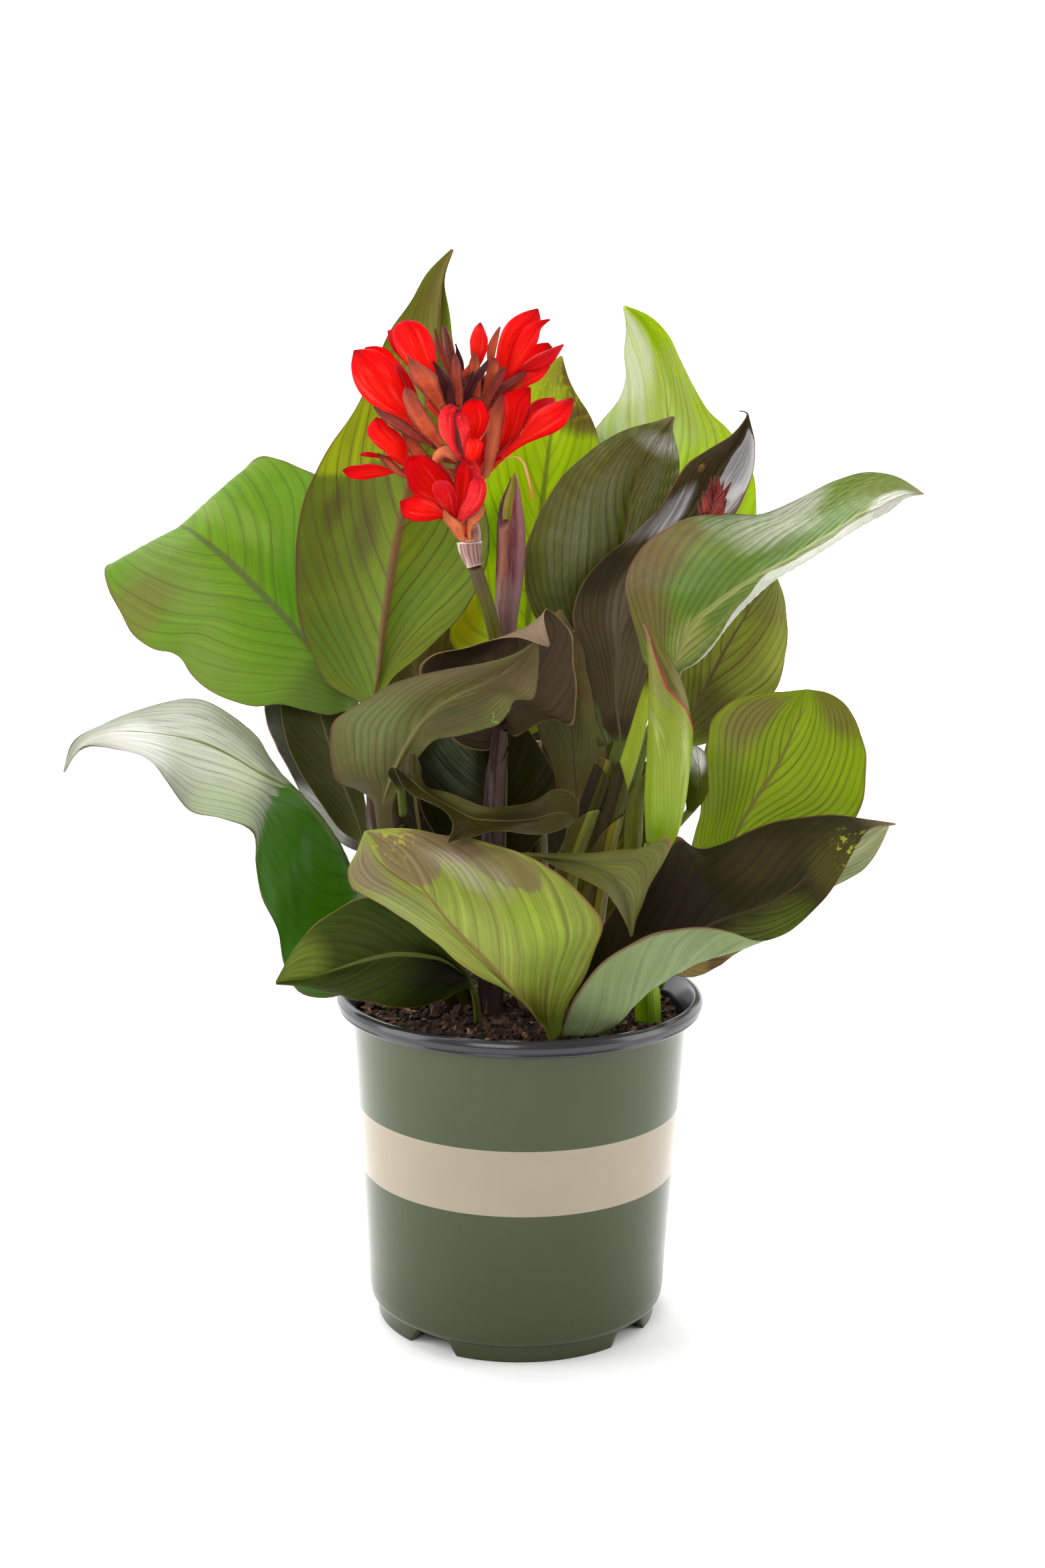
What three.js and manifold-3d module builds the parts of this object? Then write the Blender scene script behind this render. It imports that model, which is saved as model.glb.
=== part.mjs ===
// Canna lily in a round nursery pot: pot, potting soil, rhizome, sheathed stems, leaves, flower head,
// an unopened flower shoot and a young spike. Millimetres, +Z up. The origin is on the ground, under the
// middle of the plant's bounding box; the pot is a little off it because the foliage is not symmetrical.
import * as THREE from 'three';
import { mergeVertices } from 'three/addons/utils/BufferGeometryUtils.js';
import Module from 'manifold-3d';

const wasm = await Module();
wasm.setup();

// ---- driving dimensions, mm ----
const RIM_RADIUS = 112.5;          // outside of the rim lip
const POT_HEIGHT = 206;            // ground to rim top
const POT_WALL = 1.9;              // moulded wall
const BASE_LIFT = 10;              // underside of the base plate above the ground
const NOTCH_ANGLES = [-36, 54, 144, 234];   // drain notches in the foot ring, degrees from the front
const NOTCH_WIDTH = 34;            // at the ground
const NOTCH_HEIGHT = 11;
const DRAIN_RADIUS = 6;
const SOIL_TOP = 193;              // mean soil level
const SOIL_ROUGHNESS = 1.6;
const RHIZOME_DEPTH = 150;         // height of the rhizome's middle above the ground
const BLADE = 1.1;                 // leaf blade thickness
const MIDRIB = 2.4;                // leaf thickness at the midrib
const PETIOLE = 4.6;               // petiole thickness
const PETAL = 0.9;
const GAP = 0.35;                  // air left between neighbouring pieces
const OFFSET = new THREE.Vector3(16.38, -23.87, 0);   // brings the bounding box's middle over the origin

// Control nets of the leaves, mm: rows run from the petiole foot to the tip, seven points across each row
// from one margin over the midrib to the other margin. The first PETIOLE rows belong to the petiole.
const LEAVES = {
  leaf_upper_left: { petiole: 4, colour: '#5f9a1f', net: [[[-96,9.6,351],[-95.5,10,351.8],[-94.9,10.5,352.6],[-94.4,11,353.4],[-93.8,11.5,354.1],[-93.3,12,354.9],[-92.7,12.4,355.7]],[[-98.3,12.9,356.8],[-97.7,13.4,357.6],[-97.2,13.9,358.4],[-96.6,14.4,359.2],[-96,14.9,360],[-95.5,15.4,360.8],[-94.9,15.9,361.6]],[[-100.7,16.9,362.4],[-100.1,17.4,363.2],[-99.5,17.9,364.1],[-99,18.4,364.9],[-98.4,18.9,365.7],[-97.8,19.4,366.5],[-97.2,19.9,367.4]],[[-103.3,21.3,368],[-102.7,21.8,368.8],[-102.1,22.3,369.7],[-101.5,22.9,370.5],[-100.9,23.4,371.4],[-100.3,23.9,372.2],[-99.6,24.4,373.1]],[[-106.2,28.4,373.9],[-105.5,28.9,374.8],[-104.9,29.5,375.7],[-104.3,30,376.5],[-103.7,30.5,377.4],[-103,31.1,378.3],[-102.4,31.6,379.2]],[[-119.2,31.7,370.1],[-116.5,30.5,375.6],[-114,31.6,380.8],[-111.6,35,385.6],[-109.3,39.8,387.1],[-106.9,43,388.9],[-104.3,44.6,391]],[[-135.1,38.3,371.9],[-129.4,35.4,380],[-124.2,35.9,387.5],[-119.2,39.8,394.5],[-115.2,46.6,397.3],[-111.1,51.1,400.5],[-106.7,53.1,404]],[[-150.6,45.2,374.2],[-142.2,40.7,384.6],[-134.3,40.4,394.3],[-126.9,44.4,403.4],[-121.1,52,407.7],[-115,56.6,412.4],[-108.6,58.1,417.5]],[[-166.8,52.7,371.5],[-155.5,46.5,385.8],[-144.9,45.2,399.4],[-134.7,48.8,412.2],[-127,56.8,418.1],[-118.8,61.2,424.5],[-110.4,62.1,431.3]],[[-182.8,59,373.8],[-168.7,51.6,390.4],[-155.4,49.5,406.1],[-142.8,52.9,421],[-133.1,61.2,428.5],[-122.9,65.7,436.5],[-112.5,66.3,445]],[[-198,65.9,379.1],[-181.5,57.2,396.8],[-166,54.3,413.5],[-151.2,57.2,429.5],[-139.5,65.7,438.7],[-127.3,70.1,448.5],[-114.8,70.4,458.7]],[[-210.5,72.1,388.5],[-192.8,62.8,405.8],[-176.1,59.4,422],[-160.2,62.1,437.4],[-146.4,70.4,448.6],[-132,74.5,460.3],[-117.3,74.4,472.4]],[[-221,77.8,400.2],[-202.8,68.1,416.1],[-185.6,64.4,431.1],[-169.4,66.8,445.4],[-153.4,74.9,458.6],[-136.9,78.7,472.3],[-119.9,78.1,486.4]],[[-236.8,83.3,403.2],[-216.2,73.3,420.9],[-196.9,69.2,437.5],[-178.4,71.2,453.5],[-160.4,79,468.8],[-141.8,82.5,484.5],[-122.8,81.7,500.6]],[[-249.8,88.4,411.6],[-228,78.5,429],[-207.4,74.3,445.5],[-187.8,75.9,461.3],[-168.8,83.5,477.9],[-149.2,86.9,494.9],[-129.3,86.2,512.1]],[[-257.8,91.9,425.1],[-236.7,82.8,440.3],[-216.8,79.2,454.8],[-197.7,81,468.6],[-180,88.9,484.7],[-161.6,92.9,501.2],[-142.9,93.1,517.8]],[[-265.9,96.4,438.7],[-245.8,88.6,451.5],[-226.6,85.6,463.7],[-208.3,87.7,475.4],[-191.7,95.1,490.9],[-174.5,99,506.7],[-156.9,99.3,522.7]],[[-270.5,109.2,451.2],[-252.6,102.3,461.2],[-235.6,99.7,470.7],[-219.3,101.3,479.9],[-204.2,106.8,494],[-188.6,109.3,508.3],[-172.6,108.8,522.7]],[[-265.2,126.8,454],[-251.6,121.3,461.6],[-238.7,119.2,468.8],[-226.4,120.6,475.8],[-215.4,125.7,484.5],[-204.1,128.4,493.5],[-192.4,128.7,502.6]],[[-258.4,140.7,454.8],[-250.3,137.5,459.6],[-242.5,136.5,464.2],[-235.1,137.9,468.6],[-228.4,141.2,473.1],[-221.5,142.9,477.8],[-214.3,143,482.6]],[[-246.2,154,456.8],[-245.9,154,456.9],[-245.7,154,457.1],[-245.4,154,457.3],[-245.2,154,457.4],[-244.9,154,457.6],[-244.7,154,457.7]]] },
  leaf_tall_left: { petiole: 4, colour: '#6a8a2c', net: [[[-91.4,0.9,356.5],[-90.3,0.6,356.6],[-89.1,0.3,356.8],[-88,0,357],[-86.8,-0.3,357.2],[-85.7,-0.6,357.3],[-84.5,-0.9,357.5]],[[-92.5,4.7,361.9],[-91.3,4.3,362.1],[-90.2,4,362.3],[-89,3.7,362.5],[-87.8,3.4,362.6],[-86.6,3.1,362.8],[-85.4,2.8,363]],[[-93.6,8.3,367.4],[-92.4,7.9,367.6],[-91.1,7.6,367.8],[-89.9,7.3,368],[-88.7,7,368.2],[-87.5,6.7,368.3],[-86.3,6.3,368.5]],[[-94.6,11.7,373],[-93.3,11.4,373.2],[-92.1,11.1,373.4],[-90.9,10.7,373.6],[-89.6,10.4,373.7],[-88.4,10.1,373.9],[-87.1,9.7,374.1]],[[-95.2,15,378.6],[-93.9,14.7,378.8],[-92.6,14.3,379],[-91.3,14,379.2],[-90.1,13.7,379.4],[-88.8,13.3,379.6],[-87.5,13,379.7]],[[-119.3,25.9,389.6],[-109.1,26.5,391.3],[-98.7,25.1,393.3],[-88.3,21.8,395.5],[-85.6,21.7,395.2],[-82.9,19.6,395.1],[-80.1,15.6,395.4]],[[-129.1,31.9,406.2],[-115.3,33.4,407.9],[-101.3,32.1,410],[-87.1,27.8,412.5],[-80,27.5,410.3],[-72.7,24.2,408.5],[-65.3,18.1,407]],[[-137.3,37.2,423.8],[-120.3,39.4,425.3],[-103,38,427.2],[-85.6,33,429.6],[-74.4,32.9,425.9],[-63.1,29.3,422.7],[-51.6,21.9,420]],[[-140.7,42.2,442.8],[-121.8,44.7,443.7],[-102.5,43,445],[-83.1,37,446.8],[-68.4,37.7,441.9],[-53.5,34.1,437.5],[-38.6,26.3,433.5]],[[-141.3,45.9,462.3],[-121.4,48.8,462.5],[-101.2,47.1,463],[-80.7,40.8,464],[-63.5,41.8,458.7],[-46.1,38.1,453.9],[-28.7,29.8,449.6]],[[-140.2,48.2,481.9],[-119.7,52,481.3],[-98.8,50.8,481],[-77.6,44.6,481.1],[-59.5,46.1,476],[-41.1,42.6,471.4],[-22.8,34.2,467.2]],[[-136.2,51.3,501],[-115.9,55.3,499.8],[-95.2,54.2,498.8],[-74.2,48,498.2],[-57.1,49.7,493.8],[-39.8,46.3,489.7],[-22.5,37.7,486]],[[-128.5,53.5,519.1],[-109.6,57.9,517.6],[-90.2,57,516.3],[-70.6,51,515.3],[-56,53,511.4],[-41.3,49.8,507.8],[-26.5,41.4,504.5]],[[-118.8,55.7,536.2],[-101.9,60.2,534.7],[-84.7,59.6,533.5],[-67.2,53.8,532.5],[-54.8,55.9,529.1],[-42.3,52.9,525.9],[-29.7,44.8,523]],[[-107.4,57.5,552.3],[-93.2,62.1,551.3],[-78.6,61.7,550.4],[-63.8,56.4,549.6],[-53.5,58.8,546.8],[-43,56.2,544.2],[-32.5,48.7,541.7]],[[-97.9,59,569.1],[-85.8,63.5,568.3],[-73.4,63.4,567.5],[-60.8,58.6,566.8],[-52.6,61,564.5],[-44.3,58.8,562.3],[-35.9,51.9,560.3]],[[-91.4,61.4,587.6],[-80.6,65.2,586.4],[-69.5,64.8,585.2],[-58.2,60.2,584.1],[-52.4,62.9,582.2],[-46.4,61.3,580.4],[-40.3,55.5,578.6]],[[-83,63.1,605.2],[-74.2,66.4,603.9],[-65.1,66,602.6],[-56,62,601.3],[-52.6,64.8,599.8],[-49.2,64.1,598.3],[-45.6,59.7,596.7]],[[-71.4,65.7,620.8],[-65.9,68.1,620.2],[-60.2,67.6,619.4],[-54.4,64.2,618.7],[-52.5,67,617.6],[-50.4,66.8,616.5],[-48.2,63.7,615.4]],[[-62.1,67.5,637.8],[-59,69.4,637.3],[-55.9,69.2,636.6],[-52.6,67.1,636],[-52.4,69.1,635.3],[-52.1,69,634.6],[-51.8,67,633.9]],[[-47.7,73,652.6],[-47.4,73,652.4],[-47.1,73,652.3],[-46.8,73,652.2],[-46.6,73,652.1],[-46.3,73,652],[-46,73,651.9]]] },
  leaf_behind_flowers: { petiole: 4, colour: '#7fae2a', net: [[[3,45.8,356.3],[4.1,45.9,356.8],[5.2,45.9,357.3],[6.3,46,357.8],[7.3,46.1,358.3],[8.4,46.1,358.9],[9.5,46.2,359.4]],[[2.2,46.9,369.3],[3.2,46.9,369.8],[4.3,47,370.3],[5.4,47.1,370.8],[6.4,47.1,371.3],[7.5,47.2,371.8],[8.6,47.3,372.4]],[[1,47.9,382.3],[2.1,48,382.8],[3.1,48,383.3],[4.2,48.1,383.8],[5.2,48.1,384.3],[6.3,48.2,384.8],[7.3,48.3,385.3]],[[-0.5,48.9,395.2],[0.5,48.9,395.7],[1.5,49,396.2],[2.6,49.1,396.7],[3.6,49.1,397.2],[4.7,49.2,397.7],[5.7,49.2,398.2]],[[-2.5,49.8,409.3],[-1.4,49.9,409.8],[-0.4,49.9,410.3],[0.6,50,410.8],[1.6,50.1,411.2],[2.6,50.1,411.7],[3.7,50.2,412.2]],[[-21.2,54.1,402.4],[-13.6,56.1,408.6],[-5.9,56.2,415],[1.7,54.3,421.7],[5.6,56.9,420.5],[9.5,57.5,419.6],[13.4,56.1,419]],[[-37.1,56.5,404],[-23.8,60,413.2],[-10.5,60.5,422.8],[2.8,58,432.6],[9.2,61.5,430.6],[15.5,62,429],[21.9,59.6,427.6]],[[-45.9,59.5,413.4],[-29.3,63.7,423.1],[-12.7,64.2,433.2],[4,61,443.7],[12.5,65.2,441.2],[21.1,65.6,439.1],[29.6,62.5,437.3]],[[-45.1,62.5,428.3],[-28.4,67,436.8],[-11.6,67.3,445.6],[5.2,63.3,454.9],[15.3,68.1,452.1],[25.4,68.5,449.8],[35.4,64.8,447.8]],[[-38.4,64.6,442.1],[-23.5,69.5,449.7],[-8.5,69.8,457.7],[6.4,65.4,466.1],[17.6,70.5,463.4],[28.7,70.9,461.2],[39.7,66.6,459.4]],[[-32.1,66.2,455.7],[-18.9,71.5,462.4],[-5.6,72,469.7],[7.7,67.4,477.3],[19.5,72.7,474.9],[31.3,73.1,472.9],[43,68.5,471.3]],[[-29.9,68.5,470.5],[-17,74,476],[-4.1,74.4,482.1],[8.9,69.6,488.5],[21.2,75,486.4],[33.4,75.3,484.6],[45.6,70.4,483.3]],[[-29.6,71.5,485.3],[-16.4,76.8,489.7],[-3.1,76.9,494.5],[10.1,71.7,499.7],[22.5,77.1,497.9],[34.9,77.4,496.5],[47.1,72.4,495.4]],[[-28.8,73.8,500.2],[-15.5,79,503.5],[-2.1,79,507],[11.3,73.9,510.8],[23.6,79.2,509.5],[35.9,79.3,508.4],[48,74.3,507.6]],[[-27.2,76,515],[-14,81,517.1],[-0.7,81.1,519.4],[12.6,76.2,522],[24.5,81.2,521],[36.4,81.3,520.3],[48.2,76.4,519.8]],[[-23.9,78.4,529.6],[-11.3,83.1,530.6],[1.3,83.1,531.8],[13.9,78.4,533.2],[24.8,83.2,532.6],[35.7,83.3,532.1],[46.4,78.8,531.9]],[[-19.5,80.7,543.9],[-7.9,85,543.9],[3.7,85,544],[15.3,80.8,544.3],[24.7,85.2,544],[34,85.4,543.8],[43.2,81.4,543.7]],[[-12.8,83.1,557],[-3,86.9,556.4],[6.9,87,555.9],[16.7,83.4,555.5],[23.9,87.4,555.2],[31.1,87.8,554.9],[38.2,84.6,554.8]],[[-3.1,85.9,568.6],[3.9,88.9,567.9],[10.9,89,567.3],[17.9,86.2,566.7],[22.4,89.6,566],[26.9,90.1,565.4],[31.2,87.7,564.9]],[[7.9,88.7,578.7],[11.7,91,578.4],[15.5,91.4,578.1],[19.2,89.8,577.9],[21.3,92.2,577.1],[23.3,92.6,576.4],[25.3,91,575.6]],[[20,95.9,589.2],[20.2,95.9,589.1],[20.5,96,589.1],[20.8,96,589],[21.1,96,589],[21.4,96.1,588.9],[21.7,96.1,588.9]]] },
  leaf_tall_right: { petiole: 4, colour: '#8cb53c', net: [[[64.8,31.9,322.5],[65.8,31.9,322.7],[66.8,32,323],[67.9,32,323.2],[68.9,32,323.5],[69.9,32.1,323.8],[71,32.1,324]],[[69,39.7,341],[70,39.7,341.2],[71.1,39.7,341.5],[72.1,39.7,341.8],[73.2,39.8,342],[74.2,39.8,342.3],[75.3,39.8,342.6]],[[75.5,48.3,358.7],[76.5,48.4,359],[77.6,48.4,359.3],[78.7,48.4,359.5],[79.7,48.5,359.8],[80.8,48.5,360.1],[81.9,48.5,360.3]],[[83.4,57.4,376.2],[84.5,57.4,376.5],[85.6,57.4,376.8],[86.7,57.5,377],[87.8,57.5,377.3],[88.9,57.5,377.6],[89.9,57.6,377.8]],[[91.4,65.9,394.7],[92.5,65.9,395],[93.6,66,395.3],[94.7,66,395.5],[95.8,66,395.8],[96.9,66.1,396.1],[98,66.1,396.4]],[[77.9,72,400],[84.7,72.2,405.6],[90.1,72.7,408.5],[94.5,73.4,409.5],[99.4,76,409.2],[104.2,75.9,408.8],[108.9,72.9,407.8]],[[65.5,77,409.7],[77.2,77.4,418.1],[86.5,78.2,422.3],[94,79.3,423.8],[102.7,83.2,423.3],[111.6,83.2,422.3],[120.7,79.2,420.3]],[[55.4,81.3,422.8],[70.7,81.7,431.7],[83,82.4,436.4],[93.1,83.4,438.3],[105.1,88.8,437.6],[117.7,89.2,436.3],[130.8,84.5,433.8]],[[48,85.7,437.2],[65.7,85.7,445.8],[80,85.9,450.7],[91.9,86.7,452.9],[106.3,92.9,452.4],[121.6,93.3,451.5],[137.9,88,449.4]],[[42.6,89.8,452.7],[62.8,89.3,460.5],[78.5,89.3,465.3],[91.1,90,467.6],[107,96.7,467.1],[124.2,97.1,466.7],[142.9,91.3,465.8]],[[38.7,93,468.6],[60.9,92.4,475.5],[77.6,92.4,479.9],[90.5,93.1,482.3],[107.2,100.2,481.9],[125.6,100.6,482.1],[145.7,94.4,482.7]],[[36.1,95.7,484.9],[60,95.1,490.7],[77.4,95.1,494.6],[90.3,95.9,497],[107.1,103.4,497.9],[125.7,103.9,498.9],[146.1,97.6,499.9]],[[35.1,97.8,501.3],[60.4,97.2,505.8],[78.1,97.4,509.2],[90.7,98.5,511.7],[106.8,105.8,513.4],[124.5,106,515.1],[143.5,99.2,516.8]],[[34.8,99.7,517.9],[61.4,99.3,521],[78.9,99.6,523.9],[90.6,100.8,526.4],[105.1,107.7,528.4],[120.5,107.5,530.5],[136.7,100.2,532.7]],[[36.9,101,534.2],[63.1,101.1,536.2],[79.6,101.7,538.6],[89.7,103,541.2],[101.7,109.5,542.9],[113.7,109.1,544.6],[125.7,101.4,546]],[[45.9,101,547.8],[67,102.6,550.6],[80.3,103.8,553.4],[88.5,104.6,555.8],[97.4,110.6,556.8],[105.8,109.8,557.6],[113.4,102,558.1]],[[56.5,101,560.6],[71.7,104,564.7],[81.1,105.3,568],[86.7,105.7,570.5],[93,110.9,571.5],[98.8,109.7,572.2],[104,102,572.7]],[[61.7,101.9,576],[72.8,103.9,579.8],[79.7,105.6,582.8],[83.9,106.6,584.9],[88.4,111.1,586.3],[92.4,109.6,587.4],[96,102,587.8]],[[60.4,102,592],[71.6,103.9,594.5],[76.9,105.6,596.8],[79.2,107,598.8],[82.1,110.5,600.5],[85,109,601.9],[87.9,102.2,602.9]],[[61.4,103.4,608.2],[67.1,104.3,609],[70,105.6,610],[71.4,107.1,611.4],[73,109.5,612.6],[74.5,108.6,613.6],[75.7,103.9,614.4]],[[59.2,112,620.1],[59.5,112,620.2],[59.8,112,620.3],[60.1,112,620.4],[60.3,112,620.5],[60.6,112,620.7],[60.9,112,620.8]]] },
  leaf_centre_right: { petiole: 4, colour: '#3f5a2c', net: [[[46,25.6,353.5],[47.1,25.8,353.8],[48.2,25.9,354],[49.3,26,354.2],[50.4,26.1,354.5],[51.5,26.2,354.7],[52.6,26.4,354.9]],[[41.2,29.3,370.6],[42.3,29.5,370.9],[43.4,29.6,371.1],[44.5,29.7,371.3],[45.6,29.8,371.6],[46.7,29.9,371.8],[47.8,30.1,372]],[[36.5,33,387.8],[37.6,33.1,388],[38.7,33.2,388.3],[39.8,33.4,388.5],[40.9,33.5,388.7],[42,33.6,389],[43.1,33.7,389.2]],[[32.8,36.5,405.2],[33.9,36.6,405.4],[35,36.7,405.6],[36.1,36.8,405.9],[37.2,37,406.1],[38.3,37.1,406.4],[39.4,37.2,406.6]],[[31.6,40.6,423.6],[32.7,40.8,423.9],[33.8,40.9,424.1],[34.9,41,424.3],[36,41.1,424.6],[37.1,41.2,424.8],[38.2,41.4,425.1]],[[20.6,40.9,423.3],[26.2,40.1,426.7],[31.8,40.9,429.8],[37.4,43.3,432.8],[39.9,42.1,431.6],[42.5,42.2,430.2],[45.1,43.6,428.6]],[[9,42.1,427.5],[19.5,40.7,432.3],[30.1,41.8,436.8],[40.7,45.3,440.9],[44.7,43.3,438.8],[48.8,43.2,436.5],[52.9,45.1,433.9]],[[2.8,43,438.7],[16.9,41.3,442.3],[30.9,42.6,445.6],[45.1,47,448.7],[50,44.4,446.1],[55,44.2,443.2],[60.1,46.4,440.1]],[[-0.1,44.3,450.8],[16.4,42.1,453],[32.9,43.5,454.8],[49.6,48.5,456.4],[55.1,45.4,453.6],[60.8,45.1,450.5],[66.5,47.6,447.2]],[[-0.4,45.2,463.3],[17.8,42.8,463.9],[36,44.3,464.2],[54.4,49.7,464.1],[60.2,46.2,461.3],[66.1,45.8,458.1],[72.1,48.6,454.7]],[[0.9,46.2,475.7],[20.1,43.6,474.8],[39.3,45.2,473.6],[58.8,50.9,472],[64.7,47.1,469.2],[70.8,46.5,466.2],[77,49.3,462.9]],[[5.1,48.1,487.4],[23.8,45.2,485.3],[42.6,46.5,482.9],[61.5,52.2,480.1],[67.9,48.1,477.5],[74.4,47.4,474.6],[81.1,50.1,471.4]],[[10.7,49.1,498.6],[27.9,46.3,495.6],[45.2,47.7,492.4],[62.8,53.5,488.8],[69.8,49.2,486.2],[77.1,48.3,483.4],[84.5,50.9,480.2]],[[16.6,50.9,509.5],[32.2,48,505.9],[47.8,49.3,502],[63.7,54.9,497.8],[71.4,50.5,495.2],[79.2,49.4,492.4],[87.3,51.8,489.3]],[[24.3,52.6,519.3],[37.8,49.8,515.3],[51.4,51,511],[65.2,56.4,506.5],[73.2,51.9,504],[81.3,50.7,501.3],[89.6,52.8,498.4]],[[33.5,53.8,527.6],[44.8,51.4,523.6],[56.3,52.8,519.4],[68,58.2,514.9],[75.7,53.7,512.6],[83.6,52.4,510.2],[91.7,54.1,507.6]],[[43.3,54.7,535.4],[52.6,52.7,531.4],[61.9,54.2,527.3],[71.5,59.3,523],[78.8,55.4,521],[86.4,54.4,518.9],[94,56.1,516.6]],[[53.8,55.6,542.3],[61,54,538.6],[68.4,55.4,534.7],[75.9,59.9,530.8],[81.9,56.7,529.3],[87.9,55.9,527.6],[94.1,57.5,525.9]],[[65.3,56.5,547],[70.2,55.2,544.2],[75.3,56.4,541.4],[80.6,60,538.4],[84.3,57.6,537.4],[88.2,57.1,536.3],[92.2,58.5,535.1]],[[77.5,57.4,550],[80,56.6,548.7],[82.6,57.5,547.3],[85.3,60,545.9],[86.6,58.6,545.4],[88,58.5,544.8],[89.4,59.6,544.3]],[[89.2,59.8,553.8],[89.4,59.9,553.6],[89.7,59.9,553.5],[90,60,553.4],[90.2,60.1,553.2],[90.5,60.1,553.1],[90.8,60.2,553]]] },
  leaf_dark_rolled: { petiole: 4, colour: '#4a4a48', net: [[[52.3,20.2,342.2],[53.5,20.2,342.2],[54.7,20.1,342.1],[55.9,20,342.1],[57.1,19.9,342],[58.3,19.8,342],[59.5,19.8,342]],[[52.9,21,346.1],[54.2,21,346.1],[55.4,20.9,346.1],[56.6,20.8,346],[57.8,20.7,346],[59,20.6,345.9],[60.2,20.6,345.9]],[[53.8,22,350],[55.1,21.9,349.9],[56.3,21.8,349.9],[57.5,21.7,349.8],[58.8,21.6,349.8],[60,21.6,349.8],[61.2,21.5,349.7]],[[55,23,353.7],[56.2,22.9,353.7],[57.5,22.9,353.6],[58.7,22.8,353.6],[60,22.7,353.5],[61.2,22.6,353.5],[62.4,22.5,353.4]],[[56.4,24.2,357.3],[57.7,24.2,357.3],[59,24.1,357.3],[60.2,24,357.2],[61.5,23.9,357.2],[62.8,23.8,357.1],[64,23.8,357.1]],[[46.2,28.5,369.2],[50.2,28.8,369.5],[54.2,28.1,370.1],[58.1,26.5,370.7],[62.9,27.9,369.7],[67.6,28,368.9],[72.2,26.8,368.2]],[[42.7,30.1,384.6],[47.5,31.1,384.3],[52.3,30.7,384.2],[57,28.7,384.4],[63.8,30.1,383],[70.5,29.5,381.9],[77,27,381.1]],[[39.7,31.5,399.8],[45.5,33,399],[51.3,32.7,398.4],[57,30.6,398.1],[64.8,31.6,396.7],[72.5,30.2,395.5],[80,26.4,394.8]],[[35.6,32.7,414.7],[42.9,34.7,413.5],[50.2,34.5,412.6],[57.4,32.2,411.9],[65.6,32.8,410.4],[73.7,30.6,409.3],[81.6,25.6,408.6]],[[29.3,33.9,429.2],[39.1,36.2,427.6],[48.9,36.2,426.4],[58.6,33.8,425.4],[66.8,33.8,424.1],[74.7,30.7,423.1],[82.5,24.5,422.6]],[[31.4,34,444.3],[41.9,36.9,442.2],[52.4,37.3,440.3],[62.8,35.2,438.7],[70.2,34.5,437.5],[77.5,30.5,436.7],[84.5,23.1,436.2]],[[38.5,35.3,457.8],[48.5,38.2,455.4],[58.4,38.6,453.1],[68.2,36.4,451.1],[75.2,34.8,450.3],[82,29.8,449.7],[88.5,21.3,449.6]],[[49.1,36,469.3],[58.1,39.1,466.7],[67.1,39.5,464.5],[75.9,37.4,462.4],[82.1,34.7,462],[88.1,28.5,461.8],[93.8,18.9,462.1]],[[60.6,34.7,479.5],[68.7,38.4,477.3],[76.6,39.5,475.2],[84.5,38,473.4],[90.3,33.9,473.2],[95.9,26.4,473.3],[101.2,15.4,473.6]],[[71.9,32.7,490],[78.8,36.9,488],[85.6,38.6,486.2],[92.3,37.8,484.6],[98.6,32.4,484],[104.5,23.7,483.6],[110.1,11.7,483.5]],[[82.4,29.6,501.1],[88.4,34.5,499.2],[94.3,37,497.5],[100.1,37.2,495.9],[107,30.6,494.5],[113.6,21,493.5],[119.9,8.3,492.6]],[[88.9,23.6,514.5],[95.3,29.8,511.9],[101.5,34,509.5],[107.7,36,507.1],[114.7,28.8,505.6],[121.5,18.7,504.2],[127.8,5.9,503.1]],[[95.8,15.2,527.6],[102.2,23.3,524.5],[108.7,29.6,521.5],[115,34,518.5],[120.9,26.9,517.4],[126.6,17.3,516.5],[132,5.3,515.7]],[[108,10.9,536],[112.7,19,534],[117.2,25.6,532.1],[121.7,30.7,530.2],[126.4,25,529.5],[130.9,17.3,528.9],[135.1,7.6,528.4]],[[120.9,10.2,543.8],[123.5,16.4,543.2],[126,21.6,542.5],[128.4,25.9,542],[130.8,22.5,541.7],[133,17.8,541.5],[135.2,11.8,541.3]],[[130.4,17.9,554.8],[130.7,17.9,554.8],[131,18,554.7],[131.3,18,554.7],[131.6,18,554.6],[131.9,18.1,554.6],[132.2,18.1,554.5]],[[129.4,15.9,557.6],[129.7,15.9,557.5],[130,16,557.5],[130.2,16,557.5],[130.5,16,557.4],[130.7,16.1,557.4],[131,16.1,557.3]],[[125.3,13.9,558.4],[125.5,13.9,558.3],[125.8,14,558.3],[126.1,14,558.2],[126.3,14,558.2],[126.6,14.1,558.1],[126.8,14.1,558.1]]] },
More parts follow.
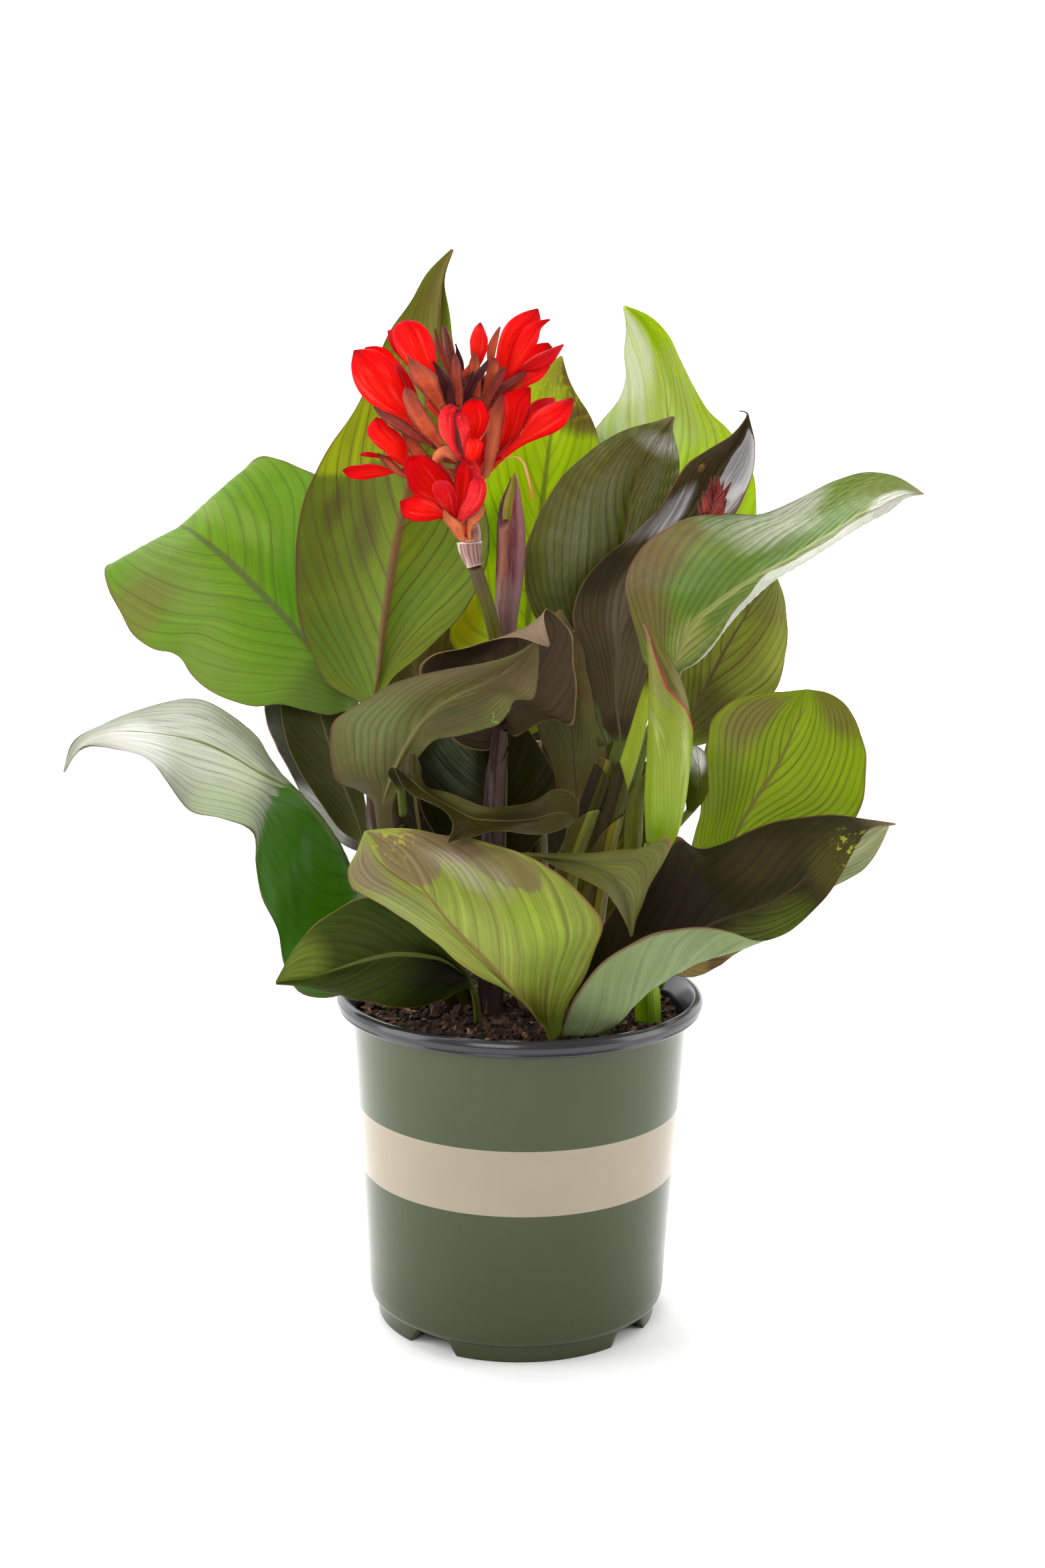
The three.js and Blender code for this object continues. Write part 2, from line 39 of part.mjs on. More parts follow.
  leaf_arching_right: { petiole: 4, colour: '#5f7d3c', folded: true, net: [[[81.5,-19.4,335.4],[82.5,-19.9,335.5],[83.4,-20.5,335.7],[84.3,-21,335.8],[85.2,-21.5,335.9],[86.1,-22.1,336.1],[87,-22.6,336.2]],[[82.7,-18.2,352.7],[83.6,-18.7,352.8],[84.5,-19.2,352.9],[85.5,-19.8,353.1],[86.4,-20.3,353.2],[87.3,-20.9,353.3],[88.2,-21.4,353.5]],[[84.2,-16.4,369.7],[85.2,-17,369.9],[86.1,-17.5,370],[87.1,-18.1,370.2],[88,-18.6,370.3],[88.9,-19.2,370.4],[89.9,-19.7,370.6]],[[85.8,-14.1,386.7],[86.7,-14.6,386.8],[87.7,-15.2,387],[88.6,-15.7,387.1],[89.6,-16.3,387.3],[90.5,-16.9,387.4],[91.5,-17.4,387.5]],[[86.1,-11.3,404.5],[87.1,-11.9,404.6],[88.1,-12.4,404.7],[89,-13,404.9],[90,-13.6,405],[91,-14.1,405.2],[91.9,-14.7,405.3]],[[72.9,-9.7,409],[79.3,-11.1,414.4],[85.5,-13.1,416.9],[91.3,-15.5,417.7],[97.8,-18.8,413.4],[100,-22.3,411.4],[99.9,-25.7,412.9]],[[67.1,-8.6,425.8],[77.6,-11.1,427.4],[87,-14.3,428.3],[95.6,-18,428.9],[104.8,-22.3,422.5],[107.7,-27.6,419.5],[107.3,-34.2,422]],[[62.3,-7.2,441.9],[78.1,-11.4,441.8],[91.3,-15.8,440.5],[101.8,-20.5,438.4],[111.1,-25.1,431.9],[113.5,-31.4,429.7],[112.7,-41.5,432.6]],[[59.5,-4.6,458.4],[81.9,-10.9,454.7],[99.4,-17,450.8],[110.9,-22.8,446.5],[118.5,-27.9,440.6],[120,-35,439.2],[118.4,-47.6,442.7]],[[65.5,-0.6,473.3],[90.2,-9.4,465.7],[108.8,-17.5,459.3],[119.9,-24.7,454],[126.1,-30.4,448.8],[127,-38.2,448.1],[124.7,-52.4,452.3]],[[77,0,485.5],[101.2,-9.6,475],[119.2,-18.4,466.6],[129.4,-26.4,460.9],[134.3,-32.8,456.6],[134.7,-41.4,456.3],[131.2,-55.8,461.5]],[[91.4,0,494.1],[113.9,-10.1,481.9],[130.4,-19.4,472.8],[139.1,-28,467.2],[142.7,-35.1,464],[142.6,-44.3,464.2],[138.7,-58.7,469.7]],[[107.6,-1.4,498.2],[127.5,-11,486.4],[142.1,-20.2,477.6],[149.4,-28.9,472.6],[152,-36.7,470],[151.6,-46.2,470.3],[148.2,-59.8,475]],[[124.2,-3,498.8],[140.6,-11.7,490.2],[152.6,-20.4,483.6],[159,-29,479],[161.6,-37.1,475.9],[161.2,-46.8,475.9],[158,-59.9,480.2]],[[141,-2.9,499.7],[153.9,-11.5,494],[163.4,-20.2,489.3],[168.6,-28.8,485.5],[170.9,-37.1,482.1],[170.4,-46.7,482],[167.2,-58.9,486.4]],[[156.8,-1.2,505.6],[167.1,-9.8,499.9],[174.6,-18.6,495.2],[178.7,-27.6,491.5],[180.4,-36.6,488.2],[179.6,-46.3,488.1],[176.5,-57,492.7]],[[171.3,0,513.8],[179.4,-8.4,507.4],[185.3,-16.8,502.1],[188.5,-25.4,497.9],[190,-33.9,494.3],[189.3,-42.9,494],[186.1,-52.4,498.8]],[[186.7,0,520.4],[192.1,-7.3,514],[196.1,-14.8,508.5],[198.7,-22.3,504],[200.2,-29.9,499.8],[199.6,-37.7,499.2],[196.7,-45.6,503.9]],[[202.6,-1,524.3],[205.5,-6.6,518.8],[207.8,-12.3,513.9],[209.5,-18.1,509.5],[210.8,-24.1,504.9],[210.5,-29.9,504],[208.2,-35.2,508.2]],[[218.8,-3.4,521.7],[219.9,-6.6,518.6],[220.8,-9.7,515.8],[221.2,-12.7,513.4],[221.4,-15.6,511],[221.1,-18.3,510.4],[220.7,-20.6,512.4]],[[233.6,-6.2,512.6],[233.6,-6.5,512.4],[233.6,-6.7,512.3],[233.7,-7,512.2],[233.7,-7.3,512],[233.7,-7.5,511.9],[233.7,-7.8,511.7]]] },
  leaf_right_shaded: { petiole: 4, colour: '#55662f', net: [[[79.3,-11.1,273.5],[80.1,-11.4,273.1],[81,-11.7,272.8],[81.9,-12,272.4],[82.8,-12.3,272],[83.6,-12.6,271.6],[84.5,-12.9,271.3]],[[81,-2.4,294],[81.9,-2.7,293.6],[82.8,-3,293.2],[83.7,-3.4,292.8],[84.7,-3.7,292.4],[85.6,-4,292],[86.5,-4.3,291.6]],[[84,6.1,314.5],[84.9,5.8,314.1],[85.8,5.4,313.7],[86.8,5.1,313.3],[87.7,4.8,312.9],[88.6,4.5,312.5],[89.6,4.1,312.1]],[[88,14.9,334.9],[89,14.6,334.5],[89.9,14.3,334.1],[90.9,13.9,333.7],[91.9,13.6,333.2],[92.8,13.2,332.8],[93.8,12.9,332.4]],[[93.3,25,355.2],[94.3,24.7,354.8],[95.3,24.3,354.4],[96.3,24,353.9],[97.3,23.7,353.5],[98.3,23.3,353.1],[99.3,23,352.7]],[[91.4,29.9,362.5],[94,30.1,361.7],[96.6,28.9,361.2],[99.1,26.5,360.9],[102,24.4,359.2],[105.1,23.5,357.4],[108.2,24,355.3]],[[89.2,33.3,371.3],[93.6,33.7,369.8],[97.8,32.1,368.6],[101.9,28.7,367.8],[106.6,25.1,364.8],[111.4,23.5,361.6],[116.4,23.9,358]],[[88.2,35.8,380.2],[93.9,36.4,378],[99.5,34.6,376.2],[104.9,30.4,374.7],[111.1,25.6,370.9],[117.5,23.3,366.8],[124.1,23.4,362.2]],[[88.1,37.5,389.5],[94.9,38.3,386.4],[101.5,36.3,383.8],[107.9,31.5,381.7],[115.4,25.8,377.2],[123.1,22.9,372.4],[131.1,22.8,367.1]],[[87.9,38.8,398.8],[95.9,39.7,395],[103.6,37.6,391.6],[111.1,32.3,388.6],[119.7,25.9,383.9],[128.4,22.5,378.7],[137.5,22.3,373]],[[87.8,39.8,408.1],[96.9,40.8,403.4],[105.8,38.6,399.2],[114.4,33,395.5],[123.9,26,390.6],[133.6,22.4,385.1],[143.5,22,379.2]],[[88.6,40.7,417.3],[98.6,41.8,411.9],[108.4,39.4,406.9],[117.9,33.6,402.4],[128.3,26.3,397.1],[139,22.4,391.4],[150,22,385.2]],[[91.6,41.4,426.5],[101.8,42.5,420.3],[111.8,40.1,414.5],[121.4,34.2,409.2],[132.2,26.7,403.9],[143.3,22.6,398.2],[154.7,22,392.1]],[[95.6,42,434.7],[105.7,43,428],[115.5,40.6,421.7],[125,34.8,415.9],[135.4,27.1,411.2],[146.1,22.9,406],[157.1,22.1,400.5]],[[101.1,42.6,442.1],[110.6,43.5,435.2],[119.9,41.1,428.6],[128.8,35.4,422.5],[138.5,27.9,418.3],[148.5,23.7,413.8],[158.8,22.9,408.9]],[[108.2,42.9,448.6],[116.6,43.7,441.7],[124.8,41.3,435.2],[132.6,35.8,429.1],[141.4,28.8,425.5],[150.5,24.8,421.6],[160,23.9,417.3]],[[115.8,42.9,453.8],[122.9,43.5,447.5],[129.7,41.3,441.5],[136.3,36.2,435.8],[144.1,29.8,432.7],[152,26.2,429.4],[160.3,25.4,425.8]],[[124.1,42.4,458.2],[129.6,42.9,452.7],[135,40.9,447.4],[140,36.5,442.4],[146.4,31.1,439.9],[153,28.2,437.2],[159.8,27.7,434.2]],[[132.7,41.7,461.4],[136.6,42,457.1],[140.3,40.4,452.9],[143.8,36.8,449],[148.7,32.7,447],[153.7,30.5,444.9],[158.9,30.3,442.5]],[[141.7,40.4,463.8],[143.9,40.6,460.9],[145.9,39.6,458.1],[147.8,37.3,455.5],[150.7,34.6,454],[153.8,33.2,452.3],[157,33.2,450.5]],[[151.3,38.3,462.4],[151.5,38.2,462.2],[151.7,38.1,462],[152,38,461.8],[152.2,37.9,461.6],[152.4,37.8,461.4],[152.6,37.7,461.2]]] },
  leaf_right_mid: { petiole: 4, colour: '#87a03a', net: [[[85.3,-17.2,244.6],[86.3,-17.2,244.6],[87.3,-17.1,244.6],[88.3,-17,244.6],[89.3,-16.9,244.6],[90.3,-16.8,244.6],[91.3,-16.8,244.6]],[[93.3,-16.8,258.3],[94.3,-16.7,258.3],[95.3,-16.6,258.3],[96.4,-16.5,258.3],[97.4,-16.5,258.3],[98.4,-16.4,258.3],[99.4,-16.3,258.3]],[[101.3,-15.9,271.7],[102.4,-15.9,271.7],[103.5,-15.8,271.7],[104.5,-15.7,271.7],[105.6,-15.6,271.7],[106.6,-15.5,271.7],[107.7,-15.4,271.7]],[[109.7,-14.4,284.8],[110.8,-14.3,284.8],[111.9,-14.2,284.8],[113,-14.1,284.8],[114.1,-14.1,284.8],[115.2,-14,284.8],[116.3,-13.9,284.8]],[[120.7,-11.3,295.4],[121.8,-11.2,295.4],[122.9,-11.1,295.4],[124.1,-11,295.4],[125.2,-10.9,295.4],[126.3,-10.8,295.4],[127.5,-10.7,295.4]],[[112.1,-12,295.9],[117.1,-9.7,297.5],[122,-9.1,299.4],[126.7,-10,301.8],[130.7,-7.7,299.3],[134.5,-7.7,297.3],[138,-10,295.9]],[[103,-12,297.7],[112.1,-8.6,300.6],[120.9,-7.6,304],[129.6,-9.1,308],[136.4,-5.7,303.6],[142.8,-5.7,299.9],[148.9,-9.2,297]],[[104.3,-12,307.8],[114,-7.7,309.3],[123.5,-6.4,311.3],[132.7,-8.2,314.1],[142.1,-4.1,308.1],[151.2,-4.2,303],[159.7,-8.7,298.8]],[[106.5,-11.9,317.6],[116.7,-6.9,317.7],[126.5,-5.3,318.5],[136,-7.3,320.1],[148,-2.7,313],[159.4,-3,306.9],[170.3,-8.3,301.9]],[[107.7,-11,327.4],[118.6,-5.6,326.1],[129.2,-4,325.7],[139.5,-6.4,326],[153.8,-1.4,318],[167.6,-2,311.1],[180.7,-7.9,305.4]],[[108.3,-9.7,337.1],[120.2,-4.2,334.5],[131.8,-2.7,332.8],[143,-5.4,331.8],[159.7,-0.3,323.2],[175.8,-0.9,315.7],[191.1,-7.4,309.3]],[[108.6,-8.4,346.8],[121.7,-2.8,342.9],[134.5,-1.5,339.9],[146.8,-4.5,337.6],[165.3,0.8,328.9],[183.2,0.2,321.4],[200.3,-6.5,315.2]],[[109.4,-7,356.4],[123.5,-1.5,351.3],[137.3,-0.3,346.9],[150.6,-3.5,343.3],[169.4,1.9,335.9],[187.6,1.2,329.6],[204.9,-5.5,324.5]],[[110.8,-5.1,366],[125.6,0.1,359.6],[140.1,1,354],[154.1,-2.5,349.1],[172.4,2.8,343.5],[190,2.1,339],[206.6,-4.7,335.6]],[[113.1,-2.5,375.1],[128.2,2,367.7],[142.9,2.5,361.1],[157.2,-1.2,355.1],[174.6,3.7,351.2],[191.3,2.8,348.4],[207.1,-3.8,346.5]],[[119.2,0.1,382.6],[133.1,4,374.9],[146.8,4,367.8],[160,0.2,361.3],[176.2,4.6,359.1],[191.7,3.6,357.8],[206.3,-2.8,357.4]],[[127.7,2.4,387.3],[139.7,5.7,380.2],[151.4,5.5,373.6],[162.6,1.7,367.6],[176.9,5.9,366.8],[190.5,5.1,366.9],[203.3,-0.6,367.8]],[[137.1,4.1,390.3],[146.8,6.8,384.3],[156.1,6.5,378.9],[165.1,3.2,373.9],[177,6.9,374.5],[188.3,6.3,375.7],[199,1.5,377.6]],[[146.9,4.9,391.2],[154.1,7.1,387.2],[161,7,383.6],[167.5,4.4,380.3],[176.4,7.4,381.7],[184.8,7.1,383.7],[192.8,3.4,386.2]],[[156.8,5.7,391.9],[161.3,7.3,389.9],[165.5,7.3,388.2],[169.6,5.7,386.7],[174.5,7.9,388],[179.1,7.8,389.6],[183.4,5.5,391.6]],[[170.3,8,393.2],[170.6,8,393.2],[170.9,8,393.2],[171.2,8,393.2],[171.5,8,393.2],[171.8,8,393.2],[172.1,8,393.2]]] },
  leaf_lower_right: { petiole: 4, colour: '#3d3a30', folded: true, net: [[[22.9,-56.5,185.2],[22.9,-57.6,185.5],[22.9,-58.8,185.7],[22.9,-60,185.9],[22.9,-61.2,186.1],[22.9,-62.4,186.3],[22.9,-63.5,186.5]],[[23.3,-57.2,188.4],[23.3,-58.4,188.6],[23.3,-59.6,188.8],[23.3,-60.8,189],[23.3,-61.9,189.2],[23.3,-63.1,189.4],[23.3,-64.3,189.6]],[[23.7,-58,191.5],[23.7,-59.1,191.7],[23.7,-60.3,191.9],[23.7,-61.5,192.1],[23.8,-62.7,192.3],[23.8,-63.9,192.5],[23.8,-65,192.7]],[[24.2,-58.7,194.6],[24.2,-59.9,194.8],[24.2,-61.1,195],[24.2,-62.2,195.2],[24.2,-63.4,195.4],[24.2,-64.6,195.6],[24.2,-65.8,195.9]],[[25.4,-59.5,197.3],[25.4,-60.6,197.5],[25.4,-61.8,197.7],[25.4,-63,197.9],[25.4,-64.2,198.1],[25.4,-65.4,198.3],[25.4,-66.5,198.5]],[[29.4,-60.2,215.2],[32.7,-60.4,212.9],[35.6,-61.1,209.6],[37.8,-62.3,205.8],[39.9,-67,200.2],[40.4,-72.2,198.3],[29.5,-74.7,217.8]],[[35.2,-57.5,231],[40.4,-58,226.5],[44.9,-59.3,221.2],[48.8,-61.3,215.3],[52.5,-69.7,207.9],[53.6,-78.9,206],[37.7,-83.2,234.4]],[[41.8,-55.2,246.5],[48.7,-55.8,239.6],[54.5,-57.6,232.7],[59,-60.3,226],[62.6,-70.7,219.3],[63.4,-82.8,218.7],[47.8,-89.8,248.5]],[[49.1,-53.7,262],[58.1,-54.4,251.8],[65.2,-56.3,243],[70.1,-59.4,235.4],[73.1,-71.7,230],[73.4,-86,230.7],[60.6,-94.1,258.8]],[[57.9,-51.9,276.3],[68.1,-52.7,263.4],[76.3,-55,252.7],[81.9,-58.5,244.1],[85.3,-72.2,238.8],[85.7,-88.2,239.8],[74.4,-97.2,266.7]],[[68.7,-49.8,289.2],[79.4,-50.8,274],[87.9,-53.5,261.6],[94.1,-57.7,252.2],[98,-72.1,246.4],[98.6,-88.6,247.3],[89.6,-97.8,270.4]],[[82.1,-47.4,299.6],[91.9,-48.6,283.7],[100.2,-51.9,270.4],[106.6,-56.8,259.8],[111.5,-71.5,252.3],[112.6,-87.4,252],[105.4,-95.5,270.7]],[[91.5,-43.4,312.4],[102.8,-45.2,293.6],[112.3,-49.8,278.2],[119.6,-55.9,266.1],[125.6,-68.8,256.5],[127.3,-82,254.6],[121.4,-89.2,266.3]],[[104.1,-39.1,304.8],[116.2,-43,291.3],[126.1,-48.6,279.8],[133.5,-55.2,270.4],[139.6,-64.8,262.1],[141.6,-73.6,258.6],[137.5,-78.7,258.6]],[[121.6,-35.4,307.8],[132,-41.3,295],[140.5,-47.5,284.3],[147.1,-53.8,275.8],[152.6,-61,269.8],[154.7,-66.5,264.8],[153.7,-68.9,260.2]],[[137,-31.7,314.9],[146,-39.2,301.8],[153.5,-46,291.2],[159.2,-52.1,283.4],[164.1,-57.7,278.4],[166.3,-61.6,274.1],[166.6,-63.5,269.5]],[[153.7,-28.5,319.3],[160.2,-37.5,308.4],[165.7,-44.8,299.6],[170.2,-50.3,293.1],[173.7,-54.2,289],[176.3,-56.8,285.1],[178.1,-58.2,280.1]],[[170.6,-26.1,321.6],[175.1,-35.5,313.2],[178.8,-42.9,306.7],[181.4,-47.8,302.2],[182.9,-50.4,299.9],[184.5,-52.3,297.4],[187.1,-54,293]],[[187.7,-26,323.1],[190,-34.9,317.7],[191.8,-41.7,313.7],[192.7,-45.7,311.4],[192.9,-47.4,310.6],[193.3,-48.6,309.7],[194.8,-49.8,306.7]],[[204.2,-29.7,321.5],[205,-35.8,319.5],[205.5,-40.4,318.3],[205.6,-42.9,318.1],[205.4,-43.8,318.7],[205.1,-44.6,319.3],[203.9,-46.3,319.3]],[[220,-40.1,321.1],[220,-40.4,321.1],[220,-40.7,321.1],[220,-41,321],[220,-41.3,321],[220,-41.6,320.9],[220,-41.9,320.9]]] },
  leaf_front: { petiole: 4, colour: '#9aac52', net: [[[17.2,-60.1,182.6],[18.3,-60.1,183],[19.4,-60,183.4],[20.5,-60,183.8],[21.7,-60,184.2],[22.8,-59.9,184.6],[23.9,-59.9,185]],[[17.2,-61.6,185.4],[18.3,-61.6,185.8],[19.5,-61.5,186.2],[20.6,-61.5,186.6],[21.7,-61.5,187],[22.8,-61.4,187.4],[24,-61.4,187.9]],[[17.2,-63.1,188.2],[18.4,-63.1,188.7],[19.5,-63,189.1],[20.6,-63,189.5],[21.7,-63,189.9],[22.9,-62.9,190.3],[24,-62.9,190.7]],[[17.3,-64.6,191.1],[18.4,-64.6,191.5],[19.5,-64.5,191.9],[20.7,-64.5,192.3],[21.8,-64.5,192.7],[22.9,-64.4,193.1],[24,-64.4,193.5]],[[17.3,-66.1,193.9],[18.4,-66.1,194.3],[19.6,-66,194.7],[20.7,-66,195.1],[21.8,-66,195.5],[23,-65.9,195.9],[24.1,-65.9,196.3]],[[12.6,-70.7,206.6],[12.9,-72.1,206.2],[13.2,-72.2,205.5],[13.4,-71,204.3],[17.7,-73,207.4],[21.9,-72.8,209.8],[26.2,-70.2,211.4]],[[4.6,-75.3,216.3],[5.4,-77.5,216.2],[6.2,-77.7,215.5],[7.1,-76,214.2],[15.6,-79,219.1],[24.1,-78.5,222.9],[32.6,-74.6,225.8]],[[-4.1,-79.7,224.7],[-2.6,-82.4,225],[-1.1,-82.6,224.6],[0.5,-80.4,223.5],[13.3,-84.2,230.3],[26.1,-83.8,235.7],[39,-79.1,240]],[[-13.8,-84.1,231.6],[-11.3,-87,232.7],[-8.9,-87.1,232.9],[-6.5,-84.4,232.3],[10.2,-88.7,241.1],[26.8,-88.1,248.5],[43.6,-82.5,254.6]],[[-23.7,-88,238.2],[-20.1,-91.2,240.1],[-16.6,-91.3,241.1],[-13.2,-88.2,241.2],[7,-92.6,252],[27,-91.4,261.3],[47.2,-84.9,269.1]],[[-33,-91.6,245.2],[-28.6,-94.9,247.6],[-24.3,-94.9,249.1],[-20,-91.6,249.7],[-0.2,-95.5,261.7],[19.6,-93.6,272.2],[39.6,-85.9,281.2]],[[-41.2,-94.9,253.7],[-36.5,-98.2,255.9],[-31.9,-98.1,257.2],[-27.3,-94.5,257.5],[-8.2,-97.3,270.3],[10.7,-94.1,281.5],[29.9,-84.9,291.3]],[[-49.6,-97.5,261.7],[-44.4,-100.8,263.9],[-39.3,-100.6,265.1],[-34.4,-97,265.4],[-16.6,-98.5,278.3],[1.1,-94,289.7],[18.9,-83.4,299.7]],[[-58.2,-99.3,269],[-52.4,-102.7,271.4],[-46.7,-102.8,272.9],[-41.1,-99.4,273.5],[-25.2,-99.3,285.7],[-9.3,-93.2,296.5],[6.7,-81.2,306.1]],[[-67.3,-100.6,275.5],[-60.5,-103.9,278.4],[-53.9,-103.8,280.4],[-47.4,-100.5,281.6],[-33.6,-99.1,292.7],[-19.9,-91.8,302.5],[-6.2,-78.8,311.1]],[[-76.7,-101,281.4],[-68.7,-104.1,285],[-61,-104.1,287.8],[-53.4,-101,289.8],[-42,-98.4,299.4],[-30.8,-90.4,307.7],[-19.5,-77,314.9]],[[-86.2,-101,287],[-77.3,-103.5,291.1],[-68.6,-103.2,294.4],[-60,-100.1,297.1],[-51,-97,304.9],[-42.1,-89,311.6],[-33.3,-76,317.4]],[[-95.7,-100.2,292.6],[-85.9,-101.9,297.1],[-76.3,-101.3,300.9],[-66.8,-98.2,304.2],[-60.1,-95.1,310.1],[-53.5,-87.7,315.1],[-47.1,-76.1,319.3]],[[-98.2,-98.2,302.3],[-89.9,-99.1,305.7],[-81.7,-98.2,308.6],[-73.6,-95.2,311],[-69.2,-93.1,315.3],[-64.9,-87.5,318.8],[-60.8,-78.6,321.6]],[[-93.6,-94.3,311.6],[-89.3,-94.6,313.7],[-85.1,-93.6,315.6],[-81,-91.3,317.1],[-78.7,-90.4,319.6],[-76.5,-87.1,321.6],[-74.5,-81.6,323.2]],[[-89.8,-87.4,322],[-89.6,-87.3,322.1],[-89.3,-87.1,322.3],[-89.1,-87,322.4],[-88.9,-86.9,322.5],[-88.7,-86.7,322.7],[-88.4,-86.6,322.8]]] },
  leaf_lower_left: { petiole: 4, colour: '#41522a', net: [[[-25.4,-38.5,200.2],[-25.4,-38.3,199.2],[-25.4,-38.2,198.1],[-25.4,-38,197.1],[-25.4,-37.8,196],[-25.5,-37.7,195],[-25.5,-37.5,193.9]],[[-25.6,-41.3,207.1],[-25.6,-41.1,206],[-25.6,-40.9,205],[-25.6,-40.8,203.9],[-25.7,-40.6,202.8],[-25.7,-40.4,201.8],[-25.7,-40.3,200.7]],[[-26.1,-44.2,213.8],[-26.1,-44,212.7],[-26.1,-43.9,211.7],[-26.1,-43.7,210.6],[-26.2,-43.5,209.5],[-26.2,-43.4,208.5],[-26.2,-43.2,207.4]],[[-27.2,-47.3,220.3],[-27.3,-47.1,219.3],[-27.3,-46.9,218.2],[-27.3,-46.8,217.2],[-27.3,-46.6,216.1],[-27.3,-46.4,215.1],[-27.4,-46.3,214]],[[-29.3,-50.5,226.8],[-29.3,-50.3,225.7],[-29.3,-50.2,224.7],[-29.3,-50,223.6],[-29.4,-49.8,222.6],[-29.4,-49.7,221.5],[-29.4,-49.5,220.5]],[[-35,-55.2,235.7],[-35,-55.6,234.4],[-35,-54.6,232.6],[-35,-52.4,230.5],[-35.1,-53.8,227.3],[-35.2,-53.9,223.8],[-35.3,-52.7,219.8]],[[-40.5,-60,245.4],[-40.6,-60.2,242.9],[-40.8,-58.5,239.8],[-41.1,-54.8,236.2],[-41.2,-56.5,230],[-41.4,-56.2,223.3],[-41.6,-54,215.9]],[[-46.5,-64.3,254.2],[-46.7,-64.4,250.2],[-47.1,-62.1,245.4],[-47.6,-57.3,240],[-47.8,-59.3,231.9],[-48.1,-58.9,223],[-48.4,-56,213.5]],[[-52.9,-68.2,262.4],[-53.3,-68.3,256.4],[-53.9,-65.6,249.7],[-54.5,-60.1,242.1],[-54.7,-62.3,232.8],[-55.1,-61.6,222.7],[-55.5,-58.2,211.8]],[[-60.2,-71.6,270],[-60.6,-71.8,262.1],[-61.2,-69,253.4],[-62,-63,243.8],[-62.1,-65.2,233.7],[-62.3,-64.4,222.7],[-62.7,-60.5,210.8]],[[-68.1,-74.7,275.8],[-68.4,-75,266.4],[-68.9,-71.9,256.1],[-69.6,-65.6,244.8],[-69.5,-68,234.7],[-69.7,-67.1,223.7],[-70,-62.9,211.6]],[[-76.9,-77.4,280.3],[-76.7,-77.6,269.4],[-76.7,-74.4,257.6],[-76.9,-67.8,244.8],[-76.8,-70.4,235.2],[-76.9,-69.7,224.6],[-77.3,-65.5,213]],[[-86.3,-79.6,282.2],[-85.4,-79.7,270.3],[-84.7,-76.4,257.5],[-84.2,-69.6,243.6],[-84,-72.6,235.1],[-84.1,-72,225.7],[-84.4,-68,215.2]],[[-95.6,-80,280.8],[-93.9,-80.5,268.9],[-92.6,-77.7,256],[-91.4,-71.4,242.1],[-91.2,-74.4,234.8],[-91.2,-74,226.6],[-91.5,-70.2,217.4]],[[-104,-80,275.9],[-101.9,-81,265],[-100.1,-78.6,253.1],[-98.5,-73,240.3],[-98.3,-75.9,234.3],[-98.3,-75.6,227.4],[-98.5,-72,219.5]],[[-112.2,-80,270.6],[-109.8,-81.2,260.7],[-107.5,-79.4,249.9],[-105.5,-74.4,238.1],[-105.3,-77.3,233.5],[-105.3,-77.1,228],[-105.6,-73.7,221.6]],[[-119.9,-80,264.6],[-117.2,-81.4,255.9],[-114.8,-79.9,246.4],[-112.6,-75.7,236.2],[-112.4,-78.4,232.9],[-112.3,-78.3,228.8],[-112.6,-75.4,223.9]],[[-126.3,-80,257],[-123.9,-81.4,250.1],[-121.7,-80.3,242.4],[-119.7,-76.8,234.1],[-119.4,-79.4,232.1],[-119.4,-79.5,229.4],[-119.6,-77.2,226]],[[-132,-80,248.8],[-130.1,-81.2,243.9],[-128.4,-80.5,238.5],[-126.9,-77.9,232.4],[-126.6,-80.1,231.5],[-126.5,-80.5,230],[-126.6,-78.9,228]],[[-136.9,-80,240.2],[-135.8,-80.9,237.6],[-134.9,-80.6,234.5],[-134.1,-79,231.2],[-133.8,-80.5,230.8],[-133.7,-80.7,230.1],[-133.7,-79.6,229]],[[-141.7,-80,231.1],[-141.6,-80,230.8],[-141.5,-80,230.5],[-141.4,-80,230.2],[-141.3,-80,230],[-141.3,-80,229.7],[-141.2,-80,229.4]]] },
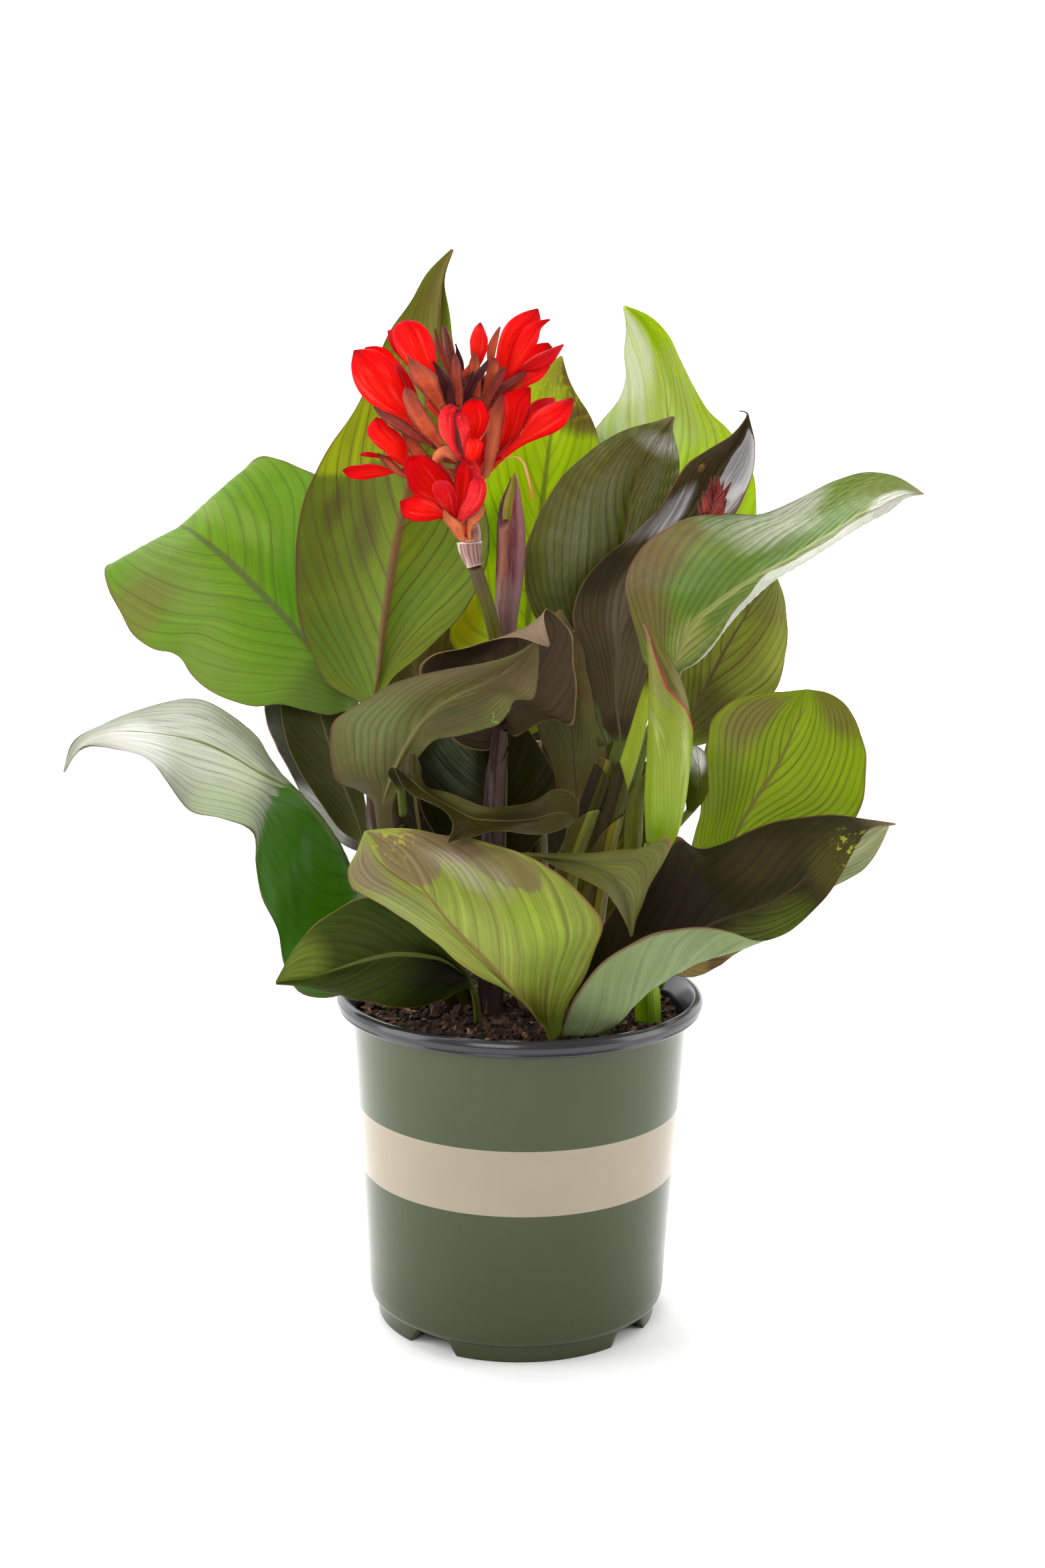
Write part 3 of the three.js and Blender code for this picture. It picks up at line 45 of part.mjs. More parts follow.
  leaf_arching_left: { petiole: 4, colour: '#4f8a22', net: [[[-79.6,-13.1,252],[-79.8,-12.7,253],[-80.1,-12.4,253.9],[-80.3,-12,254.9],[-80.5,-11.6,255.9],[-80.7,-11.3,256.9],[-81,-10.9,257.8]],[[-82.8,-15.4,254.6],[-83.1,-15,255.6],[-83.3,-14.6,256.6],[-83.5,-14.3,257.6],[-83.8,-13.9,258.6],[-84,-13.5,259.6],[-84.2,-13.1,260.6]],[[-85.9,-17.5,257.5],[-86.1,-17.1,258.5],[-86.4,-16.7,259.5],[-86.6,-16.3,260.5],[-86.8,-15.9,261.5],[-87.1,-15.6,262.5],[-87.3,-15.2,263.5]],[[-88.8,-19.4,260.4],[-89,-19,261.5],[-89.3,-18.6,262.5],[-89.5,-18.2,263.5],[-89.7,-17.9,264.5],[-90,-17.5,265.5],[-90.2,-17.1,266.6]],[[-91.5,-21.2,263.6],[-91.8,-20.8,264.6],[-92,-20.4,265.7],[-92.3,-20,266.7],[-92.5,-19.6,267.7],[-92.8,-19.2,268.8],[-93,-18.8,269.8]],[[-94.3,-30.8,245.6],[-95.3,-29.5,256.4],[-96.5,-26.5,266.9],[-97.8,-22,277],[-99,-22,277.1],[-100.3,-21,277],[-101.6,-19,276.7]],[[-93.5,-37.1,225.2],[-96.5,-35.1,246.5],[-99.6,-30.6,267.3],[-103,-23.7,287.4],[-103.3,-23.6,288.7],[-103.6,-22,289.6],[-104.1,-19,290.2]],[[-109.2,-41.9,211.7],[-108.5,-39.4,241.3],[-108,-33.8,269.9],[-107.8,-25.2,298],[-108.6,-24.7,299.5],[-109.5,-22.3,300.6],[-110.6,-18.1,301.4]],[[-130.1,-45.9,214.2],[-124.2,-43,246.3],[-118.7,-36.7,277.5],[-113.5,-26.8,307.9],[-115,-25.6,309.5],[-116.8,-22.2,310.7],[-118.7,-16.7,311.5]],[[-139.9,-48.7,231.9],[-132.9,-45.9,261.3],[-126.3,-39.1,289.6],[-120.1,-28.5,317.1],[-122.3,-26.3,319],[-124.7,-21.8,320.3],[-127.3,-14.9,321.3]],[[-142.5,-52.3,254.4],[-136.9,-49,279.2],[-131.7,-41.5,303.1],[-126.9,-29.9,326.3],[-129.7,-26.6,328.2],[-132.7,-20.9,329.7],[-136,-12.6,330.8]],[[-151.9,-55.9,274.6],[-145.7,-52,295.3],[-139.9,-43.8,315.1],[-134.5,-31.3,334.2],[-137.6,-26.5,336.7],[-140.9,-19.1,338.7],[-144.6,-9.1,340.3]],[[-155.3,-58,296.3],[-151.1,-54,311.6],[-147.3,-45.8,326.1],[-143.9,-33.1,339.9],[-146.4,-26.6,343.9],[-149.2,-17.6,347.4],[-152.3,-5.9,350.5]],[[-155.8,-56.5,315.1],[-154.9,-53.5,326],[-154.4,-46.1,336],[-154.5,-34.5,345.3],[-156.1,-26.1,351.2],[-158.1,-15.2,356.7],[-160.4,-1.7,361.9]],[[-175,-56,322.3],[-173.5,-50.5,333.6],[-172.5,-40.9,344.1],[-172.1,-27.2,354.1],[-173.3,-18.9,361],[-175,-8.1,367.6],[-176.9,5.2,373.9]],[[-193.4,-55.9,326.5],[-191.6,-49.2,338.7],[-190.4,-38.5,350.3],[-189.6,-24,361.3],[-191.3,-15.4,368.5],[-193.3,-4.5,375.4],[-195.7,8.7,382.1]],[[-204.9,-55,342.1],[-205.4,-48.2,350.4],[-206.5,-37.9,358.2],[-208.1,-24,365.4],[-210.3,-15.8,370.7],[-212.8,-5.6,375.7],[-215.6,6.9,380.5]],[[-217.8,-53.7,356.3],[-220,-48.4,360.7],[-222.8,-40,364.7],[-226.2,-28.5,368.1],[-228.3,-21.9,371.1],[-230.8,-13.4,373.9],[-233.6,-3.1,376.4]],[[-236,-52,361.6],[-238.1,-48.9,364.4],[-240.7,-43.4,366.8],[-243.8,-35.5,368.8],[-245.4,-31.1,369.6],[-247.4,-25.3,370.2],[-249.6,-18.1,370.6]],[[-255.4,-52,363],[-256.4,-51.9,363.4],[-257.7,-50.2,363.5],[-259.4,-46.9,363.4],[-260.5,-45.4,363.8],[-261.8,-42.9,364.1],[-263.3,-39.5,364.3]],[[-265.5,-56.8,348.6],[-265.7,-56.5,348.7],[-265.9,-56.3,348.7],[-266,-56,348.7],[-266.2,-55.7,348.7],[-266.3,-55.5,348.8],[-266.5,-55.2,348.8]]] },
  leaf_drooping_left: { petiole: 4, colour: '#33452c', rows: 6, net: [[[-86.4,-7.8,280.5],[-85.7,-7.8,280.9],[-84.9,-7.9,281.3],[-84.2,-8,281.7],[-83.4,-8.1,282.2],[-82.7,-8.2,282.6],[-81.9,-8.2,283]],[[-89.5,-5.7,284.3],[-88.8,-5.8,284.8],[-88,-5.9,285.2],[-87.2,-6,285.6],[-86.5,-6,286.1],[-85.7,-6.1,286.5],[-84.9,-6.2,286.9]],[[-92.6,-3.7,288.3],[-91.8,-3.8,288.7],[-91,-3.8,289.1],[-90.2,-3.9,289.6],[-89.4,-4,290],[-88.7,-4.1,290.5],[-87.9,-4.2,290.9]],[[-95.5,-1.7,292.2],[-94.8,-1.8,292.7],[-94,-1.9,293.1],[-93.2,-2,293.6],[-92.4,-2,294],[-91.6,-2.1,294.5],[-90.8,-2.2,294.9]],[[-98.5,0.3,296.2],[-97.7,0.2,296.7],[-96.9,0.1,297.2],[-96.1,0,297.6],[-95.3,-0.1,298.1],[-94.5,-0.2,298.5],[-93.6,-0.3,299]],[[-106.1,4.3,299.8],[-103.7,5.6,300.9],[-101.3,5.7,302.3],[-98.7,4.5,304],[-97.3,4,304.8],[-95.9,3.5,305.6],[-94.5,3,306.4]],[[-112.7,7.7,304.6],[-109.1,10.1,306.1],[-105.4,10.5,308],[-101.5,9,310.3],[-99.5,8.5,311.3],[-97.5,8.1,312.2],[-95.4,7.6,313.2]],[[-118.1,11.6,310.4],[-113.8,14.7,311.9],[-109.2,15.3,314],[-104.4,13.5,316.6],[-101.8,13.2,317.7],[-99.1,12.9,318.8],[-96.4,12.6,319.9]],[[-123,15.4,316.7],[-118.2,19.1,318.2],[-113,20,320.3],[-107.7,18.1,322.9],[-104.3,17.8,324.2],[-100.9,17.6,325.4],[-97.6,17.4,326.7]],[[-128,19.4,323],[-122.6,23.6,324.4],[-116.9,24.7,326.5],[-110.9,22.7,329.1],[-107,22.4,330.6],[-103,22.1,332.1],[-99.1,21.7,333.6]],[[-133.3,24.3,329],[-127.1,28.7,330.5],[-120.6,29.8,332.7],[-113.9,27.5,335.5],[-109.6,27,337.1],[-105.2,26.5,338.8],[-100.9,26,340.4]],[[-138.2,29.3,335.1],[-131.4,33.7,336.8],[-124.2,34.8,339],[-116.7,32.5,341.9],[-112.1,31.8,343.7],[-107.5,31.1,345.5],[-102.9,30.5,347.3]],[[-141.9,34.1,342.2],[-134.8,38.7,343.6],[-127.3,39.8,345.7],[-119.5,37.4,348.4],[-114.6,36.7,350.3],[-109.8,35.9,352.2],[-104.9,35.2,354.1]],[[-146,39.2,349.1],[-138.4,43.7,350.4],[-130.5,44.8,352.4],[-122.3,42.4,355],[-117.2,41.6,357],[-112.1,40.8,358.9],[-107.1,40,360.9]],[[-148.9,45.5,356.2],[-141.3,49.5,357.4],[-133.2,50.1,359.3],[-124.9,47.4,361.6],[-119.8,46.6,363.6],[-114.7,45.8,365.6],[-109.5,45,367.6]],[[-151,52.1,363.6],[-143.5,55.3,364.7],[-135.6,55.4,366.3],[-127.4,52.4,368.3],[-122.4,51.7,370.3],[-117.4,50.9,372.3],[-112.4,50.2,374.2]],[[-152.4,57.8,371.3],[-145.1,60.6,372.1],[-137.6,60.5,373.4],[-129.7,57.6,375.1],[-125,56.9,377],[-120.3,56.2,378.9],[-115.6,55.5,380.8]],[[-152.4,62.4,379.3],[-145.8,64.9,379.9],[-139,65,380.7],[-131.9,62.7,382],[-127.6,62,383.8],[-123.3,61.3,385.5],[-119.1,60.6,387.3]],[[-151.8,66.4,387.3],[-146.1,68.7,387.6],[-140.2,69.1,388.1],[-134.1,67.5,389],[-130.3,66.9,390.6],[-126.6,66.2,392.2],[-122.8,65.6,393.8]],[[-149.7,70.3,395],[-145.3,72.1,395.1],[-140.9,72.7,395.5],[-136.3,71.9,396],[-133.3,71.5,397.2],[-130.3,71.1,398.4],[-127.3,70.7,399.7]],[[-139.4,76,402.9],[-139.1,76,403],[-138.8,76,403],[-138.5,76,403.1],[-138.2,76,403.2],[-137.9,76,403.2],[-137.6,76,403.3]]] },
  leaf_behind_left: { petiole: 4, colour: '#7d7f78', rows: 6, net: [[[-77.1,3.6,260.7],[-76.5,3.7,261.3],[-75.8,3.9,261.8],[-75.1,4,262.3],[-74.5,4.1,262.9],[-73.8,4.3,263.4],[-73.1,4.4,263.9]],[[-81.2,7.9,267],[-80.5,8,267.6],[-79.8,8.2,268.1],[-79.1,8.3,268.7],[-78.4,8.4,269.2],[-77.7,8.6,269.7],[-77,8.7,270.3]],[[-85.5,12,273.2],[-84.8,12.1,273.7],[-84.1,12.3,274.3],[-83.4,12.4,274.8],[-82.7,12.5,275.4],[-82.1,12.7,275.9],[-81.4,12.8,276.5]],[[-90.3,15.9,279.1],[-89.6,16,279.7],[-88.9,16.2,280.2],[-88.2,16.3,280.8],[-87.5,16.4,281.3],[-86.8,16.6,281.9],[-86.1,16.7,282.5]],[[-95.6,19.6,284.9],[-94.8,19.7,285.4],[-94.1,19.9,286],[-93.4,20,286.6],[-92.7,20.1,287.1],[-91.9,20.3,287.7],[-91.2,20.4,288.3]],[[-104.1,22.6,287.1],[-102.3,24.2,288.6],[-100.3,24.8,290.3],[-98.3,24.4,292.2],[-96.6,25.5,293.2],[-94.9,25.6,294.4],[-93.1,24.7,295.9]],[[-112.1,25.5,290.7],[-109.2,28.1,292.8],[-106.1,29.3,295.3],[-103,29,298],[-100.3,30.6,299.3],[-97.5,30.8,300.8],[-94.6,29.4,302.6]],[[-118.5,28.7,295.9],[-115,32.3,298.2],[-111.3,34,300.9],[-107.5,33.8,304],[-103.9,35.8,305.4],[-100.1,35.9,307.2],[-96.3,34.2,309.3]],[[-124.3,32.3,302.8],[-120.3,36.6,304.7],[-116.1,38.8,307.2],[-111.8,38.8,310.1],[-107.4,41,311.6],[-102.8,41,313.6],[-98.1,38.9,316]],[[-130.2,36.5,309.2],[-125.6,41.4,311.1],[-120.8,44,313.4],[-115.8,44.2,316.3],[-110.8,46.4,318],[-105.6,46.2,320.1],[-100.3,43.8,322.7]],[[-136.1,41.2,315.5],[-130.9,46.5,317.4],[-125.4,49.3,319.8],[-119.7,49.7,322.7],[-114.2,51.8,324.4],[-108.5,51.4,326.7],[-102.6,48.6,329.4]],[[-141.2,46.2,322.3],[-135.6,51.7,324.1],[-129.6,54.6,326.4],[-123.5,55,329.1],[-117.5,57,331],[-111.4,56.5,333.3],[-105,53.3,336.1]],[[-145.8,50.6,329.6],[-139.9,56.3,331.2],[-133.7,59.5,333.2],[-127.2,60.1,335.7],[-120.9,62,337.6],[-114.4,61.4,340],[-107.6,58.1,342.8]],[[-150.3,55.1,337],[-144.1,61,338.3],[-137.6,64.4,340.1],[-130.8,65.2,342.4],[-124.2,67,344.3],[-117.4,66.1,346.7],[-110.5,62.7,349.5]],[[-155.2,60.4,344.1],[-148.5,66.1,345.4],[-141.5,69.4,347.1],[-134.2,70.2,349.2],[-127.5,71.8,351.1],[-120.6,70.8,353.4],[-113.5,67.4,356.1]],[[-159.9,66.6,351.4],[-152.7,71.8,352.6],[-145.2,74.7,354.1],[-137.5,75.2,356.1],[-130.8,76.5,357.9],[-124,75.5,360.1],[-116.9,72.1,362.6]],[[-163.4,73.7,359],[-156,78,360],[-148.4,80.2,361.4],[-140.6,80.3,363.1],[-134.2,81.2,364.8],[-127.5,80.1,366.7],[-120.7,76.7,369]],[[-165.1,80.9,367.1],[-158.1,84.1,367.9],[-150.9,85.6,368.9],[-143.6,85.2,370.2],[-137.5,85.7,371.6],[-131.3,84.5,373.2],[-125,81.4,375.2]],[[-164.3,86.1,375.7],[-158.5,88.7,376.1],[-152.5,89.9,376.7],[-146.4,89.6,377.5],[-141,89.8,378.4],[-135.5,88.6,379.5],[-129.9,86,380.8]],[[-161.9,90.8,383.6],[-157.8,92.7,383.9],[-153.5,93.6,384.3],[-149.1,93.5,384.9],[-144.7,93.5,385.2],[-140.1,92.5,385.6],[-135.5,90.5,386.1]],[[-152.6,97,392.3],[-152.3,97,392.4],[-152,97,392.4],[-151.7,97,392.4],[-151.4,97,392.4],[-151.1,97,392.5],[-150.8,97,392.5]]] },
  leaf_curled_centre: { petiole: 4, colour: '#6a7450', net: [[[-83.5,-27.2,302.1],[-82,-27.8,302.4],[-80.5,-28.4,302.6],[-78.9,-29,302.9],[-77.4,-29.6,303.2],[-75.9,-30.2,303.4],[-74.3,-30.8,303.7]],[[-85.2,-27.7,308.5],[-83.6,-28.3,308.8],[-81.9,-29,309.1],[-80.3,-29.6,309.4],[-78.6,-30.3,309.6],[-77,-30.9,309.9],[-75.3,-31.6,310.2]],[[-86.4,-27.9,314.9],[-84.7,-28.6,315.2],[-82.9,-29.3,315.5],[-81.1,-30,315.8],[-79.4,-30.7,316.1],[-77.6,-31.4,316.4],[-75.9,-32.1,316.7]],[[-87.1,-27.8,321.2],[-85.3,-28.5,321.5],[-83.4,-29.3,321.8],[-81.5,-30,322.2],[-79.6,-30.7,322.5],[-77.8,-31.5,322.8],[-75.9,-32.2,323.1]],[[-87.7,-26.6,328.1],[-85.7,-27.4,328.5],[-83.7,-28.2,328.8],[-81.7,-29,329.2],[-79.7,-29.8,329.5],[-77.7,-30.6,329.9],[-75.8,-31.4,330.2]],[[-99.7,-19.4,334.1],[-92.7,-25.3,335.8],[-85.9,-29.2,337.1],[-79.2,-31.2,338],[-76.8,-30.9,338.3],[-74.4,-30.7,338.6],[-71.9,-30.4,338.9]],[[-110.8,-19,338],[-98.9,-26.6,341.4],[-87.5,-31.3,344.2],[-76.2,-33.1,346.5],[-73.4,-33,346.9],[-70.6,-32.9,347.4],[-67.8,-32.8,347.8]],[[-114.4,-20.5,349.9],[-100.1,-28.9,352.1],[-86.2,-33.8,353.7],[-72.6,-34.9,354.6],[-69.1,-35,354.9],[-65.5,-35.1,355.1],[-62,-35.2,355.3]],[[-114.5,-22.1,362.4],[-98.8,-31,363.2],[-83.5,-35.7,363.2],[-68.6,-36.2,362.5],[-64.5,-36.9,362.8],[-60.5,-37.6,363],[-56.4,-38.3,363.2]],[[-112.1,-25.8,375],[-95.8,-34.1,374.2],[-80,-37.9,372.5],[-64.5,-36.9,370.2],[-59.5,-38.2,369.6],[-54.4,-39.6,369.1],[-49.4,-40.9,368.6]],[[-102.7,-31,383.5],[-88,-38.2,382.2],[-73.7,-40.5,380.2],[-59.7,-37.8,377.4],[-53.1,-39.6,374.9],[-46.6,-41.4,372.5],[-40.1,-43.3,370]],[[-92,-35.4,390],[-79,-41.4,388.7],[-66.3,-42.3,386.6],[-53.9,-38,383.6],[-46.4,-40.4,380],[-38.8,-42.9,376.3],[-31.3,-45.3,372.6]],[[-82,-38.8,397.4],[-70.2,-43.7,395.4],[-58.6,-43.5,392.5],[-47.3,-38,388.9],[-39,-40.8,384.3],[-30.7,-43.7,379.8],[-22.5,-46.5,375.3]],[[-71.1,-42,402.8],[-60.5,-45.8,400.4],[-50.2,-44.5,397.2],[-40,-38,393.2],[-31.4,-41,388.2],[-22.8,-44,383.3],[-14.2,-47,378.4]],[[-59.7,-44.6,406.6],[-50.5,-47.3,404.2],[-41.4,-45.1,400.9],[-32.5,-37.9,397],[-24.6,-40.9,393.2],[-16.8,-43.8,389.4],[-9,-46.8,385.6]],[[-48.2,-46.2,409.5],[-40.3,-47.9,407.1],[-32.5,-45,404.1],[-24.8,-37.3,400.3],[-18.1,-40.2,397.8],[-11.5,-43.1,395.3],[-4.9,-46,392.8]],[[-36.7,-46.9,411.7],[-30.2,-47.9,409.8],[-23.7,-44.5,407.2],[-17.3,-37,404.1],[-10,-40.3,400.4],[-2.6,-43.6,396.7],[4.7,-46.9,393]],[[-25.2,-46.8,413.9],[-20.2,-47.2,412.7],[-15.2,-43.9,410.9],[-10.3,-37,408.7],[-4.4,-39.9,405.6],[1.5,-42.8,402.6],[7.4,-45.8,399.6]],[[-13.8,-45.8,416.4],[-10.4,-45.8,416],[-7,-42.8,415.1],[-3.6,-37,413.9],[0.4,-38.8,412.1],[4.4,-40.7,410.4],[8.4,-42.5,408.7]],[[-2.9,-42.7,420.3],[-1.2,-42.9,420.4],[0.5,-41,420.2],[2.2,-37.3,419.8],[4.4,-38.1,419],[6.6,-38.8,418.1],[8.7,-39.6,417.3]],[[6.6,-38.2,426.7],[6.9,-38.2,426.7],[7.2,-38.1,426.6],[7.5,-38,426.5],[7.8,-37.9,426.4],[8,-37.8,426.4],[8.3,-37.8,426.3]]] },
  leaf_folded_flap: { petiole: 0, colour: '#463c33', folded: true, rows: 16, net: [[[-13.2,-3.4,364.5],[-12.6,-3.7,366.4],[-11.9,-4.2,368.3],[-11.2,-5,370.2],[-10.6,-4.7,369.1],[-9.9,-4.1,367.9],[-9.2,-3.2,366.7]],[[-17.9,-3.1,356.7],[-15.7,-3.9,362.9],[-13.5,-5.6,369.2],[-11.3,-8.3,375.6],[-9,-7.3,371.9],[-6.8,-5.4,368],[-4.6,-2.5,363.9]],[[-26.6,-3,355],[-21.5,-4.2,363.5],[-16.4,-6.9,372.1],[-11.3,-11,380.9],[-6.2,-9.1,377.1],[-1.1,-5.6,372.9],[4.1,-0.7,368.5]],[[-37.2,-3.3,358.4],[-28.5,-4.7,367.4],[-19.8,-7.8,376.6],[-11.2,-12.8,386],[-3.7,-10,382.1],[4,-5.4,377.8],[11.6,1.1,373.2]],[[-45.3,-4.8,365.8],[-33.7,-5.8,374],[-22.1,-8.9,382.4],[-10.6,-14.2,391.1],[-0.2,-10.3,385.5],[10.3,-4.3,379.6],[20.9,3.8,373.2]],[[-51.5,-7.7,375.4],[-37.5,-7.9,382],[-23.5,-10.4,388.8],[-9.6,-15.2,396],[3.1,-9.8,387.6],[15.9,-2.1,378.8],[29,8,369.5]],[[-56.5,-11.1,385.6],[-40.5,-10.3,390.3],[-24.5,-12,395.4],[-8.5,-16.1,400.8],[4.6,-10.6,394],[18,-2.5,386.7],[31.5,8,378.9]],[[-60.5,-15.4,396.3],[-42.8,-13.3,399],[-25.1,-13.8,402.1],[-7.3,-16.8,405.6],[5.6,-11.4,400.3],[18.6,-3.3,394.6],[31.9,7.3,388.4]],[[-61.6,-20.4,407.6],[-43.1,-16.8,408.1],[-24.5,-15.8,409],[-5.9,-17.4,410.3],[6.2,-12.3,406.5],[18.5,-4.6,402.4],[31,5.7,397.8]],[[-54.7,-23,414.6],[-38,-18.8,414.3],[-21.2,-17.1,414.4],[-4.3,-18.1,414.9],[7,-13.4,412.7],[18.4,-6.1,410.2],[30,3.7,407.2]],[[-43.5,-24.1,417.7],[-29.9,-19.8,417.9],[-16.1,-18,418.4],[-2.3,-18.7,419.3],[8.1,-14.4,418.7],[18.6,-7.6,417.9],[29.2,1.6,416.7]],[[-33.3,-24.7,420.6],[-22.3,-20.6,421.3],[-11.2,-18.8,422.3],[-0.1,-19.3,423.6],[9.3,-15.4,424.7],[18.8,-9.2,425.6],[28.4,-0.7,426.1]],[[-23,-25.3,423.6],[-14.8,-21.6,424.9],[-6.5,-20.1,426.5],[1.9,-20.6,428.3],[8.8,-17.8,430.4],[15.8,-12.9,432.1],[22.9,-5.9,433.6]],[[-12.5,-27.3,426.6],[-7.2,-24.3,428.9],[-1.9,-23.2,431.4],[3.4,-23.9,434.1],[7.4,-23.2,436.7],[11.4,-20.6,439.2],[15.5,-16.3,441.4]],[[-4,-34.7,427.9],[-0.8,-31.9,429.9],[2.4,-30.6,432.1],[5.5,-30.8,434.5],[7.7,-32.1,437.7],[9.8,-32,440.8],[12,-30.4,443.7]],[[3.1,-42.6,427.2],[4.9,-41,428.2],[6.8,-40.5,429.3],[8.7,-40.9,430.5],[9.5,-41.9,433.1],[10.4,-41.9,435.6],[11.2,-41,438]],[[13.9,-47.1,423.9],[14,-47.1,424.2],[14.2,-47,424.4],[14.4,-47,424.6],[14.6,-47,424.9],[14.8,-46.9,425.1],[14.9,-46.9,425.3]]] },
  leaf_inner_right: { petiole: 4, colour: '#55503e', net: [[[20.3,27.5,263.8],[21.3,27.3,264],[22.3,27.2,264.2],[23.2,27,264.4],[24.2,26.8,264.6],[25.2,26.7,264.8],[26.1,26.5,265]],[[23.1,27,277.2],[24.1,26.8,277.3],[25.1,26.6,277.5],[26,26.5,277.7],[27,26.3,277.9],[28,26.1,278.1],[29,26,278.3]],[[25.8,26.5,290.4],[26.8,26.3,290.6],[27.8,26.1,290.8],[28.8,26,291],[29.8,25.8,291.2],[30.8,25.6,291.4],[31.8,25.5,291.6]],[[28.3,26,303.7],[29.4,25.8,303.9],[30.4,25.6,304.1],[31.4,25.5,304.3],[32.4,25.3,304.5],[33.4,25.1,304.7],[34.4,25,304.9]],[[30.8,25.5,316.8],[31.8,25.3,317],[32.9,25.2,317.2],[33.9,25,317.5],[34.9,24.8,317.7],[36,24.7,317.9],[37,24.5,318.1]],[[24.6,26.6,323.5],[27.5,26.9,323.9],[30.4,26.4,324.4],[33.2,25.3,325],[35.7,25.5,325.5],[38.1,25.1,326],[40.5,24,326.6]],[[21.2,27.3,330.5],[25,27.7,331],[28.8,27.2,331.7],[32.6,25.7,332.6],[36.3,26.1,332.9],[40,25.5,333.3],[43.6,24,333.9]],[[19.3,27.9,338.6],[23.5,28.5,338.9],[27.7,27.8,339.4],[31.9,26,340.2],[37.3,26.5,340.1],[42.6,25.9,340.3],[47.9,24,340.7]],[[16.1,28.4,346.1],[21.2,29.1,346.4],[26.3,28.4,347],[31.3,26.3,347.8],[38.1,26.9,347.5],[44.9,26.2,347.5],[51.5,24,347.7]],[[12.4,28.8,353.4],[18.5,29.6,353.8],[24.6,28.9,354.4],[30.7,26.6,355.3],[37.4,27.3,355.1],[44.1,26.4,355.2],[50.7,24,355.6]],[[9.7,29.2,361.1],[16.5,30.1,361.4],[23.3,29.3,362],[30.1,26.9,362.9],[36,27.6,362.6],[41.9,26.6,362.7],[47.8,24,363]],[[7.4,29.6,369],[14.7,30.5,369.2],[22.1,29.7,369.6],[29.4,27.2,370.4],[34.6,27.8,370.1],[39.7,26.8,370],[44.8,24,370.3]],[[6,30,377],[13.5,30.9,377],[21.1,30,377.3],[28.6,27.4,377.9],[33.6,28,377.7],[38.6,26.9,377.8],[43.5,24,378.1]],[[5.4,30.4,385.1],[12.9,31.2,384.9],[20.4,30.3,385],[27.8,27.6,385.4],[32.6,28.1,385.3],[37.3,26.9,385.5],[42,24,385.9]],[[5,30.7,393.2],[12.4,31.5,392.9],[19.7,30.5,392.7],[27.1,27.9,392.9],[31.5,28.3,392.9],[35.8,27,393.1],[40.1,24,393.6]],[[4.9,31.3,401.3],[12.1,31.8,400.8],[19.3,30.9,400.4],[26.4,28.3,400.3],[30.4,28.5,400.4],[34.4,27,400.8],[38.3,24,401.3]],[[5.8,32,409.4],[12.5,32.4,408.7],[19.2,31.3,408.1],[25.9,28.9,407.8],[29.6,28.8,408],[33.4,27.4,408.5],[37.1,24.5,409.1]],[[7.3,32.9,417.2],[13.3,33,416.4],[19.3,31.9,415.7],[25.3,29.6,415.2],[28.6,29.4,415.4],[31.9,27.9,415.9],[35.2,25.2,416.4]],[[10.1,33.8,424.6],[15,33.7,423.8],[19.8,32.6,423.1],[24.6,30.6,422.5],[26.8,30.1,422.6],[28.8,28.7,422.7],[30.9,26.3,423]],[[14.8,34.9,431.4],[17.8,34.6,430.8],[20.9,33.7,430.3],[24,32.2,429.8],[25,31.8,429.7],[26.1,30.8,429.5],[27.1,29.1,429.5]],[[21.5,35.4,436.9],[21.8,35.3,436.9],[22,35.1,436.8],[22.3,35,436.8],[22.6,34.9,436.8],[22.9,34.7,436.7],[23.1,34.6,436.7]]] },
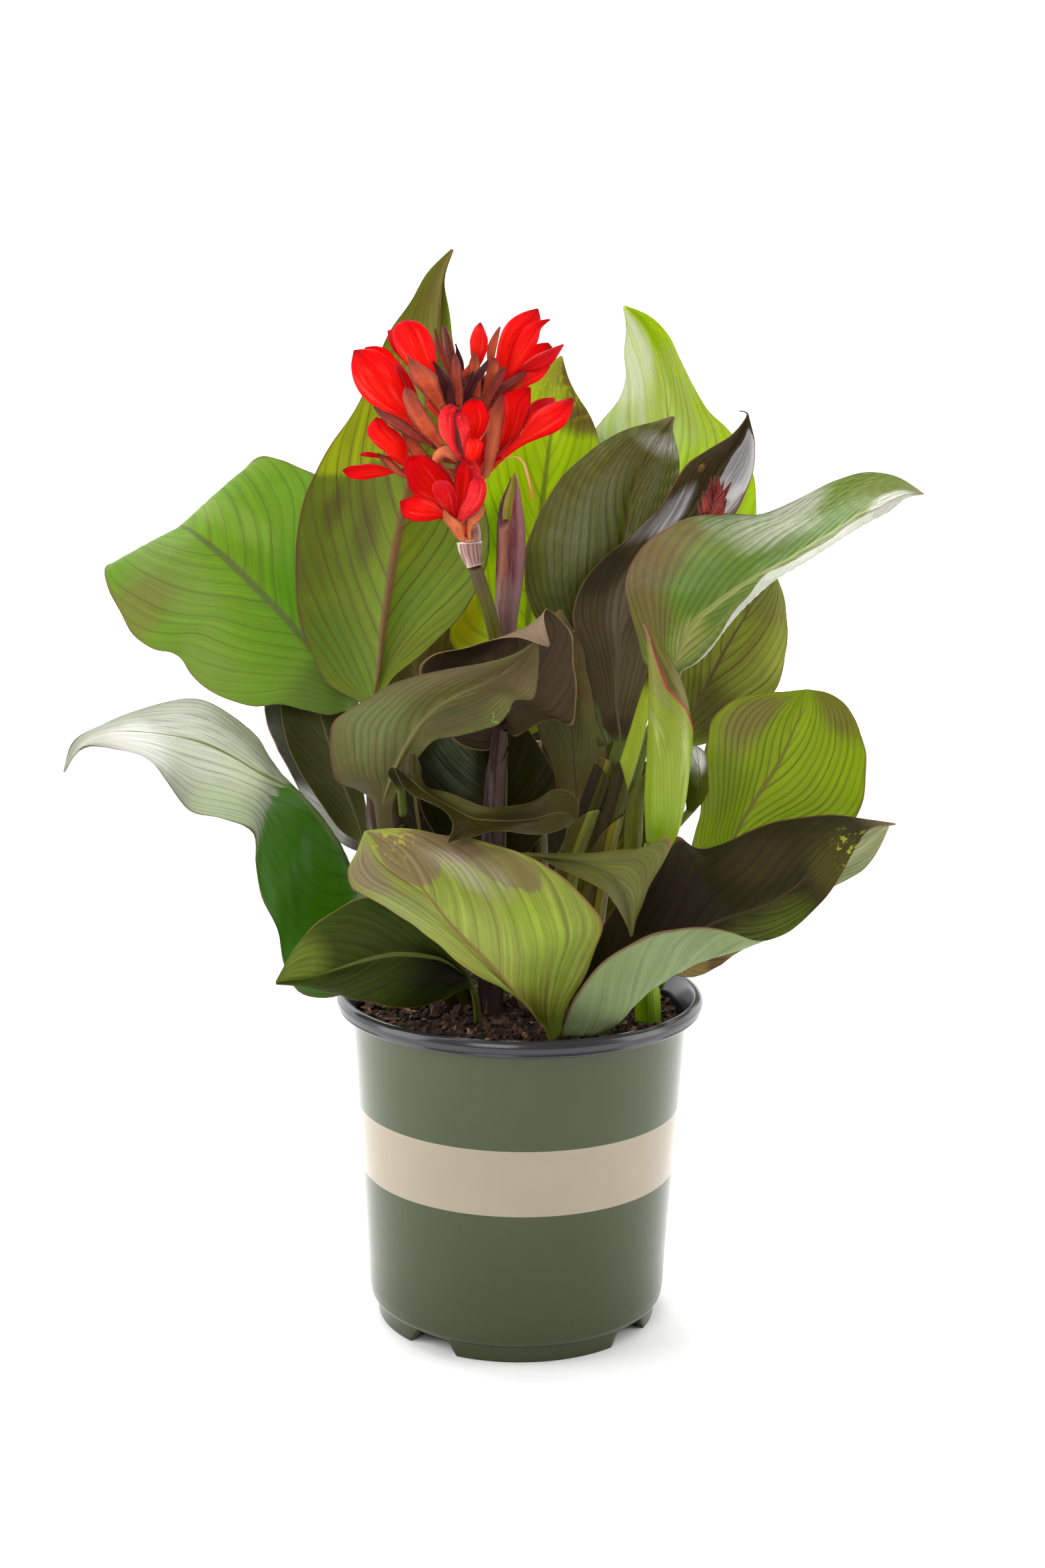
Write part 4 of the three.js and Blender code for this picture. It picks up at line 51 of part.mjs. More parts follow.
  leaf_inner: { petiole: 4, colour: '#35443a', net: [[[-6.8,24,234.5],[-5.8,24,234.6],[-4.8,24,234.7],[-3.8,24,234.9],[-2.8,24,235],[-1.8,24,235.2],[-0.9,24,235.3]],[[-9.9,24,244.8],[-8.9,24,245],[-7.9,24,245.1],[-6.9,24,245.3],[-5.9,24,245.4],[-4.8,24,245.6],[-3.8,24,245.7]],[[-12.8,24,255.2],[-11.8,24,255.4],[-10.8,24,255.5],[-9.7,24,255.7],[-8.7,24,255.8],[-7.7,24,256],[-6.7,24,256.1]],[[-15.6,23.4,265.8],[-14.5,23.4,265.9],[-13.5,23.4,266.1],[-12.5,23.4,266.2],[-11.4,23.4,266.4],[-10.4,23.4,266.6],[-9.4,23.4,266.7]],[[-18.6,22,276.5],[-17.6,22,276.7],[-16.5,22,276.8],[-15.5,22,277],[-14.4,22,277.1],[-13.3,22,277.3],[-12.3,22,277.5]],[[-29,20,279.3],[-24.9,22.1,280.5],[-20.8,22.9,282],[-16.7,22.5,283.8],[-11.9,22.8,283.3],[-7,21.8,283.1],[-2.2,19.6,283.2]],[[-37.3,20,281.9],[-30.9,22.9,284.4],[-24.4,23.8,287.3],[-17.9,22.8,290.6],[-10.4,23.5,289.6],[-2.8,22.3,289.1],[4.7,19.2,289]],[[-44.6,20,286.4],[-36.1,23.4,289.6],[-27.6,24.4,293.3],[-19,23,297.5],[-9.2,24,296.3],[0.8,22.6,295.7],[10.6,18.8,295.6]],[[-51,20,293.5],[-40.8,23.8,296.5],[-30.4,24.8,300.2],[-20.1,23,304.4],[-8,24.3,303.4],[4,22.7,303.1],[16,18.4,303.3]],[[-56.1,20,301.1],[-44.5,24,303.8],[-32.7,25,307.3],[-20.9,22.8,311.3],[-7.5,24.3,310.8],[5.9,22.7,310.8],[19.3,18,311.5]],[[-60.2,19.6,309.3],[-47.5,23.9,311.6],[-34.7,24.9,314.6],[-21.8,22.5,318.3],[-7.5,24.1,318.4],[6.8,22.4,319.1],[21,17.4,320.5]],[[-63.3,19.1,318],[-49.9,23.5,319.8],[-36.3,24.6,322.2],[-22.6,22.2,325.3],[-7.8,23.9,326.1],[7,22.1,327.5],[21.7,17,329.6]],[[-65.4,18.7,326.9],[-51.6,23.2,328],[-37.6,24.2,329.8],[-23.5,21.8,332.2],[-9.1,23.6,333.6],[5.3,22.1,335.7],[19.7,17,338.3]],[[-66.8,18.2,336],[-52.9,22.7,336.4],[-38.7,23.7,337.5],[-24.5,21.2,339.1],[-11,23.3,340.9],[2.4,21.8,343.4],[15.8,17,346.4]],[[-66.9,17.8,345.1],[-53.2,22.1,344.8],[-39.4,23,345.2],[-25.5,20.7,346.1],[-13.3,22.7,348.1],[-1.1,21.5,350.7],[11,17,353.8]],[[-65.6,17.4,354.3],[-52.6,21.4,353.3],[-39.5,22.3,352.9],[-26.4,20,353],[-15.7,22.1,355.1],[-4.9,21.1,357.8],[5.8,17,361]],[[-63.5,16.9,363],[-51.5,20.6,361.5],[-39.3,21.4,360.5],[-27,19.4,360],[-17.9,21.4,362.3],[-8.6,20.6,365],[0.6,17,368.3]],[[-59.9,16.3,371.8],[-49.2,19.6,369.8],[-38.5,20.3,368.2],[-27.7,18.7,366.9],[-20,20.6,369.4],[-12.4,20,372.2],[-4.7,17,375.4]],[[-54.7,16,378.8],[-46,18.6,376.8],[-37.3,19.3,375.1],[-28.5,18.1,373.8],[-22.8,19.7,375.9],[-17.1,19.3,378.3],[-11.3,17,381]],[[-47.7,16,383.6],[-41.9,17.8,382.4],[-36.1,18.3,381.3],[-30.2,17.5,380.4],[-26.5,18.6,381.8],[-22.8,18.5,383.4],[-19.1,17,385.2]],[[-33.6,17,386.8],[-33.3,17,386.8],[-33,17,386.8],[-32.7,17,386.8],[-32.4,17,386.9],[-32.1,17,386.9],[-31.8,17,386.9]]] },
  leaf_cupped: { petiole: 4, colour: '#4c4f33', folded: true, net: [[[-72,-34.8,320.3],[-71.5,-34.2,320.6],[-71,-33.6,320.9],[-70.4,-33,321.3],[-69.9,-32.4,321.6],[-69.3,-31.8,321.9],[-68.8,-31.2,322.3]],[[-72.3,-37.1,324.9],[-71.8,-36.5,325.3],[-71.2,-35.9,325.6],[-70.7,-35.3,326],[-70.1,-34.7,326.3],[-69.6,-34.1,326.6],[-69,-33.5,327]],[[-72.6,-39.6,329.6],[-72,-39,330],[-71.5,-38.4,330.3],[-70.9,-37.8,330.7],[-70.4,-37.1,331],[-69.8,-36.5,331.3],[-69.3,-35.9,331.7]],[[-72.9,-42.2,334.3],[-72.3,-41.6,334.6],[-71.8,-40.9,335],[-71.2,-40.3,335.3],[-70.6,-39.7,335.7],[-70.1,-39.1,336.1],[-69.5,-38.4,336.4]],[[-73.2,-45.9,339.9],[-72.6,-45.3,340.3],[-72,-44.6,340.7],[-71.4,-44,341],[-70.9,-43.4,341.4],[-70.3,-42.7,341.8],[-69.7,-42.1,342.1]],[[-78.6,-54,349.3],[-76,-51.6,348.7],[-73.3,-49.1,348.1],[-70.6,-46.7,347.5],[-70.5,-46,349.8],[-70.4,-45.4,352.2],[-70.3,-44.7,354.6]],[[-74.9,-57.3,355.1],[-72.3,-55.4,352.6],[-69.7,-53.5,350.1],[-67.2,-51.6,347.5],[-66.1,-49.8,352.1],[-65,-47.9,356.8],[-63.9,-46,361.4]],[[-70.4,-62.1,346.1],[-67.4,-59.8,345.3],[-64.5,-57.5,344.5],[-61.5,-55.3,343.7],[-60.9,-52.2,346.9],[-60.4,-49.1,350.1],[-59.8,-46,353.4]],[[-63.9,-65.9,339.8],[-61,-63.3,339.5],[-58.1,-60.8,339.2],[-55.2,-58.2,338.9],[-56.1,-54.6,340.4],[-57.1,-51,341.8],[-58,-47.4,343.3]],[[-53.7,-71.1,336.8],[-52,-67.8,336.4],[-50.2,-64.5,336],[-48.4,-61.2,335.7],[-49.7,-57,337],[-51,-52.8,338.4],[-52.2,-48.5,339.8]],[[-44.4,-77.9,332.9],[-43.5,-73.1,332.8],[-42.5,-68.4,332.7],[-41.5,-63.6,332.6],[-41.7,-58.9,334.4],[-42,-54.1,336.1],[-42.3,-49.4,337.8]],[[-39.1,-85.9,325.7],[-37.6,-79,326.8],[-36.1,-72,327.9],[-34.6,-65.1,329.1],[-34.3,-60.2,330.9],[-33.9,-55.2,332.8],[-33.5,-50.3,334.7]],[[-42.5,-92.7,317.1],[-37.6,-83.8,320],[-32.7,-74.9,323],[-27.7,-66,326.1],[-26.8,-61,327.7],[-26,-56.1,329.4],[-25.1,-51.2,331.1]],[[-38,-91.5,318.5],[-32.1,-83,320.7],[-26.2,-74.5,323],[-20.2,-66,325.3],[-18.8,-61.3,326.8],[-17.3,-56.7,328.3],[-15.8,-52,329.8]],[[-28.1,-85.4,319.3],[-22.9,-78.9,321.1],[-17.7,-72.5,323],[-12.5,-66,324.9],[-10.5,-61.3,326.7],[-8.5,-56.7,328.6],[-6.5,-52,330.5]],[[-18.4,-81,321.6],[-13.9,-75.9,322.8],[-9.4,-70.9,323.9],[-4.8,-65.8,325],[-2.4,-61.2,327.5],[-0,-56.6,330.1],[2.4,-52,332.7]],[[-8.2,-77.7,321.8],[-4.5,-73.4,323],[-0.9,-69.1,324.3],[2.8,-64.8,325.6],[5.5,-60.5,329.3],[8.2,-56.3,333],[10.9,-52,336.7]],[[2,-76.3,319.4],[4.8,-72.1,321.8],[7.6,-67.9,324.2],[10.4,-63.7,326.7],[13.3,-59.8,331.5],[16.2,-55.9,336.4],[19.1,-52,341.3]],[[12.6,-73.7,318.9],[14.3,-70,322.4],[16.1,-66.3,325.8],[17.8,-62.6,329.3],[21.3,-59.6,332.9],[24.9,-56.7,336.5],[28.4,-53.7,340.2]],[[21.7,-70,321],[22.8,-67.2,323.8],[23.8,-64.4,326.5],[24.9,-61.6,329.3],[27.6,-60.2,330.6],[30.3,-58.7,331.9],[32.9,-57.2,333.2]],[[31.1,-61.6,323.8],[31.3,-61.4,324],[31.4,-61.2,324.2],[31.6,-61,324.4],[31.7,-60.8,324.5],[31.9,-60.6,324.7],[32.1,-60.4,324.9]]] },
  leaf_small_front: { petiole: 4, colour: '#5b6644', net: [[[-13.9,-27.3,275.4],[-13.3,-26.9,275.8],[-12.6,-26.4,276.2],[-12,-26,276.6],[-11.4,-25.6,277],[-10.7,-25.1,277.3],[-10.1,-24.7,277.7]],[[-13,-35.5,283.6],[-12.3,-35.1,284],[-11.7,-34.7,284.4],[-11.1,-34.2,284.8],[-10.4,-33.8,285.1],[-9.8,-33.3,285.5],[-9.2,-32.9,285.9]],[[-11,-43.1,290.4],[-10.3,-42.6,290.8],[-9.7,-42.2,291.2],[-9.1,-41.7,291.5],[-8.4,-41.3,291.9],[-7.8,-40.8,292.3],[-7.2,-40.4,292.7]],[[-7.2,-50,296.1],[-6.6,-49.5,296.5],[-5.9,-49.1,296.9],[-5.3,-48.7,297.3],[-4.7,-48.2,297.7],[-4,-47.8,298.1],[-3.4,-47.3,298.5]],[[-1.8,-56.3,300.9],[-1.1,-55.9,301.2],[-0.5,-55.4,301.6],[0.1,-55,302],[0.8,-54.6,302.4],[1.4,-54.1,302.8],[2,-53.7,303.2]],[[5.4,-58.5,301.3],[5.6,-58,301.5],[5.7,-57.5,301.7],[5.9,-57,301.9],[7.1,-57.8,302.8],[8.4,-57.3,303.5],[9.6,-55.5,303.9]],[[10.4,-60.8,301.7],[10.8,-60.2,301.7],[11.2,-59.5,301.6],[11.6,-58.9,301.6],[14.1,-60.3,303],[16.6,-59.6,303.9],[19.2,-57.1,304.3]],[[15.1,-62.9,300.2],[15.9,-62.2,300.6],[16.6,-61.4,300.9],[17.3,-60.7,301.3],[21.1,-62.5,303],[24.8,-61.8,304.2],[28.6,-58.7,304.8]],[[19.8,-65,297.9],[20.9,-64.1,298.9],[22,-63.2,299.9],[23,-62.3,300.9],[28,-64.4,303],[33,-63.7,304.5],[38.1,-60.2,305.3]],[[24.5,-66.9,296.1],[25.9,-65.9,297.6],[27.3,-64.8,299],[28.8,-63.7,300.5],[34.9,-66,303.2],[41.1,-65.2,305.1],[47.5,-61.3,306.4]],[[29.3,-68.8,294.6],[31,-67.6,296.4],[32.7,-66.4,298.1],[34.4,-65.1,299.9],[41.8,-67.5,303.3],[49.3,-66.5,305.9],[56.9,-62.3,307.8]],[[34,-70.6,292.9],[36,-69.3,294.9],[38,-68,297],[40,-66.6,299],[48.6,-69,303.1],[57.4,-67.9,306.5],[66.4,-63.4,309.1]],[[38.6,-72.3,291.1],[40.9,-70.9,293.2],[43.3,-69.6,295.3],[45.6,-68.2,297.5],[55.2,-70.4,303.3],[64.9,-69.2,308.3],[74.9,-64.6,312.6]],[[43.2,-73.8,289.1],[45.6,-72.5,291.1],[48.1,-71.1,293.2],[50.6,-69.8,295.3],[61.9,-71.8,303],[73.2,-70.4,310],[84.9,-65.6,316.2]],[[47.5,-75.1,286.5],[50,-73.9,288.4],[52.4,-72.7,290.2],[54.9,-71.5,292.1],[65.2,-73.2,299.3],[75.7,-71.7,305.8],[86.4,-66.8,311.5]],[[51.2,-76.3,283.3],[53.7,-75.2,284.7],[56.2,-74.2,286.2],[58.6,-73.1,287.6],[66.4,-74.8,293.5],[74.2,-73.3,298.7],[82.3,-68.8,303.1]],[[54.2,-77.5,279.3],[56.4,-76.5,280.5],[58.6,-75.6,281.6],[60.9,-74.6,282.8],[66.2,-76.2,287.6],[71.7,-75,291.8],[77.4,-71,295.3]],[[56.9,-78,274.8],[58.7,-77.3,275.7],[60.5,-76.7,276.6],[62.3,-76,277.4],[65.8,-77.5,281.3],[69.4,-76.6,284.5],[73.1,-73.2,287.2]],[[59.5,-78,270.3],[60.8,-77.7,270.8],[62,-77.3,271.3],[63.3,-77,271.8],[65.4,-78.2,274.5],[67.7,-77.5,276.7],[70,-74.9,278.4]],[[61.9,-78,265.6],[62.6,-77.9,265.7],[63.2,-77.8,265.9],[63.9,-77.6,266.1],[64.8,-78.7,267.7],[65.7,-78.4,268.9],[66.6,-76.9,269.9]],[[63.6,-78.2,259.7],[63.8,-78.1,259.9],[64,-78.1,260.1],[64.3,-78,260.3],[64.5,-77.9,260.5],[64.7,-77.9,260.7],[64.9,-77.8,260.9]]] },
  leaf_low_right_back: { petiole: 4, colour: '#93a06f', rows: 6, net: [[[88.6,-15.2,222.5],[89.1,-15.5,221.9],[89.7,-15.7,221.2],[90.2,-16,220.6],[90.7,-16.3,220],[91.2,-16.5,219.3],[91.7,-16.8,218.7]],[[95.4,-12.6,225.7],[95.9,-12.8,225],[96.4,-13.1,224.4],[97,-13.4,223.7],[97.5,-13.6,223.1],[98,-13.9,222.4],[98.6,-14.1,221.7]],[[102.2,-10,228.7],[102.7,-10.3,228.1],[103.3,-10.6,227.4],[103.8,-10.8,226.7],[104.4,-11.1,226.1],[104.9,-11.4,225.4],[105.5,-11.6,224.7]],[[109.1,-7.6,231.7],[109.7,-7.8,231],[110.2,-8.1,230.3],[110.8,-8.4,229.7],[111.3,-8.6,229],[111.9,-8.9,228.3],[112.4,-9.2,227.6]],[[116.1,-5.2,234.6],[116.7,-5.4,233.9],[117.2,-5.7,233.2],[117.8,-6,232.5],[118.4,-6.3,231.8],[118.9,-6.6,231.1],[119.5,-6.8,230.4]],[[120.5,-2.5,241.3],[122,-1.9,239.6],[123.3,-2.2,238.1],[124.6,-3.5,236.9],[125.6,-3.3,235.3],[126.5,-4.1,234.1],[127.3,-5.8,233]],[[124.6,0.6,248.6],[127,1.5,245.8],[129.3,0.9,243.4],[131.4,-1.2,241.4],[132.9,-0.9,238.9],[134.3,-2.1,236.7],[135.6,-4.7,235]],[[129.2,3.5,255.6],[132.4,4.4,251.9],[135.4,3.5,248.6],[138.2,0.8,245.9],[140.1,1.2,242.7],[141.8,-0.3,239.9],[143.4,-3.6,237.7]],[[134.1,5.9,262.2],[137.9,6.9,257.8],[141.5,5.8,253.9],[144.9,2.6,250.5],[147.1,3,247.1],[149,1.3,244.2],[150.6,-2.5,241.8]],[[139.6,8,268.7],[143.9,9,263.6],[147.9,7.7,259.1],[151.7,4.1,255.2],[153.9,4.6,251.8],[155.9,2.7,249.1],[157.5,-1.5,247]],[[145.8,9.7,274.8],[150.3,10.7,269.2],[154.5,9.3,264.2],[158.4,5.4,259.9],[160.7,6,256.7],[162.7,4,254.2],[164.4,-0.4,252.3]],[[152.4,11.4,280.5],[156.9,12.4,274.6],[161.2,10.9,269.3],[165.2,6.7,264.6],[167.6,7.4,261.5],[169.6,5.4,259],[171.4,0.9,257.2]],[[159.2,13.3,285.6],[163.8,14.2,279.6],[168,12.5,274.1],[171.9,8.2,269.3],[174.3,8.8,266.4],[176.4,6.8,264],[178.2,2.2,262.3]],[[166.5,15.3,290.5],[170.9,16,284.4],[175,14.2,278.9],[178.7,9.8,273.9],[181.2,10.3,271.2],[183.3,8.3,269],[185,3.7,267.4]],[[174.2,17.1,294.8],[178.3,17.7,288.8],[182.1,15.9,283.4],[185.5,11.5,278.6],[188,11.9,275.8],[190.2,9.8,273.7],[192,5.2,272.1]],[[182,18.3,298.2],[185.8,18.9,292.7],[189.2,17.2,287.7],[192.3,13.2,283.3],[195.1,13.4,280.3],[197.5,11.2,277.8],[199.6,6.8,275.9]],[[190.3,19.2,301.1],[193.5,19.8,296.3],[196.4,18.3,291.9],[199,14.7,288.1],[202.1,14.8,284.8],[204.8,12.8,282],[207.2,8.6,279.7]],[[198.8,19.9,303.4],[201.4,20.5,299.6],[203.7,19.3,296.1],[205.7,16.2,293],[208.6,16.3,290],[211.3,14.6,287.4],[213.7,11.1,285.2]],[[207.3,20,305.4],[209.2,20.7,302.6],[210.9,19.9,300.1],[212.3,17.6,297.9],[214.6,17.8,295.6],[216.7,16.5,293.6],[218.6,13.7,292]],[[215.9,20,307.1],[217.1,20.6,305.4],[218.1,20.2,304],[219,18.9,302.7],[220.4,19.1,301.4],[221.6,18.3,300.2],[222.7,16.6,299.2]],[[225.2,20.3,308.2],[225.4,20.2,307.9],[225.6,20.1,307.7],[225.8,20,307.5],[226,19.9,307.3],[226.2,19.8,307.1],[226.4,19.7,306.9]]] },
  leaf_under_right: { petiole: 4, colour: '#5b5a30', rows: 6, net: [[[85.2,-24.9,218.5],[85.2,-25.3,217.9],[85.2,-25.6,217.3],[85.2,-26,216.7],[85.2,-26.4,216],[85.2,-26.7,215.4],[85.3,-27.1,214.8]],[[86.1,-25.9,222.5],[86.1,-26.2,221.8],[86.1,-26.6,221.2],[86.1,-27,220.6],[86.1,-27.4,219.9],[86.1,-27.8,219.3],[86.1,-28.2,218.6]],[[87.1,-27,226.4],[87.1,-27.4,225.8],[87.1,-27.8,225.1],[87.1,-28.2,224.4],[87.1,-28.6,223.8],[87.1,-29,223.1],[87.1,-29.3,222.5]],[[88.2,-28.3,230.4],[88.2,-28.7,229.7],[88.2,-29.1,229],[88.2,-29.5,228.3],[88.2,-29.9,227.7],[88.2,-30.3,227],[88.2,-30.7,226.3]],[[89.4,-29.8,234.3],[89.4,-30.2,233.6],[89.4,-30.6,232.9],[89.4,-31,232.2],[89.4,-31.4,231.5],[89.4,-31.8,230.8],[89.4,-32.2,230.2]],[[91.7,-30.5,237.9],[92.2,-31.6,236.5],[92.7,-32.6,235],[93.2,-33.7,233.6],[92.7,-34.7,231.6],[92.3,-35.6,229.6],[91.8,-36.6,227.7]],[[94.3,-31.1,241.9],[95.2,-32.7,239.6],[96.1,-34.4,237.3],[97,-36,235.1],[96.3,-37.5,232.2],[95.6,-38.9,229.4],[94.9,-40.3,226.5]],[[97.2,-31.6,245.4],[98.4,-33.7,242.4],[99.5,-35.8,239.5],[100.7,-37.8,236.6],[100.2,-39.6,233.3],[99.6,-41.4,230.1],[99.1,-43.2,226.8]],[[100.3,-32.2,248.3],[101.7,-34.5,245],[103,-36.8,241.6],[104.4,-39.2,238.2],[104.1,-41.3,234.6],[103.7,-43.3,231],[103.4,-45.4,227.4]],[[103.9,-32.7,251.1],[105.3,-35.3,247.5],[106.6,-37.9,243.8],[108,-40.4,240.2],[107.8,-42.7,236.5],[107.7,-44.9,232.9],[107.5,-47.1,229.3]],[[107.9,-33.3,253.5],[109.1,-36,249.7],[110.3,-38.7,246],[111.5,-41.4,242.2],[111.5,-43.7,238.6],[111.5,-45.9,235.1],[111.5,-48.2,231.5]],[[112,-33.9,255.3],[113,-36.6,251.5],[114.1,-39.3,247.8],[115.1,-42,244],[115.2,-44.2,240.6],[115.2,-46.5,237.2],[115.3,-48.8,233.8]],[[116.2,-34.4,256.4],[117.1,-37,252.7],[118,-39.5,249.1],[118.9,-42,245.5],[118.9,-44.3,242.4],[119,-46.7,239.3],[119,-49,236.3]],[[120.5,-35,257.3],[121.2,-37.3,253.8],[121.9,-39.7,250.3],[122.6,-42,246.9],[122.6,-44.2,244.2],[122.5,-46.5,241.6],[122.5,-48.7,239]],[[124.9,-35.5,258],[125.4,-37.7,254.7],[125.9,-39.8,251.4],[126.4,-42,248.1],[126.3,-44.1,246],[126.1,-46.2,243.9],[125.9,-48.3,241.8]],[[129.3,-36.1,258.3],[129.6,-38.1,255.3],[129.9,-40,252.3],[130.3,-42,249.2],[130.1,-43.9,247.5],[129.9,-45.8,245.8],[129.6,-47.7,244.1]],[[133.5,-36.6,257.7],[133.7,-38.4,255.2],[133.9,-40.2,252.6],[134.1,-42,250.1],[134,-43.6,248.7],[133.8,-45.2,247.4],[133.6,-46.8,246]],[[137.8,-37.2,256.4],[137.9,-38.8,254.5],[138,-40.3,252.7],[138.1,-41.9,250.8],[137.9,-43.1,249.8],[137.8,-44.4,248.7],[137.7,-45.6,247.7]],[[142,-37.9,255],[142,-39.2,253.8],[142,-40.4,252.6],[142,-41.6,251.4],[142,-42.6,250.7],[141.9,-43.5,249.9],[141.8,-44.5,249.2]],[[146.1,-38.8,253.9],[146.1,-39.7,253.2],[146.1,-40.5,252.5],[146,-41.3,251.8],[146,-42,251.4],[146,-42.6,250.9],[146.1,-43.3,250.5]],[[150.1,-40.3,252.7],[150.1,-40.5,252.5],[150.1,-40.8,252.3],[150.1,-41,252.1],[150.1,-41.2,251.9],[150.1,-41.5,251.8],[150.1,-41.7,251.6]]] },
  leaf_back_left: { petiole: 4, colour: '#4d6a2a', rows: 6, net: [[[-49.5,12.1,220.1],[-48.6,12,220.2],[-47.6,12,220.3],[-46.6,12,220.4],[-45.6,12,220.5],[-44.6,12,220.6],[-43.6,11.9,220.7]],[[-51.9,16.8,230.6],[-50.9,16.8,230.7],[-49.9,16.8,230.8],[-48.9,16.8,230.8],[-47.9,16.7,230.9],[-46.8,16.7,231],[-45.8,16.7,231.1]],[[-54.3,22.1,240.9],[-53.3,22,241],[-52.2,22,241.1],[-51.2,22,241.2],[-50.2,22,241.3],[-49.1,22,241.4],[-48.1,21.9,241.5]],[[-56.7,27.8,251.2],[-55.6,27.8,251.3],[-54.6,27.8,251.4],[-53.6,27.7,251.5],[-52.5,27.7,251.6],[-51.5,27.7,251.7],[-50.4,27.7,251.8]],[[-59.1,34.1,261.4],[-58.1,34,261.5],[-57,34,261.6],[-55.9,34,261.7],[-54.9,34,261.8],[-53.8,34,261.9],[-52.8,33.9,262]],[[-65.8,39.3,265.7],[-63.3,40.9,265.8],[-60.6,40.9,266.3],[-57.9,39.2,267.3],[-54.7,40.8,266.9],[-51.4,40.7,266.9],[-48,39,267.3]],[[-71.8,44.6,270.1],[-67.9,47.1,270.5],[-63.9,47.1,271.4],[-59.8,44.6,272.8],[-54.8,47.2,272.3],[-49.6,47.3,272.3],[-44.4,45,272.9]],[[-77,50.1,275.1],[-72,53.2,275.5],[-66.9,53.2,276.6],[-61.6,50.1,278.4],[-55.2,53.5,277.9],[-48.7,53.8,278.1],[-42.1,51,278.9]],[[-81.6,55.7,280.6],[-75.7,59.2,281],[-69.5,59.2,282.1],[-63.2,55.7,284.1],[-55.7,59.7,283.7],[-48,60.2,284.2],[-40.3,57.1,285.4]],[[-85.8,61.3,286.7],[-79,65.3,286.9],[-71.9,65.3,287.9],[-64.7,61.5,289.7],[-56.3,66,289.7],[-47.7,66.6,290.5],[-39.1,63.3,292.2]],[[-89.3,67,293.1],[-81.8,71.3,293],[-74.1,71.5,293.8],[-66.1,67.5,295.4],[-57.2,72.2,295.8],[-48.1,72.8,297],[-38.9,69.3,299]],[[-92.1,72.8,299.6],[-84.1,77.3,299.3],[-75.9,77.6,299.8],[-67.4,73.6,301.2],[-58.2,78.4,301.9],[-48.7,78.8,303.5],[-39.2,75,306]],[[-94.6,78.5,306.5],[-86.2,83.2,305.8],[-77.5,83.6,306],[-68.6,79.7,307],[-59.1,84.4,308.2],[-49.4,84.7,310.2],[-39.6,80.7,313]],[[-96.8,84.2,313.5],[-88,88.9,312.5],[-79,89.4,312.3],[-69.7,85.5,312.9],[-60,90.2,314.5],[-50.2,90.5,316.8],[-40.2,86.6,320]],[[-98.1,90.3,320.6],[-89.2,94.7,319.3],[-80,94.9,318.8],[-70.6,91.1,319],[-60.9,95.9,320.8],[-51.1,96.5,323.4],[-41.1,93.1,326.8]],[[-98.5,96.8,327.8],[-89.7,100.5,326.2],[-80.7,100.4,325.3],[-71.4,96.4,325.1],[-62.4,101.6,327.2],[-53.1,102.9,329.9],[-43.7,100.3,333.4]],[[-98.3,103.7,335.1],[-89.8,106.6,333.2],[-81.2,106,331.9],[-72.3,101.9,331.3],[-64.2,107.3,333.5],[-55.9,109.1,336.3],[-47.5,107.5,339.7]],[[-97.7,110.5,341.9],[-89.7,112.6,339.8],[-81.6,111.7,338.4],[-73.3,107.8,337.4],[-66.3,112.8,339.6],[-59.1,114.8,342.3],[-51.9,113.7,345.5]],[[-94.3,117,348.4],[-87.8,118.5,346.4],[-81.1,117.5,344.7],[-74.4,114.1,343.4],[-69,118.3,345.5],[-63.4,120,348],[-57.7,119.2,350.9]],[[-88.8,123,353.4],[-84.5,123.9,351.8],[-80.1,123.2,350.5],[-75.6,120.9,349.5],[-72,123.6,350.8],[-68.3,124.6,352.5],[-64.5,124,354.4]],[[-77.9,128,355.4],[-77.6,128,355.5],[-77.3,128,355.5],[-77,128,355.5],[-76.7,128,355.5],[-76.4,128,355.5],[-76.1,128,355.5]]] },
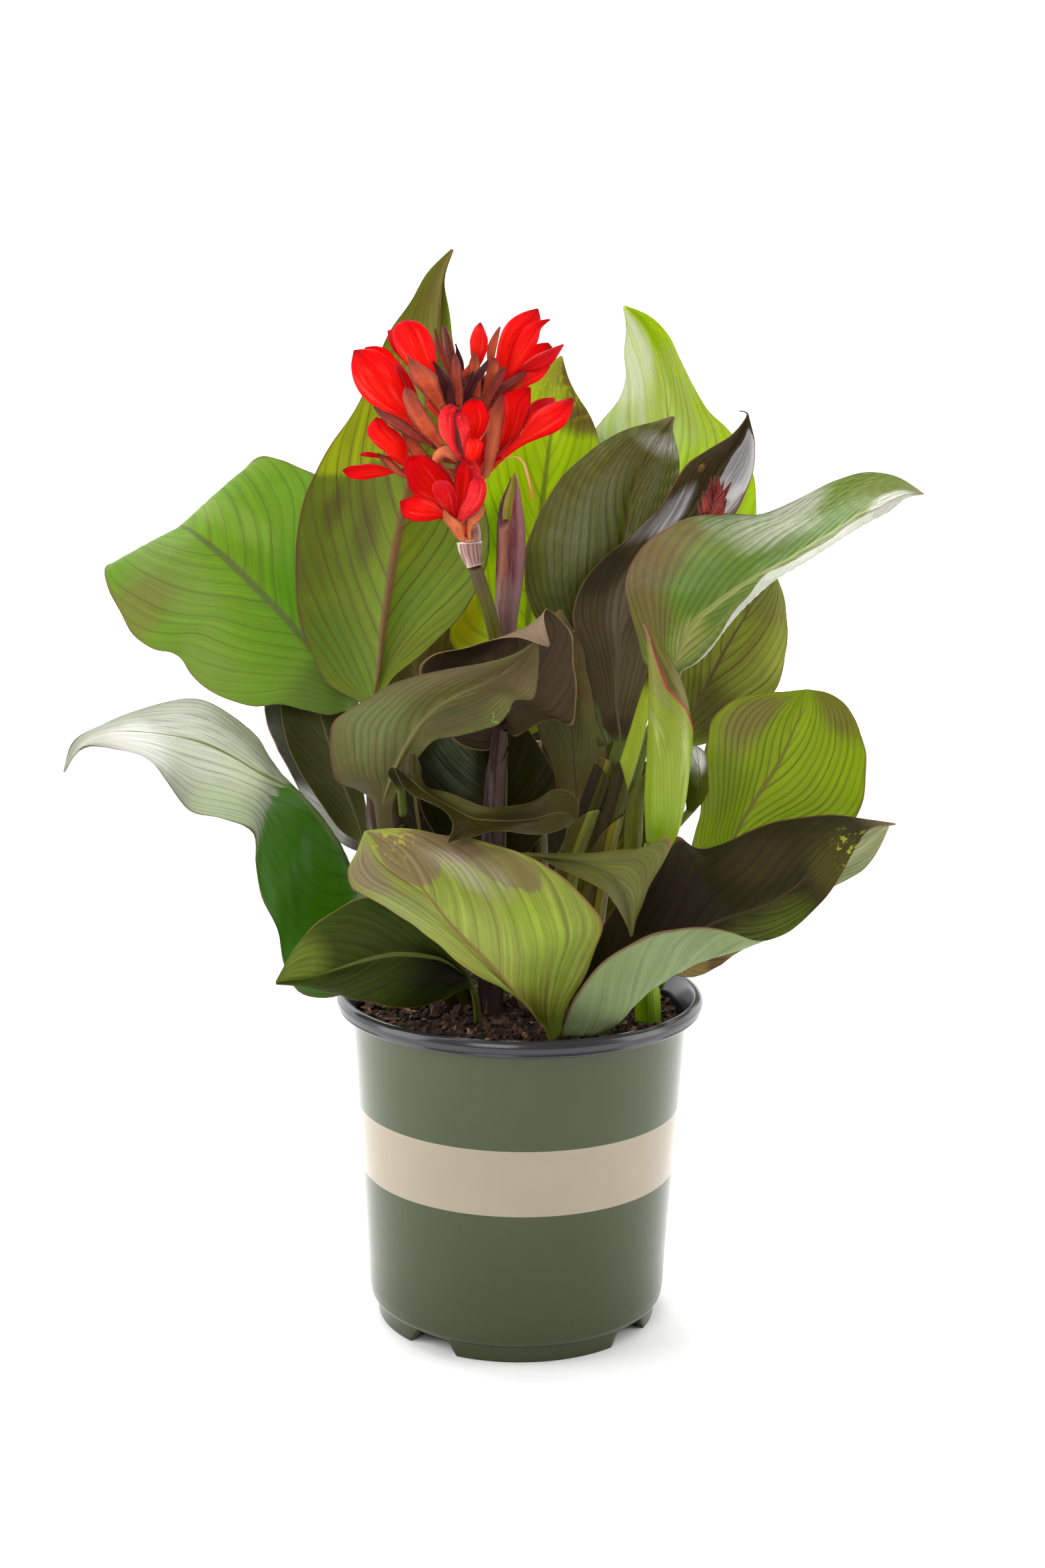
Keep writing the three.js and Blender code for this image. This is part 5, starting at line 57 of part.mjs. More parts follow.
  leaf_back_centre: { petiole: 4, colour: '#54702c', rows: 6, net: [[[7.8,44.2,208.2],[8.8,44.1,208.1],[9.8,44.1,208.1],[10.8,44,208.1],[11.8,43.9,208],[12.8,43.9,208],[13.8,43.8,208]],[[7.6,50,219.7],[8.6,49.9,219.7],[9.6,49.8,219.7],[10.6,49.8,219.6],[11.6,49.7,219.6],[12.7,49.6,219.6],[13.7,49.6,219.6]],[[7.4,56.2,231.3],[8.4,56.1,231.2],[9.5,56.1,231.2],[10.5,56,231.2],[11.5,55.9,231.1],[12.6,55.9,231.1],[13.6,55.8,231.1]],[[7.5,62.9,242.7],[8.5,62.9,242.7],[9.6,62.8,242.6],[10.6,62.7,242.6],[11.7,62.7,242.6],[12.7,62.6,242.6],[13.8,62.5,242.5]],[[7.9,70.2,254.1],[9,70.1,254.1],[10,70.1,254.1],[11.1,70,254],[12.2,69.9,254],[13.2,69.9,254],[14.3,69.8,253.9]],[[1.3,75.5,259.1],[4.6,77.1,259.2],[7.8,76.8,259.8],[11,74.5,260.8],[14.7,76.4,259.6],[18.3,76.2,258.8],[21.9,74.1,258.5]],[[-4,80.9,264.8],[1,83.3,265],[6,82.8,265.9],[11,79.3,267.5],[16.6,82,265.6],[22.3,81.8,264.3],[27.9,78.7,263.6]],[[-7.8,86.4,271.1],[-1.6,89.3,271.3],[4.7,88.6,272.4],[10.9,84.2,274.2],[18,87.7,271.9],[25,87.6,270.4],[32,83.8,269.7]],[[-10.9,91.9,278.1],[-3.7,95.2,278.1],[3.6,94.4,279.1],[10.8,89.3,281],[19.1,93.6,278.7],[27.4,93.6,277.3],[35.5,89.5,276.8]],[[-13.5,97.3,285.6],[-5.4,101.1,285.3],[2.7,100.2,286],[10.8,94.7,287.7],[19.9,99.5,285.6],[29,99.7,284.5],[38,95.3,284.4]],[[-15.2,102.9,293.3],[-6.5,107,292.6],[2.2,106.1,293],[10.8,100.3,294.4],[20.3,105.5,292.5],[29.7,105.7,291.7],[39,101,291.8]],[[-16.2,108.5,300.9],[-7.1,112.9,300],[2,112.1,300],[11,106.2,301.1],[20.6,111.5,299.5],[30.2,111.6,299],[39.7,106.7,299.5]],[[-17,114.1,308.8],[-7.6,118.6,307.4],[1.8,118,307.1],[11.2,112.1,307.8],[20.9,117.4,306.6],[30.6,117.5,306.5],[40.1,112.4,307.4]],[[-17.5,119.8,316.6],[-7.9,124.3,315],[1.7,123.7,314.3],[11.4,117.9,314.6],[21.1,123.1,313.8],[30.8,123.2,314],[40.3,118.1,315.2]],[[-17.7,125.8,324.4],[-8,130,322.6],[1.8,129.3,321.6],[11.6,123.6,321.5],[21,128.7,321.1],[30.5,128.9,321.6],[39.8,124.1,323]],[[-16.8,132.5,332.3],[-7.3,136,330.2],[2.3,134.9,328.9],[11.8,129.2,328.4],[20.8,134.2,328.4],[29.7,134.5,329.2],[38.5,130.2,330.8]],[[-15.1,138.7,340],[-6.1,141.6,337.8],[3,140.3,336.2],[12,134.8,335.4],[20.3,139.4,335.7],[28.6,139.8,336.8],[36.8,135.9,338.6]],[[-12.3,143.7,347.7],[-4.2,146.2,345.3],[3.9,145,343.6],[12,140.2,342.4],[19.5,144.2,343.2],[27,144.5,344.5],[34.4,141.1,346.5]],[[-7.6,147.9,355.1],[-1.1,150,352.8],[5.4,149.3,350.9],[11.9,145.6,349.5],[18.2,148.6,350.6],[24.5,148.7,352],[30.7,145.9,354]],[[-1.7,151.7,360.6],[2.8,153.3,359],[7.3,153.1,357.7],[11.9,150.8,356.7],[16.5,152.7,357.5],[21,152.6,358.6],[25.6,150.6,360]],[[10.9,156,363.9],[11.2,156,363.9],[11.5,156,363.9],[11.8,156,363.9],[12.1,156,363.9],[12.4,156,363.9],[12.7,156,363.9]]] },
  leaf_back_right: { petiole: 4, colour: '#54702c', rows: 6, net: [[[81.3,4.4,212],[82.3,4.3,211.9],[83.2,4.1,211.7],[84.2,4,211.5],[85.2,3.9,211.4],[86.2,3.7,211.2],[87.1,3.6,211]],[[91.9,16.7,220.6],[92.9,16.6,220.4],[93.9,16.5,220.2],[94.9,16.3,220.1],[95.9,16.2,219.9],[96.8,16.1,219.7],[97.8,15.9,219.6]],[[102.8,28.5,229.3],[103.8,28.4,229.1],[104.8,28.2,228.9],[105.8,28.1,228.7],[106.8,27.9,228.6],[107.8,27.8,228.4],[108.9,27.7,228.2]],[[114,39.7,238.1],[115,39.6,237.9],[116.1,39.4,237.7],[117.1,39.3,237.5],[118.1,39.2,237.4],[119.1,39,237.2],[120.2,38.9,237]],[[125.5,50.4,247],[126.6,50.3,246.8],[127.6,50.1,246.6],[128.7,50,246.4],[129.7,49.9,246.2],[130.7,49.7,246.1],[131.8,49.6,245.9]],[[122.4,54.9,253.5],[125.7,56.7,252.7],[128.7,56.6,252.4],[131.6,54.6,252.6],[134.9,55.8,251.3],[138,55,250.6],[140.9,52.4,250.4]],[[119.8,59.8,260],[125,62.5,258.9],[129.9,62.3,258.5],[134.5,59.2,258.7],[139.6,61,256.5],[144.5,60,254.9],[149.1,56.1,254]],[[119.1,64.8,266.7],[125.5,68.1,265.3],[131.5,67.8,264.7],[137.2,63.8,265],[144,66.2,261.9],[150.4,65,259.7],[156.4,60,258.3]],[[119.4,69.7,273.6],[126.6,73.6,271.9],[133.5,73.2,271.1],[139.9,68.5,271.3],[148.1,71.4,267.8],[155.9,70,265.3],[163.2,64.4,263.7]],[[119.9,74.7,280.8],[127.8,78.9,278.7],[135.4,78.4,277.7],[142.4,73.3,277.7],[152,76.5,274.1],[161,75.1,271.6],[169.4,69,270.2]],[[120.5,79.7,287.9],[129.1,84.2,285.6],[137.3,83.6,284.3],[145,78.2,284.1],[155.3,81.7,280.7],[165.1,80.3,278.4],[174.3,74,277.1]],[[121.3,84.7,295],[130.5,89.3,292.5],[139.2,88.7,291],[147.4,83.1,290.6],[158.3,86.9,287.5],[168.6,85.6,285.4],[178.3,79.2,284.5]],[[122.6,89.6,302.2],[132.1,94.2,299.5],[141.1,93.7,297.8],[149.6,88,297.1],[160.8,92.1,294.5],[171.5,91,293],[181.6,84.7,292.5]],[[124.1,94.5,309.4],[133.7,99.1,306.5],[142.9,98.6,304.6],[151.5,92.9,303.8],[162.6,97.2,301.7],[173.2,96.3,300.6],[183.1,90.2,300.6]],[[125.9,99.5,316.5],[135.6,103.9,313.6],[144.8,103.4,311.6],[153.5,97.9,310.5],[164,102.2,309],[173.9,101.5,308.4],[183.2,95.9,308.8]],[[128.2,104.6,323.6],[137.7,108.7,320.7],[146.7,108.1,318.6],[155.3,102.8,317.4],[165,107.1,316.4],[174.3,106.6,316.3],[182.9,101.6,317.1]],[[131,109.6,330.5],[139.9,113.3,327.6],[148.4,112.7,325.5],[156.5,107.9,324.2],[165.5,111.9,323.8],[174.2,111.7,324.1],[182.3,107.2,325.3]],[[134.7,114.5,337.3],[142.4,117.8,334.6],[149.8,117.3,332.5],[156.9,113.2,331.1],[165,116.7,331.2],[172.7,116.6,332.1],[179.9,112.8,333.5]],[[139.3,119.4,343.7],[145.5,122,341.3],[151.5,121.8,339.4],[157.1,118.7,338],[163.8,121.5,338.5],[170.1,121.4,339.5],[176.1,118.3,341.1]],[[145,123.9,348.8],[149.2,125.9,347.2],[153.3,126.1,345.9],[157.2,124.3,344.9],[162,125.9,345.3],[166.5,125.6,345.9],[170.8,123.4,346.9]],[[156.1,130,352],[156.4,130,352],[156.7,130,351.9],[157,130,351.9],[157.3,130,351.9],[157.6,130,351.9],[157.9,130,351.8]]] },
  leaf_back_low_left: { petiole: 4, colour: '#4a5f2a', rows: 6, net: [[[-17.7,29.6,203.4],[-17.4,29.7,202.5],[-17.1,29.9,201.6],[-16.9,30,200.7],[-16.6,30.1,199.8],[-16.3,30.3,199],[-16.1,30.4,198.1]],[[-21,35.3,211.5],[-20.8,35.5,210.6],[-20.5,35.6,209.7],[-20.2,35.8,208.8],[-20,35.9,207.9],[-19.7,36,207],[-19.4,36.2,206.1]],[[-25.1,42.5,219],[-24.8,42.7,218.1],[-24.5,42.8,217.2],[-24.3,42.9,216.3],[-24,43.1,215.3],[-23.7,43.2,214.4],[-23.4,43.4,213.5]],[[-29.9,51.2,225.8],[-29.6,51.3,224.9],[-29.3,51.4,223.9],[-29,51.6,223],[-28.8,51.7,222.1],[-28.5,51.9,221.1],[-28.2,52,220.2]],[[-35.6,61.6,231.9],[-35.3,61.7,230.9],[-35,61.9,230],[-34.7,62,229],[-34.4,62.1,228.1],[-34.2,62.3,227.1],[-33.9,62.4,226.2]],[[-39.9,65.5,234.4],[-38.9,64.5,232.9],[-38,64.4,231.1],[-37.2,65.3,229],[-36.7,65.1,226.6],[-36.3,65.9,224],[-35.9,67.6,221.2]],[[-44.9,69.4,236.4],[-43.1,67.8,234.3],[-41.3,67.6,231.8],[-39.6,68.9,228.9],[-39.1,68.9,225.4],[-38.6,70.4,221.5],[-38.2,73.3,217.2]],[[-49.8,73.6,238.5],[-47.2,71.5,235.7],[-44.6,71.2,232.4],[-42.1,72.7,228.7],[-41.6,73.1,224.2],[-41.2,75.3,219.2],[-40.8,79.3,213.7]],[[-54.7,78,240.7],[-51.3,75.4,237.1],[-47.9,75,233],[-44.6,76.6,228.4],[-44.3,77.5,223],[-44.1,80.4,217],[-43.9,85.5,210.5]],[[-59.3,82.6,243.3],[-55.2,79.7,238.8],[-51.1,79,233.7],[-47.2,80.7,228],[-47.1,82.1,221.8],[-47.2,85.8,215],[-47.3,91.8,207.4]],[[-63.8,87.5,246.1],[-59,84.2,240.6],[-54.4,83.3,234.4],[-49.8,84.9,227.6],[-50,86.9,220.7],[-50.2,91.3,213.1],[-50.6,98.1,204.8]],[[-68.5,93,248.6],[-63,89.2,242.1],[-57.6,87.9,235],[-52.4,89.2,227.2],[-52.8,91.7,219.6],[-53.4,96.8,211.3],[-54.1,104.4,202.3]],[[-73.7,99.4,250.1],[-67.3,94.9,242.9],[-61.1,93,235.2],[-55,93.6,226.7],[-55.8,96.8,218.5],[-56.6,102.5,209.6],[-57.6,110.8,199.9]],[[-80.4,107.5,250.9],[-72.7,101.9,243.2],[-65.1,98.9,235],[-57.7,98.4,226.1],[-58.7,102.3,217.5],[-59.9,108.7,208.1],[-61.2,117.7,197.9]],[[-85.2,117.1,249.7],[-76.8,110.2,242.1],[-68.5,105.7,233.9],[-60.4,103.7,225.1],[-61.8,108.6,216.2],[-63.4,115.9,206.6],[-65.1,125.7,196.2]],[[-87.7,129.4,240.8],[-79.3,120.6,235.6],[-71.2,114,229.9],[-63.2,109.8,223.7],[-64.9,115.4,214.8],[-66.8,123.4,205.3],[-68.8,133.6,195]],[[-87.9,138.3,232.4],[-80.6,129.2,229.3],[-73.5,122.2,225.8],[-66.5,117.3,221.7],[-68.1,122.9,213.4],[-69.8,130.5,204.5],[-71.6,140.2,194.9]],[[-85.5,144.9,225.3],[-80.1,136.8,223.8],[-74.8,130.5,221.8],[-69.7,126.1,219.5],[-71.1,130.9,212.3],[-72.5,137.6,204.7],[-74.1,146.1,196.5]],[[-82.2,150.1,218.7],[-78.7,143.9,218.5],[-75.2,139.1,217.9],[-71.9,135.8,217],[-72.8,139.5,211.2],[-73.9,144.7,205.1],[-75.1,151.3,198.5]],[[-78.7,154.5,212.9],[-76.9,151.1,212.9],[-75.2,148.6,212.6],[-73.5,147.2,212.1],[-74,149.1,208.5],[-74.6,152,204.8],[-75.2,155.9,200.7]],[[-74.9,159.9,206.1],[-74.8,159.9,205.8],[-74.7,160,205.5],[-74.6,160,205.3],[-74.5,160,205],[-74.4,160.1,204.7],[-74.4,160.1,204.4]]] },
  leaf_back_upper_left: { petiole: 4, colour: '#4d6a2a', rows: 6, net: [[[-36.8,20.1,256.5],[-35.8,20.1,256.6],[-34.8,20,256.7],[-33.8,20,256.9],[-32.8,20,257],[-31.8,19.9,257.1],[-30.9,19.9,257.2]],[[-42.8,27,271.9],[-41.8,27,272],[-40.8,27,272.2],[-39.8,26.9,272.3],[-38.8,26.9,272.4],[-37.8,26.9,272.5],[-36.8,26.8,272.6]],[[-47.6,34.3,287.6],[-46.6,34.3,287.8],[-45.6,34.3,287.9],[-44.5,34.2,288],[-43.5,34.2,288.1],[-42.5,34.2,288.2],[-41.5,34.1,288.4]],[[-51.4,42,303.6],[-50.3,42,303.8],[-49.3,41.9,303.9],[-48.2,41.9,304],[-47.2,41.9,304.1],[-46.2,41.9,304.3],[-45.1,41.8,304.4]],[[-54.2,50.1,320],[-53.1,50.1,320.1],[-52.1,50,320.2],[-51,50,320.3],[-50,50,320.5],[-48.9,49.9,320.6],[-47.9,49.9,320.7]],[[-62,53.9,325.1],[-59.1,56.2,325.6],[-56.2,56.6,326.5],[-53.2,55.1,327.8],[-49.2,56.4,327.4],[-45.2,55.8,327.3],[-41.1,53.3,327.5]],[[-68.9,58.1,330.7],[-64.5,61.8,331.7],[-60,62.5,333.2],[-55.3,60.3,335.3],[-49.1,62.5,334.7],[-42.8,61.8,334.6],[-36.5,58.1,335]],[[-74.4,62.8,337.1],[-68.9,67.4,338.3],[-63.3,68.4,340.3],[-57.5,65.7,342.8],[-49.9,68.6,342.3],[-42.2,67.9,342.4],[-34.4,63.5,343.1]],[[-79.1,68,344.5],[-72.8,73.3,345.7],[-66.3,74.4,347.7],[-59.6,71.3,350.4],[-50.9,75,350.1],[-42.1,74.5,350.6],[-33.1,69.7,351.8]],[[-83.2,73.5,352.4],[-76.3,79.4,353.4],[-69.1,80.6,355.3],[-61.7,77.2,357.9],[-52.2,81.4,358.1],[-42.5,81,359.1],[-32.7,75.9,360.8]],[[-86.8,79.1,360.3],[-79.4,85.4,361.2],[-71.7,86.8,363],[-63.8,83.3,365.5],[-53.8,87.8,366.1],[-43.5,87.3,367.5],[-33.2,81.8,369.6]],[[-90.3,84.8,368.4],[-82.5,91.4,369.2],[-74.3,93,370.8],[-65.9,89.4,373.1],[-55.4,93.9,374.2],[-44.8,93.4,376],[-34,87.7,378.6]],[[-93.2,90.6,376.7],[-85.1,97.3,377.3],[-76.7,98.9,378.7],[-68,95.2,380.8],[-57.2,99.8,382.3],[-46.2,99.3,384.6],[-35,93.5,387.5]],[[-95,96.5,385.2],[-87.1,103.1,385.6],[-78.8,104.5,386.7],[-70.3,100.8,388.6],[-59.2,105.5,390.5],[-47.9,105,393.2],[-36.5,99.4,396.5]],[[-96.3,102.6,393.8],[-88.7,108.8,394],[-80.8,110.1,394.9],[-72.6,106.4,396.4],[-61.6,110.9,398.8],[-50.3,110.5,401.9],[-38.9,105.2,405.6]],[[-97.4,108.6,402.6],[-90.2,114.3,402.6],[-82.6,115.4,403.1],[-74.8,111.7,404.3],[-64.1,116.1,407],[-53.1,115.8,410.4],[-41.9,110.8,414.2]],[[-98,114.4,411.4],[-91.3,119.5,411.2],[-84.2,120.3,411.5],[-76.9,116.9,412.3],[-66.8,120.9,415.2],[-56.4,120.6,418.7],[-46,116.1,422.6]],[[-97.2,119.8,420.5],[-91.3,124.1,420],[-85.1,124.9,420],[-78.8,121.9,420.4],[-69.9,125.3,423.4],[-60.9,125,426.8],[-51.8,121,430.6]],[[-95.1,124.8,429.3],[-90.4,128.4,428.7],[-85.6,129.1,428.5],[-80.6,126.8,428.6],[-73.4,129.3,431.1],[-66.1,129,433.9],[-58.6,125.7,437]],[[-91.5,129.6,437.2],[-88.5,132.2,436.9],[-85.4,132.8,436.8],[-82.2,131.5,436.8],[-77.2,132.9,438.3],[-72.1,132.4,440],[-66.9,130,441.9]],[[-84.7,136,445],[-84.4,136,445.1],[-84.1,136,445.1],[-83.8,136,445.2],[-83.5,136,445.2],[-83.2,136,445.3],[-82.9,136,445.3]]] },
  leaf_back_upper_right: { petiole: 4, colour: '#54702c', rows: 6, net: [[[25.6,44.4,260.8],[26.6,44.3,260.7],[27.6,44.1,260.6],[28.5,44,260.4],[29.5,43.9,260.3],[30.5,43.7,260.2],[31.5,43.6,260.1]],[[29.3,50.5,277.3],[30.3,50.3,277.1],[31.3,50.2,277],[32.3,50.1,276.9],[33.3,49.9,276.8],[34.3,49.8,276.7],[35.3,49.6,276.6]],[[33,56.8,293.7],[34,56.7,293.6],[35.1,56.6,293.5],[36.1,56.4,293.4],[37.1,56.3,293.3],[38.1,56.1,293.2],[39.1,56,293]],[[36.9,63.5,310.2],[37.9,63.3,310.1],[39,63.2,310],[40,63.1,309.9],[41,62.9,309.7],[42.1,62.8,309.6],[43.1,62.6,309.5]],[[40.9,70.5,326.7],[41.9,70.3,326.6],[43,70.2,326.4],[44,70,326.3],[45.1,69.8,326.2],[46.1,69.7,326.1],[47.2,69.5,326]],[[36.3,75.1,334],[39.4,77.1,333.6],[42.3,77.2,333.6],[45.2,75.3,334],[48.6,76.3,332.9],[51.9,75.3,332.2],[55.1,72.4,331.8]],[[33.1,80.3,341.9],[37.7,83.3,341.3],[42.2,83.4,341.3],[46.6,80.6,341.7],[51.8,82.1,339.9],[56.9,80.7,338.5],[61.8,76.3,337.7]],[[31.9,85.7,350],[37.4,89.4,349.2],[42.8,89.5,349],[48,85.9,349.4],[54.6,87.9,347.1],[61,86.2,345.5],[67.2,80.8,344.4]],[[31.5,91.2,358.5],[37.7,95.5,357.3],[43.7,95.5,356.9],[49.6,91.3,357.2],[57.2,93.8,354.7],[64.6,92.1,353],[71.8,86.1,352]],[[31.2,96.9,367.1],[38.1,101.5,365.6],[44.8,101.4,364.9],[51.4,96.7,364.9],[59.7,99.6,362.5],[67.8,98,360.9],[75.7,91.6,360]],[[31.1,102.5,375.7],[38.7,107.3,374],[46.1,107.2,372.9],[53.4,102.1,372.7],[62,105.3,370.4],[70.4,103.5,368.9],[78.5,96.7,368.2]],[[31.6,108.2,384.4],[39.7,113.1,382.3],[47.7,112.9,381],[55.5,107.5,380.5],[64.2,110.7,378.5],[72.7,108.6,377.2],[81,101.5,376.8]],[[32.8,113.8,393.1],[41.1,118.7,390.8],[49.4,118.4,389.2],[57.5,113,388.3],[66.2,116,386.7],[74.7,113.7,385.7],[82.8,106.3,385.5]],[[34.3,119.2,401.7],[42.8,124.1,399.2],[51.3,123.9,397.4],[59.5,118.5,396.2],[67.9,121.3,394.9],[76.1,119,394.2],[84,111.5,394.3]],[[36.2,124.3,410.4],[44.8,129.2,407.7],[53.3,129.1,405.6],[61.5,124.1,404.1],[69.6,126.7,403.1],[77.4,124.4,402.8],[84.8,117.1,403.1]],[[39,129.1,419.1],[47.3,133.9,416.2],[55.5,134.1,413.9],[63.5,129.5,412.1],[71.1,131.9,411.5],[78.4,129.7,411.4],[85.5,122.8,411.9]],[[42.5,133.8,427.4],[50.3,138.3,424.5],[57.9,138.5,422.1],[65.3,134.6,420.2],[72.4,136.7,419.9],[79.2,134.7,420.1],[85.8,128.4,420.8]],[[47.3,138.3,435.1],[54,142.3,432.5],[60.6,142.6,430.3],[67,139.3,428.4],[73.3,141,428.5],[79.3,139.1,429.1],[85.2,133.6,430]],[[53.5,142.6,442.3],[58.6,145.9,440.1],[63.7,146.3,438.2],[68.6,143.8,436.7],[73.8,145,437.1],[78.9,143.4,437.9],[83.7,138.8,438.9]],[[60.6,146.5,448.1],[63.8,149,446.9],[67,149.5,445.9],[70,148,445.1],[73.6,148.7,445.4],[77.1,147.5,446],[80.4,144.3,446.7]],[[70.5,152.1,453.6],[70.8,152.1,453.5],[71.1,152,453.5],[71.3,152,453.5],[71.6,152,453.5],[71.9,151.9,453.5],[72.2,151.9,453.4]]] },
  leaf_back_side_left: { petiole: 4, colour: '#4a5f2a', rows: 6, net: [[[-37.4,14,205.6],[-37.4,14,204.7],[-37.4,14,203.8],[-37.4,14,202.8],[-37.4,14,201.9],[-37.4,14,201],[-37.4,14,200]],[[-42,17.6,212.3],[-42,17.6,211.4],[-42,17.6,210.4],[-42,17.6,209.5],[-42,17.6,208.5],[-42,17.6,207.6],[-41.9,17.6,206.6]],[[-47,22,218.5],[-47,22.1,217.6],[-47,22.1,216.6],[-47,22.1,215.6],[-47,22.1,214.7],[-46.9,22.1,213.7],[-46.9,22.1,212.7]],[[-52.4,27.5,224.2],[-52.4,27.5,223.2],[-52.4,27.5,222.3],[-52.4,27.5,221.3],[-52.4,27.5,220.3],[-52.4,27.5,219.3],[-52.4,27.5,218.3]],[[-58.3,34,229.4],[-58.3,34,228.4],[-58.3,34,227.4],[-58.3,34,226.4],[-58.3,34,225.4],[-58.3,34,224.4],[-58.2,34,223.4]],[[-63.6,38.7,232.7],[-63.5,37.8,231.2],[-63.6,38.1,229.3],[-63.7,39.8,227.1],[-63.5,38.2,224.9],[-63.4,37.8,222.5],[-63.4,38.8,219.6]],[[-68.2,43.5,235.6],[-68.4,42.2,233.5],[-68.8,42.9,230.8],[-69.2,45.5,227.7],[-69.2,43.3,224.4],[-69.2,43.1,220.7],[-69.4,44.8,216.4]],[[-73.1,48.4,238.2],[-73.5,46.9,235.5],[-74.1,47.8,232.1],[-74.7,51.2,228.2],[-74.9,48.6,224.1],[-75.2,48.5,219.3],[-75.6,50.8,213.9]],[[-78.3,53.3,240.3],[-78.8,51.7,237.1],[-79.5,52.9,233.2],[-80.4,56.9,228.5],[-80.7,54.1,223.8],[-81.2,54.1,218.4],[-81.9,56.9,212.1]],[[-83.8,58.3,242.1],[-84.4,56.6,238.4],[-85.1,58.1,234],[-86.1,62.6,228.8],[-86.7,59.7,223.5],[-87.4,59.9,217.3],[-88.3,63.1,210.4]],[[-89.5,63.3,243.6],[-90.1,61.7,239.6],[-90.9,63.3,234.7],[-91.9,68.3,228.9],[-92.7,65.3,223],[-93.6,65.7,216.3],[-94.8,69.4,208.6]],[[-95.5,68.5,244.9],[-96,66.9,240.4],[-96.8,68.7,235.1],[-97.8,73.9,229],[-98.7,71,222.5],[-99.9,71.6,215.2],[-101.2,75.5,206.9]],[[-101.5,73.7,245.8],[-102,72.2,241],[-102.8,74.1,235.4],[-103.8,79.4,228.9],[-104.8,76.7,222.2],[-106.1,77.5,214.7],[-107.7,81.7,206.2]],[[-107.6,79,246.9],[-108.1,77.6,241.7],[-108.8,79.5,235.6],[-109.8,84.8,228.6],[-111,82.4,222.2],[-112.4,83.4,214.8],[-114.1,87.9,206.5]],[[-114,84.5,247.6],[-114.3,83.1,242],[-115,84.9,235.6],[-115.9,90.1,228.3],[-117.1,88,222.2],[-118.6,89.1,215.2],[-120.3,93.6,207.4]],[[-120.4,90,247.5],[-120.7,88.7,241.7],[-121.2,90.5,235.2],[-122.1,95.3,227.9],[-123.2,93.3,222.3],[-124.6,94.4,215.8],[-126.3,98.6,208.6]],[[-127,95.8,245.9],[-127.2,94.6,240.5],[-127.6,96.1,234.4],[-128.2,100.4,227.5],[-129.2,98.5,222.6],[-130.5,99.4,217],[-132,103.1,210.6]],[[-134,101.9,243.6],[-133.9,100.7,238.8],[-134,101.8,233.4],[-134.4,105.5,227.4],[-135.2,103.6,223.3],[-136.2,104.2,218.6],[-137.5,107.2,213.3]],[[-140.5,107.8,240.9],[-140.3,106.7,236.8],[-140.4,107.6,232.3],[-140.6,110.4,227.3],[-141.1,108.7,224.1],[-141.7,109,220.5],[-142.6,111.3,216.3]],[[-146.2,113.1,236.7],[-146.3,112.5,233.8],[-146.5,113.2,230.7],[-146.8,115.2,227.2],[-146.8,113.9,225.1],[-147,113.9,222.6],[-147.3,115.2,219.8]],[[-153,119.9,228.1],[-153,119.9,227.9],[-153,120,227.6],[-153,120,227.3],[-153.1,120,227],[-153.1,120.1,226.7],[-153.1,120.1,226.4]]] },
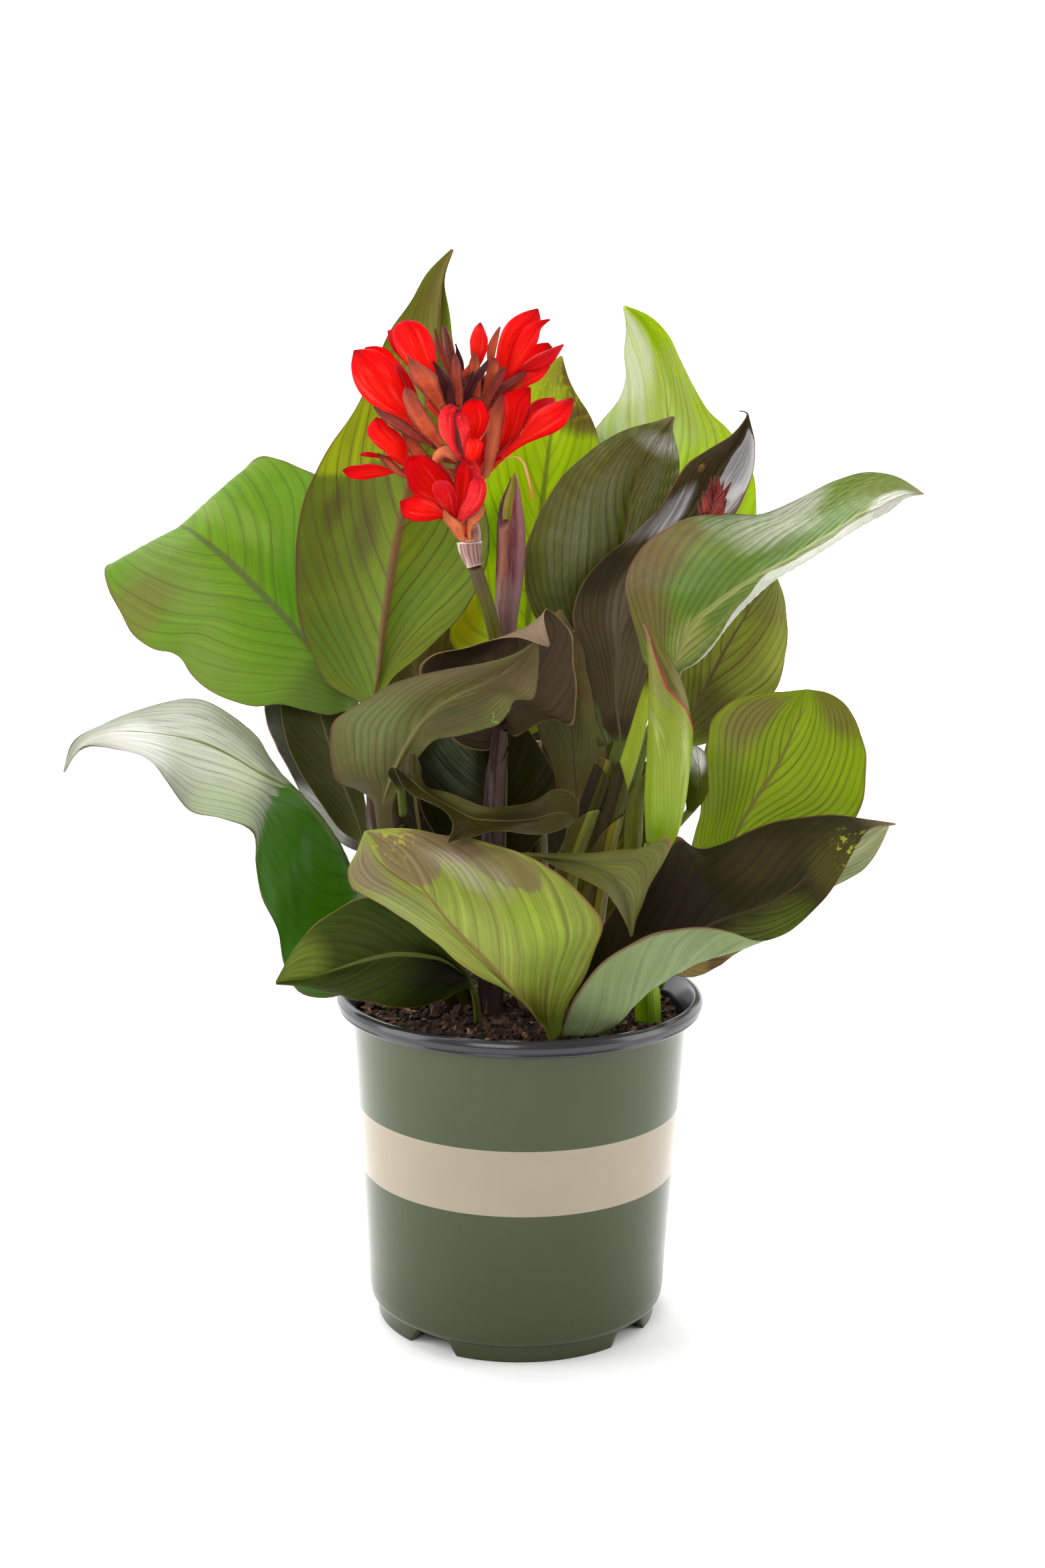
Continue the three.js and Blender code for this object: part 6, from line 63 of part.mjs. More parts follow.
  leaf_back_side_right: { petiole: 4, colour: '#4d6a2a', rows: 6, net: [[[50.9,30.1,201.9],[51.4,30.1,201.1],[51.9,30,200.3],[52.4,30,199.5],[52.8,30,198.7],[53.3,29.9,197.8],[53.8,29.9,197]],[[59.5,35.3,207.3],[60,35.2,206.5],[60.5,35.2,205.7],[61,35.2,204.9],[61.5,35.2,204],[62,35.1,203.2],[62.5,35.1,202.4]],[[68.3,40.3,212.7],[68.8,40.3,211.8],[69.3,40.3,211],[69.8,40.2,210.2],[70.3,40.2,209.4],[70.8,40.2,208.5],[71.3,40.2,207.7]],[[77.2,45.3,218],[77.7,45.2,217.1],[78.2,45.2,216.3],[78.7,45.2,215.4],[79.2,45.1,214.6],[79.7,45.1,213.7],[80.2,45.1,212.9]],[[86.3,50.1,223.2],[86.8,50.1,222.3],[87.3,50,221.4],[87.8,50,220.6],[88.3,50,219.7],[88.9,49.9,218.9],[89.4,49.9,218]],[[90.1,53.9,228],[91.1,53,226.6],[92.2,53.5,224.8],[93.4,55.2,222.7],[94.2,53.4,221.5],[95.1,52.8,219.9],[96.1,53.5,218]],[[94.1,58,233],[95.6,56.9,230.8],[97.3,57.7,228],[99.1,60.5,224.8],[100.1,57.8,223],[101.4,57,220.7],[102.7,58.2,218]],[[98.5,62.5,237.6],[100.4,61.2,234.6],[102.5,62.3,231.1],[104.7,65.9,226.9],[106.1,62.5,224.6],[107.6,61.6,221.7],[109.3,63.1,218.1]],[[103.1,67.2,241.8],[105.4,65.8,238.3],[107.8,67.1,234],[110.5,71.3,229],[112,67.5,226.2],[113.8,66.4,222.6],[115.8,68.2,218.4]],[[108.3,72.4,245.8],[110.7,70.7,241.7],[113.3,72.2,236.8],[116.2,76.8,231.1],[118,72.6,227.8],[120.1,71.6,223.8],[122.4,73.6,218.9]],[[113.8,77.8,249.5],[116.3,76.1,244.9],[119,77.6,239.5],[122,82.4,233.3],[124,78,229.6],[126.3,77,225.1],[128.9,79.2,219.8]],[[119.7,83.5,252.7],[122.1,81.6,247.7],[124.9,83.1,242],[127.9,88,235.4],[130.1,83.6,231.4],[132.6,82.6,226.6],[135.4,85,220.8]],[[125.9,89.1,255.4],[128.2,87.2,250.2],[130.9,88.6,244.2],[133.9,93.6,237.3],[136.2,89.2,233],[138.9,88.2,228],[141.9,90.7,222]],[[132.4,95,258],[134.7,92.9,252.4],[137.3,94.3,246.1],[140.2,99.1,238.8],[142.6,94.9,234.5],[145.3,94,229.3],[148.4,96.6,223.3]],[[139.4,100.9,260],[141.4,98.8,254.2],[143.8,100.1,247.6],[146.6,104.6,240.2],[149,100.6,235.9],[151.8,100,230.8],[154.9,102.6,224.8]],[[146.6,106.7,260.7],[148.4,104.7,255],[150.6,105.8,248.7],[153.1,110.1,241.5],[155.5,106.4,237.3],[158.2,105.9,232.3],[161.2,108.5,226.6]],[[154.2,112.5,260.6],[155.7,110.7,255.3],[157.6,111.7,249.3],[159.7,115.4,242.6],[161.9,112.2,238.7],[164.4,111.7,234.1],[167.2,114.1,228.8]],[[162.1,118.3,260.2],[163.2,116.7,255.3],[164.7,117.5,249.8],[166.4,120.7,243.7],[168.3,117.9,240.3],[170.5,117.5,236.3],[173,119.5,231.7]],[[169.7,123.8,259],[170.6,122.6,254.7],[171.8,123.2,249.9],[173.2,125.9,244.6],[174.7,123.6,241.9],[176.4,123.2,238.8],[178.3,124.8,235.2]],[[177.1,129,255.5],[177.9,128.4,252.4],[178.9,129,249.1],[180,131,245.4],[180.9,129.3,243.6],[181.9,129,241.5],[183.1,130,239.1]],[[186.7,136,247],[186.8,136,246.7],[186.9,136,246.4],[187,136,246.1],[187.1,136,245.8],[187.2,136,245.6],[187.3,136,245.3]]] },
  leaf_behind_stems: { petiole: 4, colour: '#2a3316', rows: 6, net: [[[34.2,26,194.5],[35.1,26,194.4],[36,26,194.4],[36.8,26,194.3],[37.7,26,194.3],[38.6,26,194.2],[39.4,26,194.2]],[[35,27.1,199.8],[35.9,27.1,199.8],[36.8,27.1,199.7],[37.6,27.1,199.7],[38.5,27.1,199.6],[39.4,27.1,199.6],[40.3,27.1,199.5]],[[35.9,28.2,205.2],[36.8,28.2,205.2],[37.7,28.2,205.1],[38.5,28.2,205],[39.4,28.2,205],[40.3,28.2,204.9],[41.2,28.1,204.9]],[[36.8,29.1,210.6],[37.8,29.1,210.5],[38.7,29.1,210.5],[39.6,29.1,210.4],[40.5,29.1,210.4],[41.4,29.1,210.3],[42.3,29.1,210.2]],[[38,30,216],[38.9,30,215.9],[39.8,30,215.8],[40.8,30,215.8],[41.7,30,215.7],[42.6,30,215.7],[43.5,30,215.6]],[[33.6,31.1,224.6],[36.8,31.8,224.3],[39.9,31.9,224.2],[43.1,31.4,224.2],[45.7,31.9,223.8],[48.3,31.8,223.6],[50.8,31,223.6]],[[30.9,32.3,233.1],[35.7,33.4,232.7],[40.5,33.5,232.5],[45.2,32.7,232.6],[49.2,33.5,231.8],[53.2,33.3,231.3],[57.1,32.1,231]],[[29.5,33.4,242],[35.3,34.8,241.4],[41.2,35,241.1],[47,33.9,241.2],[52.3,35,240.2],[57.6,34.8,239.5],[62.8,33.4,239.1]],[[28.6,34.6,251.1],[35.3,36.2,250.3],[42,36.4,249.8],[48.6,35.1,249.7],[55,36.4,248.7],[61.3,36.2,248.1],[67.6,34.7,247.8]],[[28.4,35.8,260.1],[35.6,37.5,259.2],[42.8,37.7,258.6],[49.9,36.3,258.4],[57.1,37.7,257.5],[64.2,37.5,256.9],[71.2,35.8,256.8]],[[28.3,37.1,269.2],[36,38.9,268.1],[43.6,39,267.3],[51.2,37.4,267],[58.9,38.9,266.4],[66.6,38.7,266.1],[74.1,36.8,266.3]],[[28.3,38.6,278.1],[36.3,40.3,276.9],[44.4,40.4,276.1],[52.3,38.7,275.6],[60.6,40.2,275.3],[68.7,40,275.3],[76.8,38.1,275.8]],[[29.2,40.3,287],[37.3,41.9,285.7],[45.4,41.9,284.8],[53.4,40.1,284.2],[62.2,41.7,284.2],[70.9,41.6,284.5],[79.5,39.7,285.2]],[[30.5,42.1,295.8],[38.5,43.7,294.4],[46.5,43.5,293.5],[54.4,41.6,292.8],[63.6,43.4,293.1],[72.7,43.4,293.6],[81.7,41.7,294.6]],[[32,44.1,304.5],[39.8,45.5,303.1],[47.5,45.3,302.1],[55.2,43.4,301.4],[64.5,45.2,302],[73.6,45.4,302.9],[82.7,43.9,304.1]],[[33.8,46.3,313.2],[41.3,47.6,311.8],[48.7,47.3,310.7],[56.1,45.5,309.9],[65.2,47.3,310.9],[74.3,47.6,312.1],[83.3,46.3,313.7]],[[36.2,48.6,321.6],[43.1,49.8,320.2],[50,49.6,319.1],[56.8,48,318.3],[65.5,49.7,319.7],[74.1,50,321.4],[82.6,49,323.4]],[[39.5,51.1,329.9],[45.5,52.1,328.6],[51.4,52,327.6],[57.3,50.6,326.7],[65,52.2,328.5],[72.7,52.6,330.6],[80.3,51.8,332.8]],[[43.6,53.6,337.6],[48.2,54.5,336.6],[52.9,54.5,335.8],[57.4,53.5,335.1],[63.7,54.9,336.8],[70,55.3,338.7],[76.2,54.7,340.8]],[[48.8,56.2,344.6],[51.7,57,344.1],[54.7,57.1,343.8],[57.6,56.6,343.5],[61.3,57.6,344.7],[65,58,346],[68.7,57.7,347.4]],[[56.7,59.9,351.7],[57,60,351.8],[57.3,60,351.8],[57.6,60,351.9],[57.9,60,351.9],[58.2,60,352],[58.5,60.1,352]]] },
  curled_leaf_tip: { petiole: 4, colour: '#b9bdae', rows: 6, net: [[[89.2,-24.1,312.8],[89.8,-24.1,312.7],[90.4,-24,312.6],[91,-24,312.6],[91.6,-24,312.5],[92.2,-23.9,312.4],[92.8,-23.9,312.3]],[[91.4,-22.4,315.5],[92,-22.4,315.4],[92.7,-22.3,315.3],[93.3,-22.3,315.2],[93.9,-22.3,315.1],[94.5,-22.2,315.1],[95.2,-22.2,315]],[[93.7,-21,318.1],[94.3,-21,318],[95,-21,317.9],[95.6,-20.9,317.9],[96.3,-20.9,317.8],[97,-20.8,317.7],[97.6,-20.8,317.6]],[[96,-19.9,320.7],[96.7,-19.9,320.6],[97.4,-19.9,320.6],[98.1,-19.8,320.5],[98.8,-19.8,320.4],[99.5,-19.7,320.3],[100.2,-19.7,320.2]],[[98.5,-19.1,323.3],[99.2,-19.1,323.2],[99.9,-19,323.1],[100.7,-19,323],[101.4,-19,322.9],[102.1,-18.9,322.8],[102.8,-18.9,322.8]],[[98,-19,326.3],[99.3,-19.7,326.1],[100.7,-20,325.8],[102,-20,325.4],[103.1,-19.9,325.5],[104.2,-19.4,325.4],[105.4,-18.6,325.4]],[[97.8,-19,328.8],[99.5,-20.1,328.6],[101.4,-20.8,328.2],[103.2,-20.9,327.8],[104.6,-20.5,327.7],[105.9,-19.6,327.4],[107.3,-18.2,327.1]],[[97.6,-19,331.3],[99.7,-20.5,331.1],[101.9,-21.4,330.7],[104.1,-21.6,330.3],[105.6,-21,330],[107.1,-19.7,329.6],[108.7,-17.8,329.1]],[[97.4,-19,333.8],[99.7,-20.7,333.6],[102.2,-21.8,333.2],[104.7,-22.1,332.7],[106.4,-21.2,332.4],[108.1,-19.7,332],[110,-17.5,331.5]],[[97.2,-19,336.2],[99.7,-20.9,336.1],[102.3,-22.1,335.7],[105,-22.4,335.3],[106.9,-21.4,335],[108.9,-19.7,334.6],[110.9,-17.1,334]],[[97.1,-19,338.7],[99.7,-21.1,338.6],[102.5,-22.3,338.3],[105.3,-22.7,337.9],[107.2,-21.7,337.6],[109.1,-19.7,337.2],[111.2,-17,336.7]],[[97,-19,341.2],[99.7,-21.2,341.1],[102.5,-22.5,340.9],[105.4,-22.9,340.5],[107.2,-21.8,340.2],[109.1,-19.8,339.9],[111.1,-17,339.3]],[[96.9,-19,343.7],[99.7,-21.2,343.6],[102.5,-22.5,343.4],[105.4,-23,343],[107.1,-21.9,342.8],[109,-19.9,342.5],[110.9,-17,342]],[[96.9,-19,346.2],[99.6,-21.2,346.1],[102.4,-22.4,345.9],[105.2,-22.9,345.5],[107,-21.8,345.4],[108.8,-19.8,345.1],[110.6,-17,344.7]],[[96.8,-19,348.7],[99.5,-21,348.6],[102.2,-22.3,348.4],[105,-22.6,348],[106.7,-21.6,347.9],[108.5,-19.7,347.8],[110.4,-17,347.4]],[[96.8,-19,351.2],[99.3,-20.9,351.1],[102,-22,350.8],[104.7,-22.3,350.4],[106.4,-21.3,350.5],[108.2,-19.5,350.4],[110.1,-17,350.2]],[[96.9,-19,353.8],[99.3,-20.7,353.6],[101.8,-21.6,353.3],[104.4,-21.9,352.9],[106.1,-21,353],[107.8,-19.3,353.1],[109.7,-17,353]],[[97.1,-19,356.3],[99.4,-20.4,356],[101.7,-21.1,355.7],[104,-21.3,355.2],[105.7,-20.5,355.5],[107.4,-19,355.6],[109.2,-17,355.6]],[[97.6,-19,358.4],[99.6,-19.9,358.2],[101.6,-20.4,357.9],[103.7,-20.4,357.6],[105.3,-19.7,357.8],[106.9,-18.6,357.9],[108.5,-17,357.9]],[[99.1,-18.6,360.2],[100.4,-19.1,360.1],[101.9,-19.4,360],[103.3,-19.3,359.9],[104.5,-19,359.9],[105.6,-18.3,360],[106.9,-17.4,359.9]],[[102,-18.1,362.2],[102.3,-18.1,362.1],[102.6,-18,362.1],[102.9,-18,362.1],[103.2,-18,362.1],[103.5,-17.9,362.1],[103.8,-17.9,362.1]]] },
};
// Stems, sheaths and rolled leaves: centre line points with the local radius, mm [x, y, z, r].
const STEMS = {
  pseudostem_left: [[-37,0,198.3,8.5],[-55.3,-8,238.3,9],[-72.2,-13,285.1,9.4],[-82.2,-15,312.1,10],[-85.8,-8,337.2,8.5],[-90,0,354.1,6]],
  pseudostem_centre: [[-18.3,-7,196.4,7.5],[-17.8,-8,263.9,7],[-17.1,-9,323.2,6.3],[-14.3,-10,364.9,5.6],[-13.2,-10,369.4,5]],
  flower_stalk: [[-14.9,10,195.7,5.5],[-14.3,11,301.3,5],[-14.2,10,363.6,4.9],[-15.4,6,409,4.5],[-20.4,0,435.8,4.2],[-26,-5,454.2,4.2],[-29.6,-8,465.5,4.2]],
  pseudostem_back: [[8.4,34,193.4,8],[8.6,40,274,7.5],[6.7,45,324.2,6.5],[6.3,46,352.8,5.2]],
  pseudostem_right_back: [[19,8,201,7.5],[28.5,10,281.1,6.8],[30.8,10,290.4,6.6],[41,12,318.5,6.2],[48.8,14,341,5.6],[50.7,15,347.9,5]],
  pseudostem_right_inner: [[37.6,-8,201.6,7],[48.5,-1,288.1,6.5],[57.2,3,324.6,6],[66.4,7,356.1,5.6],[74.4,11,387.1,4.6],[79,13,405.2,3.4],[86.8,14,433.5,2.8],[100.7,12,466,2.5],[110.5,8,489.6,2.3]],
  pseudostem_right: [[78.1,-22,187.3,7],[76.4,-25,217.9,7],[77.5,-28,249.4,7.5],[79.8,-34,291.9,8.5],[81.6,-38,305.7,8.8]],
  furled_leaf: [[81.9,-39.2,308.4,8.8],[83.4,-43,334.1,12.2],[85,-45,362.2,13.2],[85.2,-46,382.1,13],[83.3,-46,397.7,11],[79.9,-45,411.2,8],[76.2,-44,422.7,5],[72.6,-43,432.2,2.5],[69.4,-42,437.5,1]],
  small_furled_shoot: [[66.1,-12,274.2,4.2],[66.5,-13,291,5],[66.9,-14,307.7,5.4],[67.7,-15,326.3,5],[71,-16,337.9,3],[74.3,-17,345,1]],
  flower_collar: [[-30,-9,466.7,4.6],[-31.2,-9,471,5.6],[-32.4,-10,476.6,6.8],[-32.8,-10,480.9,7.2]],
  young_bud: [[-12.2,15,398.8,3.2],[-10,12,424.4,5.1],[-10.5,11,438.7,7],[-9.5,10,455.2,8.2],[-8.5,9,471.7,8.6],[-8.7,8,488.9,8.3],[-8.8,7,500.8,6.8],[-7.7,7,510.6,4.2],[-7.1,7,520.5,0.9]],
};
const RACHIS = [[-33.2,-10,482.1,4.4],[-34.9,-11,497.8,4.5],[-37.3,-12,517.2,4.5],[-39.1,-12,540.4,4.2],[-41.6,-12,563.3,3.8],[-44,-12,582.4,3.2],[-46.8,-12,597.5,2.4],[-48.8,-12,605,1.4]];
// Bracts of the flower head: the point on the rachis each grows from, and its nine by five net.
const BRACTS = [
  { root: [-40.5,-12,554], net: [[[-49.7,-19.8,555.9],[-49.1,-20.6,556.2],[-48.5,-20.8,556.5],[-47.9,-20.6,556.7],[-47.3,-19.8,557]],[[-52.7,-23.8,559.7],[-51.2,-25.6,560.4],[-49.9,-26.2,561],[-48.5,-25.6,561.6],[-47.2,-23.8,562.2]],[[-55.9,-27.4,563.3],[-53.9,-30.7,564.3],[-52.1,-31.7,565.3],[-50.3,-30.7,566.2],[-48.6,-27.4,567.1]],[[-59.3,-30.8,566.6],[-56.8,-35.3,568],[-54.5,-36.8,569.4],[-52.3,-35.3,570.7],[-50.2,-30.8,572]],[[-62.6,-34,570.1],[-59.7,-38.5,571.8],[-56.9,-39.9,573.6],[-54.2,-38.5,575.2],[-51.6,-34,576.9]],[[-65.6,-36.8,573.8],[-62.8,-40.9,575.5],[-60.1,-42.2,577],[-57.6,-40.9,578.6],[-55.2,-36.8,580.1]],[[-66.9,-39.4,578.3],[-64.8,-42.2,579.5],[-62.9,-43.2,580.6],[-61.1,-42.2,581.7],[-59.4,-39.4,582.9]],[[-67.6,-41.8,583.1],[-66.6,-42.7,583.7],[-65.5,-43,584.3],[-64.5,-42.7,584.9],[-63.6,-41.8,585.5]],[[-68.4,-44,587.6],[-68.2,-44,587.7],[-68,-44,587.9],[-67.7,-44,588],[-67.5,-44,588.1]]] },
  { root: [-38.4,-12,531.1], net: [[[-48.7,-23.8,533.1],[-48.1,-24.6,533.5],[-47.4,-24.9,533.9],[-46.8,-24.6,534.2],[-46.3,-23.8,534.6]],[[-52.7,-27.5,537.2],[-51.6,-29.1,537.9],[-50.5,-29.6,538.6],[-49.4,-29.1,539.2],[-48.4,-27.5,539.8]],[[-56.9,-30.9,541.1],[-55.2,-33.9,542.2],[-53.6,-34.9,543.2],[-52,-33.9,544.1],[-50.6,-30.9,545]],[[-61.1,-34.1,545],[-58.9,-38.4,546.4],[-56.8,-39.8,547.7],[-54.8,-38.4,548.9],[-52.9,-34.1,549.9]],[[-64.8,-37,549.5],[-62.3,-41.5,550.9],[-60.1,-42.9,552.2],[-57.9,-41.5,553.4],[-55.9,-37,554.5]],[[-67.4,-39.6,554.4],[-65,-43.6,555.7],[-62.8,-44.9,556.9],[-60.7,-43.6,558.1],[-58.8,-39.6,559.1]],[[-69.2,-41.9,559.9],[-67.1,-44.7,560.9],[-65.2,-45.6,561.9],[-63.3,-44.7,562.9],[-61.5,-41.9,563.8]],[[-70.9,-44,565.4],[-69.2,-45.4,566.2],[-67.6,-45.9,567],[-66,-45.4,567.7],[-64.5,-44,568.5]],[[-69.7,-46,570.6],[-69.5,-46,570.7],[-69.2,-46,570.8],[-69,-46,570.9],[-68.8,-46,571]]] },
  { root: [-38.5,-12,532.3], net: [[[-51.8,-24.9,534.3],[-51.6,-25.2,534.6],[-51.4,-25.3,535],[-51.1,-25.2,535.4],[-50.9,-24.9,535.8]],[[-56.5,-28.4,537.2],[-56.2,-28.8,537.7],[-55.9,-28.9,538.2],[-55.6,-28.8,538.7],[-55.3,-28.4,539.2]],[[-61.5,-31.7,539.7],[-60.9,-32.4,540.5],[-60.5,-32.6,541.3],[-60,-32.4,542],[-59.5,-31.7,542.8]],[[-66.4,-34.7,542.2],[-65.6,-35.9,543.3],[-64.9,-36.3,544.4],[-64.2,-35.9,545.5],[-63.5,-34.7,546.6]],[[-71.3,-37.5,544.8],[-70.3,-39,546.2],[-69.3,-39.5,547.5],[-68.4,-39,548.9],[-67.6,-37.5,550.1]],[[-76,-40,547.7],[-74.9,-41.4,549.1],[-73.9,-41.8,550.5],[-73,-41.4,551.9],[-72.1,-40,553.2]],[[-80.5,-42.2,551],[-79.5,-43.1,552.2],[-78.6,-43.4,553.3],[-77.7,-43.1,554.5],[-76.9,-42.2,555.6]],[[-84.3,-44.1,554.8],[-83.7,-44.5,555.5],[-83,-44.6,556.3],[-82.4,-44.5,557],[-81.9,-44.1,557.7]],[[-87.2,-46,559.4],[-87.1,-46,559.5],[-86.9,-46,559.7],[-86.7,-46,559.9],[-86.6,-46,560.1]]] },
  { root: [-38.1,-12,527.4], net: [[[-57.8,-19.9,529.1],[-57.3,-20.3,529.5],[-56.9,-20.4,529.9],[-56.4,-20.3,530.2],[-56,-19.9,530.6]],[[-61.2,-21.2,529.5],[-60.2,-22,530.3],[-59.3,-22.2,531.1],[-58.4,-22,531.9],[-57.6,-21.2,532.6]],[[-64,-22.5,530.2],[-62.7,-23.8,531.4],[-61.5,-24.2,532.6],[-60.3,-23.8,533.7],[-59.2,-22.5,534.7]],[[-66.2,-23.8,531.2],[-64.8,-25.5,532.7],[-63.4,-26.1,534.2],[-62.1,-25.5,535.6],[-60.8,-23.8,536.9]],[[-68,-25,533.5],[-66.5,-26.8,535],[-65,-27.4,536.5],[-63.6,-26.8,537.9],[-62.3,-25,539.3]],[[-69.4,-26.2,536.4],[-68,-27.7,537.7],[-66.6,-28.2,538.9],[-65.2,-27.7,540.1],[-63.9,-26.2,541.3]],[[-70.6,-27.5,539.2],[-69.3,-28.4,540.1],[-68.2,-28.8,541.1],[-67,-28.4,542],[-65.9,-27.5,542.9]],[[-71.5,-28.8,542],[-70.7,-29.1,542.6],[-69.8,-29.3,543.1],[-69,-29.1,543.7],[-68.2,-28.8,544.3]],[[-72.2,-30,544.9],[-71.8,-30,545],[-71.5,-30,545.1],[-71.1,-30,545.2],[-70.8,-30,545.4]]] },
  { root: [-42.5,-12,570.6], net: [[[-43.5,-13.9,572.3],[-43,-14.2,572.6],[-42.5,-14.4,572.9],[-42.1,-14.2,573.2],[-41.6,-13.9,573.6]],[[-45.2,-14.8,575.9],[-44.6,-15.2,576.3],[-44,-15.4,576.8],[-43.3,-15.2,577.2],[-42.7,-14.8,577.7]],[[-47.2,-15.5,579.6],[-46.3,-16.3,580.1],[-45.5,-16.5,580.6],[-44.7,-16.3,581.1],[-43.9,-15.5,581.5]],[[-49.2,-16.2,583.4],[-48.1,-17.2,583.9],[-47.1,-17.6,584.4],[-46.2,-17.2,584.9],[-45.2,-16.2,585.4]],[[-50.9,-17,587.2],[-49.8,-18,587.7],[-48.7,-18.4,588.2],[-47.7,-18,588.6],[-46.7,-17,589.1]],[[-52.4,-17.8,591.1],[-51.4,-18.7,591.6],[-50.3,-19,592],[-49.3,-18.7,592.4],[-48.3,-17.8,592.8]],[[-53.4,-18.5,595.2],[-52.5,-19.1,595.5],[-51.6,-19.3,595.8],[-50.8,-19.1,596.2],[-50,-18.5,596.5]],[[-53.6,-19.2,599.3],[-53.1,-19.5,599.5],[-52.7,-19.5,599.7],[-52.2,-19.5,599.9],[-51.7,-19.2,600.1]],[[-54.1,-20,603.4],[-53.9,-20,603.5],[-53.7,-20,603.6],[-53.4,-20,603.7],[-53.2,-20,603.8]]] },
  { root: [-43.2,-12,576.4], net: [[[-43.1,-11.9,578.4],[-42.4,-12.3,578.5],[-41.8,-12.4,578.7],[-41.3,-12.3,578.9],[-40.7,-11.9,579.1]],[[-44.2,-12.2,581],[-43.5,-12.7,581.3],[-42.7,-12.9,581.5],[-42,-12.7,581.7],[-41.3,-12.2,581.9]],[[-45.2,-12.5,583.8],[-44.3,-13.2,584],[-43.5,-13.4,584.3],[-42.7,-13.2,584.5],[-41.9,-12.5,584.8]],[[-45.9,-12.8,586.6],[-45,-13.6,586.8],[-44.2,-13.8,587.1],[-43.3,-13.6,587.3],[-42.4,-12.8,587.6]],[[-46.6,-13,589.4],[-45.6,-13.8,589.7],[-44.7,-14.1,589.9],[-43.8,-13.8,590.2],[-42.9,-13,590.4]],[[-47,-13.2,592.3],[-46.1,-14,592.6],[-45.2,-14.2,592.8],[-44.3,-14,593],[-43.4,-13.2,593.3]],[[-47.1,-13.5,595.2],[-46.3,-14,595.4],[-45.6,-14.2,595.6],[-44.8,-14,595.8],[-44.1,-13.5,596]],[[-47,-13.8,598.1],[-46.5,-13.9,598.2],[-46,-14,598.4],[-45.6,-13.9,598.5],[-45.1,-13.8,598.7]],[[-47.1,-14,601],[-46.9,-14,601],[-46.6,-14,601.1],[-46.4,-14,601.2],[-46.1,-14,601.2]]] },
  { root: [-43.1,-12,575.6], net: [[[-38.4,-10.9,577.6],[-37.9,-11.1,577.8],[-37.5,-11.2,578],[-37.1,-11.1,578.2],[-36.7,-10.9,578.3]],[[-38.9,-11.1,579.8],[-38.4,-11.4,580],[-37.8,-11.4,580.3],[-37.3,-11.4,580.5],[-36.8,-11.1,580.7]],[[-39.5,-11.2,582],[-38.8,-11.6,582.3],[-38.2,-11.7,582.5],[-37.6,-11.6,582.7],[-37,-11.2,583]],[[-40.1,-11.4,584.2],[-39.4,-11.8,584.5],[-38.7,-12,584.7],[-38,-11.8,584.9],[-37.3,-11.4,585.2]],[[-40.9,-11.5,586.4],[-40.1,-11.9,586.6],[-39.4,-12.1,586.9],[-38.7,-11.9,587.1],[-38,-11.5,587.3]],[[-41.6,-11.6,588.6],[-40.9,-12,588.8],[-40.3,-12.1,589],[-39.6,-12,589.2],[-38.9,-11.6,589.4]],[[-41.8,-11.8,590.8],[-41.3,-12,591],[-40.8,-12,591.1],[-40.3,-12,591.3],[-39.8,-11.8,591.5]],[[-41.9,-11.9,593.1],[-41.6,-12,593.2],[-41.4,-12,593.3],[-41.1,-12,593.4],[-40.8,-11.9,593.5]],[[-42.4,-12,595.3],[-42.1,-12,595.4],[-41.9,-12,595.5],[-41.7,-12,595.6],[-41.4,-12,595.6]]] },
  { root: [-40.7,-12,555.8], net: [[[-40.7,-19.8,558.2],[-40,-20.5,558.3],[-39.3,-20.7,558.3],[-38.6,-20.5,558.4],[-37.9,-19.8,558.4]],[[-41.8,-22.1,562.2],[-40.6,-23.3,562.3],[-39.5,-23.7,562.4],[-38.3,-23.3,562.4],[-37.2,-22.1,562.4]],[[-42.7,-24.2,566.2],[-41.2,-26.1,566.3],[-39.7,-26.8,566.4],[-38.3,-26.1,566.5],[-36.9,-24.2,566.5]],[[-43.3,-26.2,570.1],[-41.6,-28.5,570.3],[-40,-29.3,570.4],[-38.5,-28.5,570.6],[-36.9,-26.2,570.6]],[[-43.6,-28,574.2],[-42,-30.4,574.3],[-40.3,-31.2,574.5],[-38.7,-30.4,574.6],[-37.2,-28,574.7]],[[-43.6,-29.7,578.2],[-42.1,-31.7,578.3],[-40.5,-32.4,578.5],[-39,-31.7,578.7],[-37.6,-29.7,578.8]],[[-43.6,-31.2,582.2],[-42.2,-32.7,582.3],[-40.8,-33.2,582.5],[-39.5,-32.7,582.7],[-38.2,-31.2,582.8]],[[-43.3,-32.6,586.1],[-42.2,-33.3,586.2],[-41.2,-33.5,586.3],[-40.2,-33.3,586.4],[-39.3,-32.6,586.5]],[[-42.1,-34,589.9],[-41.8,-34,589.9],[-41.6,-34,589.9],[-41.3,-34,589.9],[-41.1,-34,590]]] },
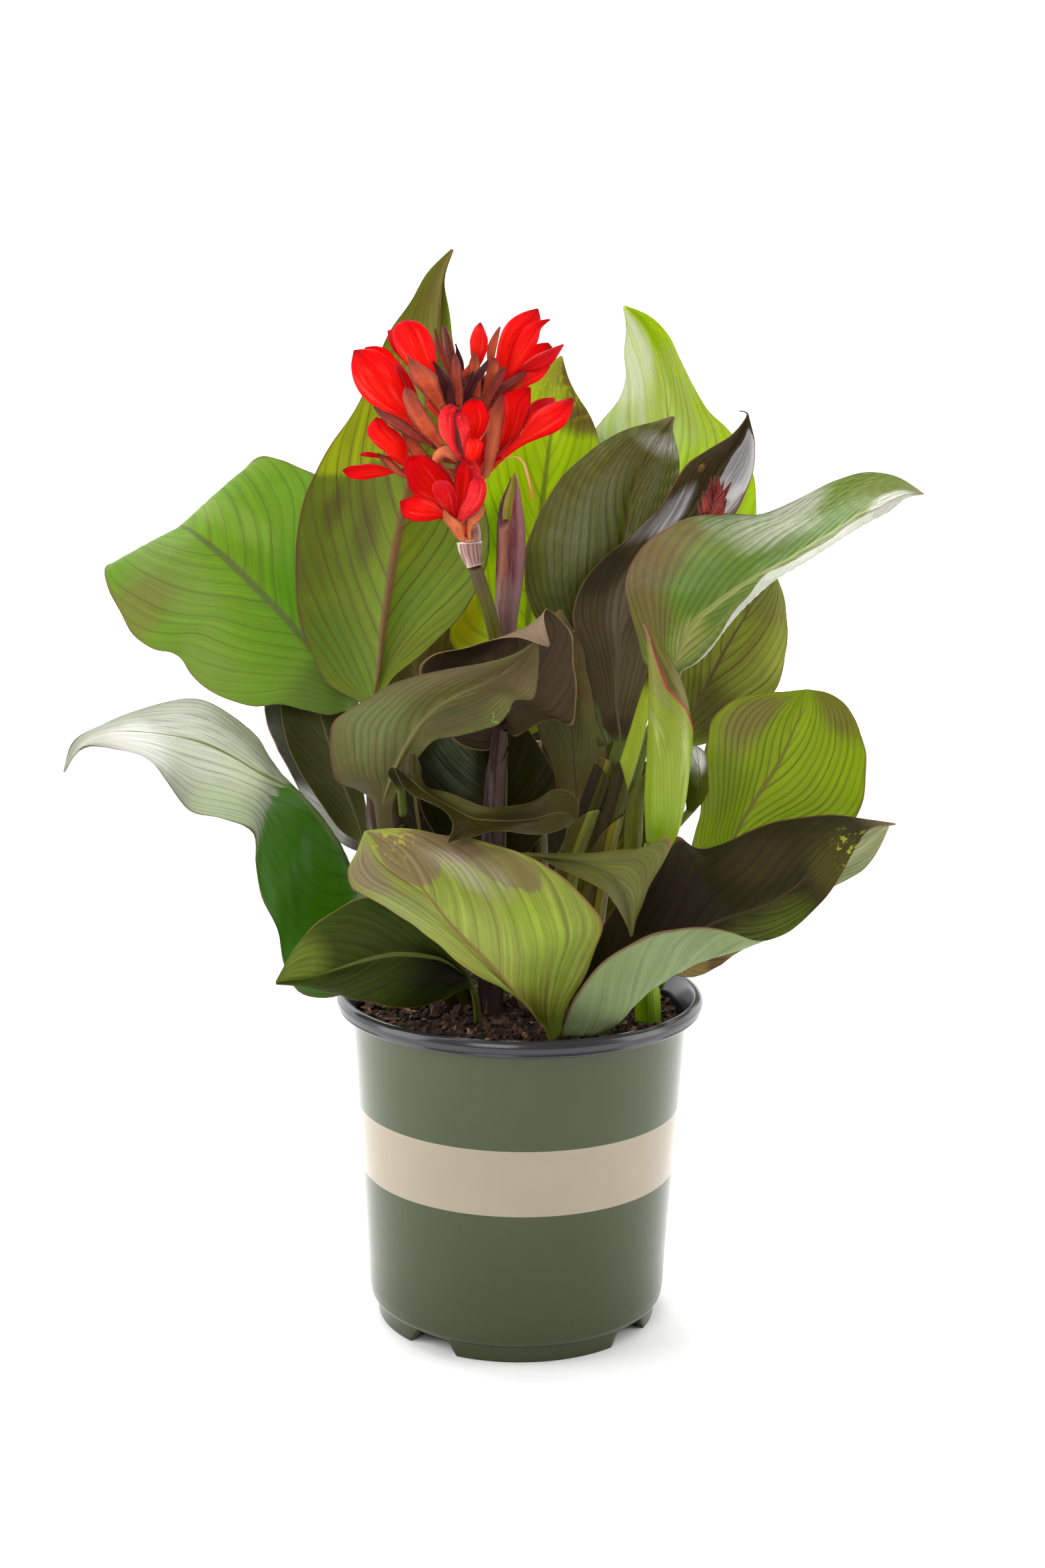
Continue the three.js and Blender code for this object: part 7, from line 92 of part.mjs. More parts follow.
  { root: [-40.9,-12,557.8], net: [[[-46.3,-15.9,559.7],[-45.8,-16.2,559.9],[-45.3,-16.3,560.1],[-44.9,-16.2,560.3],[-44.4,-15.9,560.5]],[[-47.2,-17.5,563],[-46.4,-18,563.3],[-45.7,-18.2,563.6],[-44.9,-18,563.9],[-44.2,-17.5,564.2]],[[-48.3,-19,566.2],[-47.2,-19.9,566.6],[-46.2,-20.2,567],[-45.1,-19.9,567.4],[-44.1,-19,567.8]],[[-49.8,-20.5,569.2],[-48.3,-21.9,569.8],[-46.9,-22.3,570.3],[-45.5,-21.9,570.8],[-44.1,-20.5,571.3]],[[-51.2,-22,572.3],[-49.6,-23.5,572.9],[-48,-24,573.6],[-46.5,-23.5,574.2],[-45,-22,574.8]],[[-51.9,-23.5,575.5],[-50.5,-24.7,576.2],[-49.2,-25.1,576.8],[-47.8,-24.7,577.4],[-46.5,-23.5,578]],[[-52.7,-25,578.8],[-51.7,-25.7,579.3],[-50.7,-25.9,579.8],[-49.7,-25.7,580.3],[-48.8,-25,580.8]],[[-53.5,-26.5,582],[-53,-26.7,582.3],[-52.4,-26.8,582.6],[-51.9,-26.7,582.9],[-51.3,-26.5,583.3]],[[-54.7,-28,585.1],[-54.5,-28,585.2],[-54.3,-28,585.3],[-54.1,-28,585.4],[-53.9,-28,585.6]]] },
  { root: [-40.9,-12,557.4], net: [[[-45.5,-17.9,559.6],[-45.1,-18.2,559.7],[-44.7,-18.3,559.8],[-44.3,-18.2,559.8],[-43.9,-17.9,559.9]],[[-46.7,-19.5,561.7],[-46.1,-19.9,561.9],[-45.6,-20,562],[-45,-19.9,562.1],[-44.4,-19.5,562.2]],[[-47.8,-21,563.8],[-47.1,-21.6,564],[-46.4,-21.8,564.2],[-45.7,-21.6,564.5],[-45,-21,564.7]],[[-48.9,-22.5,565.9],[-48,-23.3,566.2],[-47.1,-23.6,566.5],[-46.3,-23.3,566.8],[-45.4,-22.5,567.1]],[[-49.8,-24,568],[-48.8,-24.9,568.4],[-47.8,-25.2,568.8],[-46.9,-24.9,569.2],[-46,-24,569.5]],[[-50.5,-25.5,570.2],[-49.6,-26.3,570.6],[-48.7,-26.5,571],[-47.8,-26.3,571.4],[-47,-25.5,571.8]],[[-51.2,-27,572.4],[-50.5,-27.5,572.8],[-49.8,-27.7,573.1],[-49.1,-27.5,573.5],[-48.4,-27,573.8]],[[-51.7,-28.5,574.7],[-51.3,-28.7,574.9],[-50.8,-28.7,575.2],[-50.4,-28.7,575.4],[-50,-28.5,575.6]],[[-52.4,-30,576.9],[-52.2,-30,577],[-52,-30,577.1],[-51.8,-30,577.2],[-51.5,-30,577.4]]] },
  { root: [-40.7,-12,555.8], net: [[[-45.4,-19.9,558.2],[-44.7,-20.3,558.2],[-44,-20.4,558.3],[-43.3,-20.3,558.3],[-42.7,-19.9,558.3]],[[-46.4,-22,560.1],[-45.4,-22.6,560.1],[-44.4,-22.8,560.2],[-43.4,-22.6,560.2],[-42.4,-22,560.2]],[[-46.8,-24,562],[-45.7,-24.9,562],[-44.5,-25.2,562.1],[-43.4,-24.9,562.1],[-42.3,-24,562.1]],[[-46.7,-26,564],[-45.6,-27,564],[-44.5,-27.3,564],[-43.4,-27,564.1],[-42.3,-26,564.1]],[[-46.5,-28,566],[-45.5,-28.9,566],[-44.5,-29.2,566],[-43.5,-28.9,566],[-42.5,-28,566]],[[-46.3,-30,568],[-45.3,-30.7,568],[-44.4,-31,567.9],[-43.5,-30.7,567.9],[-42.6,-30,567.9]],[[-45.7,-32,569.8],[-45,-32.5,569.8],[-44.3,-32.6,569.8],[-43.5,-32.5,569.8],[-42.8,-32,569.8]],[[-44.8,-34,571.6],[-44.3,-34.2,571.6],[-43.9,-34.2,571.6],[-43.4,-34.2,571.6],[-43,-34,571.6]],[[-43.9,-36,573.4],[-43.6,-36,573.4],[-43.4,-36,573.4],[-43.1,-36,573.4],[-42.9,-36,573.4]]] },
  { root: [-40.9,-12,557], net: [[[-38.1,-13.9,559.7],[-37.6,-14.3,559.6],[-37.1,-14.5,559.4],[-36.6,-14.3,559.2],[-36.1,-13.9,559]],[[-37.7,-16.6,563.8],[-36.8,-17.4,563.5],[-35.9,-17.7,563.1],[-35,-17.4,562.8],[-34.2,-16.6,562.4]],[[-36.8,-19.2,567.6],[-35.7,-20.5,567.2],[-34.5,-20.9,566.8],[-33.4,-20.5,566.4],[-32.3,-19.2,565.9]],[[-35.1,-21.7,571.3],[-33.9,-23.2,570.8],[-32.8,-23.6,570.4],[-31.6,-23.2,569.9],[-30.5,-21.7,569.4]],[[-33.1,-24,574.8],[-32,-25.4,574.3],[-30.9,-25.9,573.9],[-29.9,-25.4,573.4],[-28.8,-24,572.9]],[[-30.9,-26.2,578.1],[-29.8,-27.5,577.6],[-28.7,-27.9,577.1],[-27.6,-27.5,576.6],[-26.6,-26.2,576.1]],[[-28.4,-28.2,581.2],[-27.4,-29.2,580.7],[-26.3,-29.5,580.2],[-25.3,-29.2,579.7],[-24.3,-28.2,579.2]],[[-25.7,-30.1,584.1],[-25,-30.5,583.7],[-24.4,-30.6,583.4],[-23.7,-30.5,583.1],[-23.1,-30.1,582.7]],[[-23,-32,586.8],[-22.8,-32,586.7],[-22.6,-32,586.6],[-22.4,-32,586.5],[-22.1,-32,586.4]]] },
  { root: [-41,-12,558.5], net: [[[-37.7,-16.9,561.3],[-37.4,-17.2,561.1],[-37,-17.2,561],[-36.7,-17.2,560.9],[-36.4,-16.9,560.7]],[[-37.5,-19.1,563.9],[-37.1,-19.4,563.7],[-36.6,-19.5,563.5],[-36.2,-19.4,563.3],[-35.8,-19.1,563.1]],[[-37.2,-21.2,566.4],[-36.6,-21.7,566.2],[-36.1,-21.9,566],[-35.5,-21.7,565.8],[-35,-21.2,565.6]],[[-36.8,-23.4,568.9],[-36.1,-24,568.7],[-35.4,-24.2,568.5],[-34.8,-24,568.3],[-34.1,-23.4,568]],[[-36.2,-25.5,571.4],[-35.4,-26.2,571.2],[-34.7,-26.5,570.9],[-33.9,-26.2,570.7],[-33.2,-25.5,570.4]],[[-35.4,-27.6,573.8],[-34.5,-28.4,573.6],[-33.6,-28.6,573.3],[-32.8,-28.4,573],[-31.9,-27.6,572.7]],[[-34.4,-29.8,576],[-33.5,-30.3,575.8],[-32.6,-30.5,575.6],[-31.7,-30.3,575.3],[-30.9,-29.8,575.1]],[[-33,-31.9,578.1],[-32.4,-32.1,578],[-31.9,-32.2,577.8],[-31.4,-32.1,577.7],[-30.8,-31.9,577.5]],[[-31.6,-34,580.2],[-31.4,-34,580.1],[-31.1,-34,580.1],[-30.9,-34,580],[-30.6,-34,579.9]]] },
  { root: [-42.6,-12,571.4], net: [[[-23.7,-7.9,574],[-23.1,-8.3,573.9],[-22.5,-8.4,573.9],[-22,-8.3,573.8],[-21.4,-7.9,573.8]],[[-23.6,-9,578.1],[-22.9,-9.4,578],[-22.3,-9.6,578],[-21.6,-9.4,577.9],[-20.9,-9,577.9]],[[-23.6,-10,582.3],[-22.8,-10.7,582.2],[-22,-10.9,582.1],[-21.1,-10.7,581.9],[-20.3,-10,581.8]],[[-23.7,-11,586.5],[-22.7,-11.9,586.3],[-21.7,-12.2,586.1],[-20.7,-11.9,586],[-19.7,-11,585.8]],[[-23.8,-12,590.7],[-22.6,-13.1,590.5],[-21.3,-13.5,590.2],[-20.1,-13.1,589.9],[-18.9,-12,589.7]],[[-23.2,-13,594.8],[-21.9,-14.1,594.5],[-20.6,-14.4,594.2],[-19.4,-14.1,593.9],[-18.1,-13,593.6]],[[-21.5,-14,598.7],[-20.4,-14.7,598.4],[-19.3,-15,598.1],[-18.2,-14.7,597.7],[-17.2,-14,597.4]],[[-19.3,-15,602.2],[-18.6,-15.3,602],[-17.9,-15.4,601.7],[-17.2,-15.3,601.5],[-16.5,-15,601.3]],[[-16.8,-16,605.5],[-16.5,-16,605.4],[-16.3,-16,605.3],[-16,-16,605.2],[-15.8,-16,605.1]]] },
  { root: [-41.9,-12,566.3], net: [[[-32,-11.9,569],[-31.4,-12.3,568.9],[-30.9,-12.5,568.8],[-30.4,-12.3,568.7],[-29.9,-11.9,568.5]],[[-32.5,-13.2,571.9],[-31.6,-14,571.8],[-30.7,-14.2,571.6],[-29.8,-14,571.4],[-28.9,-13.2,571.2]],[[-33.2,-14.5,574.7],[-31.9,-15.9,574.5],[-30.6,-16.3,574.4],[-29.3,-15.9,574.2],[-28.1,-14.5,574.1]],[[-34.2,-15.8,577.4],[-32.5,-17.7,577.3],[-30.8,-18.3,577.2],[-29.2,-17.7,577.1],[-27.6,-15.8,577]],[[-34.3,-17,580.1],[-32.6,-19,580.1],[-30.9,-19.7,580],[-29.2,-19,579.9],[-27.6,-17,579.9]],[[-34,-18.2,583],[-32.4,-20,582.9],[-30.8,-20.6,582.9],[-29.1,-20,582.8],[-27.6,-18.2,582.8]],[[-33.6,-19.5,585.7],[-32.2,-20.7,585.7],[-30.7,-21.1,585.6],[-29.3,-20.7,585.6],[-27.9,-19.5,585.6]],[[-32.5,-20.8,588.3],[-31.6,-21.2,588.3],[-30.7,-21.4,588.3],[-29.8,-21.2,588.3],[-29,-20.8,588.3]],[[-31.2,-22,590.8],[-30.9,-22,590.8],[-30.7,-22,590.8],[-30.4,-22,590.8],[-30.2,-22,590.8]]] },
  { root: [-40.7,-12,555.8], net: [[[-26.2,-13.9,558.5],[-25.6,-14.3,558.5],[-25.1,-14.5,558.4],[-24.5,-14.3,558.3],[-23.9,-13.9,558.2]],[[-26.1,-16,562],[-25.1,-16.8,561.8],[-24,-17.1,561.7],[-23,-16.8,561.5],[-22.1,-16,561.3]],[[-24.6,-18,565],[-23.5,-19.1,564.8],[-22.5,-19.5,564.7],[-21.4,-19.1,564.5],[-20.4,-18,564.4]],[[-22.2,-20,567.8],[-21.3,-21,567.7],[-20.5,-21.4,567.6],[-19.6,-21,567.5],[-18.8,-20,567.4]],[[-20.5,-22,571],[-19.6,-23.1,570.8],[-18.7,-23.4,570.7],[-17.8,-23.1,570.5],[-16.9,-22,570.3]],[[-18.8,-24,574.1],[-17.8,-25,573.9],[-16.9,-25.4,573.7],[-16,-25,573.5],[-15,-24,573.3]],[[-17,-26,577.2],[-16.2,-26.7,577],[-15.4,-26.9,576.7],[-14.6,-26.7,576.5],[-13.9,-26,576.3]],[[-15,-28,580.1],[-14.5,-28.3,580],[-14.1,-28.3,579.9],[-13.6,-28.3,579.7],[-13.1,-28,579.6]],[[-13.4,-30,583.1],[-13.1,-30,583.1],[-12.9,-30,583],[-12.6,-30,582.9],[-12.4,-30,582.9]]] },
  { root: [-41,-12,558.1], net: [[[-27.2,-8.8,560.4],[-26.5,-9.5,560.5],[-25.8,-9.7,560.6],[-25.2,-9.5,560.6],[-24.6,-8.8,560.7]],[[-26.9,-9.9,564.2],[-26.2,-10.6,564.3],[-25.5,-10.8,564.4],[-24.9,-10.6,564.4],[-24.2,-9.9,564.5]],[[-26.5,-10.8,567.9],[-25.7,-11.8,568],[-24.9,-12.1,568.1],[-24.1,-11.8,568.1],[-23.4,-10.8,568.2]],[[-25.9,-11.6,571.5],[-24.9,-13,571.5],[-24,-13.4,571.6],[-23.1,-13,571.6],[-22.2,-11.6,571.6]],[[-25,-12.5,575.1],[-23.6,-14.4,575],[-22.4,-15,574.9],[-21.1,-14.4,574.8],[-19.8,-12.5,574.7]],[[-24.1,-13.4,578.6],[-22.5,-15.5,578.5],[-21,-16.2,578.3],[-19.4,-15.5,578.1],[-17.8,-13.4,577.9]],[[-23.7,-14.2,582.4],[-21.9,-16.1,582.2],[-20.1,-16.8,582],[-18.4,-16.1,581.8],[-16.6,-14.2,581.5]],[[-22.8,-15.1,585.7],[-21.3,-16.1,585.5],[-19.8,-16.4,585.3],[-18.4,-16.1,585.2],[-16.9,-15.1,585]],[[-20.1,-16,588.3],[-19.9,-16,588.2],[-19.6,-16,588.2],[-19.4,-16,588.2],[-19.1,-16,588.1]]] },
  { root: [-38.8,-12,536.7], net: [[[-29.3,-29.9,539.8],[-28.7,-30.2,539.8],[-28.2,-30.2,539.9],[-27.6,-30.2,539.9],[-27.1,-29.9,540]],[[-28.5,-31.8,541.5],[-27.8,-32,541.6],[-27.2,-32.1,541.6],[-26.6,-32,541.7],[-26,-31.8,541.8]],[[-27.7,-33.5,543.4],[-27,-33.9,543.4],[-26.3,-34,543.4],[-25.6,-33.9,543.4],[-24.9,-33.5,543.3]],[[-26.8,-35.2,545.3],[-26.1,-35.7,545.2],[-25.4,-35.8,545.1],[-24.7,-35.7,545.1],[-24,-35.2,545]],[[-26,-37,547.2],[-25.2,-37.4,547],[-24.5,-37.6,546.9],[-23.8,-37.4,546.8],[-23.1,-37,546.7]],[[-25,-38.8,549],[-24.3,-39.1,548.8],[-23.6,-39.3,548.7],[-23,-39.1,548.6],[-22.3,-38.8,548.4]],[[-23.9,-40.5,550.7],[-23.4,-40.7,550.6],[-22.8,-40.8,550.4],[-22.3,-40.7,550.3],[-21.7,-40.5,550.2]],[[-22.7,-42.2,552.4],[-22.4,-42.3,552.3],[-22,-42.4,552.2],[-21.7,-42.3,552.1],[-21.4,-42.2,552]],[[-21.8,-44,554],[-21.5,-44,554],[-21.3,-44,553.9],[-21.1,-44,553.8],[-20.8,-44,553.8]]] },
  { root: [-33.3,-12,483.8], net: [[[-35.6,-23.9,481.8],[-35.1,-24.4,482.1],[-34.6,-24.5,482.5],[-34,-24.4,482.8],[-33.5,-23.9,483]],[[-38.5,-27.2,483.2],[-37.7,-28,483.7],[-36.9,-28.3,484.2],[-36.1,-28,484.7],[-35.3,-27.2,485.1]],[[-40.5,-30.5,485.1],[-39.3,-32,486],[-38.1,-32.5,486.9],[-36.9,-32,487.6],[-35.8,-30.5,488.3]],[[-42.1,-33.8,487.9],[-40.5,-35.8,489],[-39,-36.5,490],[-37.5,-35.8,490.8],[-36.1,-33.8,491.6]],[[-43.6,-37,490.8],[-41.9,-39.2,491.8],[-40.3,-39.9,492.6],[-38.7,-39.2,493.4],[-37.1,-37,494.1]],[[-45.5,-40.2,493.3],[-43.9,-42,494.2],[-42.4,-42.6,494.9],[-41,-42,495.5],[-39.5,-40.2,496.1]],[[-47.1,-43.5,496],[-45.8,-44.7,496.6],[-44.5,-45,497.1],[-43.3,-44.7,497.6],[-42.1,-43.5,498.1]],[[-47.4,-46.8,498.8],[-46.6,-47.2,499.2],[-45.8,-47.3,499.5],[-45,-47.2,499.8],[-44.3,-46.8,500.1]],[[-47.1,-50,501.8],[-46.9,-50,501.9],[-46.7,-50,502],[-46.5,-50,502.1],[-46.2,-50,502.2]]] },
  { root: [-33.3,-12,483.8], net: [[[-33.8,-19.9,481.9],[-33.3,-20.2,481.9],[-32.8,-20.3,482],[-32.2,-20.2,482],[-31.7,-19.9,482]],[[-34.2,-22.5,485.4],[-33.6,-22.9,485.4],[-32.9,-23,485.5],[-32.3,-22.9,485.5],[-31.7,-22.5,485.5]],[[-34.4,-25,488.8],[-33.7,-25.5,488.8],[-33,-25.7,488.7],[-32.3,-25.5,488.7],[-31.7,-25,488.6]],[[-34.4,-27.5,492.3],[-33.5,-28.3,492.1],[-32.7,-28.5,491.8],[-31.8,-28.3,491.5],[-31,-27.5,491.1]],[[-34.1,-30,495.4],[-32.6,-31.3,495],[-31.2,-31.8,494.5],[-29.8,-31.3,493.9],[-28.4,-30,493.3]],[[-31.3,-32.5,497.4],[-30.1,-33.6,497],[-28.8,-33.9,496.7],[-27.6,-33.6,496.3],[-26.3,-32.5,495.8]],[[-28.3,-35,499.4],[-27.4,-35.6,499.2],[-26.5,-35.8,499],[-25.6,-35.6,498.8],[-24.8,-35,498.5]],[[-26.1,-37.5,501.9],[-25.6,-37.7,501.8],[-25,-37.8,501.7],[-24.5,-37.7,501.5],[-23.9,-37.5,501.4]],[[-24.4,-40,504.8],[-24.1,-40,504.7],[-23.9,-40,504.7],[-23.6,-40,504.6],[-23.4,-40,504.6]]] },
  { root: [-33.3,-12,483.8], net: [[[-33.2,-15.6,481.3],[-31.5,-17,481.5],[-29.9,-17.4,481.6],[-28.2,-17,481.6],[-26.6,-15.6,481.6]],[[-33.1,-16.2,483],[-31.4,-17.6,483.2],[-29.8,-18,483.3],[-28.1,-17.6,483.4],[-26.4,-16.2,483.3]],[[-32.9,-16.5,484.8],[-31.3,-18.2,485],[-29.6,-18.8,485.1],[-28,-18.2,485.1],[-26.4,-16.5,485]],[[-32.7,-16.8,486.5],[-31.1,-18.6,486.7],[-29.5,-19.2,486.8],[-27.9,-18.6,486.8],[-26.4,-16.8,486.6]],[[-32.3,-17,488.2],[-30.8,-18.7,488.3],[-29.4,-19.2,488.4],[-28,-18.7,488.4],[-26.6,-17,488.3]],[[-31.7,-17.2,489.8],[-30.4,-18.5,489.9],[-29.2,-18.9,490],[-28.1,-18.5,490],[-26.9,-17.2,489.9]],[[-30.9,-17.5,491.4],[-30,-18.2,491.5],[-29.1,-18.5,491.5],[-28.2,-18.2,491.5],[-27.3,-17.5,491.5]],[[-30,-17.8,493],[-29.5,-18,493],[-29,-18.1,493],[-28.4,-18,493],[-27.9,-17.8,493]],[[-29.4,-18,494.4],[-29.2,-18,494.4],[-28.9,-18,494.5],[-28.7,-18,494.5],[-28.4,-18,494.5]]] },
  { root: [-41.1,-12,559.1], net: [[[-30.7,-11.8,561.5],[-29.7,-12.4,561.5],[-28.7,-12.6,561.5],[-27.8,-12.4,561.6],[-26.8,-11.8,561.6]],[[-31.6,-13,565.2],[-30.4,-13.7,565.2],[-29.2,-14,565.3],[-28,-13.7,565.3],[-26.8,-13,565.3]],[[-32.4,-14,568.9],[-31,-15.1,569],[-29.6,-15.5,569],[-28.2,-15.1,569],[-26.8,-14,569.1]],[[-33,-15,572.6],[-31.4,-16.4,572.7],[-29.9,-16.8,572.7],[-28.3,-16.4,572.8],[-26.8,-15,572.8]],[[-33.4,-16,576.4],[-31.8,-17.4,576.4],[-30.2,-17.9,576.5],[-28.6,-17.4,576.5],[-27,-16,576.5]],[[-33.7,-17,580.2],[-32.1,-18.3,580.2],[-30.5,-18.7,580.2],[-29,-18.3,580.2],[-27.4,-17,580.2]],[[-33.7,-18,583.8],[-32.2,-18.9,583.8],[-30.8,-19.2,583.9],[-29.4,-18.9,583.9],[-28,-18,583.9]],[[-32.6,-19,587.4],[-31.7,-19.3,587.4],[-30.8,-19.5,587.4],[-29.9,-19.3,587.4],[-29.1,-19,587.4]],[[-31.1,-20,590.9],[-30.8,-20,590.9],[-30.6,-20,590.9],[-30.3,-20,590.9],[-30.1,-20,590.9]]] },
  { root: [-41.1,-12,558.8], net: [[[-26.9,-5.7,561.1],[-25.3,-6.7,561.1],[-23.8,-7,561.2],[-22.3,-6.7,561.2],[-20.7,-5.7,561.2]],[[-26.5,-6.8,564.6],[-24.8,-7.7,564.7],[-23.2,-8.1,564.7],[-21.6,-7.7,564.7],[-20,-6.8,564.7]],[[-26,-7.5,568.1],[-24.3,-8.8,568.2],[-22.7,-9.2,568.2],[-21,-8.8,568.2],[-19.4,-7.5,568.3]],[[-25.4,-8.2,571.6],[-23.7,-9.7,571.6],[-22.1,-10.1,571.7],[-20.5,-9.7,571.8],[-18.9,-8.2,571.8]],[[-24.6,-9,575],[-23.1,-10.3,575.1],[-21.5,-10.8,575.2],[-20.1,-10.3,575.3],[-18.6,-9,575.4]],[[-23.7,-9.8,578.4],[-22.3,-10.8,578.5],[-21,-11.2,578.7],[-19.6,-10.8,578.8],[-18.3,-9.8,579]],[[-22.9,-10.5,581.8],[-21.7,-11.3,582],[-20.5,-11.5,582.1],[-19.4,-11.3,582.3],[-18.2,-10.5,582.4]],[[-22.3,-11.2,585.2],[-21.6,-11.5,585.3],[-20.8,-11.6,585.5],[-20.1,-11.5,585.6],[-19.3,-11.2,585.7]],[[-22.1,-12,588.7],[-21.9,-12,588.7],[-21.6,-12,588.7],[-21.4,-12,588.8],[-21.1,-12,588.8]]] },
  { root: [-41.2,-12,559.9], net: [[[-25.7,-15.8,563],[-24.7,-16.4,562.7],[-23.7,-16.7,562.5],[-22.7,-16.4,562.2],[-21.7,-15.8,561.9]],[[-24.8,-16.8,565.8],[-23.7,-17.5,565.5],[-22.5,-17.7,565.2],[-21.4,-17.5,564.9],[-20.3,-16.8,564.6]],[[-23.8,-17.5,568.6],[-22.6,-18.5,568.3],[-21.3,-18.8,567.9],[-20.1,-18.5,567.5],[-18.9,-17.5,567.1]],[[-22.6,-18.2,571.4],[-21.3,-19.4,571],[-20.1,-19.8,570.6],[-18.9,-19.4,570.1],[-17.7,-18.2,569.7]],[[-21.2,-19,574.1],[-20.1,-20.1,573.7],[-18.9,-20.5,573.2],[-17.8,-20.1,572.7],[-16.6,-19,572.3]],[[-19.7,-19.8,576.8],[-18.7,-20.7,576.3],[-17.6,-21,575.8],[-16.6,-20.7,575.4],[-15.6,-19.8,574.9]],[[-17.9,-20.5,579.2],[-17.1,-21.1,578.8],[-16.3,-21.3,578.4],[-15.5,-21.1,578],[-14.7,-20.5,577.5]],[[-15.9,-21.2,581.4],[-15.4,-21.5,581.1],[-14.9,-21.6,580.8],[-14.4,-21.5,580.5],[-13.9,-21.2,580.2]],[[-13.7,-22,583.3],[-13.5,-22,583.2],[-13.3,-22,583.1],[-13.1,-22,582.9],[-12.8,-22,582.8]]] },
  { root: [-40.9,-12,557.6], net: [[[-21.5,-9.8,562.5],[-20.8,-10.6,561.3],[-20.1,-10.9,560.1],[-19.4,-10.6,558.9],[-18.8,-9.8,557.7]],[[-20,-10.5,565.8],[-19.3,-11.4,564.7],[-18.6,-11.6,563.4],[-18,-11.4,562.2],[-17.3,-10.5,561]],[[-18.1,-11,568.7],[-17.5,-12,567.6],[-16.9,-12.4,566.5],[-16.2,-12,565.4],[-15.6,-11,564.2]],[[-16,-11.5,571.3],[-15.4,-12.6,570.3],[-14.8,-12.9,569.2],[-14.2,-12.6,568.2],[-13.6,-11.5,567.1]],[[-13.6,-12,573.7],[-13,-13.1,572.7],[-12.3,-13.5,571.6],[-11.7,-13.1,570.6],[-11.1,-12,569.5]],[[-10.9,-12.5,575.9],[-10.2,-13.5,574.8],[-9.5,-13.9,573.8],[-8.8,-13.5,572.8],[-8.1,-12.5,571.7]],[[-8.1,-13,577.7],[-7.4,-13.7,576.8],[-6.8,-13.9,576],[-6.2,-13.7,575.1],[-5.6,-13,574.2]],[[-5.1,-13.5,579.3],[-4.7,-13.8,578.8],[-4.3,-13.9,578.2],[-3.8,-13.8,577.6],[-3.4,-13.5,577.1]],[[-2,-14,580.8],[-1.9,-14,580.6],[-1.8,-14,580.4],[-1.6,-14,580.2],[-1.5,-14,580]]] },
  { root: [-40.5,-12,553.5], net: [[[-38,-2.8,555.3],[-33,-3.7,555.5],[-28,-4,555.7],[-23,-3.7,555.9],[-18.1,-2.8,556.1]],[[-38.5,-3.2,558.9],[-33.1,-4.3,559.2],[-27.7,-4.6,559.4],[-22.3,-4.3,559.6],[-16.9,-3.2,559.8]],[[-38.8,-3.5,562.3],[-33.2,-4.8,562.7],[-27.6,-5.3,563],[-22.1,-4.8,563.4],[-16.6,-3.5,563.7]],[[-38.8,-3.8,565.7],[-33.4,-5.2,566.2],[-28,-5.7,566.7],[-22.5,-5.2,567.1],[-17.2,-3.8,567.6]],[[-38.7,-4,569.1],[-33.7,-5.5,569.7],[-28.8,-6,570.3],[-23.9,-5.5,570.8],[-19,-4,571.3]],[[-38.4,-4.2,572.4],[-34.1,-5.6,573],[-29.7,-6,573.5],[-25.4,-5.6,574],[-21.1,-4.2,574.5]],[[-37.6,-4.5,575.6],[-34.1,-5.6,576],[-30.6,-5.9,576.4],[-27.2,-5.6,576.8],[-23.8,-4.5,577.2]],[[-35.9,-4.8,578.6],[-33.7,-5.3,578.8],[-31.5,-5.5,579.1],[-29.3,-5.3,579.4],[-27.1,-4.8,579.6]],[[-33.8,-5,581.5],[-33.1,-5,581.5],[-32.4,-5,581.5],[-31.7,-5,581.5],[-31,-5,581.5]]] },
];
// The bent stalk of an opened bud in the middle of the head.
const CURL = [[-37.3,-13,515.7,1.8],[-44.8,-22,520.4,2.2],[-49.2,-29,524.9,2.6],[-51,-34,529.7,3],[-49.3,-38,533.3,3.2],[-45.8,-40,534.9,3.3],[-42,-40,533.1,3],[-39.8,-38,530.4,2.4]];
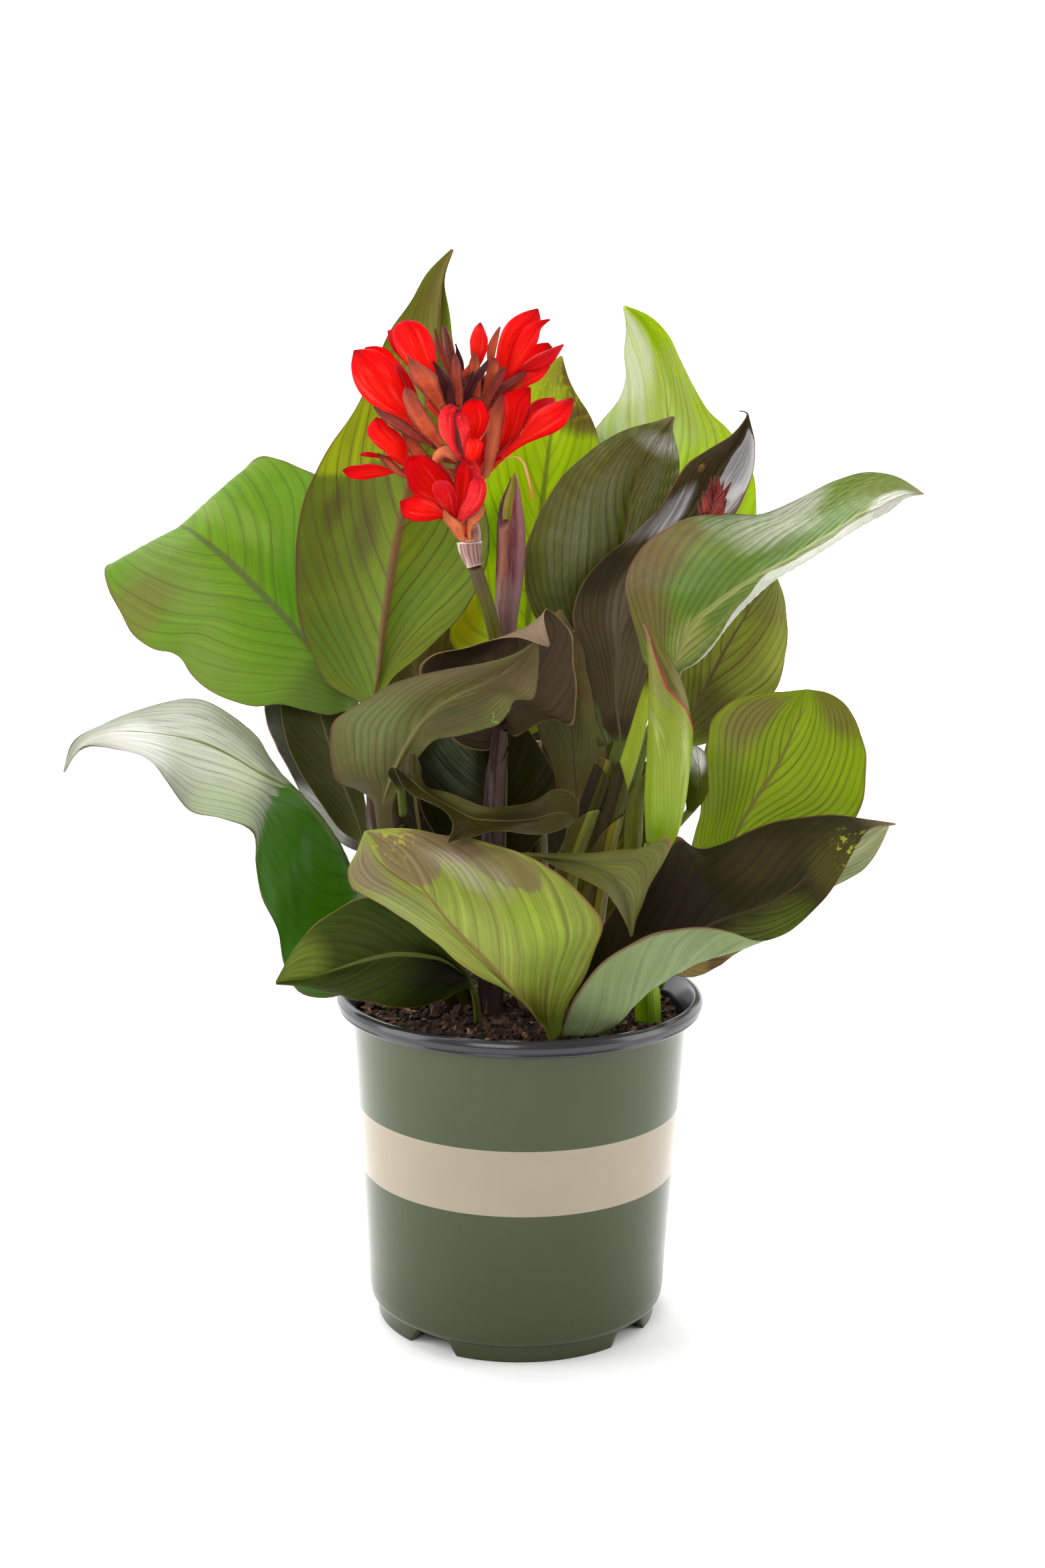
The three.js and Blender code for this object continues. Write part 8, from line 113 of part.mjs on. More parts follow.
// Flowers: the fused base tube and the free petals.
const FLOWERS = {
  flower_far_left: { tube: [[-46,-13,531.1,2.2],[-56.4,-15,540.2,3],[-64.5,-17,548.3,3.8]], petals: [[[[-66.1,-17.2,546.8],[-65.2,-18.1,547.5],[-64.3,-18.2,548.2],[-63.5,-17.5,548.9],[-62.7,-16.2,549.6]],[[-72.3,-21.4,551.4],[-70.3,-23.3,552.9],[-68.5,-23.5,554.4],[-66.7,-22.1,555.9],[-65,-19.2,557.3]],[[-79.4,-25,554.5],[-76.3,-27.5,557.1],[-73.4,-27.8,559.6],[-70.6,-25.9,562.1],[-67.9,-21.8,564.6]],[[-86.4,-28,557.6],[-82.2,-30.8,561.3],[-78.1,-31.1,564.9],[-74.1,-28.9,568.4],[-70.3,-24.2,572]],[[-92.6,-30.5,562.5],[-87.6,-33.2,566.7],[-82.8,-33.5,570.8],[-78.1,-31.2,574.9],[-73.6,-26.5,578.9]],[[-97.5,-32.3,568.5],[-92.3,-34.7,572.8],[-87.4,-34.9,577],[-82.5,-32.8,581.2],[-77.8,-28.5,585.4]],[[-100.4,-33.5,575.6],[-96,-35.3,579.4],[-91.8,-35.4,583.1],[-87.6,-33.7,586.8],[-83.6,-30.3,590.4]],[[-101.2,-34.2,583.4],[-98.5,-35.2,585.6],[-96,-35.2,587.8],[-93.5,-34,590],[-91,-31.8,592.3]],[[-99.3,-34.1,590.6],[-99.2,-34,590.8],[-99,-34,591],[-98.8,-34,591.1],[-98.6,-33.9,591.3]]],[[[-66.3,-15.2,547.6],[-65.6,-14.4,548.2],[-64.9,-14.2,548.9],[-64.2,-14.4,549.5],[-63.4,-15.2,550.2]],[[-68.5,-15.6,554.1],[-67.7,-14.7,554.9],[-66.8,-14.3,555.7],[-65.9,-14.7,556.5],[-65,-15.6,557.3]],[[-71,-16.2,560.3],[-70,-14.7,561.3],[-69,-14.2,562.3],[-68,-14.7,563.4],[-66.9,-16.2,564.4]],[[-73.8,-16.9,566.3],[-72.7,-14.8,567.6],[-71.6,-14.2,568.8],[-70.4,-14.8,570.1],[-69.2,-16.9,571.4]],[[-77.1,-17.5,572.2],[-76.1,-15.4,573.6],[-75,-14.7,575],[-73.9,-15.4,576.4],[-72.7,-17.5,577.8]],[[-80.8,-18.1,577.7],[-79.7,-15.9,579.3],[-78.5,-15.1,581],[-77.3,-15.9,582.7],[-75.9,-18.1,584.4]],[[-85.1,-18.8,582.6],[-83.9,-16.7,584.6],[-82.6,-16,586.5],[-81.3,-16.7,588.5],[-79.8,-18.8,590.5]],[[-89.8,-19.4,587.3],[-89,-18.5,588.8],[-88.2,-18.2,590.4],[-87.4,-18.5,591.9],[-86.5,-19.4,593.4]],[[-94.2,-20,591.9],[-94.1,-20,592.1],[-94,-20,592.3],[-93.8,-20,592.6],[-93.7,-20,592.8]]],[[[-64.4,-18.1,548],[-63.8,-17.8,548.3],[-63.2,-17.7,548.6],[-62.5,-17.8,548.9],[-61.9,-18.1,549.2]],[[-66.8,-19.5,552.4],[-65.7,-19,552.9],[-64.5,-18.8,553.5],[-63.3,-19,554],[-62.2,-19.5,554.6]],[[-68.9,-21,557.1],[-67.4,-20.1,557.7],[-65.9,-19.8,558.3],[-64.3,-20.1,559],[-62.7,-21,559.7]],[[-70.7,-22.5,561.8],[-69,-21.4,562.5],[-67.2,-21,563.2],[-65.3,-21.4,563.9],[-63.5,-22.5,564.6]],[[-72.1,-24,566.7],[-70.3,-22.8,567.4],[-68.5,-22.5,568],[-66.7,-22.8,568.7],[-64.8,-24,569.5]],[[-73.1,-25.5,571.7],[-71.5,-24.6,572.3],[-70,-24.3,572.9],[-68.4,-24.6,573.5],[-66.7,-25.5,574.1]],[[-74.2,-27,576.6],[-72.9,-26.4,577.1],[-71.7,-26.2,577.5],[-70.4,-26.4,578],[-69.1,-27,578.5]],[[-75.5,-28.5,581.5],[-74.6,-28.3,581.7],[-73.8,-28.2,582],[-72.9,-28.3,582.3],[-72,-28.5,582.6]],[[-75.8,-30,586.3],[-75.6,-30,586.4],[-75.3,-30,586.4],[-75.1,-30,586.5],[-74.9,-30,586.6]]]] },
  flower_top_left: { tube: [[-42.2,-12,546.1,2],[-50.8,-13,554.8,2.8],[-56.6,-13.5,562,3.4]], petals: [[[[-58.3,-13.7,562.3],[-57.3,-14.7,562.3],[-56.2,-15.1,562.3],[-55.3,-14.7,562.2],[-54.3,-13.7,562.2]],[[-59.1,-16.5,569.8],[-57.4,-18.1,569.8],[-55.8,-18.7,569.8],[-54.2,-18.1,569.8],[-52.7,-16.5,569.7]],[[-61.1,-18.9,576.3],[-58.6,-22,576.4],[-56.2,-23,576.6],[-53.9,-22,576.7],[-51.7,-18.9,576.8]],[[-66.3,-20.9,580.8],[-62.4,-24.6,581.6],[-58.5,-25.8,582.4],[-54.8,-24.6,583.1],[-51.2,-20.9,583.8]],[[-72,-22.5,585.6],[-66.9,-26.2,586.9],[-61.9,-27.5,588.2],[-57,-26.2,589.5],[-52.2,-22.5,590.8]],[[-76.1,-23.6,591.4],[-70.4,-27,592.9],[-64.8,-28.1,594.5],[-59.3,-27,596],[-53.9,-23.6,597.6]],[[-78.1,-24.4,598.3],[-72.8,-27,599.6],[-67.6,-27.9,601],[-62.4,-27,602.3],[-57.4,-24.4,603.7]],[[-77,-24.8,605.1],[-73.5,-26.4,605.7],[-70,-26.9,606.3],[-66.5,-26.4,607],[-63.1,-24.8,607.6]],[[-70.9,-25,608.6],[-70.6,-25,608.7],[-70.4,-25,608.7],[-70.1,-25,608.7],[-69.9,-25,608.8]]],[[[-57.9,-12,562.2],[-57.7,-11.9,562.3],[-57.4,-11.9,562.4],[-57.1,-11.9,562.5],[-56.8,-12,562.6]],[[-60.3,-12.6,567.8],[-59.9,-12.4,568],[-59.4,-12.4,568.2],[-58.9,-12.4,568.4],[-58.4,-12.6,568.6]],[[-63.2,-13.2,573.1],[-62.6,-12.9,573.4],[-62,-12.8,573.6],[-61.4,-12.9,573.9],[-60.7,-13.2,574.1]],[[-66.3,-13.9,578.1],[-65.7,-13.4,578.4],[-65,-13.3,578.7],[-64.2,-13.4,579],[-63.5,-13.9,579.3]],[[-69.8,-14.5,582.8],[-69,-14,583.1],[-68.2,-13.8,583.4],[-67.4,-14,583.8],[-66.6,-14.5,584.1]],[[-73.9,-15.1,587],[-73,-14.6,587.4],[-72.1,-14.4,587.7],[-71.2,-14.6,588.1],[-70.3,-15.1,588.4]],[[-77.8,-15.8,591.3],[-77.1,-15.4,591.6],[-76.3,-15.3,591.9],[-75.5,-15.4,592.1],[-74.7,-15.8,592.4]],[[-80.3,-16.4,596.6],[-79.7,-16.2,596.8],[-79,-16.1,597],[-78.3,-16.2,597.3],[-77.7,-16.4,597.5]],[[-81.2,-17,602.4],[-80.4,-17,602.6],[-79.7,-17,602.8],[-79,-17,603],[-78.2,-17,603.2]]]] },
  flower_left: { tube: [[-38.1,-13,520.4,2],[-54.3,-18,524.3,2.6],[-67.3,-21,526.6,3]], petals: [[[[-68.8,-21.8,525.3],[-68.2,-22.5,525.9],[-67.6,-22.7,526.5],[-67,-22.5,527.1],[-66.5,-21.8,527.7]],[[-73.7,-25.1,526],[-72.1,-26.9,527.6],[-70.6,-27.4,529.1],[-69.1,-26.9,530.5],[-67.7,-25.1,531.9]],[[-77.9,-28.1,529.1],[-75.4,-30.8,531.1],[-73,-31.6,532.9],[-70.7,-30.8,534.7],[-68.4,-28.1,536.4]],[[-82,-30.8,532.8],[-78.8,-33.7,534.8],[-75.8,-34.7,536.8],[-72.8,-33.7,538.7],[-70,-30.8,540.4]],[[-86,-33,536.1],[-82.4,-36,538.2],[-78.9,-37,540.2],[-75.6,-36,542.2],[-72.4,-33,544]],[[-89.5,-34.8,540],[-85.8,-37.5,541.8],[-82.3,-38.4,543.6],[-78.9,-37.5,545.3],[-75.5,-34.8,547]],[[-91.9,-36.1,544.5],[-88.5,-38.2,545.8],[-85.3,-39,547],[-82.1,-38.2,548.3],[-79.1,-36.1,549.4]],[[-90.4,-37.1,549.4],[-88.3,-38.3,550.2],[-86.2,-38.6,551],[-84.3,-38.3,551.8],[-82.3,-37.1,552.5]],[[-86.7,-38,553.2],[-86.5,-38,553.3],[-86.2,-38,553.4],[-86,-38,553.5],[-85.8,-38,553.6]]],[[[-68,-21,526],[-67.9,-20.9,526.4],[-67.9,-20.9,526.8],[-67.8,-20.9,527.2],[-67.7,-21,527.6]],[[-71.5,-22.1,527],[-71.5,-22,527.5],[-71.4,-22,527.9],[-71.3,-22,528.3],[-71.2,-22.1,528.8]],[[-75,-23.2,527.9],[-75,-23.1,528.4],[-74.9,-23.1,528.8],[-74.9,-23.1,529.3],[-74.8,-23.2,529.8]],[[-78.5,-24.4,528.7],[-78.5,-24.2,529.2],[-78.5,-24.2,529.7],[-78.4,-24.2,530.2],[-78.4,-24.4,530.8]],[[-82,-25.5,529.3],[-82,-25.3,529.9],[-82,-25.3,530.5],[-82,-25.3,531],[-82,-25.5,531.6]],[[-85.5,-26.6,529.9],[-85.6,-26.5,530.5],[-85.6,-26.4,531.1],[-85.6,-26.5,531.8],[-85.6,-26.6,532.4]],[[-89.1,-27.8,530.3],[-89.1,-27.6,531],[-89.2,-27.5,531.7],[-89.2,-27.6,532.5],[-89.2,-27.8,533.2]],[[-92.6,-28.9,530.7],[-92.7,-28.8,531.4],[-92.7,-28.8,532.1],[-92.8,-28.8,532.8],[-92.8,-28.9,533.5]],[[-96.1,-30,531.3],[-96.1,-30,531.5],[-96.1,-30,531.8],[-96.2,-30,532],[-96.2,-30,532.3]]],[[[-68.4,-23,524.5],[-68.2,-23.1,524.4],[-68.1,-23.1,524.2],[-68.1,-23.1,524],[-68,-23,523.8]],[[-73.2,-24.9,523.1],[-73.1,-25,522.9],[-73,-25,522.7],[-72.9,-25,522.6],[-72.8,-24.9,522.4]],[[-77.8,-26.8,523.1],[-77.8,-27,522.6],[-77.7,-27.1,522.1],[-77.7,-27,521.6],[-77.6,-26.8,521]],[[-82.2,-28.6,525.5],[-82.2,-29.5,524.1],[-82.3,-29.8,522.6],[-82.3,-29.5,521.1],[-82.4,-28.6,519.6]],[[-86.9,-30.5,526.8],[-86.9,-31.7,524.8],[-87,-32.2,522.7],[-87.1,-31.7,520.6],[-87.3,-30.5,518.5]],[[-91.7,-32.4,527.2],[-91.8,-33.7,524.9],[-91.9,-34.1,522.5],[-92,-33.7,520.1],[-92.2,-32.4,517.6]],[[-96.5,-34.2,526.5],[-96.6,-35.2,524.4],[-96.8,-35.5,522.3],[-97,-35.2,520],[-97.3,-34.2,517.8]],[[-101.3,-36.1,525.8],[-101.4,-36.6,524.1],[-101.5,-36.7,522.4],[-101.6,-36.6,520.6],[-101.8,-36.1,518.9]],[[-105.4,-38,523.7],[-105.4,-38,523.5],[-105.4,-38,523.2],[-105.4,-38,523],[-105.4,-38,522.7]]],[[[-67,-24.9,519.2],[-66.8,-25.4,520],[-66.6,-25.5,520.8],[-66.5,-25.4,521.6],[-66.3,-24.9,522.3]],[[-70,-26.1,518.3],[-69.7,-26.7,519.3],[-69.5,-26.9,520.2],[-69.3,-26.7,521],[-69.2,-26.1,521.9]],[[-72.9,-27.2,519.6],[-72.5,-28,520.5],[-72.1,-28.2,521.3],[-71.8,-28,522.2],[-71.5,-27.2,523]],[[-75.6,-28.4,521.2],[-75.1,-29.4,522.3],[-74.5,-29.7,523.4],[-74.1,-29.4,524.4],[-73.6,-28.4,525.4]],[[-78.2,-29.5,523.1],[-77.5,-30.6,524.2],[-76.9,-31,525.3],[-76.3,-30.6,526.4],[-75.8,-29.5,527.5]],[[-80.5,-30.6,525.2],[-79.8,-31.6,526.3],[-79.2,-32,527.4],[-78.6,-31.6,528.4],[-78,-30.6,529.4]],[[-82.6,-31.8,527.5],[-82,-32.4,528.4],[-81.4,-32.7,529.3],[-80.9,-32.4,530.2],[-80.3,-31.8,531]],[[-84.4,-32.9,530],[-84,-33.1,530.6],[-83.6,-33.2,531.1],[-83.3,-33.1,531.7],[-82.9,-32.9,532.2]],[[-86.1,-34,532.5],[-86,-34,532.7],[-85.9,-34,532.9],[-85.7,-34,533.2],[-85.6,-34,533.4]]]] },
  flower_upper_right: { tube: [[-39.1,-8,528.6,2],[-29.2,-4,544,3],[-20.8,-1,561.8,3.8]], petals: [[[[-21.5,-0.8,562.6],[-20.4,-1.6,562.7],[-19.4,-1.9,562.8],[-18.3,-1.6,563],[-17.2,-0.8,563.1]],[[-19.7,-3.1,570.4],[-18.6,-4.1,570.5],[-17.4,-4.4,570.7],[-16.3,-4.1,570.8],[-15.2,-3.1,570.9]],[[-19.4,-5.1,578.7],[-17.7,-6.9,578.6],[-16,-7.4,578.4],[-14.4,-6.9,578.2],[-12.7,-5.1,578.1]],[[-19.3,-6.8,587.1],[-17,-9.6,586.6],[-14.6,-10.5,586.1],[-12.3,-9.6,585.6],[-10,-6.8,585.1]],[[-18.1,-8,595.4],[-15.3,-11,594.5],[-12.5,-12,593.6],[-9.7,-11,592.8],[-7,-8,591.9]],[[-15.5,-8.8,603.3],[-12.5,-11.5,602.1],[-9.5,-12.4,600.9],[-6.5,-11.5,599.7],[-3.6,-8.8,598.6]],[[-10.4,-9.1,609.9],[-7.4,-11.2,608.3],[-4.4,-12,606.8],[-1.4,-11.2,605.2],[1.6,-9.1,603.7]],[[-3.2,-9.1,614.2],[-0.6,-10.4,612.8],[2.1,-10.9,611.4],[4.7,-10.4,610],[7.4,-9.1,608.6]],[[4.9,-9,616.1],[5.2,-9,616],[5.4,-9,615.9],[5.6,-9,615.8],[5.8,-9,615.7]]],[[[-20,-3.9,562.3],[-19.5,-4.5,562.4],[-18.9,-4.7,562.5],[-18.4,-4.5,562.6],[-17.8,-3.9,562.7]],[[-17.2,-6,569.3],[-16.6,-6.6,569.5],[-16,-6.8,569.6],[-15.5,-6.6,569.7],[-14.9,-6,569.8]],[[-13.8,-7.9,576.6],[-13.1,-9,576.3],[-12.3,-9.4,576],[-11.5,-9,575.7],[-10.8,-7.9,575.3]],[[-12,-9.6,584.2],[-10.4,-12.3,583.3],[-8.8,-13.2,582.3],[-7.2,-12.3,581.4],[-5.7,-9.6,580.4]],[[-10.1,-11,591.8],[-7.9,-14.7,590.4],[-5.6,-16,588.9],[-3.4,-14.7,587.4],[-1.1,-11,585.9]],[[-7.3,-12.1,599.1],[-4.7,-15.5,597.2],[-2.1,-16.6,595.3],[0.5,-15.5,593.4],[3.1,-12.1,591.5]],[[-2.5,-12.9,605.3],[-0.3,-15.6,603.4],[1.9,-16.5,601.5],[4.1,-15.6,599.6],[6.4,-12.9,597.8]],[[4.6,-13.5,608.8],[5.4,-14.4,607.7],[6.2,-14.6,606.7],[7,-14.4,605.7],[7.8,-13.5,604.7]],[[12.1,-14,610.2],[12.3,-14,610],[12.4,-14,609.8],[12.6,-14,609.6],[12.7,-14,609.4]]],[[[-13.6,0.1,578.4],[-13.2,-0.4,577.7],[-12.8,-0.5,577],[-12.4,-0.4,576.3],[-12,0.1,575.6]],[[-9,-1.5,580.7],[-8.6,-2,580],[-8.2,-2.2,579.3],[-7.8,-2,578.5],[-7.4,-1.5,577.8]],[[-4.9,-2.9,583.2],[-4.3,-3.9,582.2],[-3.7,-4.2,581.1],[-3,-3.9,580.1],[-2.4,-2.9,579.1]],[[-1,-4.1,586],[-0.1,-5.8,584.4],[0.9,-6.4,582.7],[1.8,-5.8,581],[2.8,-4.1,579.3]],[[2.7,-5,589],[4,-7.2,586.8],[5.3,-8,584.6],[6.5,-7.2,582.3],[7.8,-5,580]],[[6.9,-5.6,591.2],[8.3,-7.6,589.1],[9.7,-8.3,586.9],[11.1,-7.6,584.8],[12.5,-5.6,582.6]],[[11.4,-5.9,592.9],[12.5,-7.2,591.3],[13.6,-7.6,589.6],[14.7,-7.2,588],[15.8,-5.9,586.3]],[[15.9,-6,594.6],[16.5,-6.5,593.6],[17.2,-6.6,592.7],[17.9,-6.5,591.7],[18.5,-6,590.8]],[[20.4,-6,596.1],[20.5,-6,595.9],[20.6,-6,595.7],[20.8,-6,595.5],[20.9,-6,595.3]]],[[[-18,1.9,571.2],[-17.4,2.3,570.6],[-16.9,2.5,570.1],[-16.3,2.3,569.5],[-15.7,1.9,568.9]],[[-14.8,2.5,575],[-14,3.1,574.3],[-13.3,3.4,573.5],[-12.5,3.1,572.8],[-11.8,2.5,572.1]],[[-11.4,3,578.9],[-10.6,4,577.9],[-9.7,4.4,577],[-8.8,4,576],[-7.9,3,575.1]],[[-8,3.5,582.7],[-7,4.8,581.5],[-6.1,5.3,580.4],[-5.1,4.8,579.2],[-4.1,3.5,578.1]],[[-4.6,4,586.4],[-3.5,5.5,585.1],[-2.4,6,583.8],[-1.3,5.5,582.5],[-0.2,4,581.1]],[[-1,4.5,590.1],[0.1,6,588.6],[1.3,6.5,587.1],[2.5,6,585.7],[3.6,4.5,584.2]],[[2.6,5,594.1],[3.8,6.4,592.3],[5.1,6.9,590.5],[6.4,6.4,588.7],[7.7,5,586.9]],[[6.7,5.5,596.2],[8.1,6.3,594.5],[9.4,6.6,592.7],[10.7,6.3,591],[12.1,5.5,589.2]],[[12,6,596.9],[13,6,595.7],[14,6,594.6],[14.9,6,593.4],[15.9,6,592.2]]],[[[-21.3,-1.9,560.9],[-21,-2.2,560.7],[-20.6,-2.3,560.6],[-20.3,-2.2,560.4],[-20,-1.9,560.2]],[[-18.6,-1.8,564.8],[-17.7,-2.6,564.3],[-16.9,-2.8,563.8],[-16,-2.6,563.3],[-15.2,-1.8,562.8]],[[-15.4,-1.4,569.1],[-14.1,-3.1,568.1],[-12.9,-3.7,567],[-11.7,-3.1,565.9],[-10.4,-1.4,564.8]],[[-11.8,-0.8,573.1],[-10.3,-3.4,571.7],[-8.8,-4.2,570.2],[-7.3,-3.4,568.6],[-5.8,-0.8,567.1]],[[-7.8,0,576.9],[-6.1,-2.9,575.1],[-4.5,-3.8,573.3],[-2.9,-2.9,571.4],[-1.3,0,569.6]],[[-3.3,1.2,579.9],[-1.6,-1.5,578],[-0,-2.4,576.1],[1.6,-1.5,574.2],[3.2,1.2,572.2]],[[1.6,2.6,581.7],[3.1,0.7,580],[4.6,0,578.3],[6.1,0.7,576.6],[7.6,2.6,574.9]],[[6.9,4.2,583.1],[7.9,3.5,582],[8.9,3.2,580.8],[9.9,3.5,579.7],[10.9,4.2,578.6]],[[12.7,6,583.9],[12.8,6,583.7],[13,6,583.5],[13.2,6,583.3],[13.3,6,583.1]]],[[[-21.4,-5,559.5],[-21.3,-5.1,559.3],[-21.1,-5.2,559.1],[-20.9,-5.1,558.9],[-20.7,-5,558.7]],[[-19.2,-5.5,562.5],[-18.6,-6,561.9],[-18.1,-6.2,561.3],[-17.6,-6,560.8],[-17,-5.5,560.2]],[[-16.8,-6,565.2],[-16,-6.9,564.4],[-15.2,-7.2,563.6],[-14.3,-6.9,562.8],[-13.5,-6,562]],[[-14.2,-6.3,567.9],[-13.2,-7.5,566.9],[-12.2,-7.9,566],[-11.2,-7.5,565.1],[-10.2,-6.3,564.1]],[[-11.6,-6.5,570.4],[-10.5,-7.8,569.5],[-9.4,-8.2,568.5],[-8.3,-7.8,567.6],[-7.2,-6.5,566.6]],[[-8.9,-6.5,572.8],[-7.7,-7.7,572],[-6.6,-8.1,571.1],[-5.4,-7.7,570.3],[-4.3,-6.5,569.4]],[[-6.2,-6.5,575.3],[-5.2,-7.2,574.6],[-4.2,-7.5,574],[-3.3,-7.2,573.3],[-2.3,-6.5,572.6]],[[-3.6,-6.3,577.9],[-3,-6.6,577.5],[-2.3,-6.7,577],[-1.7,-6.6,576.6],[-1,-6.3,576.1]],[[-1.2,-6,580.6],[-1,-6,580.5],[-0.8,-6,580.3],[-0.5,-6,580.2],[-0.3,-6,580.1]]]] },
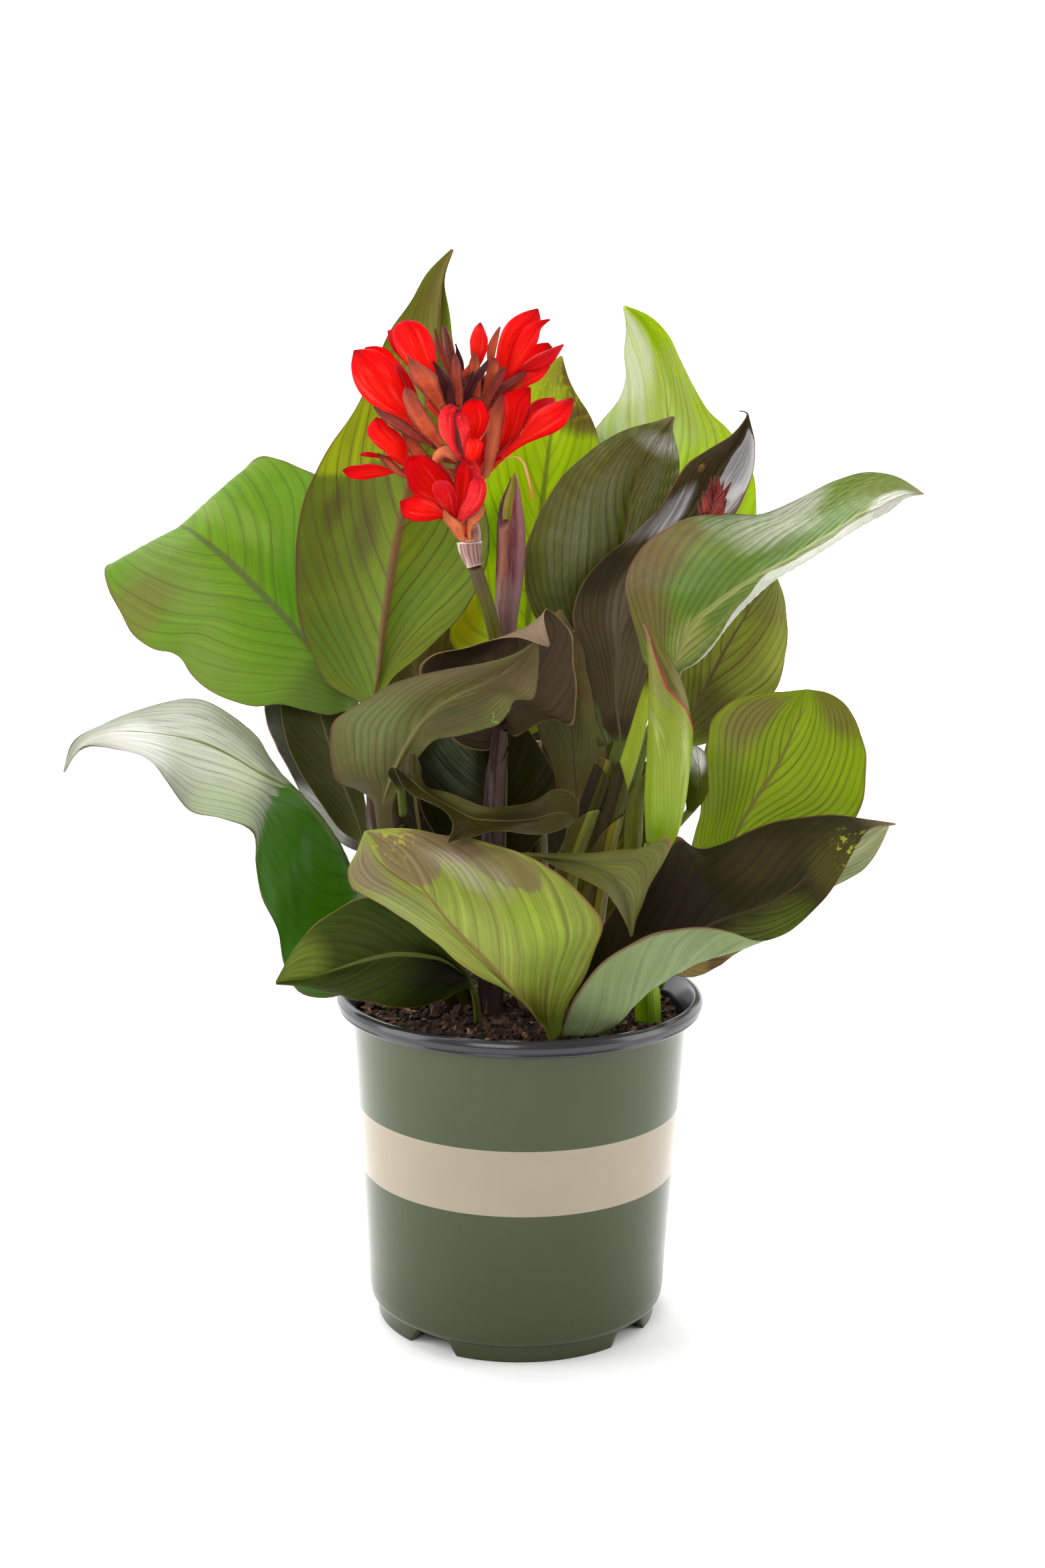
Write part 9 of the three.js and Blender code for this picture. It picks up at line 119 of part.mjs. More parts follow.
  flower_right: { tube: [[-36.1,-12,508.7,2.4],[-28.7,-14,517.4,3.2],[-21.4,-17,526.9,4]], petals: [[[[-20.6,-17.2,528.3],[-20.1,-16.5,527.9],[-19.6,-16.3,527.6],[-19.1,-16.5,527.3],[-18.5,-17.2,527]],[[-16.8,-16.9,533.5],[-16.1,-16,533],[-15.4,-15.8,532.6],[-14.7,-16,532.1],[-14,-16.9,531.7]],[[-15.4,-16.8,540.5],[-14,-14.5,539.4],[-12.6,-13.7,538.4],[-11.2,-14.5,537.4],[-9.8,-16.8,536.5]],[[-14.1,-16.6,547.4],[-12.2,-13,545.8],[-10.2,-11.8,544.3],[-8.2,-13,542.8],[-6.2,-16.6,541.5]],[[-13.5,-16.5,554.4],[-11,-12.8,552.4],[-8.4,-11.5,550.5],[-5.8,-12.8,548.7],[-3.2,-16.5,547]],[[-13.9,-16.4,562.2],[-10.7,-13,559.7],[-7.4,-11.9,557.3],[-4.1,-13,555],[-0.9,-16.4,552.7]],[[-13.2,-16.2,567.3],[-9.7,-13.6,565.1],[-6.2,-12.7,562.9],[-2.7,-13.6,560.8],[0.8,-16.2,558.7]],[[-5.7,-16.1,569.7],[-3.8,-14.7,568.5],[-2,-14.2,567.2],[-0.1,-14.7,566],[1.7,-16.1,564.8]],[[1.1,-16,571.4],[1.3,-16,571.2],[1.5,-16,571.1],[1.7,-16,570.9],[1.9,-16,570.8]]],[[[-20.5,-18.7,527.2],[-20,-19.8,526.5],[-19.5,-20.1,525.8],[-19,-19.8,525.1],[-18.6,-18.7,524.3]],[[-15,-21.5,533.1],[-14.4,-22.7,532.4],[-13.9,-23.1,531.6],[-13.4,-22.7,530.8],[-12.9,-21.5,530]],[[-9.5,-23.9,538.8],[-8.7,-25.8,537.9],[-8,-26.4,537],[-7.2,-25.8,536],[-6.5,-23.9,535]],[[-3.9,-25.9,544.4],[-2.8,-29,543.2],[-1.7,-30,541.9],[-0.6,-29,540.6],[0.5,-25.9,539.1]],[[-0.8,-27.5,551.5],[1.4,-32,549.2],[3.6,-33.4,546.8],[5.9,-32,544.4],[8.1,-27.5,541.8]],[[3.6,-28.6,557.6],[6.5,-32.7,554.6],[9.5,-34,551.5],[12.5,-32.7,548.4],[15.5,-28.6,545.1]],[[10.3,-29.4,561.5],[13.1,-32.6,558.7],[16,-33.6,555.9],[18.9,-32.6,553],[21.9,-29.4,550]],[[17.5,-29.8,564.1],[19.5,-31.7,562.3],[21.5,-32.3,560.5],[23.5,-31.7,558.6],[25.5,-29.8,556.7]],[[25.1,-30,565.9],[25.5,-30,565.6],[26,-30,565.3],[26.4,-30,565.1],[26.8,-30,564.8]]],[[[-13.5,-16.1,537.4],[-13,-15.8,537.4],[-12.5,-15.7,537.4],[-12,-15.8,537.3],[-11.5,-16.1,537.3]],[[-9.9,-16,541.1],[-9.5,-15.7,541.1],[-9,-15.6,541.1],[-8.5,-15.7,541.1],[-8,-16,541.1]],[[-6.6,-16,545.4],[-6.1,-15.6,545.2],[-5.7,-15.5,545],[-5.2,-15.6,544.8],[-4.7,-16,544.6]],[[-3.7,-16,550],[-3.2,-15.4,549.5],[-2.6,-15.1,549],[-2.1,-15.4,548.5],[-1.6,-16,548.1]],[[-1.5,-16,555.2],[-0.8,-15,554.3],[-0,-14.7,553.5],[0.7,-15,552.6],[1.5,-16,551.8]],[[0.9,-16,560],[1.8,-14.8,558.8],[2.7,-14.4,557.6],[3.6,-14.8,556.5],[4.5,-16,555.4]],[[4.9,-16,563.4],[5.9,-14.9,561.9],[6.8,-14.5,560.5],[7.7,-14.9,559],[8.7,-16,557.6]],[[10.1,-16,565.1],[10.7,-15.5,563.8],[11.4,-15.3,562.6],[12,-15.5,561.3],[12.6,-16,560.1]],[[15.6,-16,565.5],[15.7,-16,565],[15.8,-16,564.5],[16,-16,563.9],[16.1,-16,563.4]]],[[[-19.8,-20,527.3],[-19.7,-20,527.2],[-19.6,-20,527],[-19.5,-20,526.8],[-19.4,-20,526.6]],[[-15.2,-21.2,530],[-15.1,-21.2,529.8],[-15,-21.2,529.7],[-14.9,-21.2,529.5],[-14.9,-21.2,529.3]],[[-10.1,-22.5,531.6],[-10.1,-22.5,531.4],[-10.1,-22.5,531.3],[-10.1,-22.5,531.1],[-10.1,-22.5,530.9]],[[-4.9,-23.8,531.8],[-5,-23.8,531.5],[-5.1,-23.8,531.3],[-5.2,-23.8,531.1],[-5.3,-23.8,530.9]],[[-1.1,-25,528.2],[-1.3,-25,527.9],[-1.6,-25,527.6],[-1.8,-25,527.3],[-2,-25,527]],[[0.8,-26.2,523.3],[0.5,-26.2,523],[0.2,-26.2,522.8],[-0.2,-26.2,522.5],[-0.5,-26.2,522.2]],[[2.2,-27.5,518.1],[1.8,-27.5,518],[1.5,-27.5,517.8],[1.2,-27.5,517.6],[0.9,-27.5,517.4]],[[3.3,-28.8,513.1],[3,-28.8,513],[2.7,-28.8,512.9],[2.5,-28.8,512.8],[2.2,-28.8,512.7]],[[4.3,-30,508.1],[4,-30,508],[3.7,-30,507.9],[3.4,-30,507.8],[3.1,-30,507.7]]],[[[-25.3,-21.8,519.8],[-24.5,-22.5,519.7],[-23.7,-22.7,519.6],[-22.9,-22.5,519.5],[-22,-21.8,519.4]],[[-25,-24.2,525.9],[-23.6,-25.4,525.8],[-22.2,-25.8,525.7],[-20.8,-25.4,525.5],[-19.4,-24.2,525.3]],[[-24.7,-26.5,532.3],[-22.9,-28.5,532.1],[-21,-29.1,531.9],[-19.2,-28.5,531.6],[-17.4,-26.5,531.2]],[[-24.5,-28.8,538.6],[-22.3,-31.4,538.4],[-20.1,-32.2,538],[-17.9,-31.4,537.7],[-15.8,-28.8,537.2]],[[-24,-31,544.9],[-21.6,-33.8,544.6],[-19.2,-34.8,544.2],[-16.9,-33.8,543.7],[-14.6,-31,543.2]],[[-22.9,-33.2,551.1],[-20.5,-35.8,550.7],[-18.3,-36.6,550.3],[-16,-35.8,549.8],[-13.7,-33.2,549.3]],[[-21.2,-35.5,557.1],[-19.2,-37.2,556.7],[-17.3,-37.8,556.3],[-15.3,-37.2,555.9],[-13.4,-35.5,555.4]],[[-18.5,-37.8,562.7],[-17.2,-38.4,562.4],[-15.9,-38.7,562.1],[-14.6,-38.4,561.8],[-13.3,-37.8,561.4]],[[-14.7,-40,567.5],[-14.5,-40,567.4],[-14.2,-40,567.4],[-14,-40,567.3],[-13.8,-40,567.2]]]] },
  flower_centre: { tube: [[-37.3,-13,514.2,2],[-35,-28,522,2.8],[-33.5,-42,528.8,3.6]], petals: [[[[-35.7,-42.8,528.7],[-35.1,-43.5,529],[-34.6,-43.7,529.2],[-34,-43.5,529.5],[-33.5,-42.8,529.7]],[[-39.7,-46.3,532],[-39.1,-47,532.4],[-38.4,-47.2,532.7],[-37.8,-47,533],[-37.2,-46.3,533.2]],[[-43.1,-49.4,536.1],[-42.1,-50.7,536.4],[-41.1,-51.2,536.7],[-40.1,-50.7,536.9],[-39.2,-49.4,537.1]],[[-46.3,-52.1,540.4],[-44.7,-54.5,540.8],[-43.2,-55.3,541.2],[-41.7,-54.5,541.5],[-40.2,-52.1,541.7]],[[-49.3,-54.5,544.6],[-46.9,-57.9,545.2],[-44.7,-59.1,545.7],[-42.5,-57.9,546.1],[-40.4,-54.5,546.4]],[[-50.6,-56.4,549.8],[-47.9,-59.8,550.2],[-45.3,-60.9,550.6],[-42.8,-59.8,550.8],[-40.4,-56.4,551]],[[-50,-57.9,555.1],[-47.5,-60.4,555.3],[-45.1,-61.3,555.5],[-42.8,-60.4,555.6],[-40.6,-57.9,555.6]],[[-47.7,-59,559.9],[-45.5,-60.5,559.9],[-43.2,-61,559.9],[-41,-60.5,559.9],[-38.9,-59,559.8]],[[-43.1,-60,562.3],[-42.8,-60,562.3],[-42.6,-60,562.3],[-42.3,-60,562.3],[-42.1,-60,562.3]]],[[[-34.7,-43.3,529],[-33.7,-42.2,529.5],[-32.8,-41.8,530],[-31.8,-42.2,530.6],[-30.8,-43.3,531.2]],[[-34.4,-44.6,534],[-33.3,-43.3,534.5],[-32.2,-42.9,535.1],[-31.1,-43.3,535.7],[-30,-44.6,536.4]],[[-34.3,-46.2,539],[-32.8,-44.2,539.4],[-31.4,-43.5,539.9],[-29.9,-44.2,540.4],[-28.4,-46.2,541]],[[-34.2,-47.9,543.9],[-32.1,-44.5,544],[-29.9,-43.4,544.3],[-27.7,-44.5,544.6],[-25.4,-47.9,545]],[[-35.5,-49.5,548.6],[-32.4,-45.8,548.6],[-29.3,-44.5,548.7],[-26.1,-45.8,548.9],[-22.9,-49.5,549.2]],[[-36.8,-51.1,553.5],[-33.1,-47.8,553.5],[-29.4,-46.6,553.6],[-25.6,-47.8,553.8],[-21.8,-51.1,554.1]],[[-37.4,-52.8,558.3],[-33.9,-50.1,558.3],[-30.3,-49.2,558.4],[-26.7,-50.1,558.6],[-23.1,-52.8,558.8]],[[-34.7,-54.4,562.5],[-32.5,-52.9,562.6],[-30.2,-52.3,562.8],[-27.8,-52.9,563],[-25.5,-54.4,563.2]],[[-30.7,-56,565],[-30.4,-56,565],[-30.2,-56,565],[-29.9,-56,565.1],[-29.7,-56,565.1]]],[[[-35.2,-43.9,529.1],[-34.7,-44.2,529.4],[-34.2,-44.4,529.6],[-33.8,-44.2,529.9],[-33.3,-43.9,530.1]],[[-35.8,-47,533],[-35.2,-47.4,533.3],[-34.6,-47.6,533.6],[-34,-47.4,533.9],[-33.4,-47,534.2]],[[-36.4,-49.9,536.7],[-35.7,-50.6,537.1],[-34.9,-50.8,537.5],[-34.2,-50.6,537.9],[-33.4,-49.9,538.3]],[[-37.2,-52.6,540.3],[-36.2,-53.5,540.8],[-35.3,-53.8,541.3],[-34.3,-53.5,541.7],[-33.4,-52.6,542.1]],[[-38,-55,543.9],[-36.5,-56.3,544.4],[-35.1,-56.8,544.9],[-33.7,-56.3,545.3],[-32.4,-55,545.7]],[[-39.1,-57.1,547.4],[-37.2,-58.7,547.9],[-35.2,-59.3,548.4],[-33.3,-58.7,548.9],[-31.4,-57.1,549.3]],[[-40,-58.9,550.9],[-38.2,-60.1,551.5],[-36.5,-60.5,552],[-34.7,-60.1,552.5],[-33,-58.9,553]],[[-40,-60.5,554.6],[-38.8,-61,555],[-37.5,-61.2,555.5],[-36.3,-61,556],[-35.1,-60.5,556.4]],[[-39.1,-62,557.6],[-38.9,-62,557.7],[-38.6,-62,557.8],[-38.4,-62,557.9],[-38.2,-62,558]]],[[[-34.9,-43.8,528.7],[-34,-44.4,528.7],[-33.2,-44.6,528.6],[-32.4,-44.4,528.6],[-31.5,-43.8,528.5]],[[-35.1,-47.1,530.7],[-33.4,-48.1,530.6],[-31.9,-48.5,530.5],[-30.3,-48.1,530.4],[-28.7,-47.1,530.3]],[[-35.1,-50.1,532.7],[-32.9,-51.8,532.7],[-30.8,-52.4,532.6],[-28.7,-51.8,532.5],[-26.6,-50.1,532.3]],[[-35.1,-52.8,534.8],[-32.6,-55,534.8],[-30.1,-55.7,534.8],[-27.7,-55,534.7],[-25.3,-52.8,534.5]],[[-35,-55,536.8],[-32.3,-57.2,537],[-29.7,-58,537.2],[-27.1,-57.2,537.2],[-24.5,-55,537.3]],[[-34.7,-56.8,538.9],[-32,-58.8,539.3],[-29.4,-59.5,539.5],[-26.8,-58.8,539.8],[-24.2,-56.8,540]],[[-34.3,-58.1,540.8],[-32.2,-59.5,541.2],[-30.1,-60,541.5],[-28,-59.5,541.8],[-25.9,-58.1,542.1]],[[-33.5,-59.1,542.2],[-32.2,-59.7,542.4],[-30.9,-59.8,542.6],[-29.6,-59.7,542.8],[-28.3,-59.1,543]],[[-31.8,-60,543.2],[-31.6,-60,543.3],[-31.3,-60,543.3],[-31.1,-60,543.4],[-30.8,-60,543.4]]]] },
  flower_lower_front: { tube: [[-33.9,-13,483.9,2.4],[-36.9,-21,488,3.2],[-39.8,-29,492,4]], petals: [[[[-41.6,-30.3,493.1],[-40.8,-29.3,493.2],[-40,-29,493.3],[-39.3,-29.3,493.4],[-38.4,-30.3,493.6]],[[-45.2,-32.8,499.4],[-43.9,-31.1,499.5],[-42.6,-30.5,499.7],[-41.2,-31.1,499.9],[-39.8,-32.8,500.3]],[[-49.9,-35.5,503.9],[-47.8,-31.7,504.4],[-45.6,-30.4,505],[-43.2,-31.7,505.9],[-40.8,-35.5,506.9]],[[-56.5,-38.2,506.1],[-53,-33.8,507.7],[-49.3,-32.3,509.4],[-45.5,-33.8,511.4],[-41.7,-38.2,513.5]],[[-62.6,-41,508.8],[-58,-36.5,511.3],[-53.3,-35.1,514],[-48.5,-36.5,516.8],[-43.6,-41,519.8]],[[-66.3,-43.8,514.5],[-61.9,-39.7,516.8],[-57.4,-38.4,519.3],[-52.7,-39.7,521.8],[-47.9,-43.8,524.6]],[[-68.1,-46.5,521.2],[-64.4,-43.3,522.9],[-60.7,-42.3,524.7],[-56.8,-43.3,526.7],[-52.8,-46.5,528.7]],[[-69.6,-49.2,527.8],[-66.9,-47.3,528.7],[-64.1,-46.7,529.7],[-61.3,-47.3,530.7],[-58.5,-49.2,531.8]],[[-65.5,-52,532.4],[-65.3,-52,532.5],[-65.1,-52,532.6],[-64.8,-52,532.7],[-64.6,-52,532.8]]],[[[-41.5,-30.8,492.8],[-40.7,-31.5,493],[-40,-31.7,493.1],[-39.2,-31.5,493.2],[-38.5,-30.8,493.3]],[[-44.1,-35.1,496.3],[-42.7,-36.2,496.6],[-41.3,-36.6,496.8],[-40,-36.2,497],[-38.7,-35.1,497]],[[-46.4,-39.2,499.7],[-44.5,-41.2,500.2],[-42.6,-41.9,500.5],[-40.7,-41.2,500.8],[-38.9,-39.2,501]],[[-48.7,-43,503.1],[-46.2,-45.9,503.8],[-43.8,-46.9,504.3],[-41.4,-45.9,504.6],[-39.1,-43,504.9]],[[-51,-46.5,506.5],[-48,-49.5,507.3],[-45.1,-50.5,507.9],[-42.2,-49.5,508.4],[-39.4,-46.5,508.7]],[[-52.6,-49.7,510.2],[-49.4,-52.4,510.9],[-46.3,-53.3,511.6],[-43.3,-52.4,512.1],[-40.3,-49.7,512.5]],[[-53.5,-52.7,514.2],[-50.4,-54.8,514.8],[-47.5,-55.5,515.3],[-44.6,-54.8,515.8],[-41.7,-52.7,516.1]],[[-52.1,-55.4,518.1],[-50,-56.5,518.2],[-48,-56.8,518.4],[-46,-56.5,518.5],[-44,-55.4,518.5]],[[-48.4,-58,519.4],[-48.2,-58,519.4],[-47.9,-58,519.4],[-47.7,-58,519.4],[-47.4,-58,519.5]]],[[[-40.5,-31.2,493.1],[-39.8,-30.6,493.1],[-39.1,-30.4,493],[-38.4,-30.6,493],[-37.7,-31.2,493]],[[-41,-33.4,498],[-39.9,-32.4,497.9],[-38.7,-32.1,497.8],[-37.6,-32.4,497.8],[-36.4,-33.4,497.8]],[[-41.3,-35.8,503],[-39.8,-34.1,502.8],[-38.3,-33.5,502.6],[-36.7,-34.1,502.5],[-35.1,-35.8,502.6]],[[-41.3,-38.1,507.9],[-39.5,-35.9,507.6],[-37.6,-35.1,507.4],[-35.7,-35.9,507.3],[-33.7,-38.1,507.3]],[[-41.1,-40.5,512.9],[-39.1,-38,512.5],[-37.1,-37.2,512.2],[-35,-38,512.1],[-32.9,-40.5,512]],[[-40.7,-42.9,517.8],[-38.7,-40.7,517.4],[-36.7,-39.9,517.1],[-34.6,-40.7,516.9],[-32.5,-42.9,516.8]],[[-39.9,-45.2,522.6],[-38.1,-43.7,522.3],[-36.3,-43.1,522],[-34.4,-43.7,521.8],[-32.6,-45.2,521.6]],[[-38.2,-47.6,527.2],[-36.9,-46.9,526.9],[-35.6,-46.7,526.7],[-34.3,-46.9,526.5],[-32.9,-47.6,526.3]],[[-35.3,-50,531],[-35,-50,530.9],[-34.8,-50,530.9],[-34.5,-50,530.8],[-34.3,-50,530.8]]],[[[-40.4,-32.7,492.6],[-39.6,-33.6,492.6],[-38.7,-33.9,492.6],[-37.8,-33.6,492.6],[-37,-32.7,492.5]],[[-39.8,-37,496.6],[-38.3,-38.5,496.7],[-36.9,-39,496.7],[-35.4,-38.5,496.6],[-34,-37,496.5]],[[-39,-40.9,500.6],[-36.6,-43.9,500.5],[-34.3,-44.9,500.2],[-32.1,-43.9,499.7],[-29.9,-40.9,499.1]],[[-37.8,-44.4,504.5],[-34.8,-48.1,504.2],[-32,-49.3,503.8],[-29.1,-48.1,503.2],[-26.4,-44.4,502.4]],[[-36,-47.5,508],[-32.9,-51.2,507.9],[-29.8,-52.5,507.6],[-26.8,-51.2,507.1],[-23.9,-47.5,506.4]],[[-34.2,-50.1,511.6],[-31.1,-53.5,511.6],[-28.2,-54.6,511.6],[-25.3,-53.5,511.4],[-22.4,-50.1,511]],[[-33,-52.4,515.3],[-30.2,-55,515.6],[-27.5,-55.9,515.7],[-24.8,-55,515.8],[-22.1,-52.4,515.7]],[[-31.6,-54.3,518.8],[-29.6,-55.6,519.2],[-27.7,-56,519.5],[-25.8,-55.6,519.7],[-23.8,-54.3,519.9]],[[-29,-56,521.5],[-28.7,-56,521.5],[-28.5,-56,521.6],[-28.2,-56,521.6],[-28,-56,521.6]]],[[[-39.9,-29,492.9],[-39.5,-29.1,492.9],[-39.2,-29.1,492.9],[-38.8,-29.1,492.9],[-38.5,-29,492.9]],[[-38.2,-30.9,497.6],[-37.4,-31.2,497.6],[-36.6,-31.3,497.6],[-35.9,-31.2,497.6],[-35.1,-30.9,497.6]],[[-36.7,-32.8,502.3],[-35.5,-33.3,502.4],[-34.4,-33.5,502.4],[-33.3,-33.3,502.4],[-32.2,-32.8,502.4]],[[-35.3,-34.6,507],[-33.9,-35.4,507.2],[-32.5,-35.7,507.3],[-31.2,-35.4,507.4],[-29.8,-34.6,507.4]],[[-34.2,-36.5,511.8],[-32.6,-37.4,512],[-31,-37.8,512.2],[-29.4,-37.4,512.4],[-27.9,-36.5,512.5]],[[-33,-38.4,516.6],[-31.3,-39.3,517],[-29.6,-39.6,517.3],[-27.9,-39.3,517.6],[-26.2,-38.4,517.9]],[[-32.7,-40.2,521.3],[-31,-41,521.8],[-29.4,-41.2,522.3],[-27.8,-41,522.8],[-26.2,-40.2,523.3]],[[-34.2,-42.1,525.9],[-32.7,-42.5,526.6],[-31.3,-42.7,527.3],[-29.8,-42.5,527.9],[-28.3,-42.1,528.5]],[[-33.6,-44,530.4],[-33.4,-44,530.5],[-33.2,-44,530.6],[-32.9,-44,530.7],[-32.7,-44,530.8]]],[[[-41.2,-32.1,493.4],[-41.6,-31.8,492.9],[-41.9,-31.7,492.5],[-42.3,-31.8,492],[-42.6,-32.1,491.6]],[[-44.5,-36.3,497.3],[-44.8,-35.9,496.9],[-45.2,-35.8,496.4],[-45.5,-35.9,496],[-45.8,-36.3,495.6]],[[-47.5,-40.4,501],[-48.2,-39.4,499.8],[-48.8,-39,498.6],[-49.4,-39.4,497.5],[-50,-40.4,496.5]],[[-50.6,-44.3,504.8],[-51.7,-42.1,502.4],[-52.7,-41.4,500.1],[-53.7,-42.1,497.9],[-54.6,-44.3,495.8]],[[-54.1,-48,507.4],[-55.5,-45.8,504.3],[-56.8,-45,501.2],[-58.1,-45.8,498.3],[-59.3,-48,495.4]],[[-58.4,-51.3,509.2],[-59.8,-49.3,505.7],[-61.3,-48.7,502.3],[-62.7,-49.3,499],[-64,-51.3,495.8]],[[-62.8,-54.4,509.8],[-64.2,-52.8,506.7],[-65.6,-52.3,503.6],[-66.9,-52.8,500.6],[-68.2,-54.4,497.7]],[[-67.1,-57.3,509.1],[-68,-56.4,507.1],[-68.8,-56.1,505.1],[-69.6,-56.4,503.1],[-70.4,-57.3,501.2]],[[-71.1,-60,507.6],[-71.1,-60,507.3],[-71.2,-60,507.1],[-71.3,-60,506.9],[-71.4,-60,506.6]]]] },
  flower_bud_top: { tube: [[-42.4,-12,574,1.8],[-35.4,-12.5,578.6,2.6],[-30.1,-13,584,3.4]], petals: [[[[-31.2,-12.8,581.7],[-30.6,-13.5,581.6],[-30,-13.8,581.6],[-29.4,-13.5,581.6],[-28.9,-12.8,581.5]],[[-32.6,-13.9,584.9],[-31,-15.8,584.8],[-29.5,-16.4,584.7],[-28,-15.8,584.6],[-26.5,-13.9,584.4]],[[-33.5,-14.7,588.4],[-31.2,-18.2,588.2],[-29,-19.4,588],[-26.8,-18.2,587.8],[-24.7,-14.7,587.5]],[[-34.3,-15.2,591.9],[-31.4,-19.7,591.7],[-28.6,-21.1,591.4],[-25.9,-19.7,591.2],[-23.2,-15.2,590.9]],[[-34.4,-15.5,595.5],[-31.4,-20,595.2],[-28.4,-21.4,594.9],[-25.5,-20,594.7],[-22.7,-15.5,594.4]],[[-34.1,-15.5,599.1],[-31.1,-19.5,598.8],[-28.2,-20.9,598.5],[-25.4,-19.5,598.2],[-22.6,-15.5,598]],[[-32.8,-15.2,602.5],[-30.5,-18.1,602.2],[-28.2,-19.1,601.9],[-26,-18.1,601.7],[-23.7,-15.2,601.4]],[[-30.8,-14.6,605.4],[-29.4,-15.7,605.2],[-28,-16.1,605],[-26.6,-15.7,604.8],[-25.3,-14.6,604.6]],[[-28.1,-14,607.7],[-27.9,-14,607.7],[-27.6,-14,607.6],[-27.4,-14,607.6],[-27.1,-14,607.6]]],[[[-30.4,-14.9,581.6],[-29.8,-15.2,581.6],[-29.2,-15.3,581.6],[-28.6,-15.2,581.6],[-28,-14.9,581.6]],[[-30.7,-15.5,584],[-29.8,-15.8,584],[-29,-16,584],[-28.1,-15.8,584],[-27.3,-15.5,584.1]],[[-30.9,-16,586.4],[-29.8,-16.6,586.4],[-28.7,-16.7,586.4],[-27.7,-16.6,586.5],[-26.6,-16,586.5]],[[-30.9,-16.5,588.7],[-29.7,-17.2,588.8],[-28.4,-17.5,588.8],[-27.2,-17.2,588.9],[-25.9,-16.5,588.9]],[[-31,-17,591.1],[-29.5,-17.9,591.2],[-28,-18.2,591.3],[-26.6,-17.9,591.4],[-25.1,-17,591.4]],[[-30.8,-17.5,593.5],[-29.3,-18.3,593.6],[-27.7,-18.6,593.6],[-26.2,-18.3,593.7],[-24.7,-17.5,593.8]],[[-30.3,-18,595.8],[-29,-18.6,595.9],[-27.7,-18.7,595.9],[-26.4,-18.6,596],[-25.1,-18,596.1]],[[-29.7,-18.5,598.1],[-28.9,-18.7,598.1],[-28.1,-18.8,598.2],[-27.3,-18.7,598.2],[-26.5,-18.5,598.2]],[[-29.1,-19,600.3],[-28.9,-19,600.3],[-28.6,-19,600.3],[-28.4,-19,600.3],[-28.1,-19,600.3]]]] },
};
